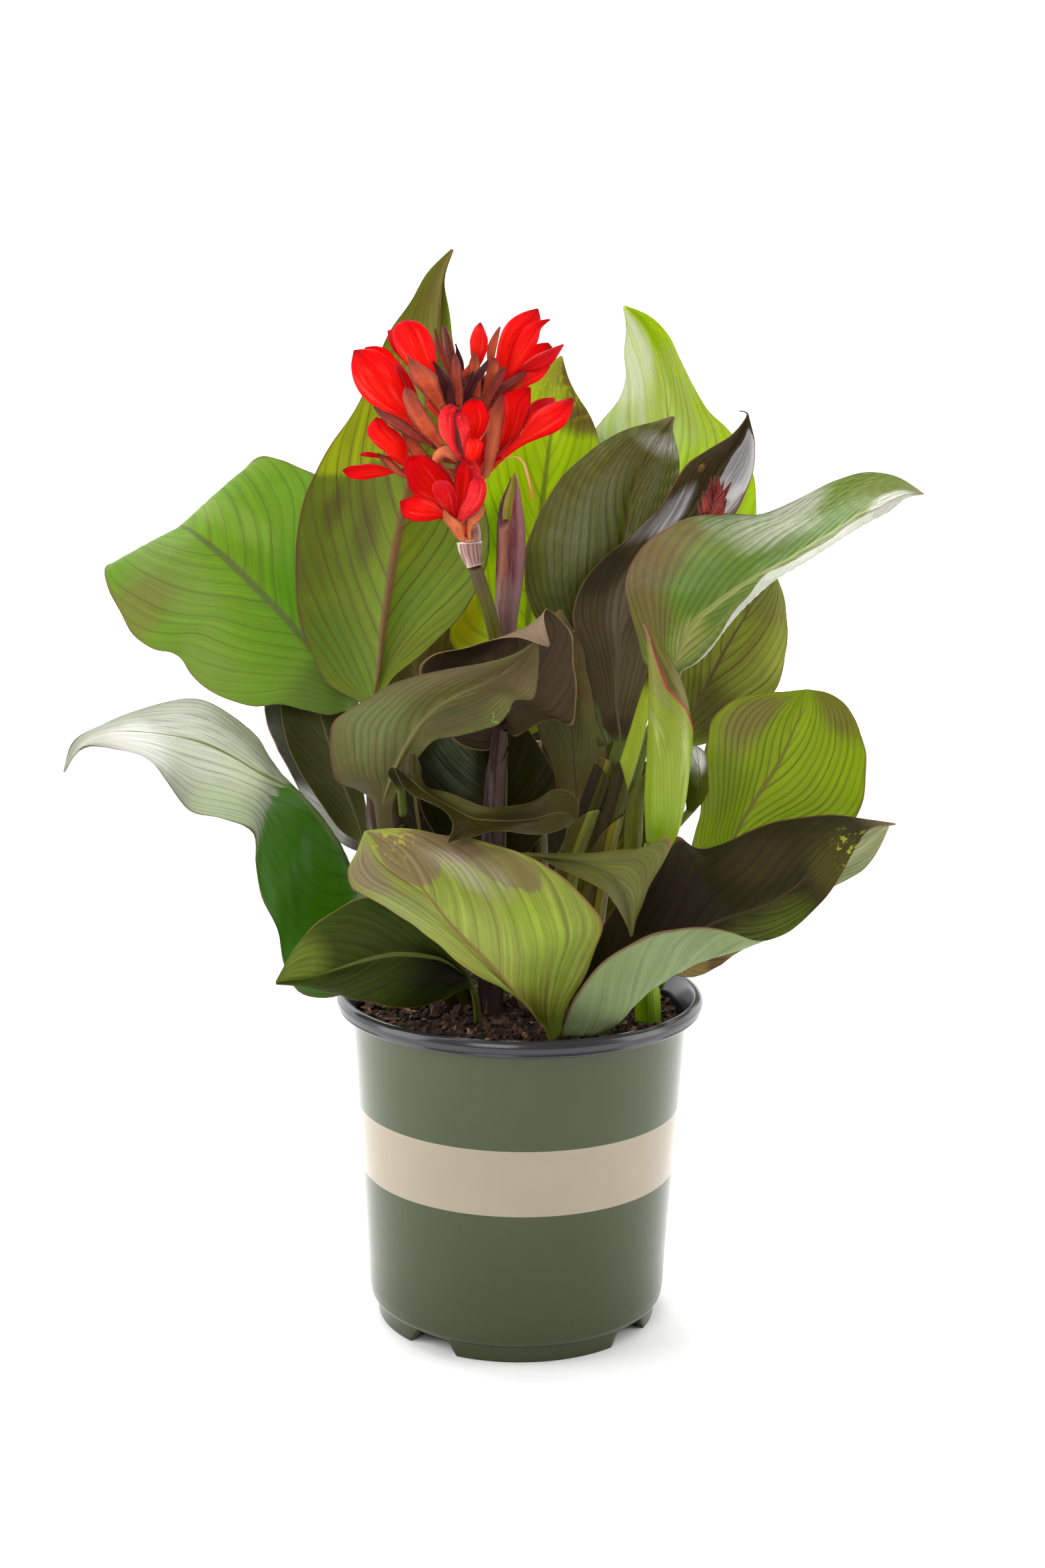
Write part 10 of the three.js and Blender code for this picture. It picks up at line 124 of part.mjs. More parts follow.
const SPIKE = { axis: [[110.5,8,489.6,2.3],[110.5,7,500.3,3],[111.8,6,509.4,2.3],[112.8,6,516.5,1.6]], bracts: [[[[110.7,5.9,503.9],[110.5,6,503.9],[110.3,6.1,503.9],[110.2,6,503.9],[110,5.9,503.8]],[[110.9,5,506.6],[110.5,5.1,506.7],[110.1,5.2,506.6],[109.7,5.1,506.6],[109.3,5,506.5]],[[110.9,4.3,509.4],[110.4,4.5,509.4],[109.9,4.5,509.3],[109.4,4.5,509.3],[108.8,4.3,509.2]],[[110.6,3.8,512],[110.1,4,512],[109.7,4.1,512],[109.2,4,512],[108.7,3.8,511.9]],[[110.2,3.6,514.7],[109.8,3.8,514.7],[109.5,3.9,514.7],[109.1,3.8,514.6],[108.8,3.6,514.6]],[[109.7,3.6,517.3],[109.5,3.8,517.3],[109.3,3.9,517.3],[109.1,3.8,517.3],[108.9,3.6,517.3]],[[109.3,3.8,520],[109.2,4,519.9],[109.1,4.1,519.9],[109.1,4,519.9],[109,3.8,519.9]]],[[[110.1,4.8,499.3],[109.8,5,499.3],[109.6,5.1,499.3],[109.4,5,499.2],[109.2,4.8,499]],[[110,3.2,502.3],[109.4,3.4,502.3],[108.8,3.5,502.2],[108.2,3.4,502],[107.6,3.2,501.7]],[[109.9,2,505.1],[109.1,2.3,505.1],[108.3,2.4,505],[107.4,2.3,504.8],[106.6,2,504.6]],[[109.5,1.3,507.8],[108.7,1.5,507.8],[107.9,1.6,507.7],[107.1,1.5,507.6],[106.4,1.3,507.5]],[[108.9,1,510.5],[108.3,1.3,510.5],[107.8,1.4,510.5],[107.2,1.3,510.5],[106.6,1,510.5]],[[108.5,1.1,513.2],[108.1,1.4,513.2],[107.8,1.5,513.2],[107.5,1.4,513.2],[107.2,1.1,513.3]],[[108.4,1.8,515.9],[108.2,2,515.9],[108.1,2.1,515.9],[108,2,515.9],[107.9,1.8,516]]],[[[108.9,5.8,491.3],[108.6,6,491.4],[108.3,6.1,491.4],[108,6,491.2],[107.8,5.8,490.9]],[[108.7,3.3,495],[108,3.5,495],[107.3,3.6,494.9],[106.7,3.5,494.7],[106,3.3,494.4]],[[108.3,1.4,498.7],[107.4,1.7,498.6],[106.5,1.8,498.4],[105.6,1.7,498.2],[104.7,1.4,497.9]],[[107.6,0.2,502.1],[106.7,0.5,502],[105.8,0.6,501.9],[105,0.5,501.7],[104.1,0.2,501.5]],[[106.6,-0.3,505.5],[105.9,0,505.4],[105.3,0.2,505.3],[104.6,0,505.2],[104,-0.3,505.1]],[[105.6,-0.1,508.8],[105.2,0.2,508.7],[104.9,0.3,508.7],[104.5,0.2,508.6],[104.2,-0.1,508.6]],[[104.9,0.7,512.1],[104.7,1,512],[104.6,1.1,512],[104.4,1,512],[104.3,0.7,512.1]]],[[[109.6,3.9,496.9],[109.3,4,497],[109.2,4.1,497],[109,4,496.9],[108.9,3.9,496.7]],[[109.3,1.1,499.2],[108.9,1.2,499.2],[108.5,1.2,499.1],[108.1,1.2,498.9],[107.7,1.1,498.6]],[[108.9,-1.1,501.3],[108.4,-1,501.3],[107.8,-0.9,501.1],[107.3,-1,500.9],[106.8,-1.1,500.6]],[[108.3,-2.7,503.3],[107.7,-2.5,503.2],[107.2,-2.4,503.1],[106.7,-2.5,502.9],[106.2,-2.7,502.7]],[[107.5,-3.5,505.2],[107.1,-3.3,505.1],[106.7,-3.2,505],[106.3,-3.3,504.9],[105.9,-3.5,504.8]],[[106.6,-3.7,507],[106.4,-3.5,507],[106.2,-3.4,506.9],[106,-3.5,506.8],[105.8,-3.7,506.8]],[[105.9,-3.2,508.9],[105.8,-3,508.8],[105.8,-2.9,508.7],[105.7,-3,508.7],[105.6,-3.2,508.8]]],[[[108.7,5.8,489.8],[108.5,6,489.8],[108.3,6.1,489.7],[108.2,6,489.6],[108.1,5.8,489.4]],[[107.6,3.9,492.8],[107.1,4.1,492.7],[106.7,4.1,492.5],[106.3,4.1,492.2],[105.9,3.9,491.9]],[[106.4,2.4,495.6],[105.8,2.6,495.4],[105.2,2.6,495.2],[104.7,2.6,494.9],[104.2,2.4,494.5]],[[105.1,1.3,498.3],[104.6,1.5,498.1],[104,1.6,497.9],[103.5,1.5,497.6],[103,1.3,497.3]],[[103.8,0.7,500.8],[103.4,0.9,500.6],[103,1,500.5],[102.6,0.9,500.4],[102.2,0.7,500.2]],[[102.7,0.5,503.2],[102.4,0.8,503.2],[102.2,0.8,503.1],[102,0.8,503.1],[101.8,0.5,503]],[[101.8,0.8,505.8],[101.7,1,505.7],[101.6,1.1,505.7],[101.5,1,505.7],[101.4,0.8,505.7]]],[[[113.5,5.8,507.7],[113.3,6,507.9],[113,6.1,508],[112.7,6,507.9],[112.5,5.8,507.8]],[[114.5,4.5,509.7],[113.9,4.8,509.9],[113.3,4.9,510.1],[112.6,4.8,510.1],[111.9,4.5,510]],[[115.2,3.6,511.9],[114.3,3.9,512],[113.5,4,512.1],[112.6,3.9,512.2],[111.7,3.6,512.1]],[[115.3,3.2,514],[114.4,3.5,514.1],[113.6,3.6,514.1],[112.8,3.5,514.2],[111.9,3.2,514.2]],[[114.9,3.3,516.1],[114.3,3.6,516.1],[113.7,3.7,516.1],[113.1,3.6,516.2],[112.5,3.3,516.2]],[[114.4,3.8,518.2],[114.1,4.1,518.1],[113.8,4.2,518.1],[113.4,4.1,518.1],[113.1,3.8,518.3]],[[114,4.8,520.3],[113.9,5,520.1],[113.8,5.1,520],[113.6,5,520.1],[113.5,4.8,520.3]]],[[[112.1,4.9,506.3],[111.9,5,506.4],[111.8,5.1,506.4],[111.6,5,506.4],[111.5,4.9,506.3]],[[112.4,4.1,508.8],[112,4.3,508.8],[111.6,4.4,508.8],[111.3,4.3,508.7],[110.9,4.1,508.7]],[[112.6,3.6,511.2],[112.1,3.8,511.2],[111.5,3.9,511.2],[111,3.8,511.1],[110.5,3.6,511.1]],[[112.4,3.3,513.5],[111.9,3.5,513.5],[111.5,3.6,513.5],[111,3.5,513.5],[110.5,3.3,513.5]],[[112.1,3.3,515.9],[111.7,3.5,515.9],[111.4,3.5,515.9],[111,3.5,515.9],[110.7,3.3,515.9]],[[111.7,3.5,518.2],[111.5,3.6,518.2],[111.3,3.7,518.2],[111.1,3.6,518.2],[110.9,3.5,518.2]],[[111.5,3.8,520.6],[111.4,4,520.5],[111.3,4.1,520.5],[111.2,4,520.5],[111.1,3.8,520.6]]],[[[111.7,3.8,503.8],[111.6,4,504],[111.4,4.1,504.1],[111.2,4,504.2],[110.9,3.8,504.2]],[[113.5,2.5,505.9],[113.1,2.8,506.3],[112.6,2.8,506.5],[112.1,2.8,506.7],[111.6,2.5,506.9]],[[115,1.7,508.2],[114.4,1.9,508.6],[113.7,2,508.9],[113.1,1.9,509.2],[112.4,1.7,509.4]],[[116,1.3,510.7],[115.3,1.5,511],[114.7,1.6,511.2],[114.1,1.5,511.5],[113.4,1.3,511.7]],[[116.5,1.3,513.3],[116,1.6,513.4],[115.5,1.7,513.5],[115.1,1.6,513.7],[114.6,1.3,513.9]],[[116.8,1.8,515.8],[116.5,2.1,515.8],[116.2,2.2,515.8],[116,2.1,515.9],[115.7,1.8,516.1]],[[117,2.8,518.2],[116.9,3,518.1],[116.8,3.1,518.1],[116.7,3,518.1],[116.6,2.8,518.3]]],[[[110,3.7,498],[109.9,4,498.4],[109.6,4.1,498.6],[109.3,4,498.7],[108.8,3.7,498.7]],[[112.8,0.5,500.8],[112.2,0.8,501.4],[111.5,0.9,501.9],[110.7,0.8,502.3],[109.9,0.5,502.5]],[[115.2,-1.9,503.7],[114.3,-1.5,504.5],[113.4,-1.4,505.1],[112.4,-1.5,505.6],[111.3,-1.9,506]],[[117,-3.3,507],[116.1,-2.9,507.6],[115.2,-2.8,508.2],[114.3,-2.9,508.7],[113.3,-3.3,509.2]],[[118.4,-3.9,510.4],[117.7,-3.5,510.9],[117.1,-3.4,511.3],[116.4,-3.5,511.7],[115.7,-3.9,512.1]],[[119.7,-3.6,513.9],[119.3,-3.2,514.1],[118.9,-3,514.3],[118.5,-3.2,514.5],[118.2,-3.6,514.8]],[[121.1,-2.3,517.2],[120.9,-2,517.2],[120.7,-1.8,517.2],[120.6,-2,517.3],[120.5,-2.3,517.6]]],[[[109.4,3.8,493.2],[109.2,4,493.7],[108.9,4.1,493.9],[108.6,4,494],[108.1,3.8,493.8]],[[112,-0.9,496.4],[111.3,-0.6,497],[110.5,-0.5,497.5],[109.7,-0.6,497.7],[108.7,-0.9,497.8]],[[114.1,-4.3,499.6],[113.2,-4,500.3],[112.1,-3.8,500.9],[111,-4,501.3],[109.8,-4.3,501.6]],[[115.7,-6.3,503.1],[114.7,-5.9,503.7],[113.7,-5.8,504.2],[112.7,-5.9,504.7],[111.6,-6.3,505]],[[116.8,-7,506.7],[116.1,-6.6,507],[115.3,-6.5,507.4],[114.6,-6.6,507.8],[113.9,-7,508.2]],[[117.9,-6.3,510.3],[117.4,-5.9,510.4],[117,-5.8,510.5],[116.6,-5.9,510.8],[116.3,-6.3,511.1]],[[119.1,-4.3,513.7],[118.8,-4,513.5],[118.6,-3.8,513.6],[118.5,-4,513.7],[118.5,-4.3,514]]],[[[111.5,4.8,489.4],[111.3,5,489.7],[111.1,5.1,489.9],[110.8,5,489.9],[110.5,4.8,489.8]],[[113.7,1.2,492.2],[113.1,1.5,492.7],[112.5,1.6,493.1],[111.9,1.5,493.3],[111.2,1.2,493.4]],[[115.5,-1.5,495.2],[114.7,-1.2,495.7],[113.9,-1.1,496.1],[113,-1.2,496.4],[112.1,-1.5,496.6]],[[116.7,-3.3,498.3],[115.9,-3,498.8],[115.1,-2.9,499.1],[114.3,-3,499.4],[113.4,-3.3,499.6]],[[117.4,-4.2,501.5],[116.8,-3.8,501.8],[116.2,-3.7,502.1],[115.6,-3.8,502.3],[115,-4.2,502.5]],[[117.9,-4.2,504.7],[117.6,-3.8,504.8],[117.2,-3.7,504.9],[116.9,-3.8,505],[116.6,-4.2,505.2]],[[118.5,-3.3,507.8],[118.3,-3,507.7],[118.1,-2.9,507.7],[118,-3,507.8],[117.9,-3.3,507.9]]]] };

// ---- surfaces ----
function spline(p0, p1, p2, p3, t) {
  return 0.5 * (2 * p1 + (p2 - p0) * t + (2 * p0 - 5 * p1 + 4 * p2 - p3) * t * t + (3 * p1 - p0 - 3 * p2 + p3) * t * t * t);
}
function netPoint(net, a, b) {
  const rows = net.length, cols = net[0].length;
  const i = Math.min(Math.floor(a), rows - 2), j = Math.min(Math.floor(b), cols - 2);
  const s = a - i, t = b - j;
  const cl = (k, n) => Math.max(0, Math.min(n - 1, k));
  const out = [0, 0, 0];
  for (let c = 0; c < 3; c++) {
    const q = [];
    for (let m = -1; m <= 2; m++) {
      const r = net[cl(i + m, rows)];
      q.push(spline(r[cl(j - 1, cols)][c], r[cl(j, cols)][c], r[cl(j + 1, cols)][c], r[cl(j + 2, cols)][c], t));
    }
    out[c] = spline(q[0], q[1], q[2], q[3], s);
  }
  return new THREE.Vector3(...out);
}

// A closed thin solid on a net: two sheets joined round their edge.
// as and bs are the rows and columns to sample, thick(a, v) the thickness at row a and v from -1 to 1.
function sheetSolid(net, as, bs, thick, swell) {
  const cols = net[0].length - 1, mid = [], nor = [];
  for (const a of as) {
    const r = [];
    for (const b of bs) r.push(netPoint(net, a, b));
    mid.push(r);
  }
  if (swell > 0) {   // grow the outline as well, for cutting neighbours clear
    for (const r of mid) {
      const n = r.length - 1, d = r[n].clone().sub(r[0]).normalize().multiplyScalar(swell);
      r[n].add(d); r[0].sub(d);
    }
    const m = mid.length - 1;
    for (let j = 0; j < mid[0].length; j++) {
      mid[0][j].add(mid[0][j].clone().sub(mid[1][j]).normalize().multiplyScalar(swell));
      mid[m][j].add(mid[m][j].clone().sub(mid[m - 1][j]).normalize().multiplyScalar(swell));
    }
  }
  const ni = mid.length, nj = mid[0].length;
  for (let i = 0; i < ni; i++) {
    const r = [];
    for (let j = 0; j < nj; j++) {
      const du = mid[Math.min(i + 1, ni - 1)][j].clone().sub(mid[Math.max(i - 1, 0)][j]);
      const dv = mid[i][Math.min(j + 1, nj - 1)].clone().sub(mid[i][Math.max(j - 1, 0)]);
      r.push(du.cross(dv).normalize());
    }
    nor.push(r);
  }
  const pos = [];
  for (const side of [0.5, -0.5])
    for (let i = 0; i < ni; i++)
      for (let j = 0; j < nj; j++) {
        const t = thick(as[i], (bs[j] / cols) * 2 - 1) + 2 * swell;
        const p = mid[i][j].clone().addScaledVector(nor[i][j], side * t);
        pos.push(p.x, p.y, p.z);
      }
  const N = ni * nj, id = (s, i, j) => s * N + i * nj + j, tri = [];
  for (let i = 0; i < ni - 1; i++)
    for (let j = 0; j < nj - 1; j++) {
      const a = id(0, i, j), b = id(0, i + 1, j), c = id(0, i + 1, j + 1), d = id(0, i, j + 1);
      tri.push(a, b, c, a, c, d);
      tri.push(a + N, c + N, b + N, a + N, d + N, c + N);
    }
  const ring = [];
  for (let j = 0; j < nj; j++) ring.push([0, j]);
  for (let i = 1; i < ni; i++) ring.push([i, nj - 1]);
  for (let j = nj - 2; j >= 0; j--) ring.push([ni - 1, j]);
  for (let i = ni - 2; i > 0; i--) ring.push([i, 0]);
  for (let k = 0; k < ring.length; k++) {
    const [i, j] = ring[k], [m, n] = ring[(k + 1) % ring.length];
    const a = id(0, i, j), b = id(0, m, n);
    tri.push(a, b, b + N, a, b + N, a + N);
  }
  return closed(pos, tri);
}
function closed(pos, tri) {
  const g = new THREE.BufferGeometry();
  g.setAttribute('position', new THREE.BufferAttribute(new Float32Array(pos), 3));
  g.setIndex(tri);
  let vol = 0;
  for (let k = 0; k < tri.length; k += 3) {
    const p = (n) => new THREE.Vector3(pos[3 * n], pos[3 * n + 1], pos[3 * n + 2]);
    vol += p(tri[k]).dot(p(tri[k + 1]).cross(p(tri[k + 2])));
  }
  if (vol < 0) for (let k = 0; k < tri.length; k += 3) { const t = tri[k]; tri[k] = tri[k + 1]; tri[k + 1] = t; }
  g.setIndex(tri);
  return g;
}
function leafSolid(leaf, swell = 0) {
  const rows = leaf.net.length - 1, p = leaf.petiole, as = [];
  const steps = p > 0 ? 2 : 0;
  for (let k = 0; k < steps; k++) as.push((p * k) / steps);
  const n = leaf.rows ?? LEAF_ROWS;
  for (let k = 0; k <= n; k++) as.push(p + ((rows - p) * k) / n);
  const bs = leaf.folded ? [0, 1.5, 3, 4, 5, 6] : [0, 1.5, 3, 4.5, 6];
  return sheetSolid(leaf.net, as, bs, (a, v) => {
    const q = Math.max(0, Math.min(1, 1 - (a - p) / 2.2)) * (p > 0 ? 1 : 0);
    const rib = Math.exp(-((v / 0.2) ** 2));
    const end = Math.max(0.5, Math.min(1, (rows - a) / 3 + 0.3));
    return (BLADE + (MIDRIB - BLADE) * rib * end) * (1 - q) + (PETIOLE * (1 - 0.55 * v * v)) * q;
  }, swell);
}
const LEAF_ROWS = 8;

// A closed tube along points [x, y, z, radius], with flat ends.
function tubeSolid(points, sides, swell = 0) {
  const c = points.map((p) => new THREE.Vector3(p[0], p[1], p[2])), pos = [], tri = [], n = c.length;
  if (swell > 0) {
    c[0].add(c[0].clone().sub(c[1]).normalize().multiplyScalar(swell));
    c[n - 1].add(c[n - 1].clone().sub(c[n - 2]).normalize().multiplyScalar(swell));
  }
  let ref = new THREE.Vector3(0, -1, 0);
  for (let i = 0; i < n; i++) {
    const t = c[Math.min(i + 1, n - 1)].clone().sub(c[Math.max(i - 1, 0)]).normalize();
    const x = ref.clone().sub(t.clone().multiplyScalar(ref.dot(t))).normalize(), y = t.clone().cross(x);
    ref = x;
    const r = points[i][3] + swell * 1.12;
    for (let k = 0; k < sides; k++) {
      const a = (2 * Math.PI * k) / sides;
      const q = c[i].clone().addScaledVector(x, r * Math.cos(a)).addScaledVector(y, r * Math.sin(a));
      pos.push(q.x, q.y, q.z);
    }
  }
  for (let i = 0; i < n - 1; i++)
    for (let k = 0; k < sides; k++) {
      const a = i * sides + k, b = i * sides + ((k + 1) % sides), d = a + sides, e = b + sides;
      tri.push(a, b, e, a, e, d);
    }
  for (const [end, flip] of [[0, true], [n - 1, false]]) {
    for (let k = 1; k < sides - 1; k++) {
      const a = end * sides, b = end * sides + k, d = end * sides + k + 1;
      if (flip) tri.push(a, d, b); else tri.push(a, b, d);
    }
  }
  return closed(pos, tri);
}

// ---- booleans ----
function solid(geometry) {
  let g = geometry.clone();
  g.deleteAttribute('normal');
  g.deleteAttribute('uv');
  g = mergeVertices(g, 1e-4);
  return new wasm.Manifold(new wasm.Mesh({ numProp: 3, vertProperties: new Float32Array(g.attributes.position.array), triVerts: new Uint32Array(g.index.array) }));
}
function geometryOf(m) {
  const { vertProperties, triVerts } = m.getMesh(), g = new THREE.BufferGeometry();
  g.setAttribute('position', new THREE.BufferAttribute(new Float32Array(vertProperties), 3));
  g.setIndex(new THREE.BufferAttribute(new Uint32Array(triVerts), 1));
  return g;
}
function largest(m) {
  const parts = m.decompose();
  let best = parts[0];
  for (const p of parts) if (p.volume() > best.volume()) best = p;
  return best;
}
const join = (list) => list.slice(1).reduce((a, b) => a.add(b), list[0]);

// ---- pot ----
function potSolid() {
  const R = RIM_RADIUS, s = POT_HEIGHT / (1.83 * R), w = POT_WALL;
  const outer = [[0.71, 0], [0.768, 0], [0.774, 0.088], [0.798, 0.104], [0.819, 0.18], [0.826, 0.36],
    [0.912, 1.735], [0.99, 1.745], [1, 1.775], [0.994, 1.82], [0.972, 1.83], [0.95, 1.826]].map(([r, z]) => [r * R, z * R * s]);
  const inner = [[0.912, 1.72], [0.826, 0.36], [0.815, 0.17]].map(([r, z]) => [r * R - w, z * R * s + 0.6]);
  const pts = [...outer, ...inner, [0, BASE_LIFT + w + 1.6], [0, BASE_LIFT], [0.7 * R, BASE_LIFT]].map(([r, z]) => new THREE.Vector2(r, z));
  pts.push(pts[0].clone());
  const g = new THREE.LatheGeometry(pts, 36);
  g.rotateX(Math.PI / 2);
  let pot = solid(closed(Array.from(g.attributes.position.array), Array.from(g.index.array)));
  for (const deg of NOTCH_ANGLES) {
    const a = (deg * Math.PI) / 180, dir = new THREE.Vector2(Math.sin(a), -Math.cos(a));
    const sh = new THREE.Shape();   // sloped sides, flat crown
    const h = NOTCH_WIDTH / 2;
    sh.moveTo(-h, -2); sh.lineTo(h, -2); sh.lineTo(h - 2, 2); sh.lineTo(h - 8, NOTCH_HEIGHT); sh.lineTo(-h + 8, NOTCH_HEIGHT); sh.lineTo(-h + 2, 2);
    const e = new THREE.ExtrudeGeometry(sh, { depth: 30, bevelEnabled: false });
    const m = new THREE.Matrix4().makeBasis(new THREE.Vector3(-dir.y, dir.x, 0), new THREE.Vector3(0, 0, 1), new THREE.Vector3(dir.x, dir.y, 0));
    e.applyMatrix4(m);
    e.translate(dir.x * (0.768 * R - 20), dir.y * (0.768 * R - 20), 0);
    pot = pot.subtract(solid(e));
    const d = new THREE.CylinderGeometry(DRAIN_RADIUS, DRAIN_RADIUS, 30, 8);
    d.rotateX(Math.PI / 2);
    d.translate(dir.x * 0.56 * R, dir.y * 0.56 * R, BASE_LIFT);
    pot = pot.subtract(solid(d));
  }
  return pot;
}
function soilSolid() {
  const R = RIM_RADIUS, s = POT_HEIGHT / (1.83 * R), w = POT_WALL + GAP;
  const side = [[0.8, 0.165], [0.819, 0.2], [0.826, 0.36], [0.893, 1.42], [0.9, 0]].map(([r, z], i) => [r * R - w, i === 4 ? SOIL_TOP : z * R * s + 1.2]);
  const N = 20, pos = [], tri = [];
  pos.push(0, 0, BASE_LIFT + POT_WALL + 2.4);
  for (const [r, z] of side) for (let k = 0; k < N; k++) pos.push(r * Math.cos((2 * Math.PI * k) / N) * 0.995, r * Math.sin((2 * Math.PI * k) / N) * 0.995, z);
  const top = (x, y) => SOIL_TOP + SOIL_ROUGHNESS * (Math.sin(x * 0.11 + 1.3) * Math.cos(y * 0.13 + 0.4) + 0.5 * Math.sin(x * 0.27 - y * 0.21));
  const rings = [0.75, 0.45];
  const edge = side[side.length - 1][0];
  for (const f of rings) for (let k = 0; k < N; k++) {
    const x = edge * f * Math.cos((2 * Math.PI * k) / N), y = edge * f * Math.sin((2 * Math.PI * k) / N);
    pos.push(x, y, top(x, y));
  }
  pos.push(0, 0, top(0, 0));
  const levels = side.length + rings.length, last = 1 + levels * N;
  for (let k = 0; k < N; k++) {
    const n = (k + 1) % N;
    tri.push(0, 1 + n, 1 + k);
    for (let l = 0; l < levels - 1; l++) {
      const a = 1 + l * N + k, b = 1 + l * N + n, c = a + N, d = b + N;
      tri.push(a, b, d, a, d, c);
    }
    tri.push(1 + (levels - 1) * N + k, 1 + (levels - 1) * N + n, last);
  }
  return solid(closed(pos, tri));
}

// ---- pieces in the order in which they claim their space ----
const sides = { flower_collar: 10, furled_leaf: 10, young_bud: 8, small_furled_shoot: 6 };
const RHIZOME = [[[-66, 14, 148, 9], [-45, 8, 149, 15], [-18, 2, 148, 17], [12, 0, 149, 18], [40, -6, 149, 17], [68, -14, 150, 14], [84, -20, 152, 8]],
  [[0, 0, 148, 12], [8, 22, 148, 14], [12, 44, 149, 13], [14, 60, 150, 7]], [[10, 0, 148, 11], [16, -30, 149, 12], [20, -54, 152, 10], [22, -66, 155, 6]],
  [[-40, 8, 142, 5], [-56, -14, 116, 3], [-62, -24, 84, 2]], [[0, 0, 138, 5], [-8, 16, 100, 3.4], [-16, 26, 60, 2]], [[50, -8, 142, 5], [58, 14, 108, 3.2], [50, 26, 70, 2]]];
const root = (name, pts) => [[pts[0][0] * 0.97, pts[0][1], RHIZOME_DEPTH + 8, pts[0][3]], ...pts];
// The narrow foot that joins a petal or bract to the top of its tube.
const claw = (from, net, s) => {
  const foot = netPoint(net, 0.9, 2);
  return solid(tubeSolid([[from[0], from[1], from[2], 1.5], [foot.x, foot.y, foot.z, 1.2]], 5, s));
};
const pieces = [];
const rough = (r) => ({ roughness: r, metalness: 0 });
pieces.push({ name: 'nursery_pot', colour: '#3d4f33', make: () => potSolid(), rough: 0.32 });
pieces.push({ name: 'rhizome', colour: '#b59a6c', rough: 0.9, make: (s) => join(RHIZOME.map((t) => solid(tubeSolid(t, 6, s)))) });
for (const [name, pts] of Object.entries(STEMS)) {
  const long = name.startsWith('pseudostem') || name === 'flower_stalk';
  const line = long ? root(name, pts) : pts;
  pieces.push({ name, colour: name === 'pseudostem_centre' ? '#4a3540' : '#7d8a45', rough: 0.5, make: (s) => solid(tubeSolid(line, sides[name] ?? 8, s)) });
}
pieces.push({
  name: 'bract_cluster', colour: '#6b4636', rough: 0.6,
  make: (s) => join([solid(tubeSolid(RACHIS, 6, s)), solid(tubeSolid(CURL, 6, s)), ...BRACTS.flatMap((b) => {
    const foot = netPoint(b.net, 0.8, 2);
    return [solid(sheetSolid(b.net, [0, 3.4, 8], [0, 2, 4], (a, v) => 2.2 - v * v, s)), solid(tubeSolid([[...b.root, 1.6], [foot.x, foot.y, foot.z, 1.6]], 4, s))];
  })]),
});
for (const [name, f] of Object.entries(FLOWERS))
  pieces.push({
    name, colour: '#d81e14', rough: 0.5,
    make: (s) => join([solid(tubeSolid(f.tube, 6, s)), ...f.petals.flatMap((p) => [
      solid(sheetSolid(p, [0, 2.8, 5.6, 7.4, 8], [0, 2, 4], () => PETAL, s)), claw(f.tube[f.tube.length - 1], p, s)])]),
  });
pieces.push({
  name: 'young_flower_spike', colour: '#5a1f24', rough: 0.6,
  make: (s) => join([solid(tubeSolid(SPIKE.axis, 6, s)), ...SPIKE.bracts.flatMap((b) => [
    solid(sheetSolid(b, [0, 3, 6], [0, 2, 4], (a, v) => (2 - v * v) * (a > 5 ? 0.4 : 1), s)), claw(SPIKE.axis[1], b, s)])]),
});
for (const [name, leaf] of Object.entries(LEAVES)) pieces.push({ name, colour: leaf.colour, rough: 0.42, make: (s) => solid(leafSolid(leaf, s)) });
pieces.push({ name: 'potting_soil', colour: '#3a2a1e', rough: 1, make: () => soilSolid() });

const plant = new THREE.Group();
const done = [];
const meets = (a, b) => a.min[0] < b.max[0] && b.min[0] < a.max[0] && a.min[1] < b.max[1] && b.min[1] < a.max[1] && a.min[2] < b.max[2] && b.min[2] < a.max[2];
for (const p of pieces) {
  let m = p.make(0);
  const before = m.volume();
  for (const q of done) {
    if (!meets(m.boundingBox(), q.box)) continue;
    const shared = m.intersect(q.fat);
    if (shared.volume() > 1e-4 || shared.numTri() > 0) m = m.subtract(q.fat);
  }
  m = largest(m.simplify(0.015));
  if (globalThis.LOG_CUTS && m.volume() < before - 1) globalThis.LOG_CUTS(p.name, before, m.volume(), done, p);
  const fat = p.name === 'nursery_pot' || p.name === 'potting_soil' ? m : join([p.make(GAP), p.make(GAP / 2)]);
  done.push({ name: p.name, fat: p.name.startsWith('leaf') ? fat : fat.add(m), box: fat.boundingBox() });
  const g = geometryOf(m);
  g.translate(OFFSET.x, OFFSET.y, OFFSET.z);
  const mesh = new THREE.Mesh(g, new THREE.MeshStandardMaterial({ color: p.colour, ...rough(p.rough) }));
  mesh.name = p.name;
  plant.add(mesh);
}
export default plant;
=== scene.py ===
import math

import bpy
import numpy as np
from mathutils import Matrix


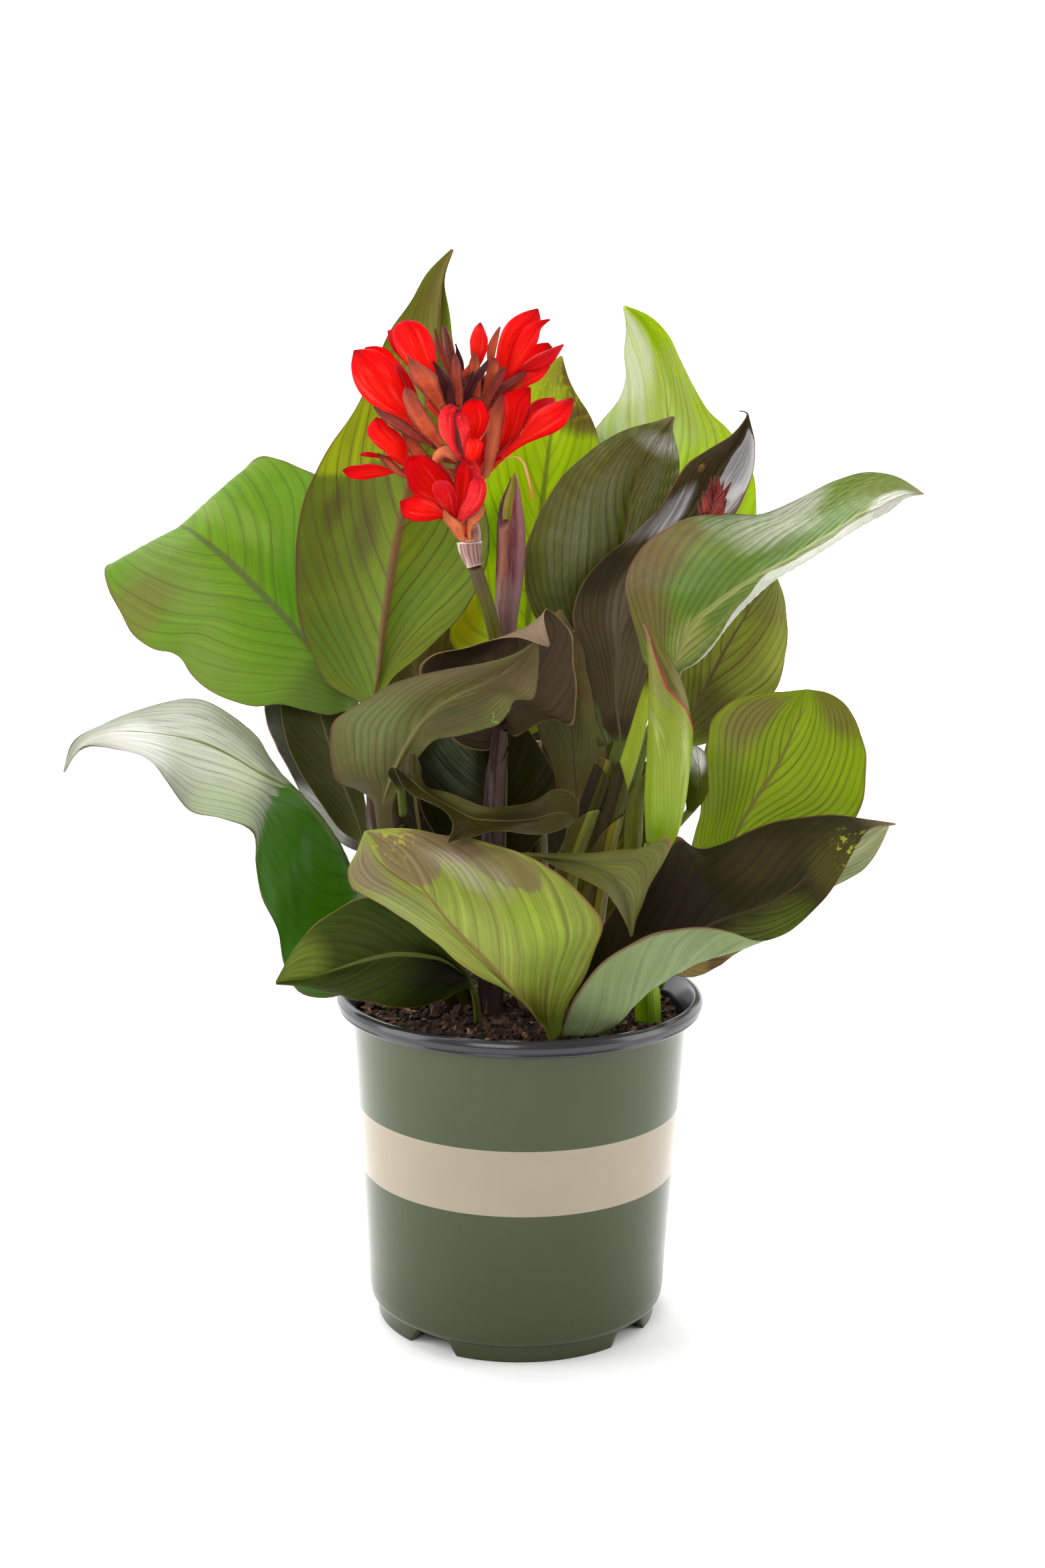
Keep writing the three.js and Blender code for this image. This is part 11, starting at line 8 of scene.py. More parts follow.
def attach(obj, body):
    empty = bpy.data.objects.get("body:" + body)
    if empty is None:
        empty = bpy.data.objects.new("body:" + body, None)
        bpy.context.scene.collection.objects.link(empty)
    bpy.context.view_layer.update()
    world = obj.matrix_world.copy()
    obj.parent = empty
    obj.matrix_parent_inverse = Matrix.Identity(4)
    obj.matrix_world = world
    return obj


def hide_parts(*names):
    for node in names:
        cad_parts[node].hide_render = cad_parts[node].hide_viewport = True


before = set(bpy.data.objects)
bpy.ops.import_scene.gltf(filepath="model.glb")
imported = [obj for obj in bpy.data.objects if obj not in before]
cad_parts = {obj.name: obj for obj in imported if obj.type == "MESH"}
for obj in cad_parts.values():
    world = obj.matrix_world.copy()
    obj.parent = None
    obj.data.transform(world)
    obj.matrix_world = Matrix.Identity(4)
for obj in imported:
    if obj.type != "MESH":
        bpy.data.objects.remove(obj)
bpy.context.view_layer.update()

# Canna lily in its nursery pot. Lengths below are in mm in the pot's own frame (axis at 0, 0);
# OFFSET moves them into the row frame and MM turns them into metres.
OFFSET = np.array([16.38, -23.87, 0.0])
MM = 0.001
RIM = 112.5          # rim radius
BASE_PLATE = 10.0    # underside of the base plate
WALL = 1.9
SOIL = 193.0
NOTCHES = (-36.0, 54.0, 144.0, 234.0)
rng = np.random.default_rng(20)


# Control nets of the leaves: rows from the petiole foot to the tip, seven points across each row; the number is how many rows are petiole.
LEAVES = {
    "leaf_upper_left": ([[[-96,9.6,351],[-95.5,10,351.8],[-94.9,10.5,352.6],[-94.4,11,353.4],[-93.8,11.5,354.1],[-93.3,12,354.9],[-92.7,12.4,355.7]],[[-98.3,12.9,356.8],[-97.7,13.4,357.6],[-97.2,13.9,358.4],[-96.6,14.4,359.2],[-96,14.9,360],[-95.5,15.4,360.8],[-94.9,15.9,361.6]],[[-100.7,16.9,362.4],[-100.1,17.4,363.2],[-99.5,17.9,364.1],[-99,18.4,364.9],[-98.4,18.9,365.7],[-97.8,19.4,366.5],[-97.2,19.9,367.4]],[[-103.3,21.3,368],[-102.7,21.8,368.8],[-102.1,22.3,369.7],[-101.5,22.9,370.5],[-100.9,23.4,371.4],[-100.3,23.9,372.2],[-99.6,24.4,373.1]],[[-106.2,28.4,373.9],[-105.5,28.9,374.8],[-104.9,29.5,375.7],[-104.3,30,376.5],[-103.7,30.5,377.4],[-103,31.1,378.3],[-102.4,31.6,379.2]],[[-119.2,31.7,370.1],[-116.5,30.5,375.6],[-114,31.6,380.8],[-111.6,35,385.6],[-109.3,39.8,387.1],[-106.9,43,388.9],[-104.3,44.6,391]],[[-135.1,38.3,371.9],[-129.4,35.4,380],[-124.2,35.9,387.5],[-119.2,39.8,394.5],[-115.2,46.6,397.3],[-111.1,51.1,400.5],[-106.7,53.1,404]],[[-150.6,45.2,374.2],[-142.2,40.7,384.6],[-134.3,40.4,394.3],[-126.9,44.4,403.4],[-121.1,52,407.7],[-115,56.6,412.4],[-108.6,58.1,417.5]],[[-166.8,52.7,371.5],[-155.5,46.5,385.8],[-144.9,45.2,399.4],[-134.7,48.8,412.2],[-127,56.8,418.1],[-118.8,61.2,424.5],[-110.4,62.1,431.3]],[[-182.8,59,373.8],[-168.7,51.6,390.4],[-155.4,49.5,406.1],[-142.8,52.9,421],[-133.1,61.2,428.5],[-122.9,65.7,436.5],[-112.5,66.3,445]],[[-198,65.9,379.1],[-181.5,57.2,396.8],[-166,54.3,413.5],[-151.2,57.2,429.5],[-139.5,65.7,438.7],[-127.3,70.1,448.5],[-114.8,70.4,458.7]],[[-210.5,72.1,388.5],[-192.8,62.8,405.8],[-176.1,59.4,422],[-160.2,62.1,437.4],[-146.4,70.4,448.6],[-132,74.5,460.3],[-117.3,74.4,472.4]],[[-221,77.8,400.2],[-202.8,68.1,416.1],[-185.6,64.4,431.1],[-169.4,66.8,445.4],[-153.4,74.9,458.6],[-136.9,78.7,472.3],[-119.9,78.1,486.4]],[[-236.8,83.3,403.2],[-216.2,73.3,420.9],[-196.9,69.2,437.5],[-178.4,71.2,453.5],[-160.4,79,468.8],[-141.8,82.5,484.5],[-122.8,81.7,500.6]],[[-249.8,88.4,411.6],[-228,78.5,429],[-207.4,74.3,445.5],[-187.8,75.9,461.3],[-168.8,83.5,477.9],[-149.2,86.9,494.9],[-129.3,86.2,512.1]],[[-257.8,91.9,425.1],[-236.7,82.8,440.3],[-216.8,79.2,454.8],[-197.7,81,468.6],[-180,88.9,484.7],[-161.6,92.9,501.2],[-142.9,93.1,517.8]],[[-265.9,96.4,438.7],[-245.8,88.6,451.5],[-226.6,85.6,463.7],[-208.3,87.7,475.4],[-191.7,95.1,490.9],[-174.5,99,506.7],[-156.9,99.3,522.7]],[[-270.5,109.2,451.2],[-252.6,102.3,461.2],[-235.6,99.7,470.7],[-219.3,101.3,479.9],[-204.2,106.8,494],[-188.6,109.3,508.3],[-172.6,108.8,522.7]],[[-265.2,126.8,454],[-251.6,121.3,461.6],[-238.7,119.2,468.8],[-226.4,120.6,475.8],[-215.4,125.7,484.5],[-204.1,128.4,493.5],[-192.4,128.7,502.6]],[[-258.4,140.7,454.8],[-250.3,137.5,459.6],[-242.5,136.5,464.2],[-235.1,137.9,468.6],[-228.4,141.2,473.1],[-221.5,142.9,477.8],[-214.3,143,482.6]],[[-246.2,154,456.8],[-245.9,154,456.9],[-245.7,154,457.1],[-245.4,154,457.3],[-245.2,154,457.4],[-244.9,154,457.6],[-244.7,154,457.7]]], 4),
    "leaf_tall_left": ([[[-91.4,0.9,356.5],[-90.3,0.6,356.6],[-89.1,0.3,356.8],[-88,0,357],[-86.8,-0.3,357.2],[-85.7,-0.6,357.3],[-84.5,-0.9,357.5]],[[-92.5,4.7,361.9],[-91.3,4.3,362.1],[-90.2,4,362.3],[-89,3.7,362.5],[-87.8,3.4,362.6],[-86.6,3.1,362.8],[-85.4,2.8,363]],[[-93.6,8.3,367.4],[-92.4,7.9,367.6],[-91.1,7.6,367.8],[-89.9,7.3,368],[-88.7,7,368.2],[-87.5,6.7,368.3],[-86.3,6.3,368.5]],[[-94.6,11.7,373],[-93.3,11.4,373.2],[-92.1,11.1,373.4],[-90.9,10.7,373.6],[-89.6,10.4,373.7],[-88.4,10.1,373.9],[-87.1,9.7,374.1]],[[-95.2,15,378.6],[-93.9,14.7,378.8],[-92.6,14.3,379],[-91.3,14,379.2],[-90.1,13.7,379.4],[-88.8,13.3,379.6],[-87.5,13,379.7]],[[-119.3,25.9,389.6],[-109.1,26.5,391.3],[-98.7,25.1,393.3],[-88.3,21.8,395.5],[-85.6,21.7,395.2],[-82.9,19.6,395.1],[-80.1,15.6,395.4]],[[-129.1,31.9,406.2],[-115.3,33.4,407.9],[-101.3,32.1,410],[-87.1,27.8,412.5],[-80,27.5,410.3],[-72.7,24.2,408.5],[-65.3,18.1,407]],[[-137.3,37.2,423.8],[-120.3,39.4,425.3],[-103,38,427.2],[-85.6,33,429.6],[-74.4,32.9,425.9],[-63.1,29.3,422.7],[-51.6,21.9,420]],[[-140.7,42.2,442.8],[-121.8,44.7,443.7],[-102.5,43,445],[-83.1,37,446.8],[-68.4,37.7,441.9],[-53.5,34.1,437.5],[-38.6,26.3,433.5]],[[-141.3,45.9,462.3],[-121.4,48.8,462.5],[-101.2,47.1,463],[-80.7,40.8,464],[-63.5,41.8,458.7],[-46.1,38.1,453.9],[-28.7,29.8,449.6]],[[-140.2,48.2,481.9],[-119.7,52,481.3],[-98.8,50.8,481],[-77.6,44.6,481.1],[-59.5,46.1,476],[-41.1,42.6,471.4],[-22.8,34.2,467.2]],[[-136.2,51.3,501],[-115.9,55.3,499.8],[-95.2,54.2,498.8],[-74.2,48,498.2],[-57.1,49.7,493.8],[-39.8,46.3,489.7],[-22.5,37.7,486]],[[-128.5,53.5,519.1],[-109.6,57.9,517.6],[-90.2,57,516.3],[-70.6,51,515.3],[-56,53,511.4],[-41.3,49.8,507.8],[-26.5,41.4,504.5]],[[-118.8,55.7,536.2],[-101.9,60.2,534.7],[-84.7,59.6,533.5],[-67.2,53.8,532.5],[-54.8,55.9,529.1],[-42.3,52.9,525.9],[-29.7,44.8,523]],[[-107.4,57.5,552.3],[-93.2,62.1,551.3],[-78.6,61.7,550.4],[-63.8,56.4,549.6],[-53.5,58.8,546.8],[-43,56.2,544.2],[-32.5,48.7,541.7]],[[-97.9,59,569.1],[-85.8,63.5,568.3],[-73.4,63.4,567.5],[-60.8,58.6,566.8],[-52.6,61,564.5],[-44.3,58.8,562.3],[-35.9,51.9,560.3]],[[-91.4,61.4,587.6],[-80.6,65.2,586.4],[-69.5,64.8,585.2],[-58.2,60.2,584.1],[-52.4,62.9,582.2],[-46.4,61.3,580.4],[-40.3,55.5,578.6]],[[-83,63.1,605.2],[-74.2,66.4,603.9],[-65.1,66,602.6],[-56,62,601.3],[-52.6,64.8,599.8],[-49.2,64.1,598.3],[-45.6,59.7,596.7]],[[-71.4,65.7,620.8],[-65.9,68.1,620.2],[-60.2,67.6,619.4],[-54.4,64.2,618.7],[-52.5,67,617.6],[-50.4,66.8,616.5],[-48.2,63.7,615.4]],[[-62.1,67.5,637.8],[-59,69.4,637.3],[-55.9,69.2,636.6],[-52.6,67.1,636],[-52.4,69.1,635.3],[-52.1,69,634.6],[-51.8,67,633.9]],[[-47.7,73,652.6],[-47.4,73,652.4],[-47.1,73,652.3],[-46.8,73,652.2],[-46.6,73,652.1],[-46.3,73,652],[-46,73,651.9]]], 4),
    "leaf_behind_flowers": ([[[3,45.8,356.3],[4.1,45.9,356.8],[5.2,45.9,357.3],[6.3,46,357.8],[7.3,46.1,358.3],[8.4,46.1,358.9],[9.5,46.2,359.4]],[[2.2,46.9,369.3],[3.2,46.9,369.8],[4.3,47,370.3],[5.4,47.1,370.8],[6.4,47.1,371.3],[7.5,47.2,371.8],[8.6,47.3,372.4]],[[1,47.9,382.3],[2.1,48,382.8],[3.1,48,383.3],[4.2,48.1,383.8],[5.2,48.1,384.3],[6.3,48.2,384.8],[7.3,48.3,385.3]],[[-0.5,48.9,395.2],[0.5,48.9,395.7],[1.5,49,396.2],[2.6,49.1,396.7],[3.6,49.1,397.2],[4.7,49.2,397.7],[5.7,49.2,398.2]],[[-2.5,49.8,409.3],[-1.4,49.9,409.8],[-0.4,49.9,410.3],[0.6,50,410.8],[1.6,50.1,411.2],[2.6,50.1,411.7],[3.7,50.2,412.2]],[[-21.2,54.1,402.4],[-13.6,56.1,408.6],[-5.9,56.2,415],[1.7,54.3,421.7],[5.6,56.9,420.5],[9.5,57.5,419.6],[13.4,56.1,419]],[[-37.1,56.5,404],[-23.8,60,413.2],[-10.5,60.5,422.8],[2.8,58,432.6],[9.2,61.5,430.6],[15.5,62,429],[21.9,59.6,427.6]],[[-45.9,59.5,413.4],[-29.3,63.7,423.1],[-12.7,64.2,433.2],[4,61,443.7],[12.5,65.2,441.2],[21.1,65.6,439.1],[29.6,62.5,437.3]],[[-45.1,62.5,428.3],[-28.4,67,436.8],[-11.6,67.3,445.6],[5.2,63.3,454.9],[15.3,68.1,452.1],[25.4,68.5,449.8],[35.4,64.8,447.8]],[[-38.4,64.6,442.1],[-23.5,69.5,449.7],[-8.5,69.8,457.7],[6.4,65.4,466.1],[17.6,70.5,463.4],[28.7,70.9,461.2],[39.7,66.6,459.4]],[[-32.1,66.2,455.7],[-18.9,71.5,462.4],[-5.6,72,469.7],[7.7,67.4,477.3],[19.5,72.7,474.9],[31.3,73.1,472.9],[43,68.5,471.3]],[[-29.9,68.5,470.5],[-17,74,476],[-4.1,74.4,482.1],[8.9,69.6,488.5],[21.2,75,486.4],[33.4,75.3,484.6],[45.6,70.4,483.3]],[[-29.6,71.5,485.3],[-16.4,76.8,489.7],[-3.1,76.9,494.5],[10.1,71.7,499.7],[22.5,77.1,497.9],[34.9,77.4,496.5],[47.1,72.4,495.4]],[[-28.8,73.8,500.2],[-15.5,79,503.5],[-2.1,79,507],[11.3,73.9,510.8],[23.6,79.2,509.5],[35.9,79.3,508.4],[48,74.3,507.6]],[[-27.2,76,515],[-14,81,517.1],[-0.7,81.1,519.4],[12.6,76.2,522],[24.5,81.2,521],[36.4,81.3,520.3],[48.2,76.4,519.8]],[[-23.9,78.4,529.6],[-11.3,83.1,530.6],[1.3,83.1,531.8],[13.9,78.4,533.2],[24.8,83.2,532.6],[35.7,83.3,532.1],[46.4,78.8,531.9]],[[-19.5,80.7,543.9],[-7.9,85,543.9],[3.7,85,544],[15.3,80.8,544.3],[24.7,85.2,544],[34,85.4,543.8],[43.2,81.4,543.7]],[[-12.8,83.1,557],[-3,86.9,556.4],[6.9,87,555.9],[16.7,83.4,555.5],[23.9,87.4,555.2],[31.1,87.8,554.9],[38.2,84.6,554.8]],[[-3.1,85.9,568.6],[3.9,88.9,567.9],[10.9,89,567.3],[17.9,86.2,566.7],[22.4,89.6,566],[26.9,90.1,565.4],[31.2,87.7,564.9]],[[7.9,88.7,578.7],[11.7,91,578.4],[15.5,91.4,578.1],[19.2,89.8,577.9],[21.3,92.2,577.1],[23.3,92.6,576.4],[25.3,91,575.6]],[[20,95.9,589.2],[20.2,95.9,589.1],[20.5,96,589.1],[20.8,96,589],[21.1,96,589],[21.4,96.1,588.9],[21.7,96.1,588.9]]], 4),
    "leaf_tall_right": ([[[64.8,31.9,322.5],[65.8,31.9,322.7],[66.8,32,323],[67.9,32,323.2],[68.9,32,323.5],[69.9,32.1,323.8],[71,32.1,324]],[[69,39.7,341],[70,39.7,341.2],[71.1,39.7,341.5],[72.1,39.7,341.8],[73.2,39.8,342],[74.2,39.8,342.3],[75.3,39.8,342.6]],[[75.5,48.3,358.7],[76.5,48.4,359],[77.6,48.4,359.3],[78.7,48.4,359.5],[79.7,48.5,359.8],[80.8,48.5,360.1],[81.9,48.5,360.3]],[[83.4,57.4,376.2],[84.5,57.4,376.5],[85.6,57.4,376.8],[86.7,57.5,377],[87.8,57.5,377.3],[88.9,57.5,377.6],[89.9,57.6,377.8]],[[91.4,65.9,394.7],[92.5,65.9,395],[93.6,66,395.3],[94.7,66,395.5],[95.8,66,395.8],[96.9,66.1,396.1],[98,66.1,396.4]],[[77.9,72,400],[84.7,72.2,405.6],[90.1,72.7,408.5],[94.5,73.4,409.5],[99.4,76,409.2],[104.2,75.9,408.8],[108.9,72.9,407.8]],[[65.5,77,409.7],[77.2,77.4,418.1],[86.5,78.2,422.3],[94,79.3,423.8],[102.7,83.2,423.3],[111.6,83.2,422.3],[120.7,79.2,420.3]],[[55.4,81.3,422.8],[70.7,81.7,431.7],[83,82.4,436.4],[93.1,83.4,438.3],[105.1,88.8,437.6],[117.7,89.2,436.3],[130.8,84.5,433.8]],[[48,85.7,437.2],[65.7,85.7,445.8],[80,85.9,450.7],[91.9,86.7,452.9],[106.3,92.9,452.4],[121.6,93.3,451.5],[137.9,88,449.4]],[[42.6,89.8,452.7],[62.8,89.3,460.5],[78.5,89.3,465.3],[91.1,90,467.6],[107,96.7,467.1],[124.2,97.1,466.7],[142.9,91.3,465.8]],[[38.7,93,468.6],[60.9,92.4,475.5],[77.6,92.4,479.9],[90.5,93.1,482.3],[107.2,100.2,481.9],[125.6,100.6,482.1],[145.7,94.4,482.7]],[[36.1,95.7,484.9],[60,95.1,490.7],[77.4,95.1,494.6],[90.3,95.9,497],[107.1,103.4,497.9],[125.7,103.9,498.9],[146.1,97.6,499.9]],[[35.1,97.8,501.3],[60.4,97.2,505.8],[78.1,97.4,509.2],[90.7,98.5,511.7],[106.8,105.8,513.4],[124.5,106,515.1],[143.5,99.2,516.8]],[[34.8,99.7,517.9],[61.4,99.3,521],[78.9,99.6,523.9],[90.6,100.8,526.4],[105.1,107.7,528.4],[120.5,107.5,530.5],[136.7,100.2,532.7]],[[36.9,101,534.2],[63.1,101.1,536.2],[79.6,101.7,538.6],[89.7,103,541.2],[101.7,109.5,542.9],[113.7,109.1,544.6],[125.7,101.4,546]],[[45.9,101,547.8],[67,102.6,550.6],[80.3,103.8,553.4],[88.5,104.6,555.8],[97.4,110.6,556.8],[105.8,109.8,557.6],[113.4,102,558.1]],[[56.5,101,560.6],[71.7,104,564.7],[81.1,105.3,568],[86.7,105.7,570.5],[93,110.9,571.5],[98.8,109.7,572.2],[104,102,572.7]],[[61.7,101.9,576],[72.8,103.9,579.8],[79.7,105.6,582.8],[83.9,106.6,584.9],[88.4,111.1,586.3],[92.4,109.6,587.4],[96,102,587.8]],[[60.4,102,592],[71.6,103.9,594.5],[76.9,105.6,596.8],[79.2,107,598.8],[82.1,110.5,600.5],[85,109,601.9],[87.9,102.2,602.9]],[[61.4,103.4,608.2],[67.1,104.3,609],[70,105.6,610],[71.4,107.1,611.4],[73,109.5,612.6],[74.5,108.6,613.6],[75.7,103.9,614.4]],[[59.2,112,620.1],[59.5,112,620.2],[59.8,112,620.3],[60.1,112,620.4],[60.3,112,620.5],[60.6,112,620.7],[60.9,112,620.8]]], 4),
    "leaf_centre_right": ([[[46,25.6,353.5],[47.1,25.8,353.8],[48.2,25.9,354],[49.3,26,354.2],[50.4,26.1,354.5],[51.5,26.2,354.7],[52.6,26.4,354.9]],[[41.2,29.3,370.6],[42.3,29.5,370.9],[43.4,29.6,371.1],[44.5,29.7,371.3],[45.6,29.8,371.6],[46.7,29.9,371.8],[47.8,30.1,372]],[[36.5,33,387.8],[37.6,33.1,388],[38.7,33.2,388.3],[39.8,33.4,388.5],[40.9,33.5,388.7],[42,33.6,389],[43.1,33.7,389.2]],[[32.8,36.5,405.2],[33.9,36.6,405.4],[35,36.7,405.6],[36.1,36.8,405.9],[37.2,37,406.1],[38.3,37.1,406.4],[39.4,37.2,406.6]],[[31.6,40.6,423.6],[32.7,40.8,423.9],[33.8,40.9,424.1],[34.9,41,424.3],[36,41.1,424.6],[37.1,41.2,424.8],[38.2,41.4,425.1]],[[20.6,40.9,423.3],[26.2,40.1,426.7],[31.8,40.9,429.8],[37.4,43.3,432.8],[39.9,42.1,431.6],[42.5,42.2,430.2],[45.1,43.6,428.6]],[[9,42.1,427.5],[19.5,40.7,432.3],[30.1,41.8,436.8],[40.7,45.3,440.9],[44.7,43.3,438.8],[48.8,43.2,436.5],[52.9,45.1,433.9]],[[2.8,43,438.7],[16.9,41.3,442.3],[30.9,42.6,445.6],[45.1,47,448.7],[50,44.4,446.1],[55,44.2,443.2],[60.1,46.4,440.1]],[[-0.1,44.3,450.8],[16.4,42.1,453],[32.9,43.5,454.8],[49.6,48.5,456.4],[55.1,45.4,453.6],[60.8,45.1,450.5],[66.5,47.6,447.2]],[[-0.4,45.2,463.3],[17.8,42.8,463.9],[36,44.3,464.2],[54.4,49.7,464.1],[60.2,46.2,461.3],[66.1,45.8,458.1],[72.1,48.6,454.7]],[[0.9,46.2,475.7],[20.1,43.6,474.8],[39.3,45.2,473.6],[58.8,50.9,472],[64.7,47.1,469.2],[70.8,46.5,466.2],[77,49.3,462.9]],[[5.1,48.1,487.4],[23.8,45.2,485.3],[42.6,46.5,482.9],[61.5,52.2,480.1],[67.9,48.1,477.5],[74.4,47.4,474.6],[81.1,50.1,471.4]],[[10.7,49.1,498.6],[27.9,46.3,495.6],[45.2,47.7,492.4],[62.8,53.5,488.8],[69.8,49.2,486.2],[77.1,48.3,483.4],[84.5,50.9,480.2]],[[16.6,50.9,509.5],[32.2,48,505.9],[47.8,49.3,502],[63.7,54.9,497.8],[71.4,50.5,495.2],[79.2,49.4,492.4],[87.3,51.8,489.3]],[[24.3,52.6,519.3],[37.8,49.8,515.3],[51.4,51,511],[65.2,56.4,506.5],[73.2,51.9,504],[81.3,50.7,501.3],[89.6,52.8,498.4]],[[33.5,53.8,527.6],[44.8,51.4,523.6],[56.3,52.8,519.4],[68,58.2,514.9],[75.7,53.7,512.6],[83.6,52.4,510.2],[91.7,54.1,507.6]],[[43.3,54.7,535.4],[52.6,52.7,531.4],[61.9,54.2,527.3],[71.5,59.3,523],[78.8,55.4,521],[86.4,54.4,518.9],[94,56.1,516.6]],[[53.8,55.6,542.3],[61,54,538.6],[68.4,55.4,534.7],[75.9,59.9,530.8],[81.9,56.7,529.3],[87.9,55.9,527.6],[94.1,57.5,525.9]],[[65.3,56.5,547],[70.2,55.2,544.2],[75.3,56.4,541.4],[80.6,60,538.4],[84.3,57.6,537.4],[88.2,57.1,536.3],[92.2,58.5,535.1]],[[77.5,57.4,550],[80,56.6,548.7],[82.6,57.5,547.3],[85.3,60,545.9],[86.6,58.6,545.4],[88,58.5,544.8],[89.4,59.6,544.3]],[[89.2,59.8,553.8],[89.4,59.9,553.6],[89.7,59.9,553.5],[90,60,553.4],[90.2,60.1,553.2],[90.5,60.1,553.1],[90.8,60.2,553]]], 4),
    "leaf_dark_rolled": ([[[52.3,20.2,342.2],[53.5,20.2,342.2],[54.7,20.1,342.1],[55.9,20,342.1],[57.1,19.9,342],[58.3,19.8,342],[59.5,19.8,342]],[[52.9,21,346.1],[54.2,21,346.1],[55.4,20.9,346.1],[56.6,20.8,346],[57.8,20.7,346],[59,20.6,345.9],[60.2,20.6,345.9]],[[53.8,22,350],[55.1,21.9,349.9],[56.3,21.8,349.9],[57.5,21.7,349.8],[58.8,21.6,349.8],[60,21.6,349.8],[61.2,21.5,349.7]],[[55,23,353.7],[56.2,22.9,353.7],[57.5,22.9,353.6],[58.7,22.8,353.6],[60,22.7,353.5],[61.2,22.6,353.5],[62.4,22.5,353.4]],[[56.4,24.2,357.3],[57.7,24.2,357.3],[59,24.1,357.3],[60.2,24,357.2],[61.5,23.9,357.2],[62.8,23.8,357.1],[64,23.8,357.1]],[[46.2,28.5,369.2],[50.2,28.8,369.5],[54.2,28.1,370.1],[58.1,26.5,370.7],[62.9,27.9,369.7],[67.6,28,368.9],[72.2,26.8,368.2]],[[42.7,30.1,384.6],[47.5,31.1,384.3],[52.3,30.7,384.2],[57,28.7,384.4],[63.8,30.1,383],[70.5,29.5,381.9],[77,27,381.1]],[[39.7,31.5,399.8],[45.5,33,399],[51.3,32.7,398.4],[57,30.6,398.1],[64.8,31.6,396.7],[72.5,30.2,395.5],[80,26.4,394.8]],[[35.6,32.7,414.7],[42.9,34.7,413.5],[50.2,34.5,412.6],[57.4,32.2,411.9],[65.6,32.8,410.4],[73.7,30.6,409.3],[81.6,25.6,408.6]],[[29.3,33.9,429.2],[39.1,36.2,427.6],[48.9,36.2,426.4],[58.6,33.8,425.4],[66.8,33.8,424.1],[74.7,30.7,423.1],[82.5,24.5,422.6]],[[31.4,34,444.3],[41.9,36.9,442.2],[52.4,37.3,440.3],[62.8,35.2,438.7],[70.2,34.5,437.5],[77.5,30.5,436.7],[84.5,23.1,436.2]],[[38.5,35.3,457.8],[48.5,38.2,455.4],[58.4,38.6,453.1],[68.2,36.4,451.1],[75.2,34.8,450.3],[82,29.8,449.7],[88.5,21.3,449.6]],[[49.1,36,469.3],[58.1,39.1,466.7],[67.1,39.5,464.5],[75.9,37.4,462.4],[82.1,34.7,462],[88.1,28.5,461.8],[93.8,18.9,462.1]],[[60.6,34.7,479.5],[68.7,38.4,477.3],[76.6,39.5,475.2],[84.5,38,473.4],[90.3,33.9,473.2],[95.9,26.4,473.3],[101.2,15.4,473.6]],[[71.9,32.7,490],[78.8,36.9,488],[85.6,38.6,486.2],[92.3,37.8,484.6],[98.6,32.4,484],[104.5,23.7,483.6],[110.1,11.7,483.5]],[[82.4,29.6,501.1],[88.4,34.5,499.2],[94.3,37,497.5],[100.1,37.2,495.9],[107,30.6,494.5],[113.6,21,493.5],[119.9,8.3,492.6]],[[88.9,23.6,514.5],[95.3,29.8,511.9],[101.5,34,509.5],[107.7,36,507.1],[114.7,28.8,505.6],[121.5,18.7,504.2],[127.8,5.9,503.1]],[[95.8,15.2,527.6],[102.2,23.3,524.5],[108.7,29.6,521.5],[115,34,518.5],[120.9,26.9,517.4],[126.6,17.3,516.5],[132,5.3,515.7]],[[108,10.9,536],[112.7,19,534],[117.2,25.6,532.1],[121.7,30.7,530.2],[126.4,25,529.5],[130.9,17.3,528.9],[135.1,7.6,528.4]],[[120.9,10.2,543.8],[123.5,16.4,543.2],[126,21.6,542.5],[128.4,25.9,542],[130.8,22.5,541.7],[133,17.8,541.5],[135.2,11.8,541.3]],[[130.4,17.9,554.8],[130.7,17.9,554.8],[131,18,554.7],[131.3,18,554.7],[131.6,18,554.6],[131.9,18.1,554.6],[132.2,18.1,554.5]],[[129.4,15.9,557.6],[129.7,15.9,557.5],[130,16,557.5],[130.2,16,557.5],[130.5,16,557.4],[130.7,16.1,557.4],[131,16.1,557.3]],[[125.3,13.9,558.4],[125.5,13.9,558.3],[125.8,14,558.3],[126.1,14,558.2],[126.3,14,558.2],[126.6,14.1,558.1],[126.8,14.1,558.1]]], 4),
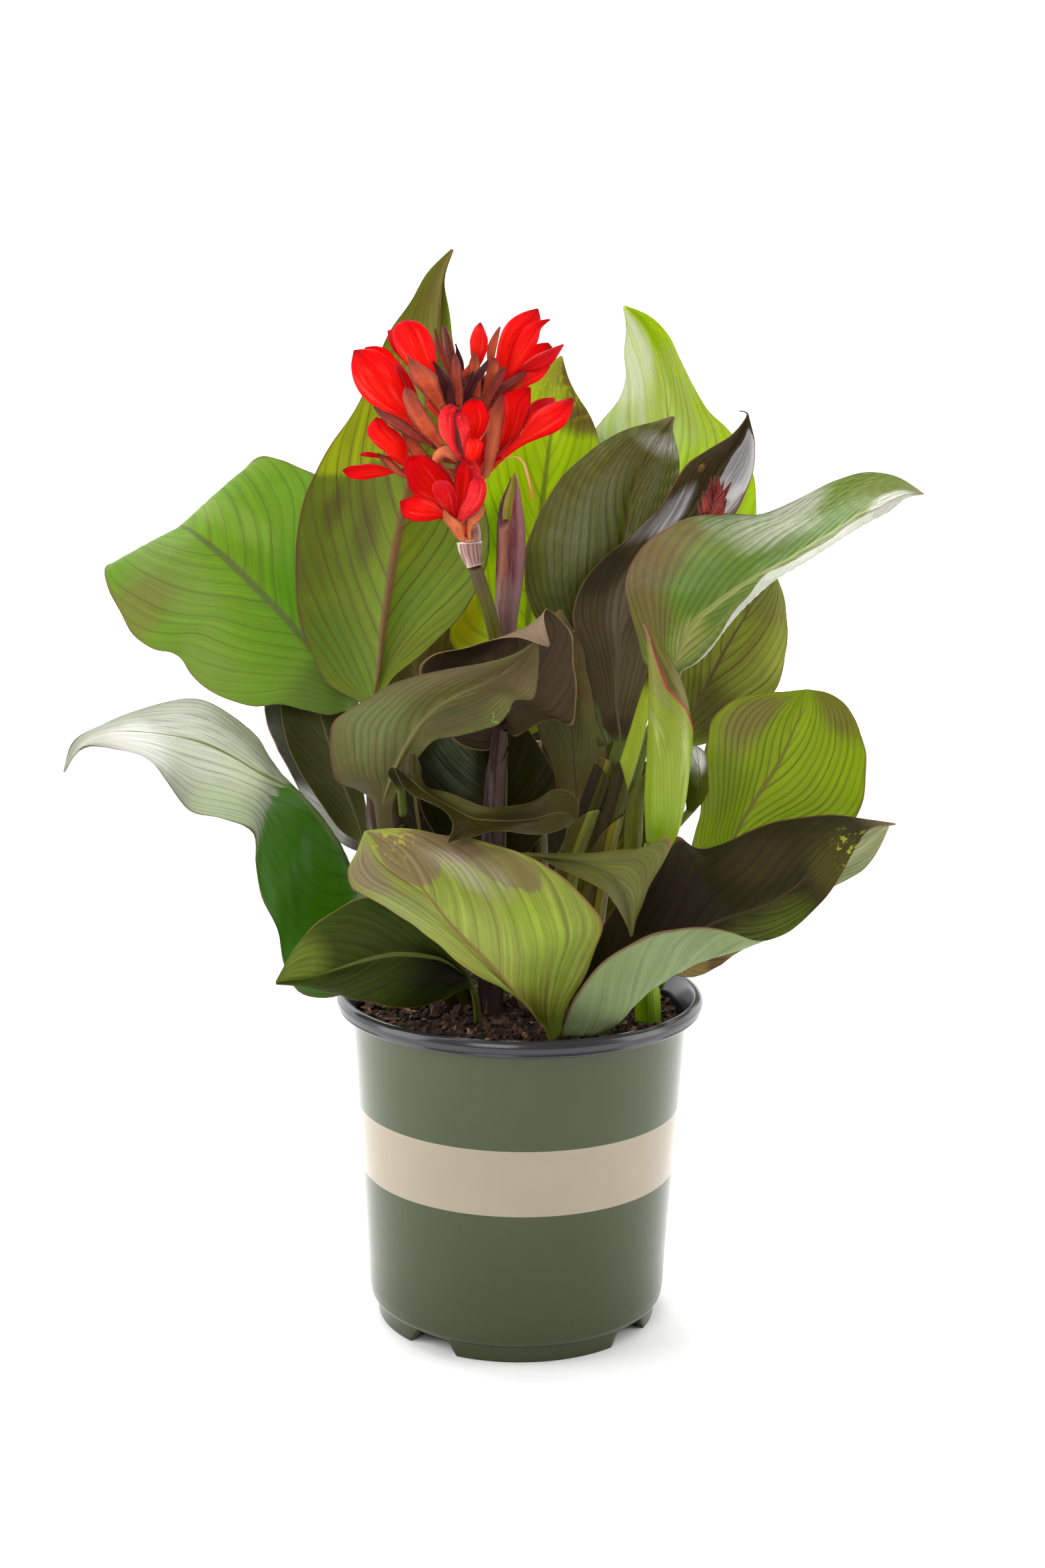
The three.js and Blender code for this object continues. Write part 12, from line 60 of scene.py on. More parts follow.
    "leaf_arching_right": ([[[81.5,-19.4,335.4],[82.5,-19.9,335.5],[83.4,-20.5,335.7],[84.3,-21,335.8],[85.2,-21.5,335.9],[86.1,-22.1,336.1],[87,-22.6,336.2]],[[82.7,-18.2,352.7],[83.6,-18.7,352.8],[84.5,-19.2,352.9],[85.5,-19.8,353.1],[86.4,-20.3,353.2],[87.3,-20.9,353.3],[88.2,-21.4,353.5]],[[84.2,-16.4,369.7],[85.2,-17,369.9],[86.1,-17.5,370],[87.1,-18.1,370.2],[88,-18.6,370.3],[88.9,-19.2,370.4],[89.9,-19.7,370.6]],[[85.8,-14.1,386.7],[86.7,-14.6,386.8],[87.7,-15.2,387],[88.6,-15.7,387.1],[89.6,-16.3,387.3],[90.5,-16.9,387.4],[91.5,-17.4,387.5]],[[86.1,-11.3,404.5],[87.1,-11.9,404.6],[88.1,-12.4,404.7],[89,-13,404.9],[90,-13.6,405],[91,-14.1,405.2],[91.9,-14.7,405.3]],[[72.9,-9.7,409],[79.3,-11.1,414.4],[85.5,-13.1,416.9],[91.3,-15.5,417.7],[97.8,-18.8,413.4],[100,-22.3,411.4],[99.9,-25.7,412.9]],[[67.1,-8.6,425.8],[77.6,-11.1,427.4],[87,-14.3,428.3],[95.6,-18,428.9],[104.8,-22.3,422.5],[107.7,-27.6,419.5],[107.3,-34.2,422]],[[62.3,-7.2,441.9],[78.1,-11.4,441.8],[91.3,-15.8,440.5],[101.8,-20.5,438.4],[111.1,-25.1,431.9],[113.5,-31.4,429.7],[112.7,-41.5,432.6]],[[59.5,-4.6,458.4],[81.9,-10.9,454.7],[99.4,-17,450.8],[110.9,-22.8,446.5],[118.5,-27.9,440.6],[120,-35,439.2],[118.4,-47.6,442.7]],[[65.5,-0.6,473.3],[90.2,-9.4,465.7],[108.8,-17.5,459.3],[119.9,-24.7,454],[126.1,-30.4,448.8],[127,-38.2,448.1],[124.7,-52.4,452.3]],[[77,0,485.5],[101.2,-9.6,475],[119.2,-18.4,466.6],[129.4,-26.4,460.9],[134.3,-32.8,456.6],[134.7,-41.4,456.3],[131.2,-55.8,461.5]],[[91.4,0,494.1],[113.9,-10.1,481.9],[130.4,-19.4,472.8],[139.1,-28,467.2],[142.7,-35.1,464],[142.6,-44.3,464.2],[138.7,-58.7,469.7]],[[107.6,-1.4,498.2],[127.5,-11,486.4],[142.1,-20.2,477.6],[149.4,-28.9,472.6],[152,-36.7,470],[151.6,-46.2,470.3],[148.2,-59.8,475]],[[124.2,-3,498.8],[140.6,-11.7,490.2],[152.6,-20.4,483.6],[159,-29,479],[161.6,-37.1,475.9],[161.2,-46.8,475.9],[158,-59.9,480.2]],[[141,-2.9,499.7],[153.9,-11.5,494],[163.4,-20.2,489.3],[168.6,-28.8,485.5],[170.9,-37.1,482.1],[170.4,-46.7,482],[167.2,-58.9,486.4]],[[156.8,-1.2,505.6],[167.1,-9.8,499.9],[174.6,-18.6,495.2],[178.7,-27.6,491.5],[180.4,-36.6,488.2],[179.6,-46.3,488.1],[176.5,-57,492.7]],[[171.3,0,513.8],[179.4,-8.4,507.4],[185.3,-16.8,502.1],[188.5,-25.4,497.9],[190,-33.9,494.3],[189.3,-42.9,494],[186.1,-52.4,498.8]],[[186.7,0,520.4],[192.1,-7.3,514],[196.1,-14.8,508.5],[198.7,-22.3,504],[200.2,-29.9,499.8],[199.6,-37.7,499.2],[196.7,-45.6,503.9]],[[202.6,-1,524.3],[205.5,-6.6,518.8],[207.8,-12.3,513.9],[209.5,-18.1,509.5],[210.8,-24.1,504.9],[210.5,-29.9,504],[208.2,-35.2,508.2]],[[218.8,-3.4,521.7],[219.9,-6.6,518.6],[220.8,-9.7,515.8],[221.2,-12.7,513.4],[221.4,-15.6,511],[221.1,-18.3,510.4],[220.7,-20.6,512.4]],[[233.6,-6.2,512.6],[233.6,-6.5,512.4],[233.6,-6.7,512.3],[233.7,-7,512.2],[233.7,-7.3,512],[233.7,-7.5,511.9],[233.7,-7.8,511.7]]], 4),
    "leaf_right_shaded": ([[[79.3,-11.1,273.5],[80.1,-11.4,273.1],[81,-11.7,272.8],[81.9,-12,272.4],[82.8,-12.3,272],[83.6,-12.6,271.6],[84.5,-12.9,271.3]],[[81,-2.4,294],[81.9,-2.7,293.6],[82.8,-3,293.2],[83.7,-3.4,292.8],[84.7,-3.7,292.4],[85.6,-4,292],[86.5,-4.3,291.6]],[[84,6.1,314.5],[84.9,5.8,314.1],[85.8,5.4,313.7],[86.8,5.1,313.3],[87.7,4.8,312.9],[88.6,4.5,312.5],[89.6,4.1,312.1]],[[88,14.9,334.9],[89,14.6,334.5],[89.9,14.3,334.1],[90.9,13.9,333.7],[91.9,13.6,333.2],[92.8,13.2,332.8],[93.8,12.9,332.4]],[[93.3,25,355.2],[94.3,24.7,354.8],[95.3,24.3,354.4],[96.3,24,353.9],[97.3,23.7,353.5],[98.3,23.3,353.1],[99.3,23,352.7]],[[91.4,29.9,362.5],[94,30.1,361.7],[96.6,28.9,361.2],[99.1,26.5,360.9],[102,24.4,359.2],[105.1,23.5,357.4],[108.2,24,355.3]],[[89.2,33.3,371.3],[93.6,33.7,369.8],[97.8,32.1,368.6],[101.9,28.7,367.8],[106.6,25.1,364.8],[111.4,23.5,361.6],[116.4,23.9,358]],[[88.2,35.8,380.2],[93.9,36.4,378],[99.5,34.6,376.2],[104.9,30.4,374.7],[111.1,25.6,370.9],[117.5,23.3,366.8],[124.1,23.4,362.2]],[[88.1,37.5,389.5],[94.9,38.3,386.4],[101.5,36.3,383.8],[107.9,31.5,381.7],[115.4,25.8,377.2],[123.1,22.9,372.4],[131.1,22.8,367.1]],[[87.9,38.8,398.8],[95.9,39.7,395],[103.6,37.6,391.6],[111.1,32.3,388.6],[119.7,25.9,383.9],[128.4,22.5,378.7],[137.5,22.3,373]],[[87.8,39.8,408.1],[96.9,40.8,403.4],[105.8,38.6,399.2],[114.4,33,395.5],[123.9,26,390.6],[133.6,22.4,385.1],[143.5,22,379.2]],[[88.6,40.7,417.3],[98.6,41.8,411.9],[108.4,39.4,406.9],[117.9,33.6,402.4],[128.3,26.3,397.1],[139,22.4,391.4],[150,22,385.2]],[[91.6,41.4,426.5],[101.8,42.5,420.3],[111.8,40.1,414.5],[121.4,34.2,409.2],[132.2,26.7,403.9],[143.3,22.6,398.2],[154.7,22,392.1]],[[95.6,42,434.7],[105.7,43,428],[115.5,40.6,421.7],[125,34.8,415.9],[135.4,27.1,411.2],[146.1,22.9,406],[157.1,22.1,400.5]],[[101.1,42.6,442.1],[110.6,43.5,435.2],[119.9,41.1,428.6],[128.8,35.4,422.5],[138.5,27.9,418.3],[148.5,23.7,413.8],[158.8,22.9,408.9]],[[108.2,42.9,448.6],[116.6,43.7,441.7],[124.8,41.3,435.2],[132.6,35.8,429.1],[141.4,28.8,425.5],[150.5,24.8,421.6],[160,23.9,417.3]],[[115.8,42.9,453.8],[122.9,43.5,447.5],[129.7,41.3,441.5],[136.3,36.2,435.8],[144.1,29.8,432.7],[152,26.2,429.4],[160.3,25.4,425.8]],[[124.1,42.4,458.2],[129.6,42.9,452.7],[135,40.9,447.4],[140,36.5,442.4],[146.4,31.1,439.9],[153,28.2,437.2],[159.8,27.7,434.2]],[[132.7,41.7,461.4],[136.6,42,457.1],[140.3,40.4,452.9],[143.8,36.8,449],[148.7,32.7,447],[153.7,30.5,444.9],[158.9,30.3,442.5]],[[141.7,40.4,463.8],[143.9,40.6,460.9],[145.9,39.6,458.1],[147.8,37.3,455.5],[150.7,34.6,454],[153.8,33.2,452.3],[157,33.2,450.5]],[[151.3,38.3,462.4],[151.5,38.2,462.2],[151.7,38.1,462],[152,38,461.8],[152.2,37.9,461.6],[152.4,37.8,461.4],[152.6,37.7,461.2]]], 4),
    "leaf_right_mid": ([[[85.3,-17.2,244.6],[86.3,-17.2,244.6],[87.3,-17.1,244.6],[88.3,-17,244.6],[89.3,-16.9,244.6],[90.3,-16.8,244.6],[91.3,-16.8,244.6]],[[93.3,-16.8,258.3],[94.3,-16.7,258.3],[95.3,-16.6,258.3],[96.4,-16.5,258.3],[97.4,-16.5,258.3],[98.4,-16.4,258.3],[99.4,-16.3,258.3]],[[101.3,-15.9,271.7],[102.4,-15.9,271.7],[103.5,-15.8,271.7],[104.5,-15.7,271.7],[105.6,-15.6,271.7],[106.6,-15.5,271.7],[107.7,-15.4,271.7]],[[109.7,-14.4,284.8],[110.8,-14.3,284.8],[111.9,-14.2,284.8],[113,-14.1,284.8],[114.1,-14.1,284.8],[115.2,-14,284.8],[116.3,-13.9,284.8]],[[120.7,-11.3,295.4],[121.8,-11.2,295.4],[122.9,-11.1,295.4],[124.1,-11,295.4],[125.2,-10.9,295.4],[126.3,-10.8,295.4],[127.5,-10.7,295.4]],[[112.1,-12,295.9],[117.1,-9.7,297.5],[122,-9.1,299.4],[126.7,-10,301.8],[130.7,-7.7,299.3],[134.5,-7.7,297.3],[138,-10,295.9]],[[103,-12,297.7],[112.1,-8.6,300.6],[120.9,-7.6,304],[129.6,-9.1,308],[136.4,-5.7,303.6],[142.8,-5.7,299.9],[148.9,-9.2,297]],[[104.3,-12,307.8],[114,-7.7,309.3],[123.5,-6.4,311.3],[132.7,-8.2,314.1],[142.1,-4.1,308.1],[151.2,-4.2,303],[159.7,-8.7,298.8]],[[106.5,-11.9,317.6],[116.7,-6.9,317.7],[126.5,-5.3,318.5],[136,-7.3,320.1],[148,-2.7,313],[159.4,-3,306.9],[170.3,-8.3,301.9]],[[107.7,-11,327.4],[118.6,-5.6,326.1],[129.2,-4,325.7],[139.5,-6.4,326],[153.8,-1.4,318],[167.6,-2,311.1],[180.7,-7.9,305.4]],[[108.3,-9.7,337.1],[120.2,-4.2,334.5],[131.8,-2.7,332.8],[143,-5.4,331.8],[159.7,-0.3,323.2],[175.8,-0.9,315.7],[191.1,-7.4,309.3]],[[108.6,-8.4,346.8],[121.7,-2.8,342.9],[134.5,-1.5,339.9],[146.8,-4.5,337.6],[165.3,0.8,328.9],[183.2,0.2,321.4],[200.3,-6.5,315.2]],[[109.4,-7,356.4],[123.5,-1.5,351.3],[137.3,-0.3,346.9],[150.6,-3.5,343.3],[169.4,1.9,335.9],[187.6,1.2,329.6],[204.9,-5.5,324.5]],[[110.8,-5.1,366],[125.6,0.1,359.6],[140.1,1,354],[154.1,-2.5,349.1],[172.4,2.8,343.5],[190,2.1,339],[206.6,-4.7,335.6]],[[113.1,-2.5,375.1],[128.2,2,367.7],[142.9,2.5,361.1],[157.2,-1.2,355.1],[174.6,3.7,351.2],[191.3,2.8,348.4],[207.1,-3.8,346.5]],[[119.2,0.1,382.6],[133.1,4,374.9],[146.8,4,367.8],[160,0.2,361.3],[176.2,4.6,359.1],[191.7,3.6,357.8],[206.3,-2.8,357.4]],[[127.7,2.4,387.3],[139.7,5.7,380.2],[151.4,5.5,373.6],[162.6,1.7,367.6],[176.9,5.9,366.8],[190.5,5.1,366.9],[203.3,-0.6,367.8]],[[137.1,4.1,390.3],[146.8,6.8,384.3],[156.1,6.5,378.9],[165.1,3.2,373.9],[177,6.9,374.5],[188.3,6.3,375.7],[199,1.5,377.6]],[[146.9,4.9,391.2],[154.1,7.1,387.2],[161,7,383.6],[167.5,4.4,380.3],[176.4,7.4,381.7],[184.8,7.1,383.7],[192.8,3.4,386.2]],[[156.8,5.7,391.9],[161.3,7.3,389.9],[165.5,7.3,388.2],[169.6,5.7,386.7],[174.5,7.9,388],[179.1,7.8,389.6],[183.4,5.5,391.6]],[[170.3,8,393.2],[170.6,8,393.2],[170.9,8,393.2],[171.2,8,393.2],[171.5,8,393.2],[171.8,8,393.2],[172.1,8,393.2]]], 4),
    "leaf_lower_right": ([[[22.9,-56.5,185.2],[22.9,-57.6,185.5],[22.9,-58.8,185.7],[22.9,-60,185.9],[22.9,-61.2,186.1],[22.9,-62.4,186.3],[22.9,-63.5,186.5]],[[23.3,-57.2,188.4],[23.3,-58.4,188.6],[23.3,-59.6,188.8],[23.3,-60.8,189],[23.3,-61.9,189.2],[23.3,-63.1,189.4],[23.3,-64.3,189.6]],[[23.7,-58,191.5],[23.7,-59.1,191.7],[23.7,-60.3,191.9],[23.7,-61.5,192.1],[23.8,-62.7,192.3],[23.8,-63.9,192.5],[23.8,-65,192.7]],[[24.2,-58.7,194.6],[24.2,-59.9,194.8],[24.2,-61.1,195],[24.2,-62.2,195.2],[24.2,-63.4,195.4],[24.2,-64.6,195.6],[24.2,-65.8,195.9]],[[25.4,-59.5,197.3],[25.4,-60.6,197.5],[25.4,-61.8,197.7],[25.4,-63,197.9],[25.4,-64.2,198.1],[25.4,-65.4,198.3],[25.4,-66.5,198.5]],[[29.4,-60.2,215.2],[32.7,-60.4,212.9],[35.6,-61.1,209.6],[37.8,-62.3,205.8],[39.9,-67,200.2],[40.4,-72.2,198.3],[29.5,-74.7,217.8]],[[35.2,-57.5,231],[40.4,-58,226.5],[44.9,-59.3,221.2],[48.8,-61.3,215.3],[52.5,-69.7,207.9],[53.6,-78.9,206],[37.7,-83.2,234.4]],[[41.8,-55.2,246.5],[48.7,-55.8,239.6],[54.5,-57.6,232.7],[59,-60.3,226],[62.6,-70.7,219.3],[63.4,-82.8,218.7],[47.8,-89.8,248.5]],[[49.1,-53.7,262],[58.1,-54.4,251.8],[65.2,-56.3,243],[70.1,-59.4,235.4],[73.1,-71.7,230],[73.4,-86,230.7],[60.6,-94.1,258.8]],[[57.9,-51.9,276.3],[68.1,-52.7,263.4],[76.3,-55,252.7],[81.9,-58.5,244.1],[85.3,-72.2,238.8],[85.7,-88.2,239.8],[74.4,-97.2,266.7]],[[68.7,-49.8,289.2],[79.4,-50.8,274],[87.9,-53.5,261.6],[94.1,-57.7,252.2],[98,-72.1,246.4],[98.6,-88.6,247.3],[89.6,-97.8,270.4]],[[82.1,-47.4,299.6],[91.9,-48.6,283.7],[100.2,-51.9,270.4],[106.6,-56.8,259.8],[111.5,-71.5,252.3],[112.6,-87.4,252],[105.4,-95.5,270.7]],[[91.5,-43.4,312.4],[102.8,-45.2,293.6],[112.3,-49.8,278.2],[119.6,-55.9,266.1],[125.6,-68.8,256.5],[127.3,-82,254.6],[121.4,-89.2,266.3]],[[104.1,-39.1,304.8],[116.2,-43,291.3],[126.1,-48.6,279.8],[133.5,-55.2,270.4],[139.6,-64.8,262.1],[141.6,-73.6,258.6],[137.5,-78.7,258.6]],[[121.6,-35.4,307.8],[132,-41.3,295],[140.5,-47.5,284.3],[147.1,-53.8,275.8],[152.6,-61,269.8],[154.7,-66.5,264.8],[153.7,-68.9,260.2]],[[137,-31.7,314.9],[146,-39.2,301.8],[153.5,-46,291.2],[159.2,-52.1,283.4],[164.1,-57.7,278.4],[166.3,-61.6,274.1],[166.6,-63.5,269.5]],[[153.7,-28.5,319.3],[160.2,-37.5,308.4],[165.7,-44.8,299.6],[170.2,-50.3,293.1],[173.7,-54.2,289],[176.3,-56.8,285.1],[178.1,-58.2,280.1]],[[170.6,-26.1,321.6],[175.1,-35.5,313.2],[178.8,-42.9,306.7],[181.4,-47.8,302.2],[182.9,-50.4,299.9],[184.5,-52.3,297.4],[187.1,-54,293]],[[187.7,-26,323.1],[190,-34.9,317.7],[191.8,-41.7,313.7],[192.7,-45.7,311.4],[192.9,-47.4,310.6],[193.3,-48.6,309.7],[194.8,-49.8,306.7]],[[204.2,-29.7,321.5],[205,-35.8,319.5],[205.5,-40.4,318.3],[205.6,-42.9,318.1],[205.4,-43.8,318.7],[205.1,-44.6,319.3],[203.9,-46.3,319.3]],[[220,-40.1,321.1],[220,-40.4,321.1],[220,-40.7,321.1],[220,-41,321],[220,-41.3,321],[220,-41.6,320.9],[220,-41.9,320.9]]], 4),
    "leaf_front": ([[[17.2,-60.1,182.6],[18.3,-60.1,183],[19.4,-60,183.4],[20.5,-60,183.8],[21.7,-60,184.2],[22.8,-59.9,184.6],[23.9,-59.9,185]],[[17.2,-61.6,185.4],[18.3,-61.6,185.8],[19.5,-61.5,186.2],[20.6,-61.5,186.6],[21.7,-61.5,187],[22.8,-61.4,187.4],[24,-61.4,187.9]],[[17.2,-63.1,188.2],[18.4,-63.1,188.7],[19.5,-63,189.1],[20.6,-63,189.5],[21.7,-63,189.9],[22.9,-62.9,190.3],[24,-62.9,190.7]],[[17.3,-64.6,191.1],[18.4,-64.6,191.5],[19.5,-64.5,191.9],[20.7,-64.5,192.3],[21.8,-64.5,192.7],[22.9,-64.4,193.1],[24,-64.4,193.5]],[[17.3,-66.1,193.9],[18.4,-66.1,194.3],[19.6,-66,194.7],[20.7,-66,195.1],[21.8,-66,195.5],[23,-65.9,195.9],[24.1,-65.9,196.3]],[[12.6,-70.7,206.6],[12.9,-72.1,206.2],[13.2,-72.2,205.5],[13.4,-71,204.3],[17.7,-73,207.4],[21.9,-72.8,209.8],[26.2,-70.2,211.4]],[[4.6,-75.3,216.3],[5.4,-77.5,216.2],[6.2,-77.7,215.5],[7.1,-76,214.2],[15.6,-79,219.1],[24.1,-78.5,222.9],[32.6,-74.6,225.8]],[[-4.1,-79.7,224.7],[-2.6,-82.4,225],[-1.1,-82.6,224.6],[0.5,-80.4,223.5],[13.3,-84.2,230.3],[26.1,-83.8,235.7],[39,-79.1,240]],[[-13.8,-84.1,231.6],[-11.3,-87,232.7],[-8.9,-87.1,232.9],[-6.5,-84.4,232.3],[10.2,-88.7,241.1],[26.8,-88.1,248.5],[43.6,-82.5,254.6]],[[-23.7,-88,238.2],[-20.1,-91.2,240.1],[-16.6,-91.3,241.1],[-13.2,-88.2,241.2],[7,-92.6,252],[27,-91.4,261.3],[47.2,-84.9,269.1]],[[-33,-91.6,245.2],[-28.6,-94.9,247.6],[-24.3,-94.9,249.1],[-20,-91.6,249.7],[-0.2,-95.5,261.7],[19.6,-93.6,272.2],[39.6,-85.9,281.2]],[[-41.2,-94.9,253.7],[-36.5,-98.2,255.9],[-31.9,-98.1,257.2],[-27.3,-94.5,257.5],[-8.2,-97.3,270.3],[10.7,-94.1,281.5],[29.9,-84.9,291.3]],[[-49.6,-97.5,261.7],[-44.4,-100.8,263.9],[-39.3,-100.6,265.1],[-34.4,-97,265.4],[-16.6,-98.5,278.3],[1.1,-94,289.7],[18.9,-83.4,299.7]],[[-58.2,-99.3,269],[-52.4,-102.7,271.4],[-46.7,-102.8,272.9],[-41.1,-99.4,273.5],[-25.2,-99.3,285.7],[-9.3,-93.2,296.5],[6.7,-81.2,306.1]],[[-67.3,-100.6,275.5],[-60.5,-103.9,278.4],[-53.9,-103.8,280.4],[-47.4,-100.5,281.6],[-33.6,-99.1,292.7],[-19.9,-91.8,302.5],[-6.2,-78.8,311.1]],[[-76.7,-101,281.4],[-68.7,-104.1,285],[-61,-104.1,287.8],[-53.4,-101,289.8],[-42,-98.4,299.4],[-30.8,-90.4,307.7],[-19.5,-77,314.9]],[[-86.2,-101,287],[-77.3,-103.5,291.1],[-68.6,-103.2,294.4],[-60,-100.1,297.1],[-51,-97,304.9],[-42.1,-89,311.6],[-33.3,-76,317.4]],[[-95.7,-100.2,292.6],[-85.9,-101.9,297.1],[-76.3,-101.3,300.9],[-66.8,-98.2,304.2],[-60.1,-95.1,310.1],[-53.5,-87.7,315.1],[-47.1,-76.1,319.3]],[[-98.2,-98.2,302.3],[-89.9,-99.1,305.7],[-81.7,-98.2,308.6],[-73.6,-95.2,311],[-69.2,-93.1,315.3],[-64.9,-87.5,318.8],[-60.8,-78.6,321.6]],[[-93.6,-94.3,311.6],[-89.3,-94.6,313.7],[-85.1,-93.6,315.6],[-81,-91.3,317.1],[-78.7,-90.4,319.6],[-76.5,-87.1,321.6],[-74.5,-81.6,323.2]],[[-89.8,-87.4,322],[-89.6,-87.3,322.1],[-89.3,-87.1,322.3],[-89.1,-87,322.4],[-88.9,-86.9,322.5],[-88.7,-86.7,322.7],[-88.4,-86.6,322.8]]], 4),
    "leaf_lower_left": ([[[-25.4,-38.5,200.2],[-25.4,-38.3,199.2],[-25.4,-38.2,198.1],[-25.4,-38,197.1],[-25.4,-37.8,196],[-25.5,-37.7,195],[-25.5,-37.5,193.9]],[[-25.6,-41.3,207.1],[-25.6,-41.1,206],[-25.6,-40.9,205],[-25.6,-40.8,203.9],[-25.7,-40.6,202.8],[-25.7,-40.4,201.8],[-25.7,-40.3,200.7]],[[-26.1,-44.2,213.8],[-26.1,-44,212.7],[-26.1,-43.9,211.7],[-26.1,-43.7,210.6],[-26.2,-43.5,209.5],[-26.2,-43.4,208.5],[-26.2,-43.2,207.4]],[[-27.2,-47.3,220.3],[-27.3,-47.1,219.3],[-27.3,-46.9,218.2],[-27.3,-46.8,217.2],[-27.3,-46.6,216.1],[-27.3,-46.4,215.1],[-27.4,-46.3,214]],[[-29.3,-50.5,226.8],[-29.3,-50.3,225.7],[-29.3,-50.2,224.7],[-29.3,-50,223.6],[-29.4,-49.8,222.6],[-29.4,-49.7,221.5],[-29.4,-49.5,220.5]],[[-35,-55.2,235.7],[-35,-55.6,234.4],[-35,-54.6,232.6],[-35,-52.4,230.5],[-35.1,-53.8,227.3],[-35.2,-53.9,223.8],[-35.3,-52.7,219.8]],[[-40.5,-60,245.4],[-40.6,-60.2,242.9],[-40.8,-58.5,239.8],[-41.1,-54.8,236.2],[-41.2,-56.5,230],[-41.4,-56.2,223.3],[-41.6,-54,215.9]],[[-46.5,-64.3,254.2],[-46.7,-64.4,250.2],[-47.1,-62.1,245.4],[-47.6,-57.3,240],[-47.8,-59.3,231.9],[-48.1,-58.9,223],[-48.4,-56,213.5]],[[-52.9,-68.2,262.4],[-53.3,-68.3,256.4],[-53.9,-65.6,249.7],[-54.5,-60.1,242.1],[-54.7,-62.3,232.8],[-55.1,-61.6,222.7],[-55.5,-58.2,211.8]],[[-60.2,-71.6,270],[-60.6,-71.8,262.1],[-61.2,-69,253.4],[-62,-63,243.8],[-62.1,-65.2,233.7],[-62.3,-64.4,222.7],[-62.7,-60.5,210.8]],[[-68.1,-74.7,275.8],[-68.4,-75,266.4],[-68.9,-71.9,256.1],[-69.6,-65.6,244.8],[-69.5,-68,234.7],[-69.7,-67.1,223.7],[-70,-62.9,211.6]],[[-76.9,-77.4,280.3],[-76.7,-77.6,269.4],[-76.7,-74.4,257.6],[-76.9,-67.8,244.8],[-76.8,-70.4,235.2],[-76.9,-69.7,224.6],[-77.3,-65.5,213]],[[-86.3,-79.6,282.2],[-85.4,-79.7,270.3],[-84.7,-76.4,257.5],[-84.2,-69.6,243.6],[-84,-72.6,235.1],[-84.1,-72,225.7],[-84.4,-68,215.2]],[[-95.6,-80,280.8],[-93.9,-80.5,268.9],[-92.6,-77.7,256],[-91.4,-71.4,242.1],[-91.2,-74.4,234.8],[-91.2,-74,226.6],[-91.5,-70.2,217.4]],[[-104,-80,275.9],[-101.9,-81,265],[-100.1,-78.6,253.1],[-98.5,-73,240.3],[-98.3,-75.9,234.3],[-98.3,-75.6,227.4],[-98.5,-72,219.5]],[[-112.2,-80,270.6],[-109.8,-81.2,260.7],[-107.5,-79.4,249.9],[-105.5,-74.4,238.1],[-105.3,-77.3,233.5],[-105.3,-77.1,228],[-105.6,-73.7,221.6]],[[-119.9,-80,264.6],[-117.2,-81.4,255.9],[-114.8,-79.9,246.4],[-112.6,-75.7,236.2],[-112.4,-78.4,232.9],[-112.3,-78.3,228.8],[-112.6,-75.4,223.9]],[[-126.3,-80,257],[-123.9,-81.4,250.1],[-121.7,-80.3,242.4],[-119.7,-76.8,234.1],[-119.4,-79.4,232.1],[-119.4,-79.5,229.4],[-119.6,-77.2,226]],[[-132,-80,248.8],[-130.1,-81.2,243.9],[-128.4,-80.5,238.5],[-126.9,-77.9,232.4],[-126.6,-80.1,231.5],[-126.5,-80.5,230],[-126.6,-78.9,228]],[[-136.9,-80,240.2],[-135.8,-80.9,237.6],[-134.9,-80.6,234.5],[-134.1,-79,231.2],[-133.8,-80.5,230.8],[-133.7,-80.7,230.1],[-133.7,-79.6,229]],[[-141.7,-80,231.1],[-141.6,-80,230.8],[-141.5,-80,230.5],[-141.4,-80,230.2],[-141.3,-80,230],[-141.3,-80,229.7],[-141.2,-80,229.4]]], 4),
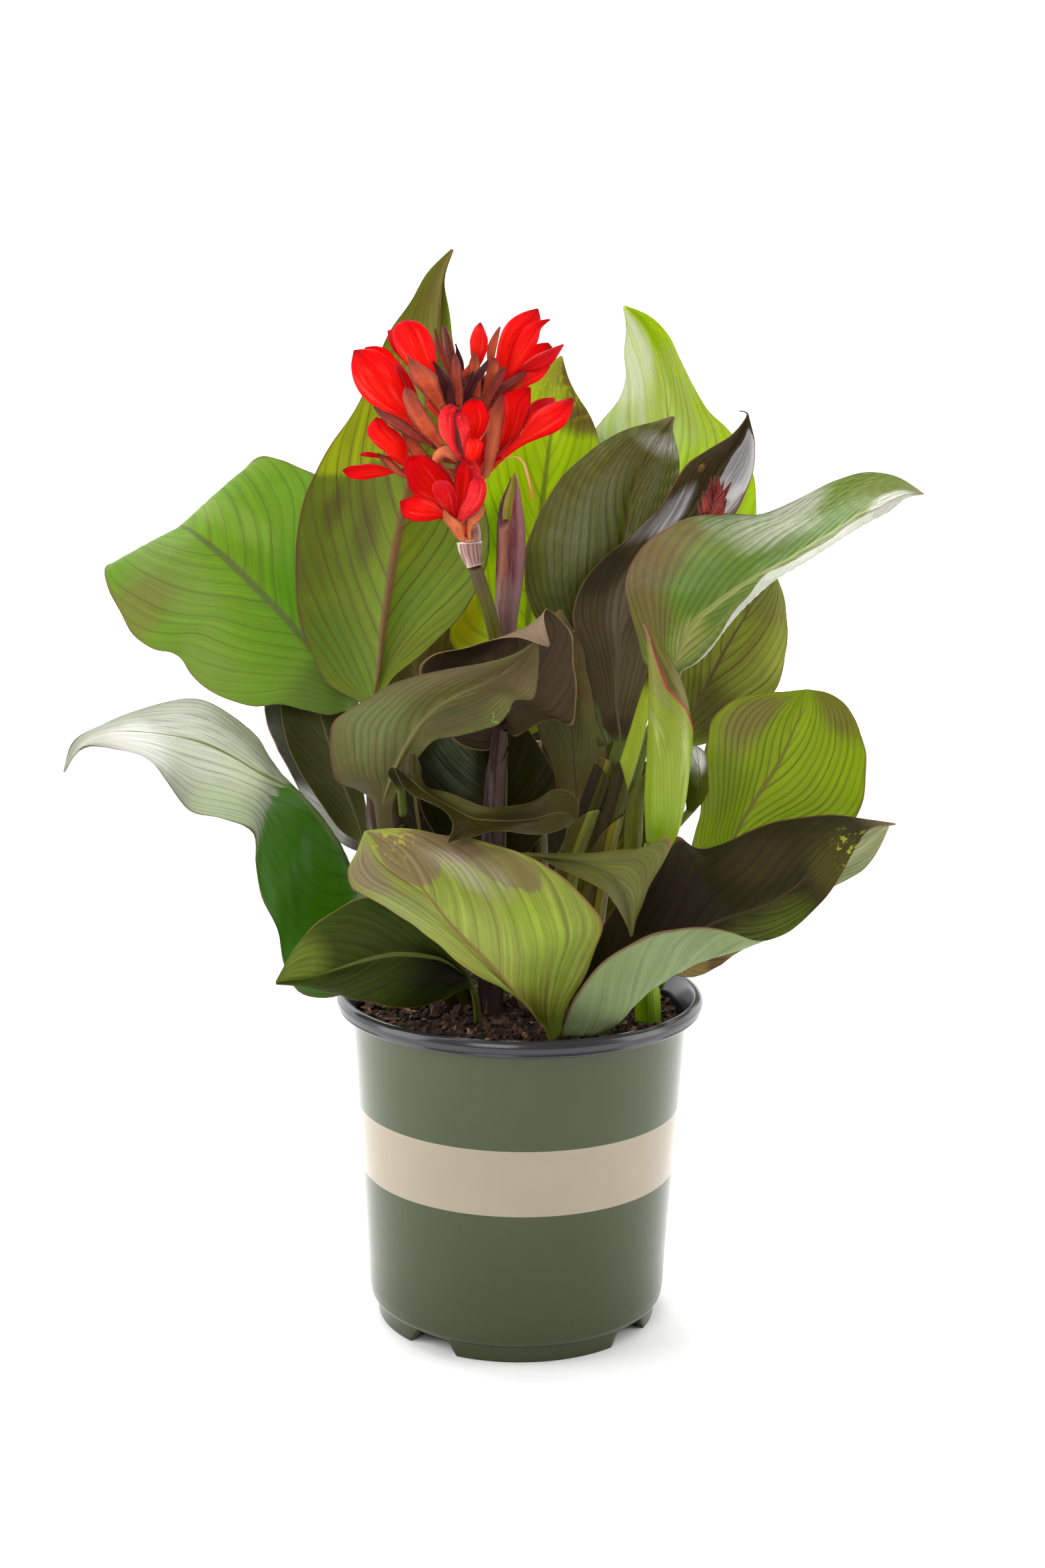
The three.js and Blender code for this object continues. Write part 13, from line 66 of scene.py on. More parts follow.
    "leaf_arching_left": ([[[-79.6,-13.1,252],[-79.8,-12.7,253],[-80.1,-12.4,253.9],[-80.3,-12,254.9],[-80.5,-11.6,255.9],[-80.7,-11.3,256.9],[-81,-10.9,257.8]],[[-82.8,-15.4,254.6],[-83.1,-15,255.6],[-83.3,-14.6,256.6],[-83.5,-14.3,257.6],[-83.8,-13.9,258.6],[-84,-13.5,259.6],[-84.2,-13.1,260.6]],[[-85.9,-17.5,257.5],[-86.1,-17.1,258.5],[-86.4,-16.7,259.5],[-86.6,-16.3,260.5],[-86.8,-15.9,261.5],[-87.1,-15.6,262.5],[-87.3,-15.2,263.5]],[[-88.8,-19.4,260.4],[-89,-19,261.5],[-89.3,-18.6,262.5],[-89.5,-18.2,263.5],[-89.7,-17.9,264.5],[-90,-17.5,265.5],[-90.2,-17.1,266.6]],[[-91.5,-21.2,263.6],[-91.8,-20.8,264.6],[-92,-20.4,265.7],[-92.3,-20,266.7],[-92.5,-19.6,267.7],[-92.8,-19.2,268.8],[-93,-18.8,269.8]],[[-94.3,-30.8,245.6],[-95.3,-29.5,256.4],[-96.5,-26.5,266.9],[-97.8,-22,277],[-99,-22,277.1],[-100.3,-21,277],[-101.6,-19,276.7]],[[-93.5,-37.1,225.2],[-96.5,-35.1,246.5],[-99.6,-30.6,267.3],[-103,-23.7,287.4],[-103.3,-23.6,288.7],[-103.6,-22,289.6],[-104.1,-19,290.2]],[[-109.2,-41.9,211.7],[-108.5,-39.4,241.3],[-108,-33.8,269.9],[-107.8,-25.2,298],[-108.6,-24.7,299.5],[-109.5,-22.3,300.6],[-110.6,-18.1,301.4]],[[-130.1,-45.9,214.2],[-124.2,-43,246.3],[-118.7,-36.7,277.5],[-113.5,-26.8,307.9],[-115,-25.6,309.5],[-116.8,-22.2,310.7],[-118.7,-16.7,311.5]],[[-139.9,-48.7,231.9],[-132.9,-45.9,261.3],[-126.3,-39.1,289.6],[-120.1,-28.5,317.1],[-122.3,-26.3,319],[-124.7,-21.8,320.3],[-127.3,-14.9,321.3]],[[-142.5,-52.3,254.4],[-136.9,-49,279.2],[-131.7,-41.5,303.1],[-126.9,-29.9,326.3],[-129.7,-26.6,328.2],[-132.7,-20.9,329.7],[-136,-12.6,330.8]],[[-151.9,-55.9,274.6],[-145.7,-52,295.3],[-139.9,-43.8,315.1],[-134.5,-31.3,334.2],[-137.6,-26.5,336.7],[-140.9,-19.1,338.7],[-144.6,-9.1,340.3]],[[-155.3,-58,296.3],[-151.1,-54,311.6],[-147.3,-45.8,326.1],[-143.9,-33.1,339.9],[-146.4,-26.6,343.9],[-149.2,-17.6,347.4],[-152.3,-5.9,350.5]],[[-155.8,-56.5,315.1],[-154.9,-53.5,326],[-154.4,-46.1,336],[-154.5,-34.5,345.3],[-156.1,-26.1,351.2],[-158.1,-15.2,356.7],[-160.4,-1.7,361.9]],[[-175,-56,322.3],[-173.5,-50.5,333.6],[-172.5,-40.9,344.1],[-172.1,-27.2,354.1],[-173.3,-18.9,361],[-175,-8.1,367.6],[-176.9,5.2,373.9]],[[-193.4,-55.9,326.5],[-191.6,-49.2,338.7],[-190.4,-38.5,350.3],[-189.6,-24,361.3],[-191.3,-15.4,368.5],[-193.3,-4.5,375.4],[-195.7,8.7,382.1]],[[-204.9,-55,342.1],[-205.4,-48.2,350.4],[-206.5,-37.9,358.2],[-208.1,-24,365.4],[-210.3,-15.8,370.7],[-212.8,-5.6,375.7],[-215.6,6.9,380.5]],[[-217.8,-53.7,356.3],[-220,-48.4,360.7],[-222.8,-40,364.7],[-226.2,-28.5,368.1],[-228.3,-21.9,371.1],[-230.8,-13.4,373.9],[-233.6,-3.1,376.4]],[[-236,-52,361.6],[-238.1,-48.9,364.4],[-240.7,-43.4,366.8],[-243.8,-35.5,368.8],[-245.4,-31.1,369.6],[-247.4,-25.3,370.2],[-249.6,-18.1,370.6]],[[-255.4,-52,363],[-256.4,-51.9,363.4],[-257.7,-50.2,363.5],[-259.4,-46.9,363.4],[-260.5,-45.4,363.8],[-261.8,-42.9,364.1],[-263.3,-39.5,364.3]],[[-265.5,-56.8,348.6],[-265.7,-56.5,348.7],[-265.9,-56.3,348.7],[-266,-56,348.7],[-266.2,-55.7,348.7],[-266.3,-55.5,348.8],[-266.5,-55.2,348.8]]], 4),
    "leaf_drooping_left": ([[[-86.4,-7.8,280.5],[-85.7,-7.8,280.9],[-84.9,-7.9,281.3],[-84.2,-8,281.7],[-83.4,-8.1,282.2],[-82.7,-8.2,282.6],[-81.9,-8.2,283]],[[-89.5,-5.7,284.3],[-88.8,-5.8,284.8],[-88,-5.9,285.2],[-87.2,-6,285.6],[-86.5,-6,286.1],[-85.7,-6.1,286.5],[-84.9,-6.2,286.9]],[[-92.6,-3.7,288.3],[-91.8,-3.8,288.7],[-91,-3.8,289.1],[-90.2,-3.9,289.6],[-89.4,-4,290],[-88.7,-4.1,290.5],[-87.9,-4.2,290.9]],[[-95.5,-1.7,292.2],[-94.8,-1.8,292.7],[-94,-1.9,293.1],[-93.2,-2,293.6],[-92.4,-2,294],[-91.6,-2.1,294.5],[-90.8,-2.2,294.9]],[[-98.5,0.3,296.2],[-97.7,0.2,296.7],[-96.9,0.1,297.2],[-96.1,0,297.6],[-95.3,-0.1,298.1],[-94.5,-0.2,298.5],[-93.6,-0.3,299]],[[-106.1,4.3,299.8],[-103.7,5.6,300.9],[-101.3,5.7,302.3],[-98.7,4.5,304],[-97.3,4,304.8],[-95.9,3.5,305.6],[-94.5,3,306.4]],[[-112.7,7.7,304.6],[-109.1,10.1,306.1],[-105.4,10.5,308],[-101.5,9,310.3],[-99.5,8.5,311.3],[-97.5,8.1,312.2],[-95.4,7.6,313.2]],[[-118.1,11.6,310.4],[-113.8,14.7,311.9],[-109.2,15.3,314],[-104.4,13.5,316.6],[-101.8,13.2,317.7],[-99.1,12.9,318.8],[-96.4,12.6,319.9]],[[-123,15.4,316.7],[-118.2,19.1,318.2],[-113,20,320.3],[-107.7,18.1,322.9],[-104.3,17.8,324.2],[-100.9,17.6,325.4],[-97.6,17.4,326.7]],[[-128,19.4,323],[-122.6,23.6,324.4],[-116.9,24.7,326.5],[-110.9,22.7,329.1],[-107,22.4,330.6],[-103,22.1,332.1],[-99.1,21.7,333.6]],[[-133.3,24.3,329],[-127.1,28.7,330.5],[-120.6,29.8,332.7],[-113.9,27.5,335.5],[-109.6,27,337.1],[-105.2,26.5,338.8],[-100.9,26,340.4]],[[-138.2,29.3,335.1],[-131.4,33.7,336.8],[-124.2,34.8,339],[-116.7,32.5,341.9],[-112.1,31.8,343.7],[-107.5,31.1,345.5],[-102.9,30.5,347.3]],[[-141.9,34.1,342.2],[-134.8,38.7,343.6],[-127.3,39.8,345.7],[-119.5,37.4,348.4],[-114.6,36.7,350.3],[-109.8,35.9,352.2],[-104.9,35.2,354.1]],[[-146,39.2,349.1],[-138.4,43.7,350.4],[-130.5,44.8,352.4],[-122.3,42.4,355],[-117.2,41.6,357],[-112.1,40.8,358.9],[-107.1,40,360.9]],[[-148.9,45.5,356.2],[-141.3,49.5,357.4],[-133.2,50.1,359.3],[-124.9,47.4,361.6],[-119.8,46.6,363.6],[-114.7,45.8,365.6],[-109.5,45,367.6]],[[-151,52.1,363.6],[-143.5,55.3,364.7],[-135.6,55.4,366.3],[-127.4,52.4,368.3],[-122.4,51.7,370.3],[-117.4,50.9,372.3],[-112.4,50.2,374.2]],[[-152.4,57.8,371.3],[-145.1,60.6,372.1],[-137.6,60.5,373.4],[-129.7,57.6,375.1],[-125,56.9,377],[-120.3,56.2,378.9],[-115.6,55.5,380.8]],[[-152.4,62.4,379.3],[-145.8,64.9,379.9],[-139,65,380.7],[-131.9,62.7,382],[-127.6,62,383.8],[-123.3,61.3,385.5],[-119.1,60.6,387.3]],[[-151.8,66.4,387.3],[-146.1,68.7,387.6],[-140.2,69.1,388.1],[-134.1,67.5,389],[-130.3,66.9,390.6],[-126.6,66.2,392.2],[-122.8,65.6,393.8]],[[-149.7,70.3,395],[-145.3,72.1,395.1],[-140.9,72.7,395.5],[-136.3,71.9,396],[-133.3,71.5,397.2],[-130.3,71.1,398.4],[-127.3,70.7,399.7]],[[-139.4,76,402.9],[-139.1,76,403],[-138.8,76,403],[-138.5,76,403.1],[-138.2,76,403.2],[-137.9,76,403.2],[-137.6,76,403.3]]], 4),
    "leaf_behind_left": ([[[-77.1,3.6,260.7],[-76.5,3.7,261.3],[-75.8,3.9,261.8],[-75.1,4,262.3],[-74.5,4.1,262.9],[-73.8,4.3,263.4],[-73.1,4.4,263.9]],[[-81.2,7.9,267],[-80.5,8,267.6],[-79.8,8.2,268.1],[-79.1,8.3,268.7],[-78.4,8.4,269.2],[-77.7,8.6,269.7],[-77,8.7,270.3]],[[-85.5,12,273.2],[-84.8,12.1,273.7],[-84.1,12.3,274.3],[-83.4,12.4,274.8],[-82.7,12.5,275.4],[-82.1,12.7,275.9],[-81.4,12.8,276.5]],[[-90.3,15.9,279.1],[-89.6,16,279.7],[-88.9,16.2,280.2],[-88.2,16.3,280.8],[-87.5,16.4,281.3],[-86.8,16.6,281.9],[-86.1,16.7,282.5]],[[-95.6,19.6,284.9],[-94.8,19.7,285.4],[-94.1,19.9,286],[-93.4,20,286.6],[-92.7,20.1,287.1],[-91.9,20.3,287.7],[-91.2,20.4,288.3]],[[-104.1,22.6,287.1],[-102.3,24.2,288.6],[-100.3,24.8,290.3],[-98.3,24.4,292.2],[-96.6,25.5,293.2],[-94.9,25.6,294.4],[-93.1,24.7,295.9]],[[-112.1,25.5,290.7],[-109.2,28.1,292.8],[-106.1,29.3,295.3],[-103,29,298],[-100.3,30.6,299.3],[-97.5,30.8,300.8],[-94.6,29.4,302.6]],[[-118.5,28.7,295.9],[-115,32.3,298.2],[-111.3,34,300.9],[-107.5,33.8,304],[-103.9,35.8,305.4],[-100.1,35.9,307.2],[-96.3,34.2,309.3]],[[-124.3,32.3,302.8],[-120.3,36.6,304.7],[-116.1,38.8,307.2],[-111.8,38.8,310.1],[-107.4,41,311.6],[-102.8,41,313.6],[-98.1,38.9,316]],[[-130.2,36.5,309.2],[-125.6,41.4,311.1],[-120.8,44,313.4],[-115.8,44.2,316.3],[-110.8,46.4,318],[-105.6,46.2,320.1],[-100.3,43.8,322.7]],[[-136.1,41.2,315.5],[-130.9,46.5,317.4],[-125.4,49.3,319.8],[-119.7,49.7,322.7],[-114.2,51.8,324.4],[-108.5,51.4,326.7],[-102.6,48.6,329.4]],[[-141.2,46.2,322.3],[-135.6,51.7,324.1],[-129.6,54.6,326.4],[-123.5,55,329.1],[-117.5,57,331],[-111.4,56.5,333.3],[-105,53.3,336.1]],[[-145.8,50.6,329.6],[-139.9,56.3,331.2],[-133.7,59.5,333.2],[-127.2,60.1,335.7],[-120.9,62,337.6],[-114.4,61.4,340],[-107.6,58.1,342.8]],[[-150.3,55.1,337],[-144.1,61,338.3],[-137.6,64.4,340.1],[-130.8,65.2,342.4],[-124.2,67,344.3],[-117.4,66.1,346.7],[-110.5,62.7,349.5]],[[-155.2,60.4,344.1],[-148.5,66.1,345.4],[-141.5,69.4,347.1],[-134.2,70.2,349.2],[-127.5,71.8,351.1],[-120.6,70.8,353.4],[-113.5,67.4,356.1]],[[-159.9,66.6,351.4],[-152.7,71.8,352.6],[-145.2,74.7,354.1],[-137.5,75.2,356.1],[-130.8,76.5,357.9],[-124,75.5,360.1],[-116.9,72.1,362.6]],[[-163.4,73.7,359],[-156,78,360],[-148.4,80.2,361.4],[-140.6,80.3,363.1],[-134.2,81.2,364.8],[-127.5,80.1,366.7],[-120.7,76.7,369]],[[-165.1,80.9,367.1],[-158.1,84.1,367.9],[-150.9,85.6,368.9],[-143.6,85.2,370.2],[-137.5,85.7,371.6],[-131.3,84.5,373.2],[-125,81.4,375.2]],[[-164.3,86.1,375.7],[-158.5,88.7,376.1],[-152.5,89.9,376.7],[-146.4,89.6,377.5],[-141,89.8,378.4],[-135.5,88.6,379.5],[-129.9,86,380.8]],[[-161.9,90.8,383.6],[-157.8,92.7,383.9],[-153.5,93.6,384.3],[-149.1,93.5,384.9],[-144.7,93.5,385.2],[-140.1,92.5,385.6],[-135.5,90.5,386.1]],[[-152.6,97,392.3],[-152.3,97,392.4],[-152,97,392.4],[-151.7,97,392.4],[-151.4,97,392.4],[-151.1,97,392.5],[-150.8,97,392.5]]], 4),
    "leaf_curled_centre": ([[[-83.5,-27.2,302.1],[-82,-27.8,302.4],[-80.5,-28.4,302.6],[-78.9,-29,302.9],[-77.4,-29.6,303.2],[-75.9,-30.2,303.4],[-74.3,-30.8,303.7]],[[-85.2,-27.7,308.5],[-83.6,-28.3,308.8],[-81.9,-29,309.1],[-80.3,-29.6,309.4],[-78.6,-30.3,309.6],[-77,-30.9,309.9],[-75.3,-31.6,310.2]],[[-86.4,-27.9,314.9],[-84.7,-28.6,315.2],[-82.9,-29.3,315.5],[-81.1,-30,315.8],[-79.4,-30.7,316.1],[-77.6,-31.4,316.4],[-75.9,-32.1,316.7]],[[-87.1,-27.8,321.2],[-85.3,-28.5,321.5],[-83.4,-29.3,321.8],[-81.5,-30,322.2],[-79.6,-30.7,322.5],[-77.8,-31.5,322.8],[-75.9,-32.2,323.1]],[[-87.7,-26.6,328.1],[-85.7,-27.4,328.5],[-83.7,-28.2,328.8],[-81.7,-29,329.2],[-79.7,-29.8,329.5],[-77.7,-30.6,329.9],[-75.8,-31.4,330.2]],[[-99.7,-19.4,334.1],[-92.7,-25.3,335.8],[-85.9,-29.2,337.1],[-79.2,-31.2,338],[-76.8,-30.9,338.3],[-74.4,-30.7,338.6],[-71.9,-30.4,338.9]],[[-110.8,-19,338],[-98.9,-26.6,341.4],[-87.5,-31.3,344.2],[-76.2,-33.1,346.5],[-73.4,-33,346.9],[-70.6,-32.9,347.4],[-67.8,-32.8,347.8]],[[-114.4,-20.5,349.9],[-100.1,-28.9,352.1],[-86.2,-33.8,353.7],[-72.6,-34.9,354.6],[-69.1,-35,354.9],[-65.5,-35.1,355.1],[-62,-35.2,355.3]],[[-114.5,-22.1,362.4],[-98.8,-31,363.2],[-83.5,-35.7,363.2],[-68.6,-36.2,362.5],[-64.5,-36.9,362.8],[-60.5,-37.6,363],[-56.4,-38.3,363.2]],[[-112.1,-25.8,375],[-95.8,-34.1,374.2],[-80,-37.9,372.5],[-64.5,-36.9,370.2],[-59.5,-38.2,369.6],[-54.4,-39.6,369.1],[-49.4,-40.9,368.6]],[[-102.7,-31,383.5],[-88,-38.2,382.2],[-73.7,-40.5,380.2],[-59.7,-37.8,377.4],[-53.1,-39.6,374.9],[-46.6,-41.4,372.5],[-40.1,-43.3,370]],[[-92,-35.4,390],[-79,-41.4,388.7],[-66.3,-42.3,386.6],[-53.9,-38,383.6],[-46.4,-40.4,380],[-38.8,-42.9,376.3],[-31.3,-45.3,372.6]],[[-82,-38.8,397.4],[-70.2,-43.7,395.4],[-58.6,-43.5,392.5],[-47.3,-38,388.9],[-39,-40.8,384.3],[-30.7,-43.7,379.8],[-22.5,-46.5,375.3]],[[-71.1,-42,402.8],[-60.5,-45.8,400.4],[-50.2,-44.5,397.2],[-40,-38,393.2],[-31.4,-41,388.2],[-22.8,-44,383.3],[-14.2,-47,378.4]],[[-59.7,-44.6,406.6],[-50.5,-47.3,404.2],[-41.4,-45.1,400.9],[-32.5,-37.9,397],[-24.6,-40.9,393.2],[-16.8,-43.8,389.4],[-9,-46.8,385.6]],[[-48.2,-46.2,409.5],[-40.3,-47.9,407.1],[-32.5,-45,404.1],[-24.8,-37.3,400.3],[-18.1,-40.2,397.8],[-11.5,-43.1,395.3],[-4.9,-46,392.8]],[[-36.7,-46.9,411.7],[-30.2,-47.9,409.8],[-23.7,-44.5,407.2],[-17.3,-37,404.1],[-10,-40.3,400.4],[-2.6,-43.6,396.7],[4.7,-46.9,393]],[[-25.2,-46.8,413.9],[-20.2,-47.2,412.7],[-15.2,-43.9,410.9],[-10.3,-37,408.7],[-4.4,-39.9,405.6],[1.5,-42.8,402.6],[7.4,-45.8,399.6]],[[-13.8,-45.8,416.4],[-10.4,-45.8,416],[-7,-42.8,415.1],[-3.6,-37,413.9],[0.4,-38.8,412.1],[4.4,-40.7,410.4],[8.4,-42.5,408.7]],[[-2.9,-42.7,420.3],[-1.2,-42.9,420.4],[0.5,-41,420.2],[2.2,-37.3,419.8],[4.4,-38.1,419],[6.6,-38.8,418.1],[8.7,-39.6,417.3]],[[6.6,-38.2,426.7],[6.9,-38.2,426.7],[7.2,-38.1,426.6],[7.5,-38,426.5],[7.8,-37.9,426.4],[8,-37.8,426.4],[8.3,-37.8,426.3]]], 4),
    "leaf_folded_flap": ([[[-13.2,-3.4,364.5],[-12.6,-3.7,366.4],[-11.9,-4.2,368.3],[-11.2,-5,370.2],[-10.6,-4.7,369.1],[-9.9,-4.1,367.9],[-9.2,-3.2,366.7]],[[-17.9,-3.1,356.7],[-15.7,-3.9,362.9],[-13.5,-5.6,369.2],[-11.3,-8.3,375.6],[-9,-7.3,371.9],[-6.8,-5.4,368],[-4.6,-2.5,363.9]],[[-26.6,-3,355],[-21.5,-4.2,363.5],[-16.4,-6.9,372.1],[-11.3,-11,380.9],[-6.2,-9.1,377.1],[-1.1,-5.6,372.9],[4.1,-0.7,368.5]],[[-37.2,-3.3,358.4],[-28.5,-4.7,367.4],[-19.8,-7.8,376.6],[-11.2,-12.8,386],[-3.7,-10,382.1],[4,-5.4,377.8],[11.6,1.1,373.2]],[[-45.3,-4.8,365.8],[-33.7,-5.8,374],[-22.1,-8.9,382.4],[-10.6,-14.2,391.1],[-0.2,-10.3,385.5],[10.3,-4.3,379.6],[20.9,3.8,373.2]],[[-51.5,-7.7,375.4],[-37.5,-7.9,382],[-23.5,-10.4,388.8],[-9.6,-15.2,396],[3.1,-9.8,387.6],[15.9,-2.1,378.8],[29,8,369.5]],[[-56.5,-11.1,385.6],[-40.5,-10.3,390.3],[-24.5,-12,395.4],[-8.5,-16.1,400.8],[4.6,-10.6,394],[18,-2.5,386.7],[31.5,8,378.9]],[[-60.5,-15.4,396.3],[-42.8,-13.3,399],[-25.1,-13.8,402.1],[-7.3,-16.8,405.6],[5.6,-11.4,400.3],[18.6,-3.3,394.6],[31.9,7.3,388.4]],[[-61.6,-20.4,407.6],[-43.1,-16.8,408.1],[-24.5,-15.8,409],[-5.9,-17.4,410.3],[6.2,-12.3,406.5],[18.5,-4.6,402.4],[31,5.7,397.8]],[[-54.7,-23,414.6],[-38,-18.8,414.3],[-21.2,-17.1,414.4],[-4.3,-18.1,414.9],[7,-13.4,412.7],[18.4,-6.1,410.2],[30,3.7,407.2]],[[-43.5,-24.1,417.7],[-29.9,-19.8,417.9],[-16.1,-18,418.4],[-2.3,-18.7,419.3],[8.1,-14.4,418.7],[18.6,-7.6,417.9],[29.2,1.6,416.7]],[[-33.3,-24.7,420.6],[-22.3,-20.6,421.3],[-11.2,-18.8,422.3],[-0.1,-19.3,423.6],[9.3,-15.4,424.7],[18.8,-9.2,425.6],[28.4,-0.7,426.1]],[[-23,-25.3,423.6],[-14.8,-21.6,424.9],[-6.5,-20.1,426.5],[1.9,-20.6,428.3],[8.8,-17.8,430.4],[15.8,-12.9,432.1],[22.9,-5.9,433.6]],[[-12.5,-27.3,426.6],[-7.2,-24.3,428.9],[-1.9,-23.2,431.4],[3.4,-23.9,434.1],[7.4,-23.2,436.7],[11.4,-20.6,439.2],[15.5,-16.3,441.4]],[[-4,-34.7,427.9],[-0.8,-31.9,429.9],[2.4,-30.6,432.1],[5.5,-30.8,434.5],[7.7,-32.1,437.7],[9.8,-32,440.8],[12,-30.4,443.7]],[[3.1,-42.6,427.2],[4.9,-41,428.2],[6.8,-40.5,429.3],[8.7,-40.9,430.5],[9.5,-41.9,433.1],[10.4,-41.9,435.6],[11.2,-41,438]],[[13.9,-47.1,423.9],[14,-47.1,424.2],[14.2,-47,424.4],[14.4,-47,424.6],[14.6,-47,424.9],[14.8,-46.9,425.1],[14.9,-46.9,425.3]]], 0),
    "leaf_inner_right": ([[[20.3,27.5,263.8],[21.3,27.3,264],[22.3,27.2,264.2],[23.2,27,264.4],[24.2,26.8,264.6],[25.2,26.7,264.8],[26.1,26.5,265]],[[23.1,27,277.2],[24.1,26.8,277.3],[25.1,26.6,277.5],[26,26.5,277.7],[27,26.3,277.9],[28,26.1,278.1],[29,26,278.3]],[[25.8,26.5,290.4],[26.8,26.3,290.6],[27.8,26.1,290.8],[28.8,26,291],[29.8,25.8,291.2],[30.8,25.6,291.4],[31.8,25.5,291.6]],[[28.3,26,303.7],[29.4,25.8,303.9],[30.4,25.6,304.1],[31.4,25.5,304.3],[32.4,25.3,304.5],[33.4,25.1,304.7],[34.4,25,304.9]],[[30.8,25.5,316.8],[31.8,25.3,317],[32.9,25.2,317.2],[33.9,25,317.5],[34.9,24.8,317.7],[36,24.7,317.9],[37,24.5,318.1]],[[24.6,26.6,323.5],[27.5,26.9,323.9],[30.4,26.4,324.4],[33.2,25.3,325],[35.7,25.5,325.5],[38.1,25.1,326],[40.5,24,326.6]],[[21.2,27.3,330.5],[25,27.7,331],[28.8,27.2,331.7],[32.6,25.7,332.6],[36.3,26.1,332.9],[40,25.5,333.3],[43.6,24,333.9]],[[19.3,27.9,338.6],[23.5,28.5,338.9],[27.7,27.8,339.4],[31.9,26,340.2],[37.3,26.5,340.1],[42.6,25.9,340.3],[47.9,24,340.7]],[[16.1,28.4,346.1],[21.2,29.1,346.4],[26.3,28.4,347],[31.3,26.3,347.8],[38.1,26.9,347.5],[44.9,26.2,347.5],[51.5,24,347.7]],[[12.4,28.8,353.4],[18.5,29.6,353.8],[24.6,28.9,354.4],[30.7,26.6,355.3],[37.4,27.3,355.1],[44.1,26.4,355.2],[50.7,24,355.6]],[[9.7,29.2,361.1],[16.5,30.1,361.4],[23.3,29.3,362],[30.1,26.9,362.9],[36,27.6,362.6],[41.9,26.6,362.7],[47.8,24,363]],[[7.4,29.6,369],[14.7,30.5,369.2],[22.1,29.7,369.6],[29.4,27.2,370.4],[34.6,27.8,370.1],[39.7,26.8,370],[44.8,24,370.3]],[[6,30,377],[13.5,30.9,377],[21.1,30,377.3],[28.6,27.4,377.9],[33.6,28,377.7],[38.6,26.9,377.8],[43.5,24,378.1]],[[5.4,30.4,385.1],[12.9,31.2,384.9],[20.4,30.3,385],[27.8,27.6,385.4],[32.6,28.1,385.3],[37.3,26.9,385.5],[42,24,385.9]],[[5,30.7,393.2],[12.4,31.5,392.9],[19.7,30.5,392.7],[27.1,27.9,392.9],[31.5,28.3,392.9],[35.8,27,393.1],[40.1,24,393.6]],[[4.9,31.3,401.3],[12.1,31.8,400.8],[19.3,30.9,400.4],[26.4,28.3,400.3],[30.4,28.5,400.4],[34.4,27,400.8],[38.3,24,401.3]],[[5.8,32,409.4],[12.5,32.4,408.7],[19.2,31.3,408.1],[25.9,28.9,407.8],[29.6,28.8,408],[33.4,27.4,408.5],[37.1,24.5,409.1]],[[7.3,32.9,417.2],[13.3,33,416.4],[19.3,31.9,415.7],[25.3,29.6,415.2],[28.6,29.4,415.4],[31.9,27.9,415.9],[35.2,25.2,416.4]],[[10.1,33.8,424.6],[15,33.7,423.8],[19.8,32.6,423.1],[24.6,30.6,422.5],[26.8,30.1,422.6],[28.8,28.7,422.7],[30.9,26.3,423]],[[14.8,34.9,431.4],[17.8,34.6,430.8],[20.9,33.7,430.3],[24,32.2,429.8],[25,31.8,429.7],[26.1,30.8,429.5],[27.1,29.1,429.5]],[[21.5,35.4,436.9],[21.8,35.3,436.9],[22,35.1,436.8],[22.3,35,436.8],[22.6,34.9,436.8],[22.9,34.7,436.7],[23.1,34.6,436.7]]], 4),
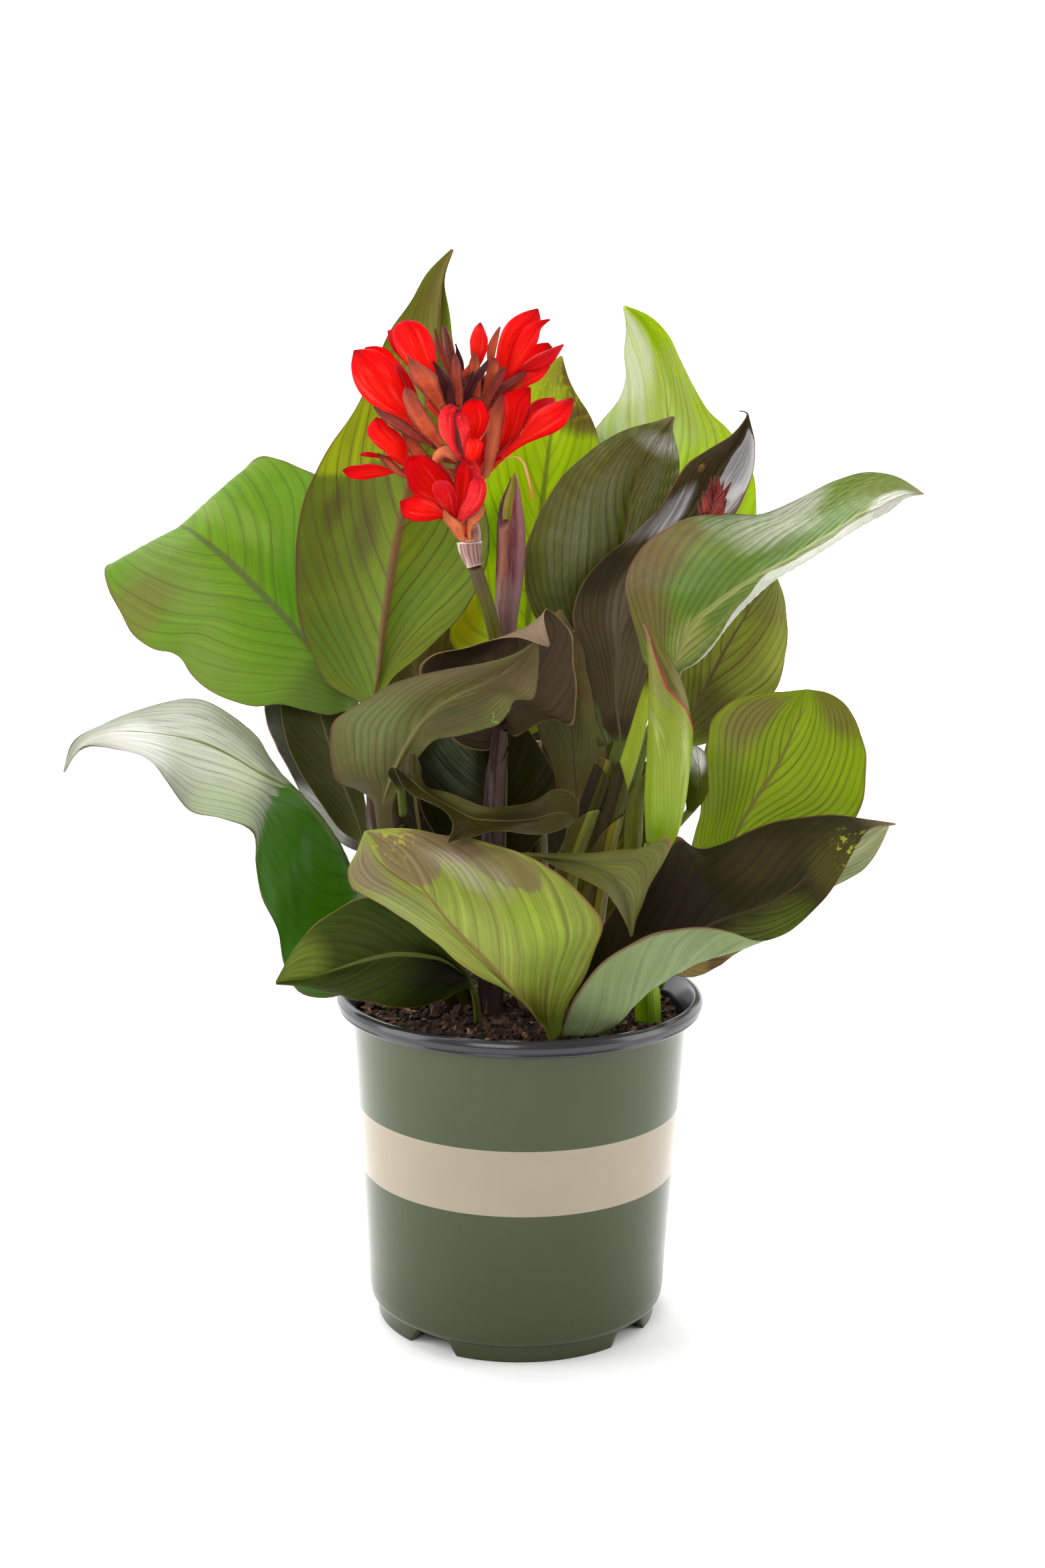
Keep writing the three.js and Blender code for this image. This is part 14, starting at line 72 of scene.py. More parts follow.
    "leaf_inner": ([[[-6.8,24,234.5],[-5.8,24,234.6],[-4.8,24,234.7],[-3.8,24,234.9],[-2.8,24,235],[-1.8,24,235.2],[-0.9,24,235.3]],[[-9.9,24,244.8],[-8.9,24,245],[-7.9,24,245.1],[-6.9,24,245.3],[-5.9,24,245.4],[-4.8,24,245.6],[-3.8,24,245.7]],[[-12.8,24,255.2],[-11.8,24,255.4],[-10.8,24,255.5],[-9.7,24,255.7],[-8.7,24,255.8],[-7.7,24,256],[-6.7,24,256.1]],[[-15.6,23.4,265.8],[-14.5,23.4,265.9],[-13.5,23.4,266.1],[-12.5,23.4,266.2],[-11.4,23.4,266.4],[-10.4,23.4,266.6],[-9.4,23.4,266.7]],[[-18.6,22,276.5],[-17.6,22,276.7],[-16.5,22,276.8],[-15.5,22,277],[-14.4,22,277.1],[-13.3,22,277.3],[-12.3,22,277.5]],[[-29,20,279.3],[-24.9,22.1,280.5],[-20.8,22.9,282],[-16.7,22.5,283.8],[-11.9,22.8,283.3],[-7,21.8,283.1],[-2.2,19.6,283.2]],[[-37.3,20,281.9],[-30.9,22.9,284.4],[-24.4,23.8,287.3],[-17.9,22.8,290.6],[-10.4,23.5,289.6],[-2.8,22.3,289.1],[4.7,19.2,289]],[[-44.6,20,286.4],[-36.1,23.4,289.6],[-27.6,24.4,293.3],[-19,23,297.5],[-9.2,24,296.3],[0.8,22.6,295.7],[10.6,18.8,295.6]],[[-51,20,293.5],[-40.8,23.8,296.5],[-30.4,24.8,300.2],[-20.1,23,304.4],[-8,24.3,303.4],[4,22.7,303.1],[16,18.4,303.3]],[[-56.1,20,301.1],[-44.5,24,303.8],[-32.7,25,307.3],[-20.9,22.8,311.3],[-7.5,24.3,310.8],[5.9,22.7,310.8],[19.3,18,311.5]],[[-60.2,19.6,309.3],[-47.5,23.9,311.6],[-34.7,24.9,314.6],[-21.8,22.5,318.3],[-7.5,24.1,318.4],[6.8,22.4,319.1],[21,17.4,320.5]],[[-63.3,19.1,318],[-49.9,23.5,319.8],[-36.3,24.6,322.2],[-22.6,22.2,325.3],[-7.8,23.9,326.1],[7,22.1,327.5],[21.7,17,329.6]],[[-65.4,18.7,326.9],[-51.6,23.2,328],[-37.6,24.2,329.8],[-23.5,21.8,332.2],[-9.1,23.6,333.6],[5.3,22.1,335.7],[19.7,17,338.3]],[[-66.8,18.2,336],[-52.9,22.7,336.4],[-38.7,23.7,337.5],[-24.5,21.2,339.1],[-11,23.3,340.9],[2.4,21.8,343.4],[15.8,17,346.4]],[[-66.9,17.8,345.1],[-53.2,22.1,344.8],[-39.4,23,345.2],[-25.5,20.7,346.1],[-13.3,22.7,348.1],[-1.1,21.5,350.7],[11,17,353.8]],[[-65.6,17.4,354.3],[-52.6,21.4,353.3],[-39.5,22.3,352.9],[-26.4,20,353],[-15.7,22.1,355.1],[-4.9,21.1,357.8],[5.8,17,361]],[[-63.5,16.9,363],[-51.5,20.6,361.5],[-39.3,21.4,360.5],[-27,19.4,360],[-17.9,21.4,362.3],[-8.6,20.6,365],[0.6,17,368.3]],[[-59.9,16.3,371.8],[-49.2,19.6,369.8],[-38.5,20.3,368.2],[-27.7,18.7,366.9],[-20,20.6,369.4],[-12.4,20,372.2],[-4.7,17,375.4]],[[-54.7,16,378.8],[-46,18.6,376.8],[-37.3,19.3,375.1],[-28.5,18.1,373.8],[-22.8,19.7,375.9],[-17.1,19.3,378.3],[-11.3,17,381]],[[-47.7,16,383.6],[-41.9,17.8,382.4],[-36.1,18.3,381.3],[-30.2,17.5,380.4],[-26.5,18.6,381.8],[-22.8,18.5,383.4],[-19.1,17,385.2]],[[-33.6,17,386.8],[-33.3,17,386.8],[-33,17,386.8],[-32.7,17,386.8],[-32.4,17,386.9],[-32.1,17,386.9],[-31.8,17,386.9]]], 4),
    "leaf_cupped": ([[[-72,-34.8,320.3],[-71.5,-34.2,320.6],[-71,-33.6,320.9],[-70.4,-33,321.3],[-69.9,-32.4,321.6],[-69.3,-31.8,321.9],[-68.8,-31.2,322.3]],[[-72.3,-37.1,324.9],[-71.8,-36.5,325.3],[-71.2,-35.9,325.6],[-70.7,-35.3,326],[-70.1,-34.7,326.3],[-69.6,-34.1,326.6],[-69,-33.5,327]],[[-72.6,-39.6,329.6],[-72,-39,330],[-71.5,-38.4,330.3],[-70.9,-37.8,330.7],[-70.4,-37.1,331],[-69.8,-36.5,331.3],[-69.3,-35.9,331.7]],[[-72.9,-42.2,334.3],[-72.3,-41.6,334.6],[-71.8,-40.9,335],[-71.2,-40.3,335.3],[-70.6,-39.7,335.7],[-70.1,-39.1,336.1],[-69.5,-38.4,336.4]],[[-73.2,-45.9,339.9],[-72.6,-45.3,340.3],[-72,-44.6,340.7],[-71.4,-44,341],[-70.9,-43.4,341.4],[-70.3,-42.7,341.8],[-69.7,-42.1,342.1]],[[-78.6,-54,349.3],[-76,-51.6,348.7],[-73.3,-49.1,348.1],[-70.6,-46.7,347.5],[-70.5,-46,349.8],[-70.4,-45.4,352.2],[-70.3,-44.7,354.6]],[[-74.9,-57.3,355.1],[-72.3,-55.4,352.6],[-69.7,-53.5,350.1],[-67.2,-51.6,347.5],[-66.1,-49.8,352.1],[-65,-47.9,356.8],[-63.9,-46,361.4]],[[-70.4,-62.1,346.1],[-67.4,-59.8,345.3],[-64.5,-57.5,344.5],[-61.5,-55.3,343.7],[-60.9,-52.2,346.9],[-60.4,-49.1,350.1],[-59.8,-46,353.4]],[[-63.9,-65.9,339.8],[-61,-63.3,339.5],[-58.1,-60.8,339.2],[-55.2,-58.2,338.9],[-56.1,-54.6,340.4],[-57.1,-51,341.8],[-58,-47.4,343.3]],[[-53.7,-71.1,336.8],[-52,-67.8,336.4],[-50.2,-64.5,336],[-48.4,-61.2,335.7],[-49.7,-57,337],[-51,-52.8,338.4],[-52.2,-48.5,339.8]],[[-44.4,-77.9,332.9],[-43.5,-73.1,332.8],[-42.5,-68.4,332.7],[-41.5,-63.6,332.6],[-41.7,-58.9,334.4],[-42,-54.1,336.1],[-42.3,-49.4,337.8]],[[-39.1,-85.9,325.7],[-37.6,-79,326.8],[-36.1,-72,327.9],[-34.6,-65.1,329.1],[-34.3,-60.2,330.9],[-33.9,-55.2,332.8],[-33.5,-50.3,334.7]],[[-42.5,-92.7,317.1],[-37.6,-83.8,320],[-32.7,-74.9,323],[-27.7,-66,326.1],[-26.8,-61,327.7],[-26,-56.1,329.4],[-25.1,-51.2,331.1]],[[-38,-91.5,318.5],[-32.1,-83,320.7],[-26.2,-74.5,323],[-20.2,-66,325.3],[-18.8,-61.3,326.8],[-17.3,-56.7,328.3],[-15.8,-52,329.8]],[[-28.1,-85.4,319.3],[-22.9,-78.9,321.1],[-17.7,-72.5,323],[-12.5,-66,324.9],[-10.5,-61.3,326.7],[-8.5,-56.7,328.6],[-6.5,-52,330.5]],[[-18.4,-81,321.6],[-13.9,-75.9,322.8],[-9.4,-70.9,323.9],[-4.8,-65.8,325],[-2.4,-61.2,327.5],[-0,-56.6,330.1],[2.4,-52,332.7]],[[-8.2,-77.7,321.8],[-4.5,-73.4,323],[-0.9,-69.1,324.3],[2.8,-64.8,325.6],[5.5,-60.5,329.3],[8.2,-56.3,333],[10.9,-52,336.7]],[[2,-76.3,319.4],[4.8,-72.1,321.8],[7.6,-67.9,324.2],[10.4,-63.7,326.7],[13.3,-59.8,331.5],[16.2,-55.9,336.4],[19.1,-52,341.3]],[[12.6,-73.7,318.9],[14.3,-70,322.4],[16.1,-66.3,325.8],[17.8,-62.6,329.3],[21.3,-59.6,332.9],[24.9,-56.7,336.5],[28.4,-53.7,340.2]],[[21.7,-70,321],[22.8,-67.2,323.8],[23.8,-64.4,326.5],[24.9,-61.6,329.3],[27.6,-60.2,330.6],[30.3,-58.7,331.9],[32.9,-57.2,333.2]],[[31.1,-61.6,323.8],[31.3,-61.4,324],[31.4,-61.2,324.2],[31.6,-61,324.4],[31.7,-60.8,324.5],[31.9,-60.6,324.7],[32.1,-60.4,324.9]]], 4),
    "leaf_small_front": ([[[-13.9,-27.3,275.4],[-13.3,-26.9,275.8],[-12.6,-26.4,276.2],[-12,-26,276.6],[-11.4,-25.6,277],[-10.7,-25.1,277.3],[-10.1,-24.7,277.7]],[[-13,-35.5,283.6],[-12.3,-35.1,284],[-11.7,-34.7,284.4],[-11.1,-34.2,284.8],[-10.4,-33.8,285.1],[-9.8,-33.3,285.5],[-9.2,-32.9,285.9]],[[-11,-43.1,290.4],[-10.3,-42.6,290.8],[-9.7,-42.2,291.2],[-9.1,-41.7,291.5],[-8.4,-41.3,291.9],[-7.8,-40.8,292.3],[-7.2,-40.4,292.7]],[[-7.2,-50,296.1],[-6.6,-49.5,296.5],[-5.9,-49.1,296.9],[-5.3,-48.7,297.3],[-4.7,-48.2,297.7],[-4,-47.8,298.1],[-3.4,-47.3,298.5]],[[-1.8,-56.3,300.9],[-1.1,-55.9,301.2],[-0.5,-55.4,301.6],[0.1,-55,302],[0.8,-54.6,302.4],[1.4,-54.1,302.8],[2,-53.7,303.2]],[[5.4,-58.5,301.3],[5.6,-58,301.5],[5.7,-57.5,301.7],[5.9,-57,301.9],[7.1,-57.8,302.8],[8.4,-57.3,303.5],[9.6,-55.5,303.9]],[[10.4,-60.8,301.7],[10.8,-60.2,301.7],[11.2,-59.5,301.6],[11.6,-58.9,301.6],[14.1,-60.3,303],[16.6,-59.6,303.9],[19.2,-57.1,304.3]],[[15.1,-62.9,300.2],[15.9,-62.2,300.6],[16.6,-61.4,300.9],[17.3,-60.7,301.3],[21.1,-62.5,303],[24.8,-61.8,304.2],[28.6,-58.7,304.8]],[[19.8,-65,297.9],[20.9,-64.1,298.9],[22,-63.2,299.9],[23,-62.3,300.9],[28,-64.4,303],[33,-63.7,304.5],[38.1,-60.2,305.3]],[[24.5,-66.9,296.1],[25.9,-65.9,297.6],[27.3,-64.8,299],[28.8,-63.7,300.5],[34.9,-66,303.2],[41.1,-65.2,305.1],[47.5,-61.3,306.4]],[[29.3,-68.8,294.6],[31,-67.6,296.4],[32.7,-66.4,298.1],[34.4,-65.1,299.9],[41.8,-67.5,303.3],[49.3,-66.5,305.9],[56.9,-62.3,307.8]],[[34,-70.6,292.9],[36,-69.3,294.9],[38,-68,297],[40,-66.6,299],[48.6,-69,303.1],[57.4,-67.9,306.5],[66.4,-63.4,309.1]],[[38.6,-72.3,291.1],[40.9,-70.9,293.2],[43.3,-69.6,295.3],[45.6,-68.2,297.5],[55.2,-70.4,303.3],[64.9,-69.2,308.3],[74.9,-64.6,312.6]],[[43.2,-73.8,289.1],[45.6,-72.5,291.1],[48.1,-71.1,293.2],[50.6,-69.8,295.3],[61.9,-71.8,303],[73.2,-70.4,310],[84.9,-65.6,316.2]],[[47.5,-75.1,286.5],[50,-73.9,288.4],[52.4,-72.7,290.2],[54.9,-71.5,292.1],[65.2,-73.2,299.3],[75.7,-71.7,305.8],[86.4,-66.8,311.5]],[[51.2,-76.3,283.3],[53.7,-75.2,284.7],[56.2,-74.2,286.2],[58.6,-73.1,287.6],[66.4,-74.8,293.5],[74.2,-73.3,298.7],[82.3,-68.8,303.1]],[[54.2,-77.5,279.3],[56.4,-76.5,280.5],[58.6,-75.6,281.6],[60.9,-74.6,282.8],[66.2,-76.2,287.6],[71.7,-75,291.8],[77.4,-71,295.3]],[[56.9,-78,274.8],[58.7,-77.3,275.7],[60.5,-76.7,276.6],[62.3,-76,277.4],[65.8,-77.5,281.3],[69.4,-76.6,284.5],[73.1,-73.2,287.2]],[[59.5,-78,270.3],[60.8,-77.7,270.8],[62,-77.3,271.3],[63.3,-77,271.8],[65.4,-78.2,274.5],[67.7,-77.5,276.7],[70,-74.9,278.4]],[[61.9,-78,265.6],[62.6,-77.9,265.7],[63.2,-77.8,265.9],[63.9,-77.6,266.1],[64.8,-78.7,267.7],[65.7,-78.4,268.9],[66.6,-76.9,269.9]],[[63.6,-78.2,259.7],[63.8,-78.1,259.9],[64,-78.1,260.1],[64.3,-78,260.3],[64.5,-77.9,260.5],[64.7,-77.9,260.7],[64.9,-77.8,260.9]]], 4),
    "leaf_low_right_back": ([[[88.6,-15.2,222.5],[89.1,-15.5,221.9],[89.7,-15.7,221.2],[90.2,-16,220.6],[90.7,-16.3,220],[91.2,-16.5,219.3],[91.7,-16.8,218.7]],[[95.4,-12.6,225.7],[95.9,-12.8,225],[96.4,-13.1,224.4],[97,-13.4,223.7],[97.5,-13.6,223.1],[98,-13.9,222.4],[98.6,-14.1,221.7]],[[102.2,-10,228.7],[102.7,-10.3,228.1],[103.3,-10.6,227.4],[103.8,-10.8,226.7],[104.4,-11.1,226.1],[104.9,-11.4,225.4],[105.5,-11.6,224.7]],[[109.1,-7.6,231.7],[109.7,-7.8,231],[110.2,-8.1,230.3],[110.8,-8.4,229.7],[111.3,-8.6,229],[111.9,-8.9,228.3],[112.4,-9.2,227.6]],[[116.1,-5.2,234.6],[116.7,-5.4,233.9],[117.2,-5.7,233.2],[117.8,-6,232.5],[118.4,-6.3,231.8],[118.9,-6.6,231.1],[119.5,-6.8,230.4]],[[120.5,-2.5,241.3],[122,-1.9,239.6],[123.3,-2.2,238.1],[124.6,-3.5,236.9],[125.6,-3.3,235.3],[126.5,-4.1,234.1],[127.3,-5.8,233]],[[124.6,0.6,248.6],[127,1.5,245.8],[129.3,0.9,243.4],[131.4,-1.2,241.4],[132.9,-0.9,238.9],[134.3,-2.1,236.7],[135.6,-4.7,235]],[[129.2,3.5,255.6],[132.4,4.4,251.9],[135.4,3.5,248.6],[138.2,0.8,245.9],[140.1,1.2,242.7],[141.8,-0.3,239.9],[143.4,-3.6,237.7]],[[134.1,5.9,262.2],[137.9,6.9,257.8],[141.5,5.8,253.9],[144.9,2.6,250.5],[147.1,3,247.1],[149,1.3,244.2],[150.6,-2.5,241.8]],[[139.6,8,268.7],[143.9,9,263.6],[147.9,7.7,259.1],[151.7,4.1,255.2],[153.9,4.6,251.8],[155.9,2.7,249.1],[157.5,-1.5,247]],[[145.8,9.7,274.8],[150.3,10.7,269.2],[154.5,9.3,264.2],[158.4,5.4,259.9],[160.7,6,256.7],[162.7,4,254.2],[164.4,-0.4,252.3]],[[152.4,11.4,280.5],[156.9,12.4,274.6],[161.2,10.9,269.3],[165.2,6.7,264.6],[167.6,7.4,261.5],[169.6,5.4,259],[171.4,0.9,257.2]],[[159.2,13.3,285.6],[163.8,14.2,279.6],[168,12.5,274.1],[171.9,8.2,269.3],[174.3,8.8,266.4],[176.4,6.8,264],[178.2,2.2,262.3]],[[166.5,15.3,290.5],[170.9,16,284.4],[175,14.2,278.9],[178.7,9.8,273.9],[181.2,10.3,271.2],[183.3,8.3,269],[185,3.7,267.4]],[[174.2,17.1,294.8],[178.3,17.7,288.8],[182.1,15.9,283.4],[185.5,11.5,278.6],[188,11.9,275.8],[190.2,9.8,273.7],[192,5.2,272.1]],[[182,18.3,298.2],[185.8,18.9,292.7],[189.2,17.2,287.7],[192.3,13.2,283.3],[195.1,13.4,280.3],[197.5,11.2,277.8],[199.6,6.8,275.9]],[[190.3,19.2,301.1],[193.5,19.8,296.3],[196.4,18.3,291.9],[199,14.7,288.1],[202.1,14.8,284.8],[204.8,12.8,282],[207.2,8.6,279.7]],[[198.8,19.9,303.4],[201.4,20.5,299.6],[203.7,19.3,296.1],[205.7,16.2,293],[208.6,16.3,290],[211.3,14.6,287.4],[213.7,11.1,285.2]],[[207.3,20,305.4],[209.2,20.7,302.6],[210.9,19.9,300.1],[212.3,17.6,297.9],[214.6,17.8,295.6],[216.7,16.5,293.6],[218.6,13.7,292]],[[215.9,20,307.1],[217.1,20.6,305.4],[218.1,20.2,304],[219,18.9,302.7],[220.4,19.1,301.4],[221.6,18.3,300.2],[222.7,16.6,299.2]],[[225.2,20.3,308.2],[225.4,20.2,307.9],[225.6,20.1,307.7],[225.8,20,307.5],[226,19.9,307.3],[226.2,19.8,307.1],[226.4,19.7,306.9]]], 4),
    "leaf_under_right": ([[[85.2,-24.9,218.5],[85.2,-25.3,217.9],[85.2,-25.6,217.3],[85.2,-26,216.7],[85.2,-26.4,216],[85.2,-26.7,215.4],[85.3,-27.1,214.8]],[[86.1,-25.9,222.5],[86.1,-26.2,221.8],[86.1,-26.6,221.2],[86.1,-27,220.6],[86.1,-27.4,219.9],[86.1,-27.8,219.3],[86.1,-28.2,218.6]],[[87.1,-27,226.4],[87.1,-27.4,225.8],[87.1,-27.8,225.1],[87.1,-28.2,224.4],[87.1,-28.6,223.8],[87.1,-29,223.1],[87.1,-29.3,222.5]],[[88.2,-28.3,230.4],[88.2,-28.7,229.7],[88.2,-29.1,229],[88.2,-29.5,228.3],[88.2,-29.9,227.7],[88.2,-30.3,227],[88.2,-30.7,226.3]],[[89.4,-29.8,234.3],[89.4,-30.2,233.6],[89.4,-30.6,232.9],[89.4,-31,232.2],[89.4,-31.4,231.5],[89.4,-31.8,230.8],[89.4,-32.2,230.2]],[[91.7,-30.5,237.9],[92.2,-31.6,236.5],[92.7,-32.6,235],[93.2,-33.7,233.6],[92.7,-34.7,231.6],[92.3,-35.6,229.6],[91.8,-36.6,227.7]],[[94.3,-31.1,241.9],[95.2,-32.7,239.6],[96.1,-34.4,237.3],[97,-36,235.1],[96.3,-37.5,232.2],[95.6,-38.9,229.4],[94.9,-40.3,226.5]],[[97.2,-31.6,245.4],[98.4,-33.7,242.4],[99.5,-35.8,239.5],[100.7,-37.8,236.6],[100.2,-39.6,233.3],[99.6,-41.4,230.1],[99.1,-43.2,226.8]],[[100.3,-32.2,248.3],[101.7,-34.5,245],[103,-36.8,241.6],[104.4,-39.2,238.2],[104.1,-41.3,234.6],[103.7,-43.3,231],[103.4,-45.4,227.4]],[[103.9,-32.7,251.1],[105.3,-35.3,247.5],[106.6,-37.9,243.8],[108,-40.4,240.2],[107.8,-42.7,236.5],[107.7,-44.9,232.9],[107.5,-47.1,229.3]],[[107.9,-33.3,253.5],[109.1,-36,249.7],[110.3,-38.7,246],[111.5,-41.4,242.2],[111.5,-43.7,238.6],[111.5,-45.9,235.1],[111.5,-48.2,231.5]],[[112,-33.9,255.3],[113,-36.6,251.5],[114.1,-39.3,247.8],[115.1,-42,244],[115.2,-44.2,240.6],[115.2,-46.5,237.2],[115.3,-48.8,233.8]],[[116.2,-34.4,256.4],[117.1,-37,252.7],[118,-39.5,249.1],[118.9,-42,245.5],[118.9,-44.3,242.4],[119,-46.7,239.3],[119,-49,236.3]],[[120.5,-35,257.3],[121.2,-37.3,253.8],[121.9,-39.7,250.3],[122.6,-42,246.9],[122.6,-44.2,244.2],[122.5,-46.5,241.6],[122.5,-48.7,239]],[[124.9,-35.5,258],[125.4,-37.7,254.7],[125.9,-39.8,251.4],[126.4,-42,248.1],[126.3,-44.1,246],[126.1,-46.2,243.9],[125.9,-48.3,241.8]],[[129.3,-36.1,258.3],[129.6,-38.1,255.3],[129.9,-40,252.3],[130.3,-42,249.2],[130.1,-43.9,247.5],[129.9,-45.8,245.8],[129.6,-47.7,244.1]],[[133.5,-36.6,257.7],[133.7,-38.4,255.2],[133.9,-40.2,252.6],[134.1,-42,250.1],[134,-43.6,248.7],[133.8,-45.2,247.4],[133.6,-46.8,246]],[[137.8,-37.2,256.4],[137.9,-38.8,254.5],[138,-40.3,252.7],[138.1,-41.9,250.8],[137.9,-43.1,249.8],[137.8,-44.4,248.7],[137.7,-45.6,247.7]],[[142,-37.9,255],[142,-39.2,253.8],[142,-40.4,252.6],[142,-41.6,251.4],[142,-42.6,250.7],[141.9,-43.5,249.9],[141.8,-44.5,249.2]],[[146.1,-38.8,253.9],[146.1,-39.7,253.2],[146.1,-40.5,252.5],[146,-41.3,251.8],[146,-42,251.4],[146,-42.6,250.9],[146.1,-43.3,250.5]],[[150.1,-40.3,252.7],[150.1,-40.5,252.5],[150.1,-40.8,252.3],[150.1,-41,252.1],[150.1,-41.2,251.9],[150.1,-41.5,251.8],[150.1,-41.7,251.6]]], 4),
    "leaf_back_left": ([[[-49.5,12.1,220.1],[-48.6,12,220.2],[-47.6,12,220.3],[-46.6,12,220.4],[-45.6,12,220.5],[-44.6,12,220.6],[-43.6,11.9,220.7]],[[-51.9,16.8,230.6],[-50.9,16.8,230.7],[-49.9,16.8,230.8],[-48.9,16.8,230.8],[-47.9,16.7,230.9],[-46.8,16.7,231],[-45.8,16.7,231.1]],[[-54.3,22.1,240.9],[-53.3,22,241],[-52.2,22,241.1],[-51.2,22,241.2],[-50.2,22,241.3],[-49.1,22,241.4],[-48.1,21.9,241.5]],[[-56.7,27.8,251.2],[-55.6,27.8,251.3],[-54.6,27.8,251.4],[-53.6,27.7,251.5],[-52.5,27.7,251.6],[-51.5,27.7,251.7],[-50.4,27.7,251.8]],[[-59.1,34.1,261.4],[-58.1,34,261.5],[-57,34,261.6],[-55.9,34,261.7],[-54.9,34,261.8],[-53.8,34,261.9],[-52.8,33.9,262]],[[-65.8,39.3,265.7],[-63.3,40.9,265.8],[-60.6,40.9,266.3],[-57.9,39.2,267.3],[-54.7,40.8,266.9],[-51.4,40.7,266.9],[-48,39,267.3]],[[-71.8,44.6,270.1],[-67.9,47.1,270.5],[-63.9,47.1,271.4],[-59.8,44.6,272.8],[-54.8,47.2,272.3],[-49.6,47.3,272.3],[-44.4,45,272.9]],[[-77,50.1,275.1],[-72,53.2,275.5],[-66.9,53.2,276.6],[-61.6,50.1,278.4],[-55.2,53.5,277.9],[-48.7,53.8,278.1],[-42.1,51,278.9]],[[-81.6,55.7,280.6],[-75.7,59.2,281],[-69.5,59.2,282.1],[-63.2,55.7,284.1],[-55.7,59.7,283.7],[-48,60.2,284.2],[-40.3,57.1,285.4]],[[-85.8,61.3,286.7],[-79,65.3,286.9],[-71.9,65.3,287.9],[-64.7,61.5,289.7],[-56.3,66,289.7],[-47.7,66.6,290.5],[-39.1,63.3,292.2]],[[-89.3,67,293.1],[-81.8,71.3,293],[-74.1,71.5,293.8],[-66.1,67.5,295.4],[-57.2,72.2,295.8],[-48.1,72.8,297],[-38.9,69.3,299]],[[-92.1,72.8,299.6],[-84.1,77.3,299.3],[-75.9,77.6,299.8],[-67.4,73.6,301.2],[-58.2,78.4,301.9],[-48.7,78.8,303.5],[-39.2,75,306]],[[-94.6,78.5,306.5],[-86.2,83.2,305.8],[-77.5,83.6,306],[-68.6,79.7,307],[-59.1,84.4,308.2],[-49.4,84.7,310.2],[-39.6,80.7,313]],[[-96.8,84.2,313.5],[-88,88.9,312.5],[-79,89.4,312.3],[-69.7,85.5,312.9],[-60,90.2,314.5],[-50.2,90.5,316.8],[-40.2,86.6,320]],[[-98.1,90.3,320.6],[-89.2,94.7,319.3],[-80,94.9,318.8],[-70.6,91.1,319],[-60.9,95.9,320.8],[-51.1,96.5,323.4],[-41.1,93.1,326.8]],[[-98.5,96.8,327.8],[-89.7,100.5,326.2],[-80.7,100.4,325.3],[-71.4,96.4,325.1],[-62.4,101.6,327.2],[-53.1,102.9,329.9],[-43.7,100.3,333.4]],[[-98.3,103.7,335.1],[-89.8,106.6,333.2],[-81.2,106,331.9],[-72.3,101.9,331.3],[-64.2,107.3,333.5],[-55.9,109.1,336.3],[-47.5,107.5,339.7]],[[-97.7,110.5,341.9],[-89.7,112.6,339.8],[-81.6,111.7,338.4],[-73.3,107.8,337.4],[-66.3,112.8,339.6],[-59.1,114.8,342.3],[-51.9,113.7,345.5]],[[-94.3,117,348.4],[-87.8,118.5,346.4],[-81.1,117.5,344.7],[-74.4,114.1,343.4],[-69,118.3,345.5],[-63.4,120,348],[-57.7,119.2,350.9]],[[-88.8,123,353.4],[-84.5,123.9,351.8],[-80.1,123.2,350.5],[-75.6,120.9,349.5],[-72,123.6,350.8],[-68.3,124.6,352.5],[-64.5,124,354.4]],[[-77.9,128,355.4],[-77.6,128,355.5],[-77.3,128,355.5],[-77,128,355.5],[-76.7,128,355.5],[-76.4,128,355.5],[-76.1,128,355.5]]], 4),
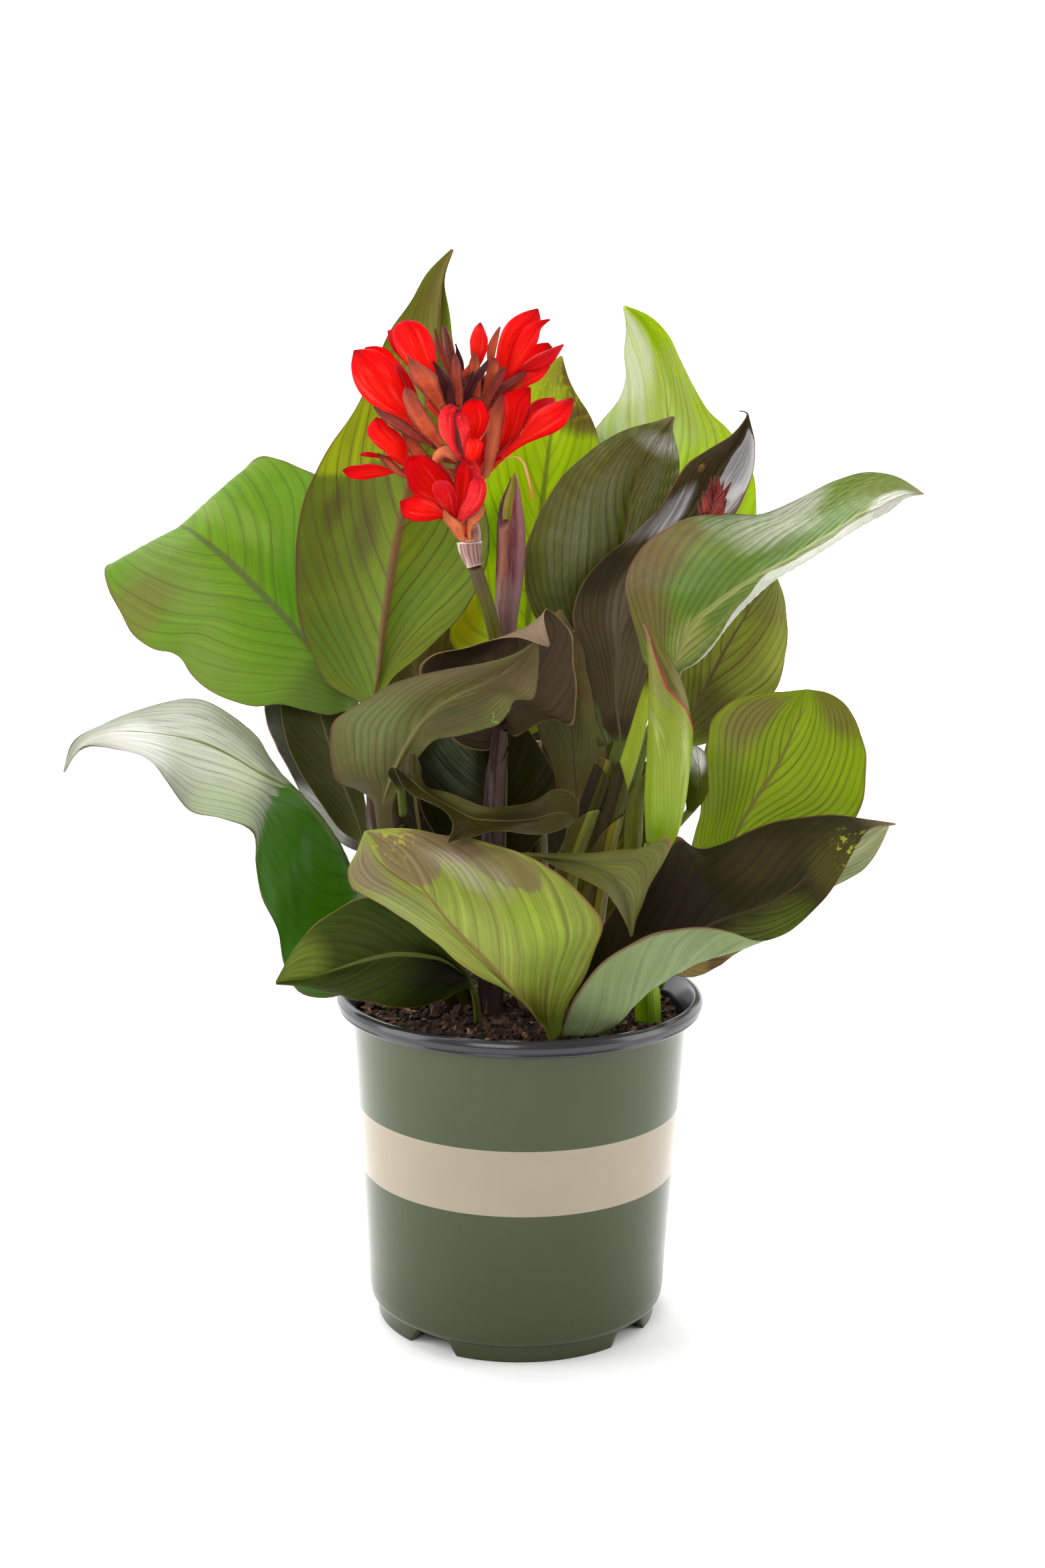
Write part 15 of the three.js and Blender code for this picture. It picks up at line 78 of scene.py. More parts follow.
    "leaf_back_centre": ([[[7.8,44.2,208.2],[8.8,44.1,208.1],[9.8,44.1,208.1],[10.8,44,208.1],[11.8,43.9,208],[12.8,43.9,208],[13.8,43.8,208]],[[7.6,50,219.7],[8.6,49.9,219.7],[9.6,49.8,219.7],[10.6,49.8,219.6],[11.6,49.7,219.6],[12.7,49.6,219.6],[13.7,49.6,219.6]],[[7.4,56.2,231.3],[8.4,56.1,231.2],[9.5,56.1,231.2],[10.5,56,231.2],[11.5,55.9,231.1],[12.6,55.9,231.1],[13.6,55.8,231.1]],[[7.5,62.9,242.7],[8.5,62.9,242.7],[9.6,62.8,242.6],[10.6,62.7,242.6],[11.7,62.7,242.6],[12.7,62.6,242.6],[13.8,62.5,242.5]],[[7.9,70.2,254.1],[9,70.1,254.1],[10,70.1,254.1],[11.1,70,254],[12.2,69.9,254],[13.2,69.9,254],[14.3,69.8,253.9]],[[1.3,75.5,259.1],[4.6,77.1,259.2],[7.8,76.8,259.8],[11,74.5,260.8],[14.7,76.4,259.6],[18.3,76.2,258.8],[21.9,74.1,258.5]],[[-4,80.9,264.8],[1,83.3,265],[6,82.8,265.9],[11,79.3,267.5],[16.6,82,265.6],[22.3,81.8,264.3],[27.9,78.7,263.6]],[[-7.8,86.4,271.1],[-1.6,89.3,271.3],[4.7,88.6,272.4],[10.9,84.2,274.2],[18,87.7,271.9],[25,87.6,270.4],[32,83.8,269.7]],[[-10.9,91.9,278.1],[-3.7,95.2,278.1],[3.6,94.4,279.1],[10.8,89.3,281],[19.1,93.6,278.7],[27.4,93.6,277.3],[35.5,89.5,276.8]],[[-13.5,97.3,285.6],[-5.4,101.1,285.3],[2.7,100.2,286],[10.8,94.7,287.7],[19.9,99.5,285.6],[29,99.7,284.5],[38,95.3,284.4]],[[-15.2,102.9,293.3],[-6.5,107,292.6],[2.2,106.1,293],[10.8,100.3,294.4],[20.3,105.5,292.5],[29.7,105.7,291.7],[39,101,291.8]],[[-16.2,108.5,300.9],[-7.1,112.9,300],[2,112.1,300],[11,106.2,301.1],[20.6,111.5,299.5],[30.2,111.6,299],[39.7,106.7,299.5]],[[-17,114.1,308.8],[-7.6,118.6,307.4],[1.8,118,307.1],[11.2,112.1,307.8],[20.9,117.4,306.6],[30.6,117.5,306.5],[40.1,112.4,307.4]],[[-17.5,119.8,316.6],[-7.9,124.3,315],[1.7,123.7,314.3],[11.4,117.9,314.6],[21.1,123.1,313.8],[30.8,123.2,314],[40.3,118.1,315.2]],[[-17.7,125.8,324.4],[-8,130,322.6],[1.8,129.3,321.6],[11.6,123.6,321.5],[21,128.7,321.1],[30.5,128.9,321.6],[39.8,124.1,323]],[[-16.8,132.5,332.3],[-7.3,136,330.2],[2.3,134.9,328.9],[11.8,129.2,328.4],[20.8,134.2,328.4],[29.7,134.5,329.2],[38.5,130.2,330.8]],[[-15.1,138.7,340],[-6.1,141.6,337.8],[3,140.3,336.2],[12,134.8,335.4],[20.3,139.4,335.7],[28.6,139.8,336.8],[36.8,135.9,338.6]],[[-12.3,143.7,347.7],[-4.2,146.2,345.3],[3.9,145,343.6],[12,140.2,342.4],[19.5,144.2,343.2],[27,144.5,344.5],[34.4,141.1,346.5]],[[-7.6,147.9,355.1],[-1.1,150,352.8],[5.4,149.3,350.9],[11.9,145.6,349.5],[18.2,148.6,350.6],[24.5,148.7,352],[30.7,145.9,354]],[[-1.7,151.7,360.6],[2.8,153.3,359],[7.3,153.1,357.7],[11.9,150.8,356.7],[16.5,152.7,357.5],[21,152.6,358.6],[25.6,150.6,360]],[[10.9,156,363.9],[11.2,156,363.9],[11.5,156,363.9],[11.8,156,363.9],[12.1,156,363.9],[12.4,156,363.9],[12.7,156,363.9]]], 4),
    "leaf_back_right": ([[[81.3,4.4,212],[82.3,4.3,211.9],[83.2,4.1,211.7],[84.2,4,211.5],[85.2,3.9,211.4],[86.2,3.7,211.2],[87.1,3.6,211]],[[91.9,16.7,220.6],[92.9,16.6,220.4],[93.9,16.5,220.2],[94.9,16.3,220.1],[95.9,16.2,219.9],[96.8,16.1,219.7],[97.8,15.9,219.6]],[[102.8,28.5,229.3],[103.8,28.4,229.1],[104.8,28.2,228.9],[105.8,28.1,228.7],[106.8,27.9,228.6],[107.8,27.8,228.4],[108.9,27.7,228.2]],[[114,39.7,238.1],[115,39.6,237.9],[116.1,39.4,237.7],[117.1,39.3,237.5],[118.1,39.2,237.4],[119.1,39,237.2],[120.2,38.9,237]],[[125.5,50.4,247],[126.6,50.3,246.8],[127.6,50.1,246.6],[128.7,50,246.4],[129.7,49.9,246.2],[130.7,49.7,246.1],[131.8,49.6,245.9]],[[122.4,54.9,253.5],[125.7,56.7,252.7],[128.7,56.6,252.4],[131.6,54.6,252.6],[134.9,55.8,251.3],[138,55,250.6],[140.9,52.4,250.4]],[[119.8,59.8,260],[125,62.5,258.9],[129.9,62.3,258.5],[134.5,59.2,258.7],[139.6,61,256.5],[144.5,60,254.9],[149.1,56.1,254]],[[119.1,64.8,266.7],[125.5,68.1,265.3],[131.5,67.8,264.7],[137.2,63.8,265],[144,66.2,261.9],[150.4,65,259.7],[156.4,60,258.3]],[[119.4,69.7,273.6],[126.6,73.6,271.9],[133.5,73.2,271.1],[139.9,68.5,271.3],[148.1,71.4,267.8],[155.9,70,265.3],[163.2,64.4,263.7]],[[119.9,74.7,280.8],[127.8,78.9,278.7],[135.4,78.4,277.7],[142.4,73.3,277.7],[152,76.5,274.1],[161,75.1,271.6],[169.4,69,270.2]],[[120.5,79.7,287.9],[129.1,84.2,285.6],[137.3,83.6,284.3],[145,78.2,284.1],[155.3,81.7,280.7],[165.1,80.3,278.4],[174.3,74,277.1]],[[121.3,84.7,295],[130.5,89.3,292.5],[139.2,88.7,291],[147.4,83.1,290.6],[158.3,86.9,287.5],[168.6,85.6,285.4],[178.3,79.2,284.5]],[[122.6,89.6,302.2],[132.1,94.2,299.5],[141.1,93.7,297.8],[149.6,88,297.1],[160.8,92.1,294.5],[171.5,91,293],[181.6,84.7,292.5]],[[124.1,94.5,309.4],[133.7,99.1,306.5],[142.9,98.6,304.6],[151.5,92.9,303.8],[162.6,97.2,301.7],[173.2,96.3,300.6],[183.1,90.2,300.6]],[[125.9,99.5,316.5],[135.6,103.9,313.6],[144.8,103.4,311.6],[153.5,97.9,310.5],[164,102.2,309],[173.9,101.5,308.4],[183.2,95.9,308.8]],[[128.2,104.6,323.6],[137.7,108.7,320.7],[146.7,108.1,318.6],[155.3,102.8,317.4],[165,107.1,316.4],[174.3,106.6,316.3],[182.9,101.6,317.1]],[[131,109.6,330.5],[139.9,113.3,327.6],[148.4,112.7,325.5],[156.5,107.9,324.2],[165.5,111.9,323.8],[174.2,111.7,324.1],[182.3,107.2,325.3]],[[134.7,114.5,337.3],[142.4,117.8,334.6],[149.8,117.3,332.5],[156.9,113.2,331.1],[165,116.7,331.2],[172.7,116.6,332.1],[179.9,112.8,333.5]],[[139.3,119.4,343.7],[145.5,122,341.3],[151.5,121.8,339.4],[157.1,118.7,338],[163.8,121.5,338.5],[170.1,121.4,339.5],[176.1,118.3,341.1]],[[145,123.9,348.8],[149.2,125.9,347.2],[153.3,126.1,345.9],[157.2,124.3,344.9],[162,125.9,345.3],[166.5,125.6,345.9],[170.8,123.4,346.9]],[[156.1,130,352],[156.4,130,352],[156.7,130,351.9],[157,130,351.9],[157.3,130,351.9],[157.6,130,351.9],[157.9,130,351.8]]], 4),
    "leaf_back_low_left": ([[[-17.7,29.6,203.4],[-17.4,29.7,202.5],[-17.1,29.9,201.6],[-16.9,30,200.7],[-16.6,30.1,199.8],[-16.3,30.3,199],[-16.1,30.4,198.1]],[[-21,35.3,211.5],[-20.8,35.5,210.6],[-20.5,35.6,209.7],[-20.2,35.8,208.8],[-20,35.9,207.9],[-19.7,36,207],[-19.4,36.2,206.1]],[[-25.1,42.5,219],[-24.8,42.7,218.1],[-24.5,42.8,217.2],[-24.3,42.9,216.3],[-24,43.1,215.3],[-23.7,43.2,214.4],[-23.4,43.4,213.5]],[[-29.9,51.2,225.8],[-29.6,51.3,224.9],[-29.3,51.4,223.9],[-29,51.6,223],[-28.8,51.7,222.1],[-28.5,51.9,221.1],[-28.2,52,220.2]],[[-35.6,61.6,231.9],[-35.3,61.7,230.9],[-35,61.9,230],[-34.7,62,229],[-34.4,62.1,228.1],[-34.2,62.3,227.1],[-33.9,62.4,226.2]],[[-39.9,65.5,234.4],[-38.9,64.5,232.9],[-38,64.4,231.1],[-37.2,65.3,229],[-36.7,65.1,226.6],[-36.3,65.9,224],[-35.9,67.6,221.2]],[[-44.9,69.4,236.4],[-43.1,67.8,234.3],[-41.3,67.6,231.8],[-39.6,68.9,228.9],[-39.1,68.9,225.4],[-38.6,70.4,221.5],[-38.2,73.3,217.2]],[[-49.8,73.6,238.5],[-47.2,71.5,235.7],[-44.6,71.2,232.4],[-42.1,72.7,228.7],[-41.6,73.1,224.2],[-41.2,75.3,219.2],[-40.8,79.3,213.7]],[[-54.7,78,240.7],[-51.3,75.4,237.1],[-47.9,75,233],[-44.6,76.6,228.4],[-44.3,77.5,223],[-44.1,80.4,217],[-43.9,85.5,210.5]],[[-59.3,82.6,243.3],[-55.2,79.7,238.8],[-51.1,79,233.7],[-47.2,80.7,228],[-47.1,82.1,221.8],[-47.2,85.8,215],[-47.3,91.8,207.4]],[[-63.8,87.5,246.1],[-59,84.2,240.6],[-54.4,83.3,234.4],[-49.8,84.9,227.6],[-50,86.9,220.7],[-50.2,91.3,213.1],[-50.6,98.1,204.8]],[[-68.5,93,248.6],[-63,89.2,242.1],[-57.6,87.9,235],[-52.4,89.2,227.2],[-52.8,91.7,219.6],[-53.4,96.8,211.3],[-54.1,104.4,202.3]],[[-73.7,99.4,250.1],[-67.3,94.9,242.9],[-61.1,93,235.2],[-55,93.6,226.7],[-55.8,96.8,218.5],[-56.6,102.5,209.6],[-57.6,110.8,199.9]],[[-80.4,107.5,250.9],[-72.7,101.9,243.2],[-65.1,98.9,235],[-57.7,98.4,226.1],[-58.7,102.3,217.5],[-59.9,108.7,208.1],[-61.2,117.7,197.9]],[[-85.2,117.1,249.7],[-76.8,110.2,242.1],[-68.5,105.7,233.9],[-60.4,103.7,225.1],[-61.8,108.6,216.2],[-63.4,115.9,206.6],[-65.1,125.7,196.2]],[[-87.7,129.4,240.8],[-79.3,120.6,235.6],[-71.2,114,229.9],[-63.2,109.8,223.7],[-64.9,115.4,214.8],[-66.8,123.4,205.3],[-68.8,133.6,195]],[[-87.9,138.3,232.4],[-80.6,129.2,229.3],[-73.5,122.2,225.8],[-66.5,117.3,221.7],[-68.1,122.9,213.4],[-69.8,130.5,204.5],[-71.6,140.2,194.9]],[[-85.5,144.9,225.3],[-80.1,136.8,223.8],[-74.8,130.5,221.8],[-69.7,126.1,219.5],[-71.1,130.9,212.3],[-72.5,137.6,204.7],[-74.1,146.1,196.5]],[[-82.2,150.1,218.7],[-78.7,143.9,218.5],[-75.2,139.1,217.9],[-71.9,135.8,217],[-72.8,139.5,211.2],[-73.9,144.7,205.1],[-75.1,151.3,198.5]],[[-78.7,154.5,212.9],[-76.9,151.1,212.9],[-75.2,148.6,212.6],[-73.5,147.2,212.1],[-74,149.1,208.5],[-74.6,152,204.8],[-75.2,155.9,200.7]],[[-74.9,159.9,206.1],[-74.8,159.9,205.8],[-74.7,160,205.5],[-74.6,160,205.3],[-74.5,160,205],[-74.4,160.1,204.7],[-74.4,160.1,204.4]]], 4),
    "leaf_back_upper_left": ([[[-36.8,20.1,256.5],[-35.8,20.1,256.6],[-34.8,20,256.7],[-33.8,20,256.9],[-32.8,20,257],[-31.8,19.9,257.1],[-30.9,19.9,257.2]],[[-42.8,27,271.9],[-41.8,27,272],[-40.8,27,272.2],[-39.8,26.9,272.3],[-38.8,26.9,272.4],[-37.8,26.9,272.5],[-36.8,26.8,272.6]],[[-47.6,34.3,287.6],[-46.6,34.3,287.8],[-45.6,34.3,287.9],[-44.5,34.2,288],[-43.5,34.2,288.1],[-42.5,34.2,288.2],[-41.5,34.1,288.4]],[[-51.4,42,303.6],[-50.3,42,303.8],[-49.3,41.9,303.9],[-48.2,41.9,304],[-47.2,41.9,304.1],[-46.2,41.9,304.3],[-45.1,41.8,304.4]],[[-54.2,50.1,320],[-53.1,50.1,320.1],[-52.1,50,320.2],[-51,50,320.3],[-50,50,320.5],[-48.9,49.9,320.6],[-47.9,49.9,320.7]],[[-62,53.9,325.1],[-59.1,56.2,325.6],[-56.2,56.6,326.5],[-53.2,55.1,327.8],[-49.2,56.4,327.4],[-45.2,55.8,327.3],[-41.1,53.3,327.5]],[[-68.9,58.1,330.7],[-64.5,61.8,331.7],[-60,62.5,333.2],[-55.3,60.3,335.3],[-49.1,62.5,334.7],[-42.8,61.8,334.6],[-36.5,58.1,335]],[[-74.4,62.8,337.1],[-68.9,67.4,338.3],[-63.3,68.4,340.3],[-57.5,65.7,342.8],[-49.9,68.6,342.3],[-42.2,67.9,342.4],[-34.4,63.5,343.1]],[[-79.1,68,344.5],[-72.8,73.3,345.7],[-66.3,74.4,347.7],[-59.6,71.3,350.4],[-50.9,75,350.1],[-42.1,74.5,350.6],[-33.1,69.7,351.8]],[[-83.2,73.5,352.4],[-76.3,79.4,353.4],[-69.1,80.6,355.3],[-61.7,77.2,357.9],[-52.2,81.4,358.1],[-42.5,81,359.1],[-32.7,75.9,360.8]],[[-86.8,79.1,360.3],[-79.4,85.4,361.2],[-71.7,86.8,363],[-63.8,83.3,365.5],[-53.8,87.8,366.1],[-43.5,87.3,367.5],[-33.2,81.8,369.6]],[[-90.3,84.8,368.4],[-82.5,91.4,369.2],[-74.3,93,370.8],[-65.9,89.4,373.1],[-55.4,93.9,374.2],[-44.8,93.4,376],[-34,87.7,378.6]],[[-93.2,90.6,376.7],[-85.1,97.3,377.3],[-76.7,98.9,378.7],[-68,95.2,380.8],[-57.2,99.8,382.3],[-46.2,99.3,384.6],[-35,93.5,387.5]],[[-95,96.5,385.2],[-87.1,103.1,385.6],[-78.8,104.5,386.7],[-70.3,100.8,388.6],[-59.2,105.5,390.5],[-47.9,105,393.2],[-36.5,99.4,396.5]],[[-96.3,102.6,393.8],[-88.7,108.8,394],[-80.8,110.1,394.9],[-72.6,106.4,396.4],[-61.6,110.9,398.8],[-50.3,110.5,401.9],[-38.9,105.2,405.6]],[[-97.4,108.6,402.6],[-90.2,114.3,402.6],[-82.6,115.4,403.1],[-74.8,111.7,404.3],[-64.1,116.1,407],[-53.1,115.8,410.4],[-41.9,110.8,414.2]],[[-98,114.4,411.4],[-91.3,119.5,411.2],[-84.2,120.3,411.5],[-76.9,116.9,412.3],[-66.8,120.9,415.2],[-56.4,120.6,418.7],[-46,116.1,422.6]],[[-97.2,119.8,420.5],[-91.3,124.1,420],[-85.1,124.9,420],[-78.8,121.9,420.4],[-69.9,125.3,423.4],[-60.9,125,426.8],[-51.8,121,430.6]],[[-95.1,124.8,429.3],[-90.4,128.4,428.7],[-85.6,129.1,428.5],[-80.6,126.8,428.6],[-73.4,129.3,431.1],[-66.1,129,433.9],[-58.6,125.7,437]],[[-91.5,129.6,437.2],[-88.5,132.2,436.9],[-85.4,132.8,436.8],[-82.2,131.5,436.8],[-77.2,132.9,438.3],[-72.1,132.4,440],[-66.9,130,441.9]],[[-84.7,136,445],[-84.4,136,445.1],[-84.1,136,445.1],[-83.8,136,445.2],[-83.5,136,445.2],[-83.2,136,445.3],[-82.9,136,445.3]]], 4),
    "leaf_back_upper_right": ([[[25.6,44.4,260.8],[26.6,44.3,260.7],[27.6,44.1,260.6],[28.5,44,260.4],[29.5,43.9,260.3],[30.5,43.7,260.2],[31.5,43.6,260.1]],[[29.3,50.5,277.3],[30.3,50.3,277.1],[31.3,50.2,277],[32.3,50.1,276.9],[33.3,49.9,276.8],[34.3,49.8,276.7],[35.3,49.6,276.6]],[[33,56.8,293.7],[34,56.7,293.6],[35.1,56.6,293.5],[36.1,56.4,293.4],[37.1,56.3,293.3],[38.1,56.1,293.2],[39.1,56,293]],[[36.9,63.5,310.2],[37.9,63.3,310.1],[39,63.2,310],[40,63.1,309.9],[41,62.9,309.7],[42.1,62.8,309.6],[43.1,62.6,309.5]],[[40.9,70.5,326.7],[41.9,70.3,326.6],[43,70.2,326.4],[44,70,326.3],[45.1,69.8,326.2],[46.1,69.7,326.1],[47.2,69.5,326]],[[36.3,75.1,334],[39.4,77.1,333.6],[42.3,77.2,333.6],[45.2,75.3,334],[48.6,76.3,332.9],[51.9,75.3,332.2],[55.1,72.4,331.8]],[[33.1,80.3,341.9],[37.7,83.3,341.3],[42.2,83.4,341.3],[46.6,80.6,341.7],[51.8,82.1,339.9],[56.9,80.7,338.5],[61.8,76.3,337.7]],[[31.9,85.7,350],[37.4,89.4,349.2],[42.8,89.5,349],[48,85.9,349.4],[54.6,87.9,347.1],[61,86.2,345.5],[67.2,80.8,344.4]],[[31.5,91.2,358.5],[37.7,95.5,357.3],[43.7,95.5,356.9],[49.6,91.3,357.2],[57.2,93.8,354.7],[64.6,92.1,353],[71.8,86.1,352]],[[31.2,96.9,367.1],[38.1,101.5,365.6],[44.8,101.4,364.9],[51.4,96.7,364.9],[59.7,99.6,362.5],[67.8,98,360.9],[75.7,91.6,360]],[[31.1,102.5,375.7],[38.7,107.3,374],[46.1,107.2,372.9],[53.4,102.1,372.7],[62,105.3,370.4],[70.4,103.5,368.9],[78.5,96.7,368.2]],[[31.6,108.2,384.4],[39.7,113.1,382.3],[47.7,112.9,381],[55.5,107.5,380.5],[64.2,110.7,378.5],[72.7,108.6,377.2],[81,101.5,376.8]],[[32.8,113.8,393.1],[41.1,118.7,390.8],[49.4,118.4,389.2],[57.5,113,388.3],[66.2,116,386.7],[74.7,113.7,385.7],[82.8,106.3,385.5]],[[34.3,119.2,401.7],[42.8,124.1,399.2],[51.3,123.9,397.4],[59.5,118.5,396.2],[67.9,121.3,394.9],[76.1,119,394.2],[84,111.5,394.3]],[[36.2,124.3,410.4],[44.8,129.2,407.7],[53.3,129.1,405.6],[61.5,124.1,404.1],[69.6,126.7,403.1],[77.4,124.4,402.8],[84.8,117.1,403.1]],[[39,129.1,419.1],[47.3,133.9,416.2],[55.5,134.1,413.9],[63.5,129.5,412.1],[71.1,131.9,411.5],[78.4,129.7,411.4],[85.5,122.8,411.9]],[[42.5,133.8,427.4],[50.3,138.3,424.5],[57.9,138.5,422.1],[65.3,134.6,420.2],[72.4,136.7,419.9],[79.2,134.7,420.1],[85.8,128.4,420.8]],[[47.3,138.3,435.1],[54,142.3,432.5],[60.6,142.6,430.3],[67,139.3,428.4],[73.3,141,428.5],[79.3,139.1,429.1],[85.2,133.6,430]],[[53.5,142.6,442.3],[58.6,145.9,440.1],[63.7,146.3,438.2],[68.6,143.8,436.7],[73.8,145,437.1],[78.9,143.4,437.9],[83.7,138.8,438.9]],[[60.6,146.5,448.1],[63.8,149,446.9],[67,149.5,445.9],[70,148,445.1],[73.6,148.7,445.4],[77.1,147.5,446],[80.4,144.3,446.7]],[[70.5,152.1,453.6],[70.8,152.1,453.5],[71.1,152,453.5],[71.3,152,453.5],[71.6,152,453.5],[71.9,151.9,453.5],[72.2,151.9,453.4]]], 4),
    "leaf_back_side_left": ([[[-37.4,14,205.6],[-37.4,14,204.7],[-37.4,14,203.8],[-37.4,14,202.8],[-37.4,14,201.9],[-37.4,14,201],[-37.4,14,200]],[[-42,17.6,212.3],[-42,17.6,211.4],[-42,17.6,210.4],[-42,17.6,209.5],[-42,17.6,208.5],[-42,17.6,207.6],[-41.9,17.6,206.6]],[[-47,22,218.5],[-47,22.1,217.6],[-47,22.1,216.6],[-47,22.1,215.6],[-47,22.1,214.7],[-46.9,22.1,213.7],[-46.9,22.1,212.7]],[[-52.4,27.5,224.2],[-52.4,27.5,223.2],[-52.4,27.5,222.3],[-52.4,27.5,221.3],[-52.4,27.5,220.3],[-52.4,27.5,219.3],[-52.4,27.5,218.3]],[[-58.3,34,229.4],[-58.3,34,228.4],[-58.3,34,227.4],[-58.3,34,226.4],[-58.3,34,225.4],[-58.3,34,224.4],[-58.2,34,223.4]],[[-63.6,38.7,232.7],[-63.5,37.8,231.2],[-63.6,38.1,229.3],[-63.7,39.8,227.1],[-63.5,38.2,224.9],[-63.4,37.8,222.5],[-63.4,38.8,219.6]],[[-68.2,43.5,235.6],[-68.4,42.2,233.5],[-68.8,42.9,230.8],[-69.2,45.5,227.7],[-69.2,43.3,224.4],[-69.2,43.1,220.7],[-69.4,44.8,216.4]],[[-73.1,48.4,238.2],[-73.5,46.9,235.5],[-74.1,47.8,232.1],[-74.7,51.2,228.2],[-74.9,48.6,224.1],[-75.2,48.5,219.3],[-75.6,50.8,213.9]],[[-78.3,53.3,240.3],[-78.8,51.7,237.1],[-79.5,52.9,233.2],[-80.4,56.9,228.5],[-80.7,54.1,223.8],[-81.2,54.1,218.4],[-81.9,56.9,212.1]],[[-83.8,58.3,242.1],[-84.4,56.6,238.4],[-85.1,58.1,234],[-86.1,62.6,228.8],[-86.7,59.7,223.5],[-87.4,59.9,217.3],[-88.3,63.1,210.4]],[[-89.5,63.3,243.6],[-90.1,61.7,239.6],[-90.9,63.3,234.7],[-91.9,68.3,228.9],[-92.7,65.3,223],[-93.6,65.7,216.3],[-94.8,69.4,208.6]],[[-95.5,68.5,244.9],[-96,66.9,240.4],[-96.8,68.7,235.1],[-97.8,73.9,229],[-98.7,71,222.5],[-99.9,71.6,215.2],[-101.2,75.5,206.9]],[[-101.5,73.7,245.8],[-102,72.2,241],[-102.8,74.1,235.4],[-103.8,79.4,228.9],[-104.8,76.7,222.2],[-106.1,77.5,214.7],[-107.7,81.7,206.2]],[[-107.6,79,246.9],[-108.1,77.6,241.7],[-108.8,79.5,235.6],[-109.8,84.8,228.6],[-111,82.4,222.2],[-112.4,83.4,214.8],[-114.1,87.9,206.5]],[[-114,84.5,247.6],[-114.3,83.1,242],[-115,84.9,235.6],[-115.9,90.1,228.3],[-117.1,88,222.2],[-118.6,89.1,215.2],[-120.3,93.6,207.4]],[[-120.4,90,247.5],[-120.7,88.7,241.7],[-121.2,90.5,235.2],[-122.1,95.3,227.9],[-123.2,93.3,222.3],[-124.6,94.4,215.8],[-126.3,98.6,208.6]],[[-127,95.8,245.9],[-127.2,94.6,240.5],[-127.6,96.1,234.4],[-128.2,100.4,227.5],[-129.2,98.5,222.6],[-130.5,99.4,217],[-132,103.1,210.6]],[[-134,101.9,243.6],[-133.9,100.7,238.8],[-134,101.8,233.4],[-134.4,105.5,227.4],[-135.2,103.6,223.3],[-136.2,104.2,218.6],[-137.5,107.2,213.3]],[[-140.5,107.8,240.9],[-140.3,106.7,236.8],[-140.4,107.6,232.3],[-140.6,110.4,227.3],[-141.1,108.7,224.1],[-141.7,109,220.5],[-142.6,111.3,216.3]],[[-146.2,113.1,236.7],[-146.3,112.5,233.8],[-146.5,113.2,230.7],[-146.8,115.2,227.2],[-146.8,113.9,225.1],[-147,113.9,222.6],[-147.3,115.2,219.8]],[[-153,119.9,228.1],[-153,119.9,227.9],[-153,120,227.6],[-153,120,227.3],[-153.1,120,227],[-153.1,120.1,226.7],[-153.1,120.1,226.4]]], 4),
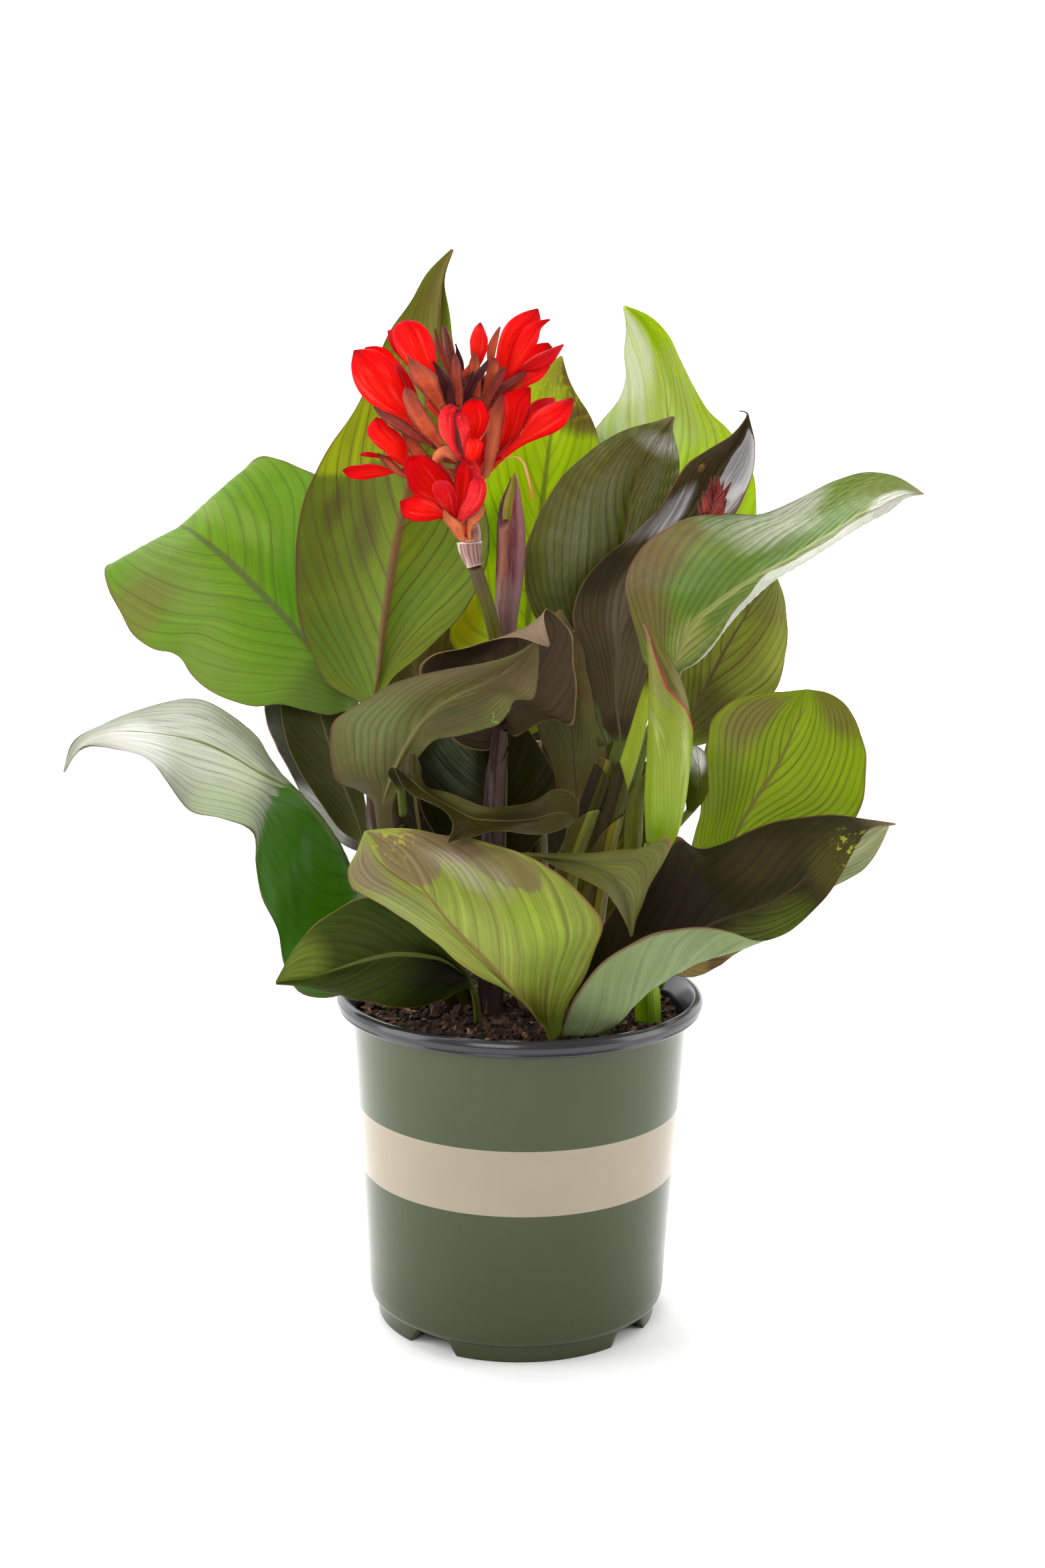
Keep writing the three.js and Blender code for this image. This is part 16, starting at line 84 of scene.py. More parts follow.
    "leaf_back_side_right": ([[[50.9,30.1,201.9],[51.4,30.1,201.1],[51.9,30,200.3],[52.4,30,199.5],[52.8,30,198.7],[53.3,29.9,197.8],[53.8,29.9,197]],[[59.5,35.3,207.3],[60,35.2,206.5],[60.5,35.2,205.7],[61,35.2,204.9],[61.5,35.2,204],[62,35.1,203.2],[62.5,35.1,202.4]],[[68.3,40.3,212.7],[68.8,40.3,211.8],[69.3,40.3,211],[69.8,40.2,210.2],[70.3,40.2,209.4],[70.8,40.2,208.5],[71.3,40.2,207.7]],[[77.2,45.3,218],[77.7,45.2,217.1],[78.2,45.2,216.3],[78.7,45.2,215.4],[79.2,45.1,214.6],[79.7,45.1,213.7],[80.2,45.1,212.9]],[[86.3,50.1,223.2],[86.8,50.1,222.3],[87.3,50,221.4],[87.8,50,220.6],[88.3,50,219.7],[88.9,49.9,218.9],[89.4,49.9,218]],[[90.1,53.9,228],[91.1,53,226.6],[92.2,53.5,224.8],[93.4,55.2,222.7],[94.2,53.4,221.5],[95.1,52.8,219.9],[96.1,53.5,218]],[[94.1,58,233],[95.6,56.9,230.8],[97.3,57.7,228],[99.1,60.5,224.8],[100.1,57.8,223],[101.4,57,220.7],[102.7,58.2,218]],[[98.5,62.5,237.6],[100.4,61.2,234.6],[102.5,62.3,231.1],[104.7,65.9,226.9],[106.1,62.5,224.6],[107.6,61.6,221.7],[109.3,63.1,218.1]],[[103.1,67.2,241.8],[105.4,65.8,238.3],[107.8,67.1,234],[110.5,71.3,229],[112,67.5,226.2],[113.8,66.4,222.6],[115.8,68.2,218.4]],[[108.3,72.4,245.8],[110.7,70.7,241.7],[113.3,72.2,236.8],[116.2,76.8,231.1],[118,72.6,227.8],[120.1,71.6,223.8],[122.4,73.6,218.9]],[[113.8,77.8,249.5],[116.3,76.1,244.9],[119,77.6,239.5],[122,82.4,233.3],[124,78,229.6],[126.3,77,225.1],[128.9,79.2,219.8]],[[119.7,83.5,252.7],[122.1,81.6,247.7],[124.9,83.1,242],[127.9,88,235.4],[130.1,83.6,231.4],[132.6,82.6,226.6],[135.4,85,220.8]],[[125.9,89.1,255.4],[128.2,87.2,250.2],[130.9,88.6,244.2],[133.9,93.6,237.3],[136.2,89.2,233],[138.9,88.2,228],[141.9,90.7,222]],[[132.4,95,258],[134.7,92.9,252.4],[137.3,94.3,246.1],[140.2,99.1,238.8],[142.6,94.9,234.5],[145.3,94,229.3],[148.4,96.6,223.3]],[[139.4,100.9,260],[141.4,98.8,254.2],[143.8,100.1,247.6],[146.6,104.6,240.2],[149,100.6,235.9],[151.8,100,230.8],[154.9,102.6,224.8]],[[146.6,106.7,260.7],[148.4,104.7,255],[150.6,105.8,248.7],[153.1,110.1,241.5],[155.5,106.4,237.3],[158.2,105.9,232.3],[161.2,108.5,226.6]],[[154.2,112.5,260.6],[155.7,110.7,255.3],[157.6,111.7,249.3],[159.7,115.4,242.6],[161.9,112.2,238.7],[164.4,111.7,234.1],[167.2,114.1,228.8]],[[162.1,118.3,260.2],[163.2,116.7,255.3],[164.7,117.5,249.8],[166.4,120.7,243.7],[168.3,117.9,240.3],[170.5,117.5,236.3],[173,119.5,231.7]],[[169.7,123.8,259],[170.6,122.6,254.7],[171.8,123.2,249.9],[173.2,125.9,244.6],[174.7,123.6,241.9],[176.4,123.2,238.8],[178.3,124.8,235.2]],[[177.1,129,255.5],[177.9,128.4,252.4],[178.9,129,249.1],[180,131,245.4],[180.9,129.3,243.6],[181.9,129,241.5],[183.1,130,239.1]],[[186.7,136,247],[186.8,136,246.7],[186.9,136,246.4],[187,136,246.1],[187.1,136,245.8],[187.2,136,245.6],[187.3,136,245.3]]], 4),
    # leaf_behind_stems is a dark sheet that fills the shaded gap behind the stems; it stands in for shade.
    "leaf_behind_stems": ([[[34.2,26,194.5],[35.1,26,194.4],[36,26,194.4],[36.8,26,194.3],[37.7,26,194.3],[38.6,26,194.2],[39.4,26,194.2]],[[35,27.1,199.8],[35.9,27.1,199.8],[36.8,27.1,199.7],[37.6,27.1,199.7],[38.5,27.1,199.6],[39.4,27.1,199.6],[40.3,27.1,199.5]],[[35.9,28.2,205.2],[36.8,28.2,205.2],[37.7,28.2,205.1],[38.5,28.2,205],[39.4,28.2,205],[40.3,28.2,204.9],[41.2,28.1,204.9]],[[36.8,29.1,210.6],[37.8,29.1,210.5],[38.7,29.1,210.5],[39.6,29.1,210.4],[40.5,29.1,210.4],[41.4,29.1,210.3],[42.3,29.1,210.2]],[[38,30,216],[38.9,30,215.9],[39.8,30,215.8],[40.8,30,215.8],[41.7,30,215.7],[42.6,30,215.7],[43.5,30,215.6]],[[33.6,31.1,224.6],[36.8,31.8,224.3],[39.9,31.9,224.2],[43.1,31.4,224.2],[45.7,31.9,223.8],[48.3,31.8,223.6],[50.8,31,223.6]],[[30.9,32.3,233.1],[35.7,33.4,232.7],[40.5,33.5,232.5],[45.2,32.7,232.6],[49.2,33.5,231.8],[53.2,33.3,231.3],[57.1,32.1,231]],[[29.5,33.4,242],[35.3,34.8,241.4],[41.2,35,241.1],[47,33.9,241.2],[52.3,35,240.2],[57.6,34.8,239.5],[62.8,33.4,239.1]],[[28.6,34.6,251.1],[35.3,36.2,250.3],[42,36.4,249.8],[48.6,35.1,249.7],[55,36.4,248.7],[61.3,36.2,248.1],[67.6,34.7,247.8]],[[28.4,35.8,260.1],[35.6,37.5,259.2],[42.8,37.7,258.6],[49.9,36.3,258.4],[57.1,37.7,257.5],[64.2,37.5,256.9],[71.2,35.8,256.8]],[[28.3,37.1,269.2],[36,38.9,268.1],[43.6,39,267.3],[51.2,37.4,267],[58.9,38.9,266.4],[66.6,38.7,266.1],[74.1,36.8,266.3]],[[28.3,38.6,278.1],[36.3,40.3,276.9],[44.4,40.4,276.1],[52.3,38.7,275.6],[60.6,40.2,275.3],[68.7,40,275.3],[76.8,38.1,275.8]],[[29.2,40.3,287],[37.3,41.9,285.7],[45.4,41.9,284.8],[53.4,40.1,284.2],[62.2,41.7,284.2],[70.9,41.6,284.5],[79.5,39.7,285.2]],[[30.5,42.1,295.8],[38.5,43.7,294.4],[46.5,43.5,293.5],[54.4,41.6,292.8],[63.6,43.4,293.1],[72.7,43.4,293.6],[81.7,41.7,294.6]],[[32,44.1,304.5],[39.8,45.5,303.1],[47.5,45.3,302.1],[55.2,43.4,301.4],[64.5,45.2,302],[73.6,45.4,302.9],[82.7,43.9,304.1]],[[33.8,46.3,313.2],[41.3,47.6,311.8],[48.7,47.3,310.7],[56.1,45.5,309.9],[65.2,47.3,310.9],[74.3,47.6,312.1],[83.3,46.3,313.7]],[[36.2,48.6,321.6],[43.1,49.8,320.2],[50,49.6,319.1],[56.8,48,318.3],[65.5,49.7,319.7],[74.1,50,321.4],[82.6,49,323.4]],[[39.5,51.1,329.9],[45.5,52.1,328.6],[51.4,52,327.6],[57.3,50.6,326.7],[65,52.2,328.5],[72.7,52.6,330.6],[80.3,51.8,332.8]],[[43.6,53.6,337.6],[48.2,54.5,336.6],[52.9,54.5,335.8],[57.4,53.5,335.1],[63.7,54.9,336.8],[70,55.3,338.7],[76.2,54.7,340.8]],[[48.8,56.2,344.6],[51.7,57,344.1],[54.7,57.1,343.8],[57.6,56.6,343.5],[61.3,57.6,344.7],[65,58,346],[68.7,57.7,347.4]],[[56.7,59.9,351.7],[57,60,351.8],[57.3,60,351.8],[57.6,60,351.9],[57.9,60,351.9],[58.2,60,352],[58.5,60.1,352]]], 4),
    "curled_leaf_tip": ([[[89.2,-24.1,312.8],[89.8,-24.1,312.7],[90.4,-24,312.6],[91,-24,312.6],[91.6,-24,312.5],[92.2,-23.9,312.4],[92.8,-23.9,312.3]],[[91.4,-22.4,315.5],[92,-22.4,315.4],[92.7,-22.3,315.3],[93.3,-22.3,315.2],[93.9,-22.3,315.1],[94.5,-22.2,315.1],[95.2,-22.2,315]],[[93.7,-21,318.1],[94.3,-21,318],[95,-21,317.9],[95.6,-20.9,317.9],[96.3,-20.9,317.8],[97,-20.8,317.7],[97.6,-20.8,317.6]],[[96,-19.9,320.7],[96.7,-19.9,320.6],[97.4,-19.9,320.6],[98.1,-19.8,320.5],[98.8,-19.8,320.4],[99.5,-19.7,320.3],[100.2,-19.7,320.2]],[[98.5,-19.1,323.3],[99.2,-19.1,323.2],[99.9,-19,323.1],[100.7,-19,323],[101.4,-19,322.9],[102.1,-18.9,322.8],[102.8,-18.9,322.8]],[[98,-19,326.3],[99.3,-19.7,326.1],[100.7,-20,325.8],[102,-20,325.4],[103.1,-19.9,325.5],[104.2,-19.4,325.4],[105.4,-18.6,325.4]],[[97.8,-19,328.8],[99.5,-20.1,328.6],[101.4,-20.8,328.2],[103.2,-20.9,327.8],[104.6,-20.5,327.7],[105.9,-19.6,327.4],[107.3,-18.2,327.1]],[[97.6,-19,331.3],[99.7,-20.5,331.1],[101.9,-21.4,330.7],[104.1,-21.6,330.3],[105.6,-21,330],[107.1,-19.7,329.6],[108.7,-17.8,329.1]],[[97.4,-19,333.8],[99.7,-20.7,333.6],[102.2,-21.8,333.2],[104.7,-22.1,332.7],[106.4,-21.2,332.4],[108.1,-19.7,332],[110,-17.5,331.5]],[[97.2,-19,336.2],[99.7,-20.9,336.1],[102.3,-22.1,335.7],[105,-22.4,335.3],[106.9,-21.4,335],[108.9,-19.7,334.6],[110.9,-17.1,334]],[[97.1,-19,338.7],[99.7,-21.1,338.6],[102.5,-22.3,338.3],[105.3,-22.7,337.9],[107.2,-21.7,337.6],[109.1,-19.7,337.2],[111.2,-17,336.7]],[[97,-19,341.2],[99.7,-21.2,341.1],[102.5,-22.5,340.9],[105.4,-22.9,340.5],[107.2,-21.8,340.2],[109.1,-19.8,339.9],[111.1,-17,339.3]],[[96.9,-19,343.7],[99.7,-21.2,343.6],[102.5,-22.5,343.4],[105.4,-23,343],[107.1,-21.9,342.8],[109,-19.9,342.5],[110.9,-17,342]],[[96.9,-19,346.2],[99.6,-21.2,346.1],[102.4,-22.4,345.9],[105.2,-22.9,345.5],[107,-21.8,345.4],[108.8,-19.8,345.1],[110.6,-17,344.7]],[[96.8,-19,348.7],[99.5,-21,348.6],[102.2,-22.3,348.4],[105,-22.6,348],[106.7,-21.6,347.9],[108.5,-19.7,347.8],[110.4,-17,347.4]],[[96.8,-19,351.2],[99.3,-20.9,351.1],[102,-22,350.8],[104.7,-22.3,350.4],[106.4,-21.3,350.5],[108.2,-19.5,350.4],[110.1,-17,350.2]],[[96.9,-19,353.8],[99.3,-20.7,353.6],[101.8,-21.6,353.3],[104.4,-21.9,352.9],[106.1,-21,353],[107.8,-19.3,353.1],[109.7,-17,353]],[[97.1,-19,356.3],[99.4,-20.4,356],[101.7,-21.1,355.7],[104,-21.3,355.2],[105.7,-20.5,355.5],[107.4,-19,355.6],[109.2,-17,355.6]],[[97.6,-19,358.4],[99.6,-19.9,358.2],[101.6,-20.4,357.9],[103.7,-20.4,357.6],[105.3,-19.7,357.8],[106.9,-18.6,357.9],[108.5,-17,357.9]],[[99.1,-18.6,360.2],[100.4,-19.1,360.1],[101.9,-19.4,360],[103.3,-19.3,359.9],[104.5,-19,359.9],[105.6,-18.3,360],[106.9,-17.4,359.9]],[[102,-18.1,362.2],[102.3,-18.1,362.1],[102.6,-18,362.1],[102.9,-18,362.1],[103.2,-18,362.1],[103.5,-17.9,362.1],[103.8,-17.9,362.1]]], 4),
}
# Centre lines with the local radius.
STEMS = {
    "pseudostem_left": [[-37,0,198.3,8.5],[-55.3,-8,238.3,9],[-72.2,-13,285.1,9.4],[-82.2,-15,312.1,10],[-85.8,-8,337.2,8.5],[-90,0,354.1,6]],
    "pseudostem_centre": [[-18.3,-7,196.4,7.5],[-17.8,-8,263.9,7],[-17.1,-9,323.2,6.3],[-14.3,-10,364.9,5.6],[-13.2,-10,369.4,5]],
    "flower_stalk": [[-14.9,10,195.7,5.5],[-14.3,11,301.3,5],[-14.2,10,363.6,4.9],[-15.4,6,409,4.5],[-20.4,0,435.8,4.2],[-26,-5,454.2,4.2],[-29.6,-8,465.5,4.2]],
    "pseudostem_back": [[8.4,34,193.4,8],[8.6,40,274,7.5],[6.7,45,324.2,6.5],[6.3,46,352.8,5.2]],
    "pseudostem_right_back": [[19,8,201,7.5],[28.5,10,281.1,6.8],[30.8,10,290.4,6.6],[41,12,318.5,6.2],[48.8,14,341,5.6],[50.7,15,347.9,5]],
    "pseudostem_right_inner": [[37.6,-8,201.6,7],[48.5,-1,288.1,6.5],[57.2,3,324.6,6],[66.4,7,356.1,5.6],[74.4,11,387.1,4.6],[79,13,405.2,3.4],[86.8,14,433.5,2.8],[100.7,12,466,2.5],[110.5,8,489.6,2.3]],
    "pseudostem_right": [[78.1,-22,187.3,7],[76.4,-25,217.9,7],[77.5,-28,249.4,7.5],[79.8,-34,291.9,8.5],[81.6,-38,305.7,8.8]],
    "furled_leaf": [[81.9,-39.2,308.4,8.8],[83.4,-43,334.1,12.2],[85,-45,362.2,13.2],[85.2,-46,382.1,13],[83.3,-46,397.7,11],[79.9,-45,411.2,8],[76.2,-44,422.7,5],[72.6,-43,432.2,2.5],[69.4,-42,437.5,1]],
    "small_furled_shoot": [[66.1,-12,274.2,4.2],[66.5,-13,291,5],[66.9,-14,307.7,5.4],[67.7,-15,326.3,5],[71,-16,337.9,3],[74.3,-17,345,1]],
    "flower_collar": [[-30,-9,466.7,4.6],[-31.2,-9,471,5.6],[-32.4,-10,476.6,6.8],[-32.8,-10,480.9,7.2]],
    "young_bud": [[-12.2,15,398.8,3.2],[-10,12,424.4,5.1],[-10.5,11,438.7,7],[-9.5,10,455.2,8.2],[-8.5,9,471.7,8.6],[-8.7,8,488.9,8.3],[-8.8,7,500.8,6.8],[-7.7,7,510.6,4.2],[-7.1,7,520.5,0.9]],
}
RACHIS = [[-33.2,-10,482.1,4.4],[-34.9,-11,497.8,4.5],[-37.3,-12,517.2,4.5],[-39.1,-12,540.4,4.2],[-41.6,-12,563.3,3.8],[-44,-12,582.4,3.2],[-46.8,-12,597.5,2.4],[-48.8,-12,605,1.4]]
CURL = [[-37.3,-13,515.7,1.8],[-44.8,-22,520.4,2.2],[-49.2,-29,524.9,2.6],[-51,-34,529.7,3],[-49.3,-38,533.3,3.2],[-45.8,-40,534.9,3.3],[-42,-40,533.1,3],[-39.8,-38,530.4,2.4]]
# Bracts: the point on the rachis, and a net.
BRACTS = [
    ([-40.5,-12,554], [[[-49.7,-19.8,555.9],[-49.1,-20.6,556.2],[-48.5,-20.8,556.5],[-47.9,-20.6,556.7],[-47.3,-19.8,557]],[[-52.7,-23.8,559.7],[-51.2,-25.6,560.4],[-49.9,-26.2,561],[-48.5,-25.6,561.6],[-47.2,-23.8,562.2]],[[-55.9,-27.4,563.3],[-53.9,-30.7,564.3],[-52.1,-31.7,565.3],[-50.3,-30.7,566.2],[-48.6,-27.4,567.1]],[[-59.3,-30.8,566.6],[-56.8,-35.3,568],[-54.5,-36.8,569.4],[-52.3,-35.3,570.7],[-50.2,-30.8,572]],[[-62.6,-34,570.1],[-59.7,-38.5,571.8],[-56.9,-39.9,573.6],[-54.2,-38.5,575.2],[-51.6,-34,576.9]],[[-65.6,-36.8,573.8],[-62.8,-40.9,575.5],[-60.1,-42.2,577],[-57.6,-40.9,578.6],[-55.2,-36.8,580.1]],[[-66.9,-39.4,578.3],[-64.8,-42.2,579.5],[-62.9,-43.2,580.6],[-61.1,-42.2,581.7],[-59.4,-39.4,582.9]],[[-67.6,-41.8,583.1],[-66.6,-42.7,583.7],[-65.5,-43,584.3],[-64.5,-42.7,584.9],[-63.6,-41.8,585.5]],[[-68.4,-44,587.6],[-68.2,-44,587.7],[-68,-44,587.9],[-67.7,-44,588],[-67.5,-44,588.1]]]),
    ([-38.4,-12,531.1], [[[-48.7,-23.8,533.1],[-48.1,-24.6,533.5],[-47.4,-24.9,533.9],[-46.8,-24.6,534.2],[-46.3,-23.8,534.6]],[[-52.7,-27.5,537.2],[-51.6,-29.1,537.9],[-50.5,-29.6,538.6],[-49.4,-29.1,539.2],[-48.4,-27.5,539.8]],[[-56.9,-30.9,541.1],[-55.2,-33.9,542.2],[-53.6,-34.9,543.2],[-52,-33.9,544.1],[-50.6,-30.9,545]],[[-61.1,-34.1,545],[-58.9,-38.4,546.4],[-56.8,-39.8,547.7],[-54.8,-38.4,548.9],[-52.9,-34.1,549.9]],[[-64.8,-37,549.5],[-62.3,-41.5,550.9],[-60.1,-42.9,552.2],[-57.9,-41.5,553.4],[-55.9,-37,554.5]],[[-67.4,-39.6,554.4],[-65,-43.6,555.7],[-62.8,-44.9,556.9],[-60.7,-43.6,558.1],[-58.8,-39.6,559.1]],[[-69.2,-41.9,559.9],[-67.1,-44.7,560.9],[-65.2,-45.6,561.9],[-63.3,-44.7,562.9],[-61.5,-41.9,563.8]],[[-70.9,-44,565.4],[-69.2,-45.4,566.2],[-67.6,-45.9,567],[-66,-45.4,567.7],[-64.5,-44,568.5]],[[-69.7,-46,570.6],[-69.5,-46,570.7],[-69.2,-46,570.8],[-69,-46,570.9],[-68.8,-46,571]]]),
    ([-38.5,-12,532.3], [[[-51.8,-24.9,534.3],[-51.6,-25.2,534.6],[-51.4,-25.3,535],[-51.1,-25.2,535.4],[-50.9,-24.9,535.8]],[[-56.5,-28.4,537.2],[-56.2,-28.8,537.7],[-55.9,-28.9,538.2],[-55.6,-28.8,538.7],[-55.3,-28.4,539.2]],[[-61.5,-31.7,539.7],[-60.9,-32.4,540.5],[-60.5,-32.6,541.3],[-60,-32.4,542],[-59.5,-31.7,542.8]],[[-66.4,-34.7,542.2],[-65.6,-35.9,543.3],[-64.9,-36.3,544.4],[-64.2,-35.9,545.5],[-63.5,-34.7,546.6]],[[-71.3,-37.5,544.8],[-70.3,-39,546.2],[-69.3,-39.5,547.5],[-68.4,-39,548.9],[-67.6,-37.5,550.1]],[[-76,-40,547.7],[-74.9,-41.4,549.1],[-73.9,-41.8,550.5],[-73,-41.4,551.9],[-72.1,-40,553.2]],[[-80.5,-42.2,551],[-79.5,-43.1,552.2],[-78.6,-43.4,553.3],[-77.7,-43.1,554.5],[-76.9,-42.2,555.6]],[[-84.3,-44.1,554.8],[-83.7,-44.5,555.5],[-83,-44.6,556.3],[-82.4,-44.5,557],[-81.9,-44.1,557.7]],[[-87.2,-46,559.4],[-87.1,-46,559.5],[-86.9,-46,559.7],[-86.7,-46,559.9],[-86.6,-46,560.1]]]),
    ([-38.1,-12,527.4], [[[-57.8,-19.9,529.1],[-57.3,-20.3,529.5],[-56.9,-20.4,529.9],[-56.4,-20.3,530.2],[-56,-19.9,530.6]],[[-61.2,-21.2,529.5],[-60.2,-22,530.3],[-59.3,-22.2,531.1],[-58.4,-22,531.9],[-57.6,-21.2,532.6]],[[-64,-22.5,530.2],[-62.7,-23.8,531.4],[-61.5,-24.2,532.6],[-60.3,-23.8,533.7],[-59.2,-22.5,534.7]],[[-66.2,-23.8,531.2],[-64.8,-25.5,532.7],[-63.4,-26.1,534.2],[-62.1,-25.5,535.6],[-60.8,-23.8,536.9]],[[-68,-25,533.5],[-66.5,-26.8,535],[-65,-27.4,536.5],[-63.6,-26.8,537.9],[-62.3,-25,539.3]],[[-69.4,-26.2,536.4],[-68,-27.7,537.7],[-66.6,-28.2,538.9],[-65.2,-27.7,540.1],[-63.9,-26.2,541.3]],[[-70.6,-27.5,539.2],[-69.3,-28.4,540.1],[-68.2,-28.8,541.1],[-67,-28.4,542],[-65.9,-27.5,542.9]],[[-71.5,-28.8,542],[-70.7,-29.1,542.6],[-69.8,-29.3,543.1],[-69,-29.1,543.7],[-68.2,-28.8,544.3]],[[-72.2,-30,544.9],[-71.8,-30,545],[-71.5,-30,545.1],[-71.1,-30,545.2],[-70.8,-30,545.4]]]),
    ([-42.5,-12,570.6], [[[-43.5,-13.9,572.3],[-43,-14.2,572.6],[-42.5,-14.4,572.9],[-42.1,-14.2,573.2],[-41.6,-13.9,573.6]],[[-45.2,-14.8,575.9],[-44.6,-15.2,576.3],[-44,-15.4,576.8],[-43.3,-15.2,577.2],[-42.7,-14.8,577.7]],[[-47.2,-15.5,579.6],[-46.3,-16.3,580.1],[-45.5,-16.5,580.6],[-44.7,-16.3,581.1],[-43.9,-15.5,581.5]],[[-49.2,-16.2,583.4],[-48.1,-17.2,583.9],[-47.1,-17.6,584.4],[-46.2,-17.2,584.9],[-45.2,-16.2,585.4]],[[-50.9,-17,587.2],[-49.8,-18,587.7],[-48.7,-18.4,588.2],[-47.7,-18,588.6],[-46.7,-17,589.1]],[[-52.4,-17.8,591.1],[-51.4,-18.7,591.6],[-50.3,-19,592],[-49.3,-18.7,592.4],[-48.3,-17.8,592.8]],[[-53.4,-18.5,595.2],[-52.5,-19.1,595.5],[-51.6,-19.3,595.8],[-50.8,-19.1,596.2],[-50,-18.5,596.5]],[[-53.6,-19.2,599.3],[-53.1,-19.5,599.5],[-52.7,-19.5,599.7],[-52.2,-19.5,599.9],[-51.7,-19.2,600.1]],[[-54.1,-20,603.4],[-53.9,-20,603.5],[-53.7,-20,603.6],[-53.4,-20,603.7],[-53.2,-20,603.8]]]),
    ([-43.2,-12,576.4], [[[-43.1,-11.9,578.4],[-42.4,-12.3,578.5],[-41.8,-12.4,578.7],[-41.3,-12.3,578.9],[-40.7,-11.9,579.1]],[[-44.2,-12.2,581],[-43.5,-12.7,581.3],[-42.7,-12.9,581.5],[-42,-12.7,581.7],[-41.3,-12.2,581.9]],[[-45.2,-12.5,583.8],[-44.3,-13.2,584],[-43.5,-13.4,584.3],[-42.7,-13.2,584.5],[-41.9,-12.5,584.8]],[[-45.9,-12.8,586.6],[-45,-13.6,586.8],[-44.2,-13.8,587.1],[-43.3,-13.6,587.3],[-42.4,-12.8,587.6]],[[-46.6,-13,589.4],[-45.6,-13.8,589.7],[-44.7,-14.1,589.9],[-43.8,-13.8,590.2],[-42.9,-13,590.4]],[[-47,-13.2,592.3],[-46.1,-14,592.6],[-45.2,-14.2,592.8],[-44.3,-14,593],[-43.4,-13.2,593.3]],[[-47.1,-13.5,595.2],[-46.3,-14,595.4],[-45.6,-14.2,595.6],[-44.8,-14,595.8],[-44.1,-13.5,596]],[[-47,-13.8,598.1],[-46.5,-13.9,598.2],[-46,-14,598.4],[-45.6,-13.9,598.5],[-45.1,-13.8,598.7]],[[-47.1,-14,601],[-46.9,-14,601],[-46.6,-14,601.1],[-46.4,-14,601.2],[-46.1,-14,601.2]]]),
    ([-43.1,-12,575.6], [[[-38.4,-10.9,577.6],[-37.9,-11.1,577.8],[-37.5,-11.2,578],[-37.1,-11.1,578.2],[-36.7,-10.9,578.3]],[[-38.9,-11.1,579.8],[-38.4,-11.4,580],[-37.8,-11.4,580.3],[-37.3,-11.4,580.5],[-36.8,-11.1,580.7]],[[-39.5,-11.2,582],[-38.8,-11.6,582.3],[-38.2,-11.7,582.5],[-37.6,-11.6,582.7],[-37,-11.2,583]],[[-40.1,-11.4,584.2],[-39.4,-11.8,584.5],[-38.7,-12,584.7],[-38,-11.8,584.9],[-37.3,-11.4,585.2]],[[-40.9,-11.5,586.4],[-40.1,-11.9,586.6],[-39.4,-12.1,586.9],[-38.7,-11.9,587.1],[-38,-11.5,587.3]],[[-41.6,-11.6,588.6],[-40.9,-12,588.8],[-40.3,-12.1,589],[-39.6,-12,589.2],[-38.9,-11.6,589.4]],[[-41.8,-11.8,590.8],[-41.3,-12,591],[-40.8,-12,591.1],[-40.3,-12,591.3],[-39.8,-11.8,591.5]],[[-41.9,-11.9,593.1],[-41.6,-12,593.2],[-41.4,-12,593.3],[-41.1,-12,593.4],[-40.8,-11.9,593.5]],[[-42.4,-12,595.3],[-42.1,-12,595.4],[-41.9,-12,595.5],[-41.7,-12,595.6],[-41.4,-12,595.6]]]),
    ([-40.7,-12,555.8], [[[-40.7,-19.8,558.2],[-40,-20.5,558.3],[-39.3,-20.7,558.3],[-38.6,-20.5,558.4],[-37.9,-19.8,558.4]],[[-41.8,-22.1,562.2],[-40.6,-23.3,562.3],[-39.5,-23.7,562.4],[-38.3,-23.3,562.4],[-37.2,-22.1,562.4]],[[-42.7,-24.2,566.2],[-41.2,-26.1,566.3],[-39.7,-26.8,566.4],[-38.3,-26.1,566.5],[-36.9,-24.2,566.5]],[[-43.3,-26.2,570.1],[-41.6,-28.5,570.3],[-40,-29.3,570.4],[-38.5,-28.5,570.6],[-36.9,-26.2,570.6]],[[-43.6,-28,574.2],[-42,-30.4,574.3],[-40.3,-31.2,574.5],[-38.7,-30.4,574.6],[-37.2,-28,574.7]],[[-43.6,-29.7,578.2],[-42.1,-31.7,578.3],[-40.5,-32.4,578.5],[-39,-31.7,578.7],[-37.6,-29.7,578.8]],[[-43.6,-31.2,582.2],[-42.2,-32.7,582.3],[-40.8,-33.2,582.5],[-39.5,-32.7,582.7],[-38.2,-31.2,582.8]],[[-43.3,-32.6,586.1],[-42.2,-33.3,586.2],[-41.2,-33.5,586.3],[-40.2,-33.3,586.4],[-39.3,-32.6,586.5]],[[-42.1,-34,589.9],[-41.8,-34,589.9],[-41.6,-34,589.9],[-41.3,-34,589.9],[-41.1,-34,590]]]),
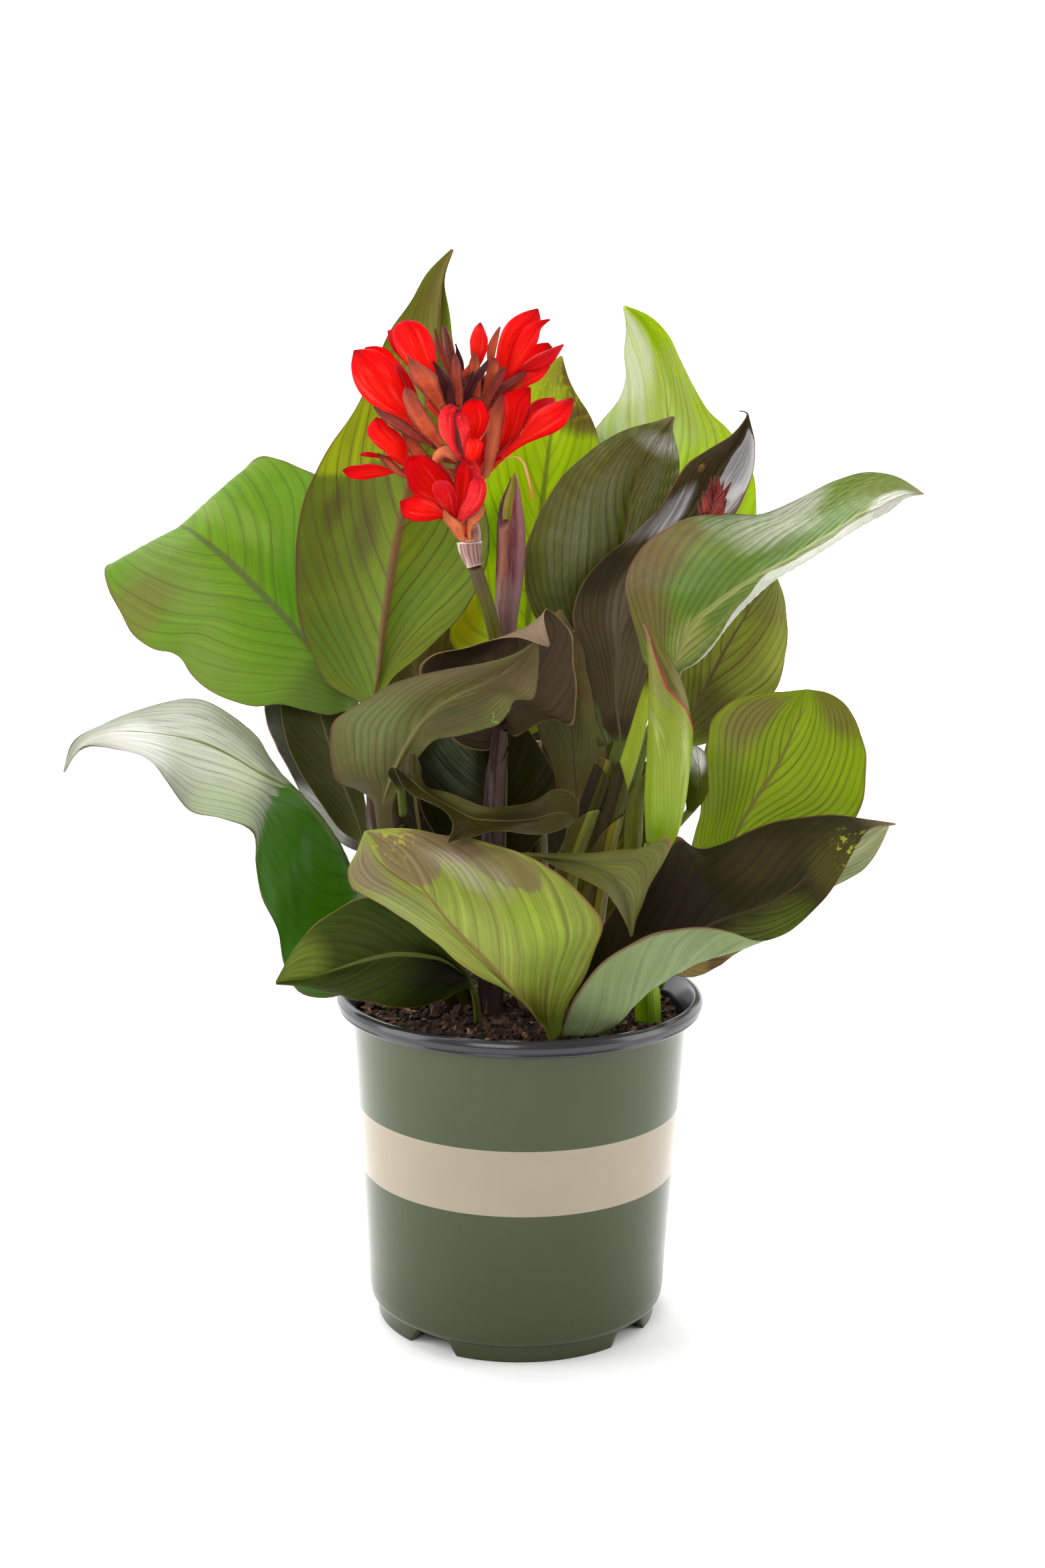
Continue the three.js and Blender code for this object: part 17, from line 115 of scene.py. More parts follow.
    ([-40.9,-12,557.8], [[[-46.3,-15.9,559.7],[-45.8,-16.2,559.9],[-45.3,-16.3,560.1],[-44.9,-16.2,560.3],[-44.4,-15.9,560.5]],[[-47.2,-17.5,563],[-46.4,-18,563.3],[-45.7,-18.2,563.6],[-44.9,-18,563.9],[-44.2,-17.5,564.2]],[[-48.3,-19,566.2],[-47.2,-19.9,566.6],[-46.2,-20.2,567],[-45.1,-19.9,567.4],[-44.1,-19,567.8]],[[-49.8,-20.5,569.2],[-48.3,-21.9,569.8],[-46.9,-22.3,570.3],[-45.5,-21.9,570.8],[-44.1,-20.5,571.3]],[[-51.2,-22,572.3],[-49.6,-23.5,572.9],[-48,-24,573.6],[-46.5,-23.5,574.2],[-45,-22,574.8]],[[-51.9,-23.5,575.5],[-50.5,-24.7,576.2],[-49.2,-25.1,576.8],[-47.8,-24.7,577.4],[-46.5,-23.5,578]],[[-52.7,-25,578.8],[-51.7,-25.7,579.3],[-50.7,-25.9,579.8],[-49.7,-25.7,580.3],[-48.8,-25,580.8]],[[-53.5,-26.5,582],[-53,-26.7,582.3],[-52.4,-26.8,582.6],[-51.9,-26.7,582.9],[-51.3,-26.5,583.3]],[[-54.7,-28,585.1],[-54.5,-28,585.2],[-54.3,-28,585.3],[-54.1,-28,585.4],[-53.9,-28,585.6]]]),
    ([-40.9,-12,557.4], [[[-45.5,-17.9,559.6],[-45.1,-18.2,559.7],[-44.7,-18.3,559.8],[-44.3,-18.2,559.8],[-43.9,-17.9,559.9]],[[-46.7,-19.5,561.7],[-46.1,-19.9,561.9],[-45.6,-20,562],[-45,-19.9,562.1],[-44.4,-19.5,562.2]],[[-47.8,-21,563.8],[-47.1,-21.6,564],[-46.4,-21.8,564.2],[-45.7,-21.6,564.5],[-45,-21,564.7]],[[-48.9,-22.5,565.9],[-48,-23.3,566.2],[-47.1,-23.6,566.5],[-46.3,-23.3,566.8],[-45.4,-22.5,567.1]],[[-49.8,-24,568],[-48.8,-24.9,568.4],[-47.8,-25.2,568.8],[-46.9,-24.9,569.2],[-46,-24,569.5]],[[-50.5,-25.5,570.2],[-49.6,-26.3,570.6],[-48.7,-26.5,571],[-47.8,-26.3,571.4],[-47,-25.5,571.8]],[[-51.2,-27,572.4],[-50.5,-27.5,572.8],[-49.8,-27.7,573.1],[-49.1,-27.5,573.5],[-48.4,-27,573.8]],[[-51.7,-28.5,574.7],[-51.3,-28.7,574.9],[-50.8,-28.7,575.2],[-50.4,-28.7,575.4],[-50,-28.5,575.6]],[[-52.4,-30,576.9],[-52.2,-30,577],[-52,-30,577.1],[-51.8,-30,577.2],[-51.5,-30,577.4]]]),
    ([-40.7,-12,555.8], [[[-45.4,-19.9,558.2],[-44.7,-20.3,558.2],[-44,-20.4,558.3],[-43.3,-20.3,558.3],[-42.7,-19.9,558.3]],[[-46.4,-22,560.1],[-45.4,-22.6,560.1],[-44.4,-22.8,560.2],[-43.4,-22.6,560.2],[-42.4,-22,560.2]],[[-46.8,-24,562],[-45.7,-24.9,562],[-44.5,-25.2,562.1],[-43.4,-24.9,562.1],[-42.3,-24,562.1]],[[-46.7,-26,564],[-45.6,-27,564],[-44.5,-27.3,564],[-43.4,-27,564.1],[-42.3,-26,564.1]],[[-46.5,-28,566],[-45.5,-28.9,566],[-44.5,-29.2,566],[-43.5,-28.9,566],[-42.5,-28,566]],[[-46.3,-30,568],[-45.3,-30.7,568],[-44.4,-31,567.9],[-43.5,-30.7,567.9],[-42.6,-30,567.9]],[[-45.7,-32,569.8],[-45,-32.5,569.8],[-44.3,-32.6,569.8],[-43.5,-32.5,569.8],[-42.8,-32,569.8]],[[-44.8,-34,571.6],[-44.3,-34.2,571.6],[-43.9,-34.2,571.6],[-43.4,-34.2,571.6],[-43,-34,571.6]],[[-43.9,-36,573.4],[-43.6,-36,573.4],[-43.4,-36,573.4],[-43.1,-36,573.4],[-42.9,-36,573.4]]]),
    ([-40.9,-12,557], [[[-38.1,-13.9,559.7],[-37.6,-14.3,559.6],[-37.1,-14.5,559.4],[-36.6,-14.3,559.2],[-36.1,-13.9,559]],[[-37.7,-16.6,563.8],[-36.8,-17.4,563.5],[-35.9,-17.7,563.1],[-35,-17.4,562.8],[-34.2,-16.6,562.4]],[[-36.8,-19.2,567.6],[-35.7,-20.5,567.2],[-34.5,-20.9,566.8],[-33.4,-20.5,566.4],[-32.3,-19.2,565.9]],[[-35.1,-21.7,571.3],[-33.9,-23.2,570.8],[-32.8,-23.6,570.4],[-31.6,-23.2,569.9],[-30.5,-21.7,569.4]],[[-33.1,-24,574.8],[-32,-25.4,574.3],[-30.9,-25.9,573.9],[-29.9,-25.4,573.4],[-28.8,-24,572.9]],[[-30.9,-26.2,578.1],[-29.8,-27.5,577.6],[-28.7,-27.9,577.1],[-27.6,-27.5,576.6],[-26.6,-26.2,576.1]],[[-28.4,-28.2,581.2],[-27.4,-29.2,580.7],[-26.3,-29.5,580.2],[-25.3,-29.2,579.7],[-24.3,-28.2,579.2]],[[-25.7,-30.1,584.1],[-25,-30.5,583.7],[-24.4,-30.6,583.4],[-23.7,-30.5,583.1],[-23.1,-30.1,582.7]],[[-23,-32,586.8],[-22.8,-32,586.7],[-22.6,-32,586.6],[-22.4,-32,586.5],[-22.1,-32,586.4]]]),
    ([-41,-12,558.5], [[[-37.7,-16.9,561.3],[-37.4,-17.2,561.1],[-37,-17.2,561],[-36.7,-17.2,560.9],[-36.4,-16.9,560.7]],[[-37.5,-19.1,563.9],[-37.1,-19.4,563.7],[-36.6,-19.5,563.5],[-36.2,-19.4,563.3],[-35.8,-19.1,563.1]],[[-37.2,-21.2,566.4],[-36.6,-21.7,566.2],[-36.1,-21.9,566],[-35.5,-21.7,565.8],[-35,-21.2,565.6]],[[-36.8,-23.4,568.9],[-36.1,-24,568.7],[-35.4,-24.2,568.5],[-34.8,-24,568.3],[-34.1,-23.4,568]],[[-36.2,-25.5,571.4],[-35.4,-26.2,571.2],[-34.7,-26.5,570.9],[-33.9,-26.2,570.7],[-33.2,-25.5,570.4]],[[-35.4,-27.6,573.8],[-34.5,-28.4,573.6],[-33.6,-28.6,573.3],[-32.8,-28.4,573],[-31.9,-27.6,572.7]],[[-34.4,-29.8,576],[-33.5,-30.3,575.8],[-32.6,-30.5,575.6],[-31.7,-30.3,575.3],[-30.9,-29.8,575.1]],[[-33,-31.9,578.1],[-32.4,-32.1,578],[-31.9,-32.2,577.8],[-31.4,-32.1,577.7],[-30.8,-31.9,577.5]],[[-31.6,-34,580.2],[-31.4,-34,580.1],[-31.1,-34,580.1],[-30.9,-34,580],[-30.6,-34,579.9]]]),
    ([-42.6,-12,571.4], [[[-23.7,-7.9,574],[-23.1,-8.3,573.9],[-22.5,-8.4,573.9],[-22,-8.3,573.8],[-21.4,-7.9,573.8]],[[-23.6,-9,578.1],[-22.9,-9.4,578],[-22.3,-9.6,578],[-21.6,-9.4,577.9],[-20.9,-9,577.9]],[[-23.6,-10,582.3],[-22.8,-10.7,582.2],[-22,-10.9,582.1],[-21.1,-10.7,581.9],[-20.3,-10,581.8]],[[-23.7,-11,586.5],[-22.7,-11.9,586.3],[-21.7,-12.2,586.1],[-20.7,-11.9,586],[-19.7,-11,585.8]],[[-23.8,-12,590.7],[-22.6,-13.1,590.5],[-21.3,-13.5,590.2],[-20.1,-13.1,589.9],[-18.9,-12,589.7]],[[-23.2,-13,594.8],[-21.9,-14.1,594.5],[-20.6,-14.4,594.2],[-19.4,-14.1,593.9],[-18.1,-13,593.6]],[[-21.5,-14,598.7],[-20.4,-14.7,598.4],[-19.3,-15,598.1],[-18.2,-14.7,597.7],[-17.2,-14,597.4]],[[-19.3,-15,602.2],[-18.6,-15.3,602],[-17.9,-15.4,601.7],[-17.2,-15.3,601.5],[-16.5,-15,601.3]],[[-16.8,-16,605.5],[-16.5,-16,605.4],[-16.3,-16,605.3],[-16,-16,605.2],[-15.8,-16,605.1]]]),
    ([-41.9,-12,566.3], [[[-32,-11.9,569],[-31.4,-12.3,568.9],[-30.9,-12.5,568.8],[-30.4,-12.3,568.7],[-29.9,-11.9,568.5]],[[-32.5,-13.2,571.9],[-31.6,-14,571.8],[-30.7,-14.2,571.6],[-29.8,-14,571.4],[-28.9,-13.2,571.2]],[[-33.2,-14.5,574.7],[-31.9,-15.9,574.5],[-30.6,-16.3,574.4],[-29.3,-15.9,574.2],[-28.1,-14.5,574.1]],[[-34.2,-15.8,577.4],[-32.5,-17.7,577.3],[-30.8,-18.3,577.2],[-29.2,-17.7,577.1],[-27.6,-15.8,577]],[[-34.3,-17,580.1],[-32.6,-19,580.1],[-30.9,-19.7,580],[-29.2,-19,579.9],[-27.6,-17,579.9]],[[-34,-18.2,583],[-32.4,-20,582.9],[-30.8,-20.6,582.9],[-29.1,-20,582.8],[-27.6,-18.2,582.8]],[[-33.6,-19.5,585.7],[-32.2,-20.7,585.7],[-30.7,-21.1,585.6],[-29.3,-20.7,585.6],[-27.9,-19.5,585.6]],[[-32.5,-20.8,588.3],[-31.6,-21.2,588.3],[-30.7,-21.4,588.3],[-29.8,-21.2,588.3],[-29,-20.8,588.3]],[[-31.2,-22,590.8],[-30.9,-22,590.8],[-30.7,-22,590.8],[-30.4,-22,590.8],[-30.2,-22,590.8]]]),
    ([-40.7,-12,555.8], [[[-26.2,-13.9,558.5],[-25.6,-14.3,558.5],[-25.1,-14.5,558.4],[-24.5,-14.3,558.3],[-23.9,-13.9,558.2]],[[-26.1,-16,562],[-25.1,-16.8,561.8],[-24,-17.1,561.7],[-23,-16.8,561.5],[-22.1,-16,561.3]],[[-24.6,-18,565],[-23.5,-19.1,564.8],[-22.5,-19.5,564.7],[-21.4,-19.1,564.5],[-20.4,-18,564.4]],[[-22.2,-20,567.8],[-21.3,-21,567.7],[-20.5,-21.4,567.6],[-19.6,-21,567.5],[-18.8,-20,567.4]],[[-20.5,-22,571],[-19.6,-23.1,570.8],[-18.7,-23.4,570.7],[-17.8,-23.1,570.5],[-16.9,-22,570.3]],[[-18.8,-24,574.1],[-17.8,-25,573.9],[-16.9,-25.4,573.7],[-16,-25,573.5],[-15,-24,573.3]],[[-17,-26,577.2],[-16.2,-26.7,577],[-15.4,-26.9,576.7],[-14.6,-26.7,576.5],[-13.9,-26,576.3]],[[-15,-28,580.1],[-14.5,-28.3,580],[-14.1,-28.3,579.9],[-13.6,-28.3,579.7],[-13.1,-28,579.6]],[[-13.4,-30,583.1],[-13.1,-30,583.1],[-12.9,-30,583],[-12.6,-30,582.9],[-12.4,-30,582.9]]]),
    ([-41,-12,558.1], [[[-27.2,-8.8,560.4],[-26.5,-9.5,560.5],[-25.8,-9.7,560.6],[-25.2,-9.5,560.6],[-24.6,-8.8,560.7]],[[-26.9,-9.9,564.2],[-26.2,-10.6,564.3],[-25.5,-10.8,564.4],[-24.9,-10.6,564.4],[-24.2,-9.9,564.5]],[[-26.5,-10.8,567.9],[-25.7,-11.8,568],[-24.9,-12.1,568.1],[-24.1,-11.8,568.1],[-23.4,-10.8,568.2]],[[-25.9,-11.6,571.5],[-24.9,-13,571.5],[-24,-13.4,571.6],[-23.1,-13,571.6],[-22.2,-11.6,571.6]],[[-25,-12.5,575.1],[-23.6,-14.4,575],[-22.4,-15,574.9],[-21.1,-14.4,574.8],[-19.8,-12.5,574.7]],[[-24.1,-13.4,578.6],[-22.5,-15.5,578.5],[-21,-16.2,578.3],[-19.4,-15.5,578.1],[-17.8,-13.4,577.9]],[[-23.7,-14.2,582.4],[-21.9,-16.1,582.2],[-20.1,-16.8,582],[-18.4,-16.1,581.8],[-16.6,-14.2,581.5]],[[-22.8,-15.1,585.7],[-21.3,-16.1,585.5],[-19.8,-16.4,585.3],[-18.4,-16.1,585.2],[-16.9,-15.1,585]],[[-20.1,-16,588.3],[-19.9,-16,588.2],[-19.6,-16,588.2],[-19.4,-16,588.2],[-19.1,-16,588.1]]]),
    ([-38.8,-12,536.7], [[[-29.3,-29.9,539.8],[-28.7,-30.2,539.8],[-28.2,-30.2,539.9],[-27.6,-30.2,539.9],[-27.1,-29.9,540]],[[-28.5,-31.8,541.5],[-27.8,-32,541.6],[-27.2,-32.1,541.6],[-26.6,-32,541.7],[-26,-31.8,541.8]],[[-27.7,-33.5,543.4],[-27,-33.9,543.4],[-26.3,-34,543.4],[-25.6,-33.9,543.4],[-24.9,-33.5,543.3]],[[-26.8,-35.2,545.3],[-26.1,-35.7,545.2],[-25.4,-35.8,545.1],[-24.7,-35.7,545.1],[-24,-35.2,545]],[[-26,-37,547.2],[-25.2,-37.4,547],[-24.5,-37.6,546.9],[-23.8,-37.4,546.8],[-23.1,-37,546.7]],[[-25,-38.8,549],[-24.3,-39.1,548.8],[-23.6,-39.3,548.7],[-23,-39.1,548.6],[-22.3,-38.8,548.4]],[[-23.9,-40.5,550.7],[-23.4,-40.7,550.6],[-22.8,-40.8,550.4],[-22.3,-40.7,550.3],[-21.7,-40.5,550.2]],[[-22.7,-42.2,552.4],[-22.4,-42.3,552.3],[-22,-42.4,552.2],[-21.7,-42.3,552.1],[-21.4,-42.2,552]],[[-21.8,-44,554],[-21.5,-44,554],[-21.3,-44,553.9],[-21.1,-44,553.8],[-20.8,-44,553.8]]]),
    ([-33.3,-12,483.8], [[[-35.6,-23.9,481.8],[-35.1,-24.4,482.1],[-34.6,-24.5,482.5],[-34,-24.4,482.8],[-33.5,-23.9,483]],[[-38.5,-27.2,483.2],[-37.7,-28,483.7],[-36.9,-28.3,484.2],[-36.1,-28,484.7],[-35.3,-27.2,485.1]],[[-40.5,-30.5,485.1],[-39.3,-32,486],[-38.1,-32.5,486.9],[-36.9,-32,487.6],[-35.8,-30.5,488.3]],[[-42.1,-33.8,487.9],[-40.5,-35.8,489],[-39,-36.5,490],[-37.5,-35.8,490.8],[-36.1,-33.8,491.6]],[[-43.6,-37,490.8],[-41.9,-39.2,491.8],[-40.3,-39.9,492.6],[-38.7,-39.2,493.4],[-37.1,-37,494.1]],[[-45.5,-40.2,493.3],[-43.9,-42,494.2],[-42.4,-42.6,494.9],[-41,-42,495.5],[-39.5,-40.2,496.1]],[[-47.1,-43.5,496],[-45.8,-44.7,496.6],[-44.5,-45,497.1],[-43.3,-44.7,497.6],[-42.1,-43.5,498.1]],[[-47.4,-46.8,498.8],[-46.6,-47.2,499.2],[-45.8,-47.3,499.5],[-45,-47.2,499.8],[-44.3,-46.8,500.1]],[[-47.1,-50,501.8],[-46.9,-50,501.9],[-46.7,-50,502],[-46.5,-50,502.1],[-46.2,-50,502.2]]]),
    ([-33.3,-12,483.8], [[[-33.8,-19.9,481.9],[-33.3,-20.2,481.9],[-32.8,-20.3,482],[-32.2,-20.2,482],[-31.7,-19.9,482]],[[-34.2,-22.5,485.4],[-33.6,-22.9,485.4],[-32.9,-23,485.5],[-32.3,-22.9,485.5],[-31.7,-22.5,485.5]],[[-34.4,-25,488.8],[-33.7,-25.5,488.8],[-33,-25.7,488.7],[-32.3,-25.5,488.7],[-31.7,-25,488.6]],[[-34.4,-27.5,492.3],[-33.5,-28.3,492.1],[-32.7,-28.5,491.8],[-31.8,-28.3,491.5],[-31,-27.5,491.1]],[[-34.1,-30,495.4],[-32.6,-31.3,495],[-31.2,-31.8,494.5],[-29.8,-31.3,493.9],[-28.4,-30,493.3]],[[-31.3,-32.5,497.4],[-30.1,-33.6,497],[-28.8,-33.9,496.7],[-27.6,-33.6,496.3],[-26.3,-32.5,495.8]],[[-28.3,-35,499.4],[-27.4,-35.6,499.2],[-26.5,-35.8,499],[-25.6,-35.6,498.8],[-24.8,-35,498.5]],[[-26.1,-37.5,501.9],[-25.6,-37.7,501.8],[-25,-37.8,501.7],[-24.5,-37.7,501.5],[-23.9,-37.5,501.4]],[[-24.4,-40,504.8],[-24.1,-40,504.7],[-23.9,-40,504.7],[-23.6,-40,504.6],[-23.4,-40,504.6]]]),
    ([-33.3,-12,483.8], [[[-33.2,-15.6,481.3],[-31.5,-17,481.5],[-29.9,-17.4,481.6],[-28.2,-17,481.6],[-26.6,-15.6,481.6]],[[-33.1,-16.2,483],[-31.4,-17.6,483.2],[-29.8,-18,483.3],[-28.1,-17.6,483.4],[-26.4,-16.2,483.3]],[[-32.9,-16.5,484.8],[-31.3,-18.2,485],[-29.6,-18.8,485.1],[-28,-18.2,485.1],[-26.4,-16.5,485]],[[-32.7,-16.8,486.5],[-31.1,-18.6,486.7],[-29.5,-19.2,486.8],[-27.9,-18.6,486.8],[-26.4,-16.8,486.6]],[[-32.3,-17,488.2],[-30.8,-18.7,488.3],[-29.4,-19.2,488.4],[-28,-18.7,488.4],[-26.6,-17,488.3]],[[-31.7,-17.2,489.8],[-30.4,-18.5,489.9],[-29.2,-18.9,490],[-28.1,-18.5,490],[-26.9,-17.2,489.9]],[[-30.9,-17.5,491.4],[-30,-18.2,491.5],[-29.1,-18.5,491.5],[-28.2,-18.2,491.5],[-27.3,-17.5,491.5]],[[-30,-17.8,493],[-29.5,-18,493],[-29,-18.1,493],[-28.4,-18,493],[-27.9,-17.8,493]],[[-29.4,-18,494.4],[-29.2,-18,494.4],[-28.9,-18,494.5],[-28.7,-18,494.5],[-28.4,-18,494.5]]]),
    ([-41.1,-12,559.1], [[[-30.7,-11.8,561.5],[-29.7,-12.4,561.5],[-28.7,-12.6,561.5],[-27.8,-12.4,561.6],[-26.8,-11.8,561.6]],[[-31.6,-13,565.2],[-30.4,-13.7,565.2],[-29.2,-14,565.3],[-28,-13.7,565.3],[-26.8,-13,565.3]],[[-32.4,-14,568.9],[-31,-15.1,569],[-29.6,-15.5,569],[-28.2,-15.1,569],[-26.8,-14,569.1]],[[-33,-15,572.6],[-31.4,-16.4,572.7],[-29.9,-16.8,572.7],[-28.3,-16.4,572.8],[-26.8,-15,572.8]],[[-33.4,-16,576.4],[-31.8,-17.4,576.4],[-30.2,-17.9,576.5],[-28.6,-17.4,576.5],[-27,-16,576.5]],[[-33.7,-17,580.2],[-32.1,-18.3,580.2],[-30.5,-18.7,580.2],[-29,-18.3,580.2],[-27.4,-17,580.2]],[[-33.7,-18,583.8],[-32.2,-18.9,583.8],[-30.8,-19.2,583.9],[-29.4,-18.9,583.9],[-28,-18,583.9]],[[-32.6,-19,587.4],[-31.7,-19.3,587.4],[-30.8,-19.5,587.4],[-29.9,-19.3,587.4],[-29.1,-19,587.4]],[[-31.1,-20,590.9],[-30.8,-20,590.9],[-30.6,-20,590.9],[-30.3,-20,590.9],[-30.1,-20,590.9]]]),
    ([-41.1,-12,558.8], [[[-26.9,-5.7,561.1],[-25.3,-6.7,561.1],[-23.8,-7,561.2],[-22.3,-6.7,561.2],[-20.7,-5.7,561.2]],[[-26.5,-6.8,564.6],[-24.8,-7.7,564.7],[-23.2,-8.1,564.7],[-21.6,-7.7,564.7],[-20,-6.8,564.7]],[[-26,-7.5,568.1],[-24.3,-8.8,568.2],[-22.7,-9.2,568.2],[-21,-8.8,568.2],[-19.4,-7.5,568.3]],[[-25.4,-8.2,571.6],[-23.7,-9.7,571.6],[-22.1,-10.1,571.7],[-20.5,-9.7,571.8],[-18.9,-8.2,571.8]],[[-24.6,-9,575],[-23.1,-10.3,575.1],[-21.5,-10.8,575.2],[-20.1,-10.3,575.3],[-18.6,-9,575.4]],[[-23.7,-9.8,578.4],[-22.3,-10.8,578.5],[-21,-11.2,578.7],[-19.6,-10.8,578.8],[-18.3,-9.8,579]],[[-22.9,-10.5,581.8],[-21.7,-11.3,582],[-20.5,-11.5,582.1],[-19.4,-11.3,582.3],[-18.2,-10.5,582.4]],[[-22.3,-11.2,585.2],[-21.6,-11.5,585.3],[-20.8,-11.6,585.5],[-20.1,-11.5,585.6],[-19.3,-11.2,585.7]],[[-22.1,-12,588.7],[-21.9,-12,588.7],[-21.6,-12,588.7],[-21.4,-12,588.8],[-21.1,-12,588.8]]]),
    ([-41.2,-12,559.9], [[[-25.7,-15.8,563],[-24.7,-16.4,562.7],[-23.7,-16.7,562.5],[-22.7,-16.4,562.2],[-21.7,-15.8,561.9]],[[-24.8,-16.8,565.8],[-23.7,-17.5,565.5],[-22.5,-17.7,565.2],[-21.4,-17.5,564.9],[-20.3,-16.8,564.6]],[[-23.8,-17.5,568.6],[-22.6,-18.5,568.3],[-21.3,-18.8,567.9],[-20.1,-18.5,567.5],[-18.9,-17.5,567.1]],[[-22.6,-18.2,571.4],[-21.3,-19.4,571],[-20.1,-19.8,570.6],[-18.9,-19.4,570.1],[-17.7,-18.2,569.7]],[[-21.2,-19,574.1],[-20.1,-20.1,573.7],[-18.9,-20.5,573.2],[-17.8,-20.1,572.7],[-16.6,-19,572.3]],[[-19.7,-19.8,576.8],[-18.7,-20.7,576.3],[-17.6,-21,575.8],[-16.6,-20.7,575.4],[-15.6,-19.8,574.9]],[[-17.9,-20.5,579.2],[-17.1,-21.1,578.8],[-16.3,-21.3,578.4],[-15.5,-21.1,578],[-14.7,-20.5,577.5]],[[-15.9,-21.2,581.4],[-15.4,-21.5,581.1],[-14.9,-21.6,580.8],[-14.4,-21.5,580.5],[-13.9,-21.2,580.2]],[[-13.7,-22,583.3],[-13.5,-22,583.2],[-13.3,-22,583.1],[-13.1,-22,582.9],[-12.8,-22,582.8]]]),
    ([-40.9,-12,557.6], [[[-21.5,-9.8,562.5],[-20.8,-10.6,561.3],[-20.1,-10.9,560.1],[-19.4,-10.6,558.9],[-18.8,-9.8,557.7]],[[-20,-10.5,565.8],[-19.3,-11.4,564.7],[-18.6,-11.6,563.4],[-18,-11.4,562.2],[-17.3,-10.5,561]],[[-18.1,-11,568.7],[-17.5,-12,567.6],[-16.9,-12.4,566.5],[-16.2,-12,565.4],[-15.6,-11,564.2]],[[-16,-11.5,571.3],[-15.4,-12.6,570.3],[-14.8,-12.9,569.2],[-14.2,-12.6,568.2],[-13.6,-11.5,567.1]],[[-13.6,-12,573.7],[-13,-13.1,572.7],[-12.3,-13.5,571.6],[-11.7,-13.1,570.6],[-11.1,-12,569.5]],[[-10.9,-12.5,575.9],[-10.2,-13.5,574.8],[-9.5,-13.9,573.8],[-8.8,-13.5,572.8],[-8.1,-12.5,571.7]],[[-8.1,-13,577.7],[-7.4,-13.7,576.8],[-6.8,-13.9,576],[-6.2,-13.7,575.1],[-5.6,-13,574.2]],[[-5.1,-13.5,579.3],[-4.7,-13.8,578.8],[-4.3,-13.9,578.2],[-3.8,-13.8,577.6],[-3.4,-13.5,577.1]],[[-2,-14,580.8],[-1.9,-14,580.6],[-1.8,-14,580.4],[-1.6,-14,580.2],[-1.5,-14,580]]]),
    ([-40.5,-12,553.5], [[[-38,-2.8,555.3],[-33,-3.7,555.5],[-28,-4,555.7],[-23,-3.7,555.9],[-18.1,-2.8,556.1]],[[-38.5,-3.2,558.9],[-33.1,-4.3,559.2],[-27.7,-4.6,559.4],[-22.3,-4.3,559.6],[-16.9,-3.2,559.8]],[[-38.8,-3.5,562.3],[-33.2,-4.8,562.7],[-27.6,-5.3,563],[-22.1,-4.8,563.4],[-16.6,-3.5,563.7]],[[-38.8,-3.8,565.7],[-33.4,-5.2,566.2],[-28,-5.7,566.7],[-22.5,-5.2,567.1],[-17.2,-3.8,567.6]],[[-38.7,-4,569.1],[-33.7,-5.5,569.7],[-28.8,-6,570.3],[-23.9,-5.5,570.8],[-19,-4,571.3]],[[-38.4,-4.2,572.4],[-34.1,-5.6,573],[-29.7,-6,573.5],[-25.4,-5.6,574],[-21.1,-4.2,574.5]],[[-37.6,-4.5,575.6],[-34.1,-5.6,576],[-30.6,-5.9,576.4],[-27.2,-5.6,576.8],[-23.8,-4.5,577.2]],[[-35.9,-4.8,578.6],[-33.7,-5.3,578.8],[-31.5,-5.5,579.1],[-29.3,-5.3,579.4],[-27.1,-4.8,579.6]],[[-33.8,-5,581.5],[-33.1,-5,581.5],[-32.4,-5,581.5],[-31.7,-5,581.5],[-31,-5,581.5]]]),
]
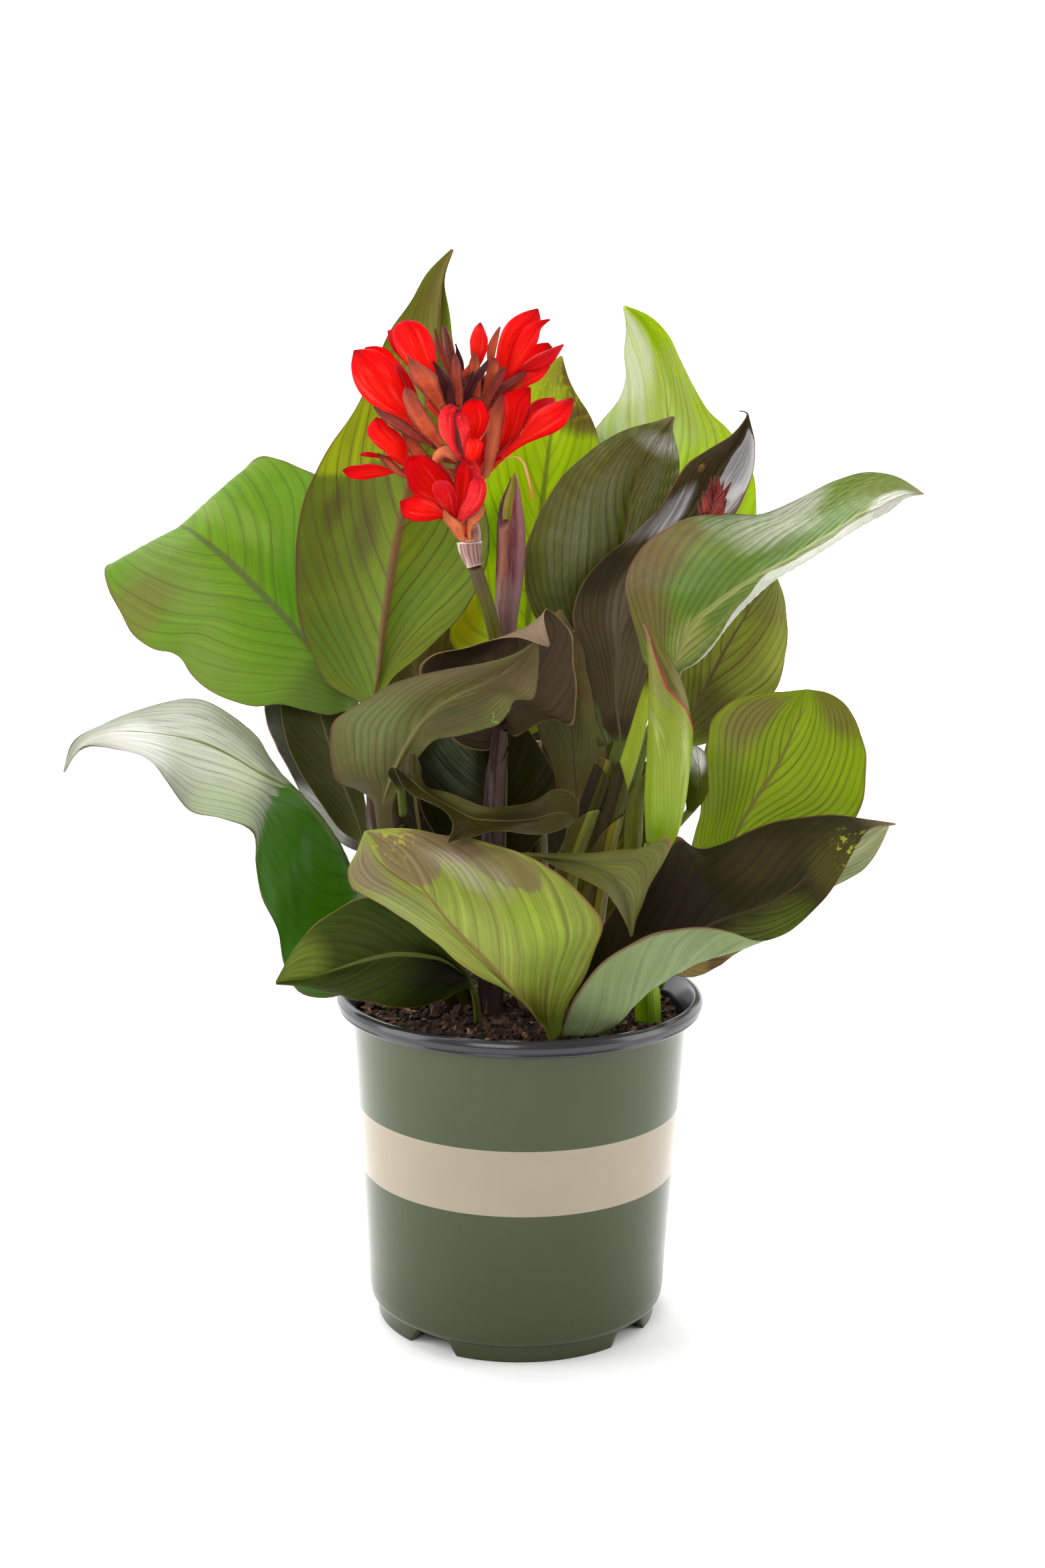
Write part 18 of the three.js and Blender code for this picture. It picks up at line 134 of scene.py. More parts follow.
# Flowers: the fused base tube and the petals.
FLOWERS = {
    "flower_far_left": ([[-46,-13,531.1,2.2],[-56.4,-15,540.2,3],[-64.5,-17,548.3,3.8]], [[[[-66.1,-17.2,546.8],[-65.2,-18.1,547.5],[-64.3,-18.2,548.2],[-63.5,-17.5,548.9],[-62.7,-16.2,549.6]],[[-72.3,-21.4,551.4],[-70.3,-23.3,552.9],[-68.5,-23.5,554.4],[-66.7,-22.1,555.9],[-65,-19.2,557.3]],[[-79.4,-25,554.5],[-76.3,-27.5,557.1],[-73.4,-27.8,559.6],[-70.6,-25.9,562.1],[-67.9,-21.8,564.6]],[[-86.4,-28,557.6],[-82.2,-30.8,561.3],[-78.1,-31.1,564.9],[-74.1,-28.9,568.4],[-70.3,-24.2,572]],[[-92.6,-30.5,562.5],[-87.6,-33.2,566.7],[-82.8,-33.5,570.8],[-78.1,-31.2,574.9],[-73.6,-26.5,578.9]],[[-97.5,-32.3,568.5],[-92.3,-34.7,572.8],[-87.4,-34.9,577],[-82.5,-32.8,581.2],[-77.8,-28.5,585.4]],[[-100.4,-33.5,575.6],[-96,-35.3,579.4],[-91.8,-35.4,583.1],[-87.6,-33.7,586.8],[-83.6,-30.3,590.4]],[[-101.2,-34.2,583.4],[-98.5,-35.2,585.6],[-96,-35.2,587.8],[-93.5,-34,590],[-91,-31.8,592.3]],[[-99.3,-34.1,590.6],[-99.2,-34,590.8],[-99,-34,591],[-98.8,-34,591.1],[-98.6,-33.9,591.3]]], [[[-66.3,-15.2,547.6],[-65.6,-14.4,548.2],[-64.9,-14.2,548.9],[-64.2,-14.4,549.5],[-63.4,-15.2,550.2]],[[-68.5,-15.6,554.1],[-67.7,-14.7,554.9],[-66.8,-14.3,555.7],[-65.9,-14.7,556.5],[-65,-15.6,557.3]],[[-71,-16.2,560.3],[-70,-14.7,561.3],[-69,-14.2,562.3],[-68,-14.7,563.4],[-66.9,-16.2,564.4]],[[-73.8,-16.9,566.3],[-72.7,-14.8,567.6],[-71.6,-14.2,568.8],[-70.4,-14.8,570.1],[-69.2,-16.9,571.4]],[[-77.1,-17.5,572.2],[-76.1,-15.4,573.6],[-75,-14.7,575],[-73.9,-15.4,576.4],[-72.7,-17.5,577.8]],[[-80.8,-18.1,577.7],[-79.7,-15.9,579.3],[-78.5,-15.1,581],[-77.3,-15.9,582.7],[-75.9,-18.1,584.4]],[[-85.1,-18.8,582.6],[-83.9,-16.7,584.6],[-82.6,-16,586.5],[-81.3,-16.7,588.5],[-79.8,-18.8,590.5]],[[-89.8,-19.4,587.3],[-89,-18.5,588.8],[-88.2,-18.2,590.4],[-87.4,-18.5,591.9],[-86.5,-19.4,593.4]],[[-94.2,-20,591.9],[-94.1,-20,592.1],[-94,-20,592.3],[-93.8,-20,592.6],[-93.7,-20,592.8]]], [[[-64.4,-18.1,548],[-63.8,-17.8,548.3],[-63.2,-17.7,548.6],[-62.5,-17.8,548.9],[-61.9,-18.1,549.2]],[[-66.8,-19.5,552.4],[-65.7,-19,552.9],[-64.5,-18.8,553.5],[-63.3,-19,554],[-62.2,-19.5,554.6]],[[-68.9,-21,557.1],[-67.4,-20.1,557.7],[-65.9,-19.8,558.3],[-64.3,-20.1,559],[-62.7,-21,559.7]],[[-70.7,-22.5,561.8],[-69,-21.4,562.5],[-67.2,-21,563.2],[-65.3,-21.4,563.9],[-63.5,-22.5,564.6]],[[-72.1,-24,566.7],[-70.3,-22.8,567.4],[-68.5,-22.5,568],[-66.7,-22.8,568.7],[-64.8,-24,569.5]],[[-73.1,-25.5,571.7],[-71.5,-24.6,572.3],[-70,-24.3,572.9],[-68.4,-24.6,573.5],[-66.7,-25.5,574.1]],[[-74.2,-27,576.6],[-72.9,-26.4,577.1],[-71.7,-26.2,577.5],[-70.4,-26.4,578],[-69.1,-27,578.5]],[[-75.5,-28.5,581.5],[-74.6,-28.3,581.7],[-73.8,-28.2,582],[-72.9,-28.3,582.3],[-72,-28.5,582.6]],[[-75.8,-30,586.3],[-75.6,-30,586.4],[-75.3,-30,586.4],[-75.1,-30,586.5],[-74.9,-30,586.6]]]]),
    "flower_top_left": ([[-42.2,-12,546.1,2],[-50.8,-13,554.8,2.8],[-56.6,-13.5,562,3.4]], [[[[-58.3,-13.7,562.3],[-57.3,-14.7,562.3],[-56.2,-15.1,562.3],[-55.3,-14.7,562.2],[-54.3,-13.7,562.2]],[[-59.1,-16.5,569.8],[-57.4,-18.1,569.8],[-55.8,-18.7,569.8],[-54.2,-18.1,569.8],[-52.7,-16.5,569.7]],[[-61.1,-18.9,576.3],[-58.6,-22,576.4],[-56.2,-23,576.6],[-53.9,-22,576.7],[-51.7,-18.9,576.8]],[[-66.3,-20.9,580.8],[-62.4,-24.6,581.6],[-58.5,-25.8,582.4],[-54.8,-24.6,583.1],[-51.2,-20.9,583.8]],[[-72,-22.5,585.6],[-66.9,-26.2,586.9],[-61.9,-27.5,588.2],[-57,-26.2,589.5],[-52.2,-22.5,590.8]],[[-76.1,-23.6,591.4],[-70.4,-27,592.9],[-64.8,-28.1,594.5],[-59.3,-27,596],[-53.9,-23.6,597.6]],[[-78.1,-24.4,598.3],[-72.8,-27,599.6],[-67.6,-27.9,601],[-62.4,-27,602.3],[-57.4,-24.4,603.7]],[[-77,-24.8,605.1],[-73.5,-26.4,605.7],[-70,-26.9,606.3],[-66.5,-26.4,607],[-63.1,-24.8,607.6]],[[-70.9,-25,608.6],[-70.6,-25,608.7],[-70.4,-25,608.7],[-70.1,-25,608.7],[-69.9,-25,608.8]]], [[[-57.9,-12,562.2],[-57.7,-11.9,562.3],[-57.4,-11.9,562.4],[-57.1,-11.9,562.5],[-56.8,-12,562.6]],[[-60.3,-12.6,567.8],[-59.9,-12.4,568],[-59.4,-12.4,568.2],[-58.9,-12.4,568.4],[-58.4,-12.6,568.6]],[[-63.2,-13.2,573.1],[-62.6,-12.9,573.4],[-62,-12.8,573.6],[-61.4,-12.9,573.9],[-60.7,-13.2,574.1]],[[-66.3,-13.9,578.1],[-65.7,-13.4,578.4],[-65,-13.3,578.7],[-64.2,-13.4,579],[-63.5,-13.9,579.3]],[[-69.8,-14.5,582.8],[-69,-14,583.1],[-68.2,-13.8,583.4],[-67.4,-14,583.8],[-66.6,-14.5,584.1]],[[-73.9,-15.1,587],[-73,-14.6,587.4],[-72.1,-14.4,587.7],[-71.2,-14.6,588.1],[-70.3,-15.1,588.4]],[[-77.8,-15.8,591.3],[-77.1,-15.4,591.6],[-76.3,-15.3,591.9],[-75.5,-15.4,592.1],[-74.7,-15.8,592.4]],[[-80.3,-16.4,596.6],[-79.7,-16.2,596.8],[-79,-16.1,597],[-78.3,-16.2,597.3],[-77.7,-16.4,597.5]],[[-81.2,-17,602.4],[-80.4,-17,602.6],[-79.7,-17,602.8],[-79,-17,603],[-78.2,-17,603.2]]]]),
    "flower_left": ([[-38.1,-13,520.4,2],[-54.3,-18,524.3,2.6],[-67.3,-21,526.6,3]], [[[[-68.8,-21.8,525.3],[-68.2,-22.5,525.9],[-67.6,-22.7,526.5],[-67,-22.5,527.1],[-66.5,-21.8,527.7]],[[-73.7,-25.1,526],[-72.1,-26.9,527.6],[-70.6,-27.4,529.1],[-69.1,-26.9,530.5],[-67.7,-25.1,531.9]],[[-77.9,-28.1,529.1],[-75.4,-30.8,531.1],[-73,-31.6,532.9],[-70.7,-30.8,534.7],[-68.4,-28.1,536.4]],[[-82,-30.8,532.8],[-78.8,-33.7,534.8],[-75.8,-34.7,536.8],[-72.8,-33.7,538.7],[-70,-30.8,540.4]],[[-86,-33,536.1],[-82.4,-36,538.2],[-78.9,-37,540.2],[-75.6,-36,542.2],[-72.4,-33,544]],[[-89.5,-34.8,540],[-85.8,-37.5,541.8],[-82.3,-38.4,543.6],[-78.9,-37.5,545.3],[-75.5,-34.8,547]],[[-91.9,-36.1,544.5],[-88.5,-38.2,545.8],[-85.3,-39,547],[-82.1,-38.2,548.3],[-79.1,-36.1,549.4]],[[-90.4,-37.1,549.4],[-88.3,-38.3,550.2],[-86.2,-38.6,551],[-84.3,-38.3,551.8],[-82.3,-37.1,552.5]],[[-86.7,-38,553.2],[-86.5,-38,553.3],[-86.2,-38,553.4],[-86,-38,553.5],[-85.8,-38,553.6]]], [[[-68,-21,526],[-67.9,-20.9,526.4],[-67.9,-20.9,526.8],[-67.8,-20.9,527.2],[-67.7,-21,527.6]],[[-71.5,-22.1,527],[-71.5,-22,527.5],[-71.4,-22,527.9],[-71.3,-22,528.3],[-71.2,-22.1,528.8]],[[-75,-23.2,527.9],[-75,-23.1,528.4],[-74.9,-23.1,528.8],[-74.9,-23.1,529.3],[-74.8,-23.2,529.8]],[[-78.5,-24.4,528.7],[-78.5,-24.2,529.2],[-78.5,-24.2,529.7],[-78.4,-24.2,530.2],[-78.4,-24.4,530.8]],[[-82,-25.5,529.3],[-82,-25.3,529.9],[-82,-25.3,530.5],[-82,-25.3,531],[-82,-25.5,531.6]],[[-85.5,-26.6,529.9],[-85.6,-26.5,530.5],[-85.6,-26.4,531.1],[-85.6,-26.5,531.8],[-85.6,-26.6,532.4]],[[-89.1,-27.8,530.3],[-89.1,-27.6,531],[-89.2,-27.5,531.7],[-89.2,-27.6,532.5],[-89.2,-27.8,533.2]],[[-92.6,-28.9,530.7],[-92.7,-28.8,531.4],[-92.7,-28.8,532.1],[-92.8,-28.8,532.8],[-92.8,-28.9,533.5]],[[-96.1,-30,531.3],[-96.1,-30,531.5],[-96.1,-30,531.8],[-96.2,-30,532],[-96.2,-30,532.3]]], [[[-68.4,-23,524.5],[-68.2,-23.1,524.4],[-68.1,-23.1,524.2],[-68.1,-23.1,524],[-68,-23,523.8]],[[-73.2,-24.9,523.1],[-73.1,-25,522.9],[-73,-25,522.7],[-72.9,-25,522.6],[-72.8,-24.9,522.4]],[[-77.8,-26.8,523.1],[-77.8,-27,522.6],[-77.7,-27.1,522.1],[-77.7,-27,521.6],[-77.6,-26.8,521]],[[-82.2,-28.6,525.5],[-82.2,-29.5,524.1],[-82.3,-29.8,522.6],[-82.3,-29.5,521.1],[-82.4,-28.6,519.6]],[[-86.9,-30.5,526.8],[-86.9,-31.7,524.8],[-87,-32.2,522.7],[-87.1,-31.7,520.6],[-87.3,-30.5,518.5]],[[-91.7,-32.4,527.2],[-91.8,-33.7,524.9],[-91.9,-34.1,522.5],[-92,-33.7,520.1],[-92.2,-32.4,517.6]],[[-96.5,-34.2,526.5],[-96.6,-35.2,524.4],[-96.8,-35.5,522.3],[-97,-35.2,520],[-97.3,-34.2,517.8]],[[-101.3,-36.1,525.8],[-101.4,-36.6,524.1],[-101.5,-36.7,522.4],[-101.6,-36.6,520.6],[-101.8,-36.1,518.9]],[[-105.4,-38,523.7],[-105.4,-38,523.5],[-105.4,-38,523.2],[-105.4,-38,523],[-105.4,-38,522.7]]], [[[-67,-24.9,519.2],[-66.8,-25.4,520],[-66.6,-25.5,520.8],[-66.5,-25.4,521.6],[-66.3,-24.9,522.3]],[[-70,-26.1,518.3],[-69.7,-26.7,519.3],[-69.5,-26.9,520.2],[-69.3,-26.7,521],[-69.2,-26.1,521.9]],[[-72.9,-27.2,519.6],[-72.5,-28,520.5],[-72.1,-28.2,521.3],[-71.8,-28,522.2],[-71.5,-27.2,523]],[[-75.6,-28.4,521.2],[-75.1,-29.4,522.3],[-74.5,-29.7,523.4],[-74.1,-29.4,524.4],[-73.6,-28.4,525.4]],[[-78.2,-29.5,523.1],[-77.5,-30.6,524.2],[-76.9,-31,525.3],[-76.3,-30.6,526.4],[-75.8,-29.5,527.5]],[[-80.5,-30.6,525.2],[-79.8,-31.6,526.3],[-79.2,-32,527.4],[-78.6,-31.6,528.4],[-78,-30.6,529.4]],[[-82.6,-31.8,527.5],[-82,-32.4,528.4],[-81.4,-32.7,529.3],[-80.9,-32.4,530.2],[-80.3,-31.8,531]],[[-84.4,-32.9,530],[-84,-33.1,530.6],[-83.6,-33.2,531.1],[-83.3,-33.1,531.7],[-82.9,-32.9,532.2]],[[-86.1,-34,532.5],[-86,-34,532.7],[-85.9,-34,532.9],[-85.7,-34,533.2],[-85.6,-34,533.4]]]]),
    "flower_upper_right": ([[-39.1,-8,528.6,2],[-29.2,-4,544,3],[-20.8,-1,561.8,3.8]], [[[[-21.5,-0.8,562.6],[-20.4,-1.6,562.7],[-19.4,-1.9,562.8],[-18.3,-1.6,563],[-17.2,-0.8,563.1]],[[-19.7,-3.1,570.4],[-18.6,-4.1,570.5],[-17.4,-4.4,570.7],[-16.3,-4.1,570.8],[-15.2,-3.1,570.9]],[[-19.4,-5.1,578.7],[-17.7,-6.9,578.6],[-16,-7.4,578.4],[-14.4,-6.9,578.2],[-12.7,-5.1,578.1]],[[-19.3,-6.8,587.1],[-17,-9.6,586.6],[-14.6,-10.5,586.1],[-12.3,-9.6,585.6],[-10,-6.8,585.1]],[[-18.1,-8,595.4],[-15.3,-11,594.5],[-12.5,-12,593.6],[-9.7,-11,592.8],[-7,-8,591.9]],[[-15.5,-8.8,603.3],[-12.5,-11.5,602.1],[-9.5,-12.4,600.9],[-6.5,-11.5,599.7],[-3.6,-8.8,598.6]],[[-10.4,-9.1,609.9],[-7.4,-11.2,608.3],[-4.4,-12,606.8],[-1.4,-11.2,605.2],[1.6,-9.1,603.7]],[[-3.2,-9.1,614.2],[-0.6,-10.4,612.8],[2.1,-10.9,611.4],[4.7,-10.4,610],[7.4,-9.1,608.6]],[[4.9,-9,616.1],[5.2,-9,616],[5.4,-9,615.9],[5.6,-9,615.8],[5.8,-9,615.7]]], [[[-20,-3.9,562.3],[-19.5,-4.5,562.4],[-18.9,-4.7,562.5],[-18.4,-4.5,562.6],[-17.8,-3.9,562.7]],[[-17.2,-6,569.3],[-16.6,-6.6,569.5],[-16,-6.8,569.6],[-15.5,-6.6,569.7],[-14.9,-6,569.8]],[[-13.8,-7.9,576.6],[-13.1,-9,576.3],[-12.3,-9.4,576],[-11.5,-9,575.7],[-10.8,-7.9,575.3]],[[-12,-9.6,584.2],[-10.4,-12.3,583.3],[-8.8,-13.2,582.3],[-7.2,-12.3,581.4],[-5.7,-9.6,580.4]],[[-10.1,-11,591.8],[-7.9,-14.7,590.4],[-5.6,-16,588.9],[-3.4,-14.7,587.4],[-1.1,-11,585.9]],[[-7.3,-12.1,599.1],[-4.7,-15.5,597.2],[-2.1,-16.6,595.3],[0.5,-15.5,593.4],[3.1,-12.1,591.5]],[[-2.5,-12.9,605.3],[-0.3,-15.6,603.4],[1.9,-16.5,601.5],[4.1,-15.6,599.6],[6.4,-12.9,597.8]],[[4.6,-13.5,608.8],[5.4,-14.4,607.7],[6.2,-14.6,606.7],[7,-14.4,605.7],[7.8,-13.5,604.7]],[[12.1,-14,610.2],[12.3,-14,610],[12.4,-14,609.8],[12.6,-14,609.6],[12.7,-14,609.4]]], [[[-13.6,0.1,578.4],[-13.2,-0.4,577.7],[-12.8,-0.5,577],[-12.4,-0.4,576.3],[-12,0.1,575.6]],[[-9,-1.5,580.7],[-8.6,-2,580],[-8.2,-2.2,579.3],[-7.8,-2,578.5],[-7.4,-1.5,577.8]],[[-4.9,-2.9,583.2],[-4.3,-3.9,582.2],[-3.7,-4.2,581.1],[-3,-3.9,580.1],[-2.4,-2.9,579.1]],[[-1,-4.1,586],[-0.1,-5.8,584.4],[0.9,-6.4,582.7],[1.8,-5.8,581],[2.8,-4.1,579.3]],[[2.7,-5,589],[4,-7.2,586.8],[5.3,-8,584.6],[6.5,-7.2,582.3],[7.8,-5,580]],[[6.9,-5.6,591.2],[8.3,-7.6,589.1],[9.7,-8.3,586.9],[11.1,-7.6,584.8],[12.5,-5.6,582.6]],[[11.4,-5.9,592.9],[12.5,-7.2,591.3],[13.6,-7.6,589.6],[14.7,-7.2,588],[15.8,-5.9,586.3]],[[15.9,-6,594.6],[16.5,-6.5,593.6],[17.2,-6.6,592.7],[17.9,-6.5,591.7],[18.5,-6,590.8]],[[20.4,-6,596.1],[20.5,-6,595.9],[20.6,-6,595.7],[20.8,-6,595.5],[20.9,-6,595.3]]], [[[-18,1.9,571.2],[-17.4,2.3,570.6],[-16.9,2.5,570.1],[-16.3,2.3,569.5],[-15.7,1.9,568.9]],[[-14.8,2.5,575],[-14,3.1,574.3],[-13.3,3.4,573.5],[-12.5,3.1,572.8],[-11.8,2.5,572.1]],[[-11.4,3,578.9],[-10.6,4,577.9],[-9.7,4.4,577],[-8.8,4,576],[-7.9,3,575.1]],[[-8,3.5,582.7],[-7,4.8,581.5],[-6.1,5.3,580.4],[-5.1,4.8,579.2],[-4.1,3.5,578.1]],[[-4.6,4,586.4],[-3.5,5.5,585.1],[-2.4,6,583.8],[-1.3,5.5,582.5],[-0.2,4,581.1]],[[-1,4.5,590.1],[0.1,6,588.6],[1.3,6.5,587.1],[2.5,6,585.7],[3.6,4.5,584.2]],[[2.6,5,594.1],[3.8,6.4,592.3],[5.1,6.9,590.5],[6.4,6.4,588.7],[7.7,5,586.9]],[[6.7,5.5,596.2],[8.1,6.3,594.5],[9.4,6.6,592.7],[10.7,6.3,591],[12.1,5.5,589.2]],[[12,6,596.9],[13,6,595.7],[14,6,594.6],[14.9,6,593.4],[15.9,6,592.2]]], [[[-21.3,-1.9,560.9],[-21,-2.2,560.7],[-20.6,-2.3,560.6],[-20.3,-2.2,560.4],[-20,-1.9,560.2]],[[-18.6,-1.8,564.8],[-17.7,-2.6,564.3],[-16.9,-2.8,563.8],[-16,-2.6,563.3],[-15.2,-1.8,562.8]],[[-15.4,-1.4,569.1],[-14.1,-3.1,568.1],[-12.9,-3.7,567],[-11.7,-3.1,565.9],[-10.4,-1.4,564.8]],[[-11.8,-0.8,573.1],[-10.3,-3.4,571.7],[-8.8,-4.2,570.2],[-7.3,-3.4,568.6],[-5.8,-0.8,567.1]],[[-7.8,0,576.9],[-6.1,-2.9,575.1],[-4.5,-3.8,573.3],[-2.9,-2.9,571.4],[-1.3,0,569.6]],[[-3.3,1.2,579.9],[-1.6,-1.5,578],[-0,-2.4,576.1],[1.6,-1.5,574.2],[3.2,1.2,572.2]],[[1.6,2.6,581.7],[3.1,0.7,580],[4.6,0,578.3],[6.1,0.7,576.6],[7.6,2.6,574.9]],[[6.9,4.2,583.1],[7.9,3.5,582],[8.9,3.2,580.8],[9.9,3.5,579.7],[10.9,4.2,578.6]],[[12.7,6,583.9],[12.8,6,583.7],[13,6,583.5],[13.2,6,583.3],[13.3,6,583.1]]], [[[-21.4,-5,559.5],[-21.3,-5.1,559.3],[-21.1,-5.2,559.1],[-20.9,-5.1,558.9],[-20.7,-5,558.7]],[[-19.2,-5.5,562.5],[-18.6,-6,561.9],[-18.1,-6.2,561.3],[-17.6,-6,560.8],[-17,-5.5,560.2]],[[-16.8,-6,565.2],[-16,-6.9,564.4],[-15.2,-7.2,563.6],[-14.3,-6.9,562.8],[-13.5,-6,562]],[[-14.2,-6.3,567.9],[-13.2,-7.5,566.9],[-12.2,-7.9,566],[-11.2,-7.5,565.1],[-10.2,-6.3,564.1]],[[-11.6,-6.5,570.4],[-10.5,-7.8,569.5],[-9.4,-8.2,568.5],[-8.3,-7.8,567.6],[-7.2,-6.5,566.6]],[[-8.9,-6.5,572.8],[-7.7,-7.7,572],[-6.6,-8.1,571.1],[-5.4,-7.7,570.3],[-4.3,-6.5,569.4]],[[-6.2,-6.5,575.3],[-5.2,-7.2,574.6],[-4.2,-7.5,574],[-3.3,-7.2,573.3],[-2.3,-6.5,572.6]],[[-3.6,-6.3,577.9],[-3,-6.6,577.5],[-2.3,-6.7,577],[-1.7,-6.6,576.6],[-1,-6.3,576.1]],[[-1.2,-6,580.6],[-1,-6,580.5],[-0.8,-6,580.3],[-0.5,-6,580.2],[-0.3,-6,580.1]]]]),
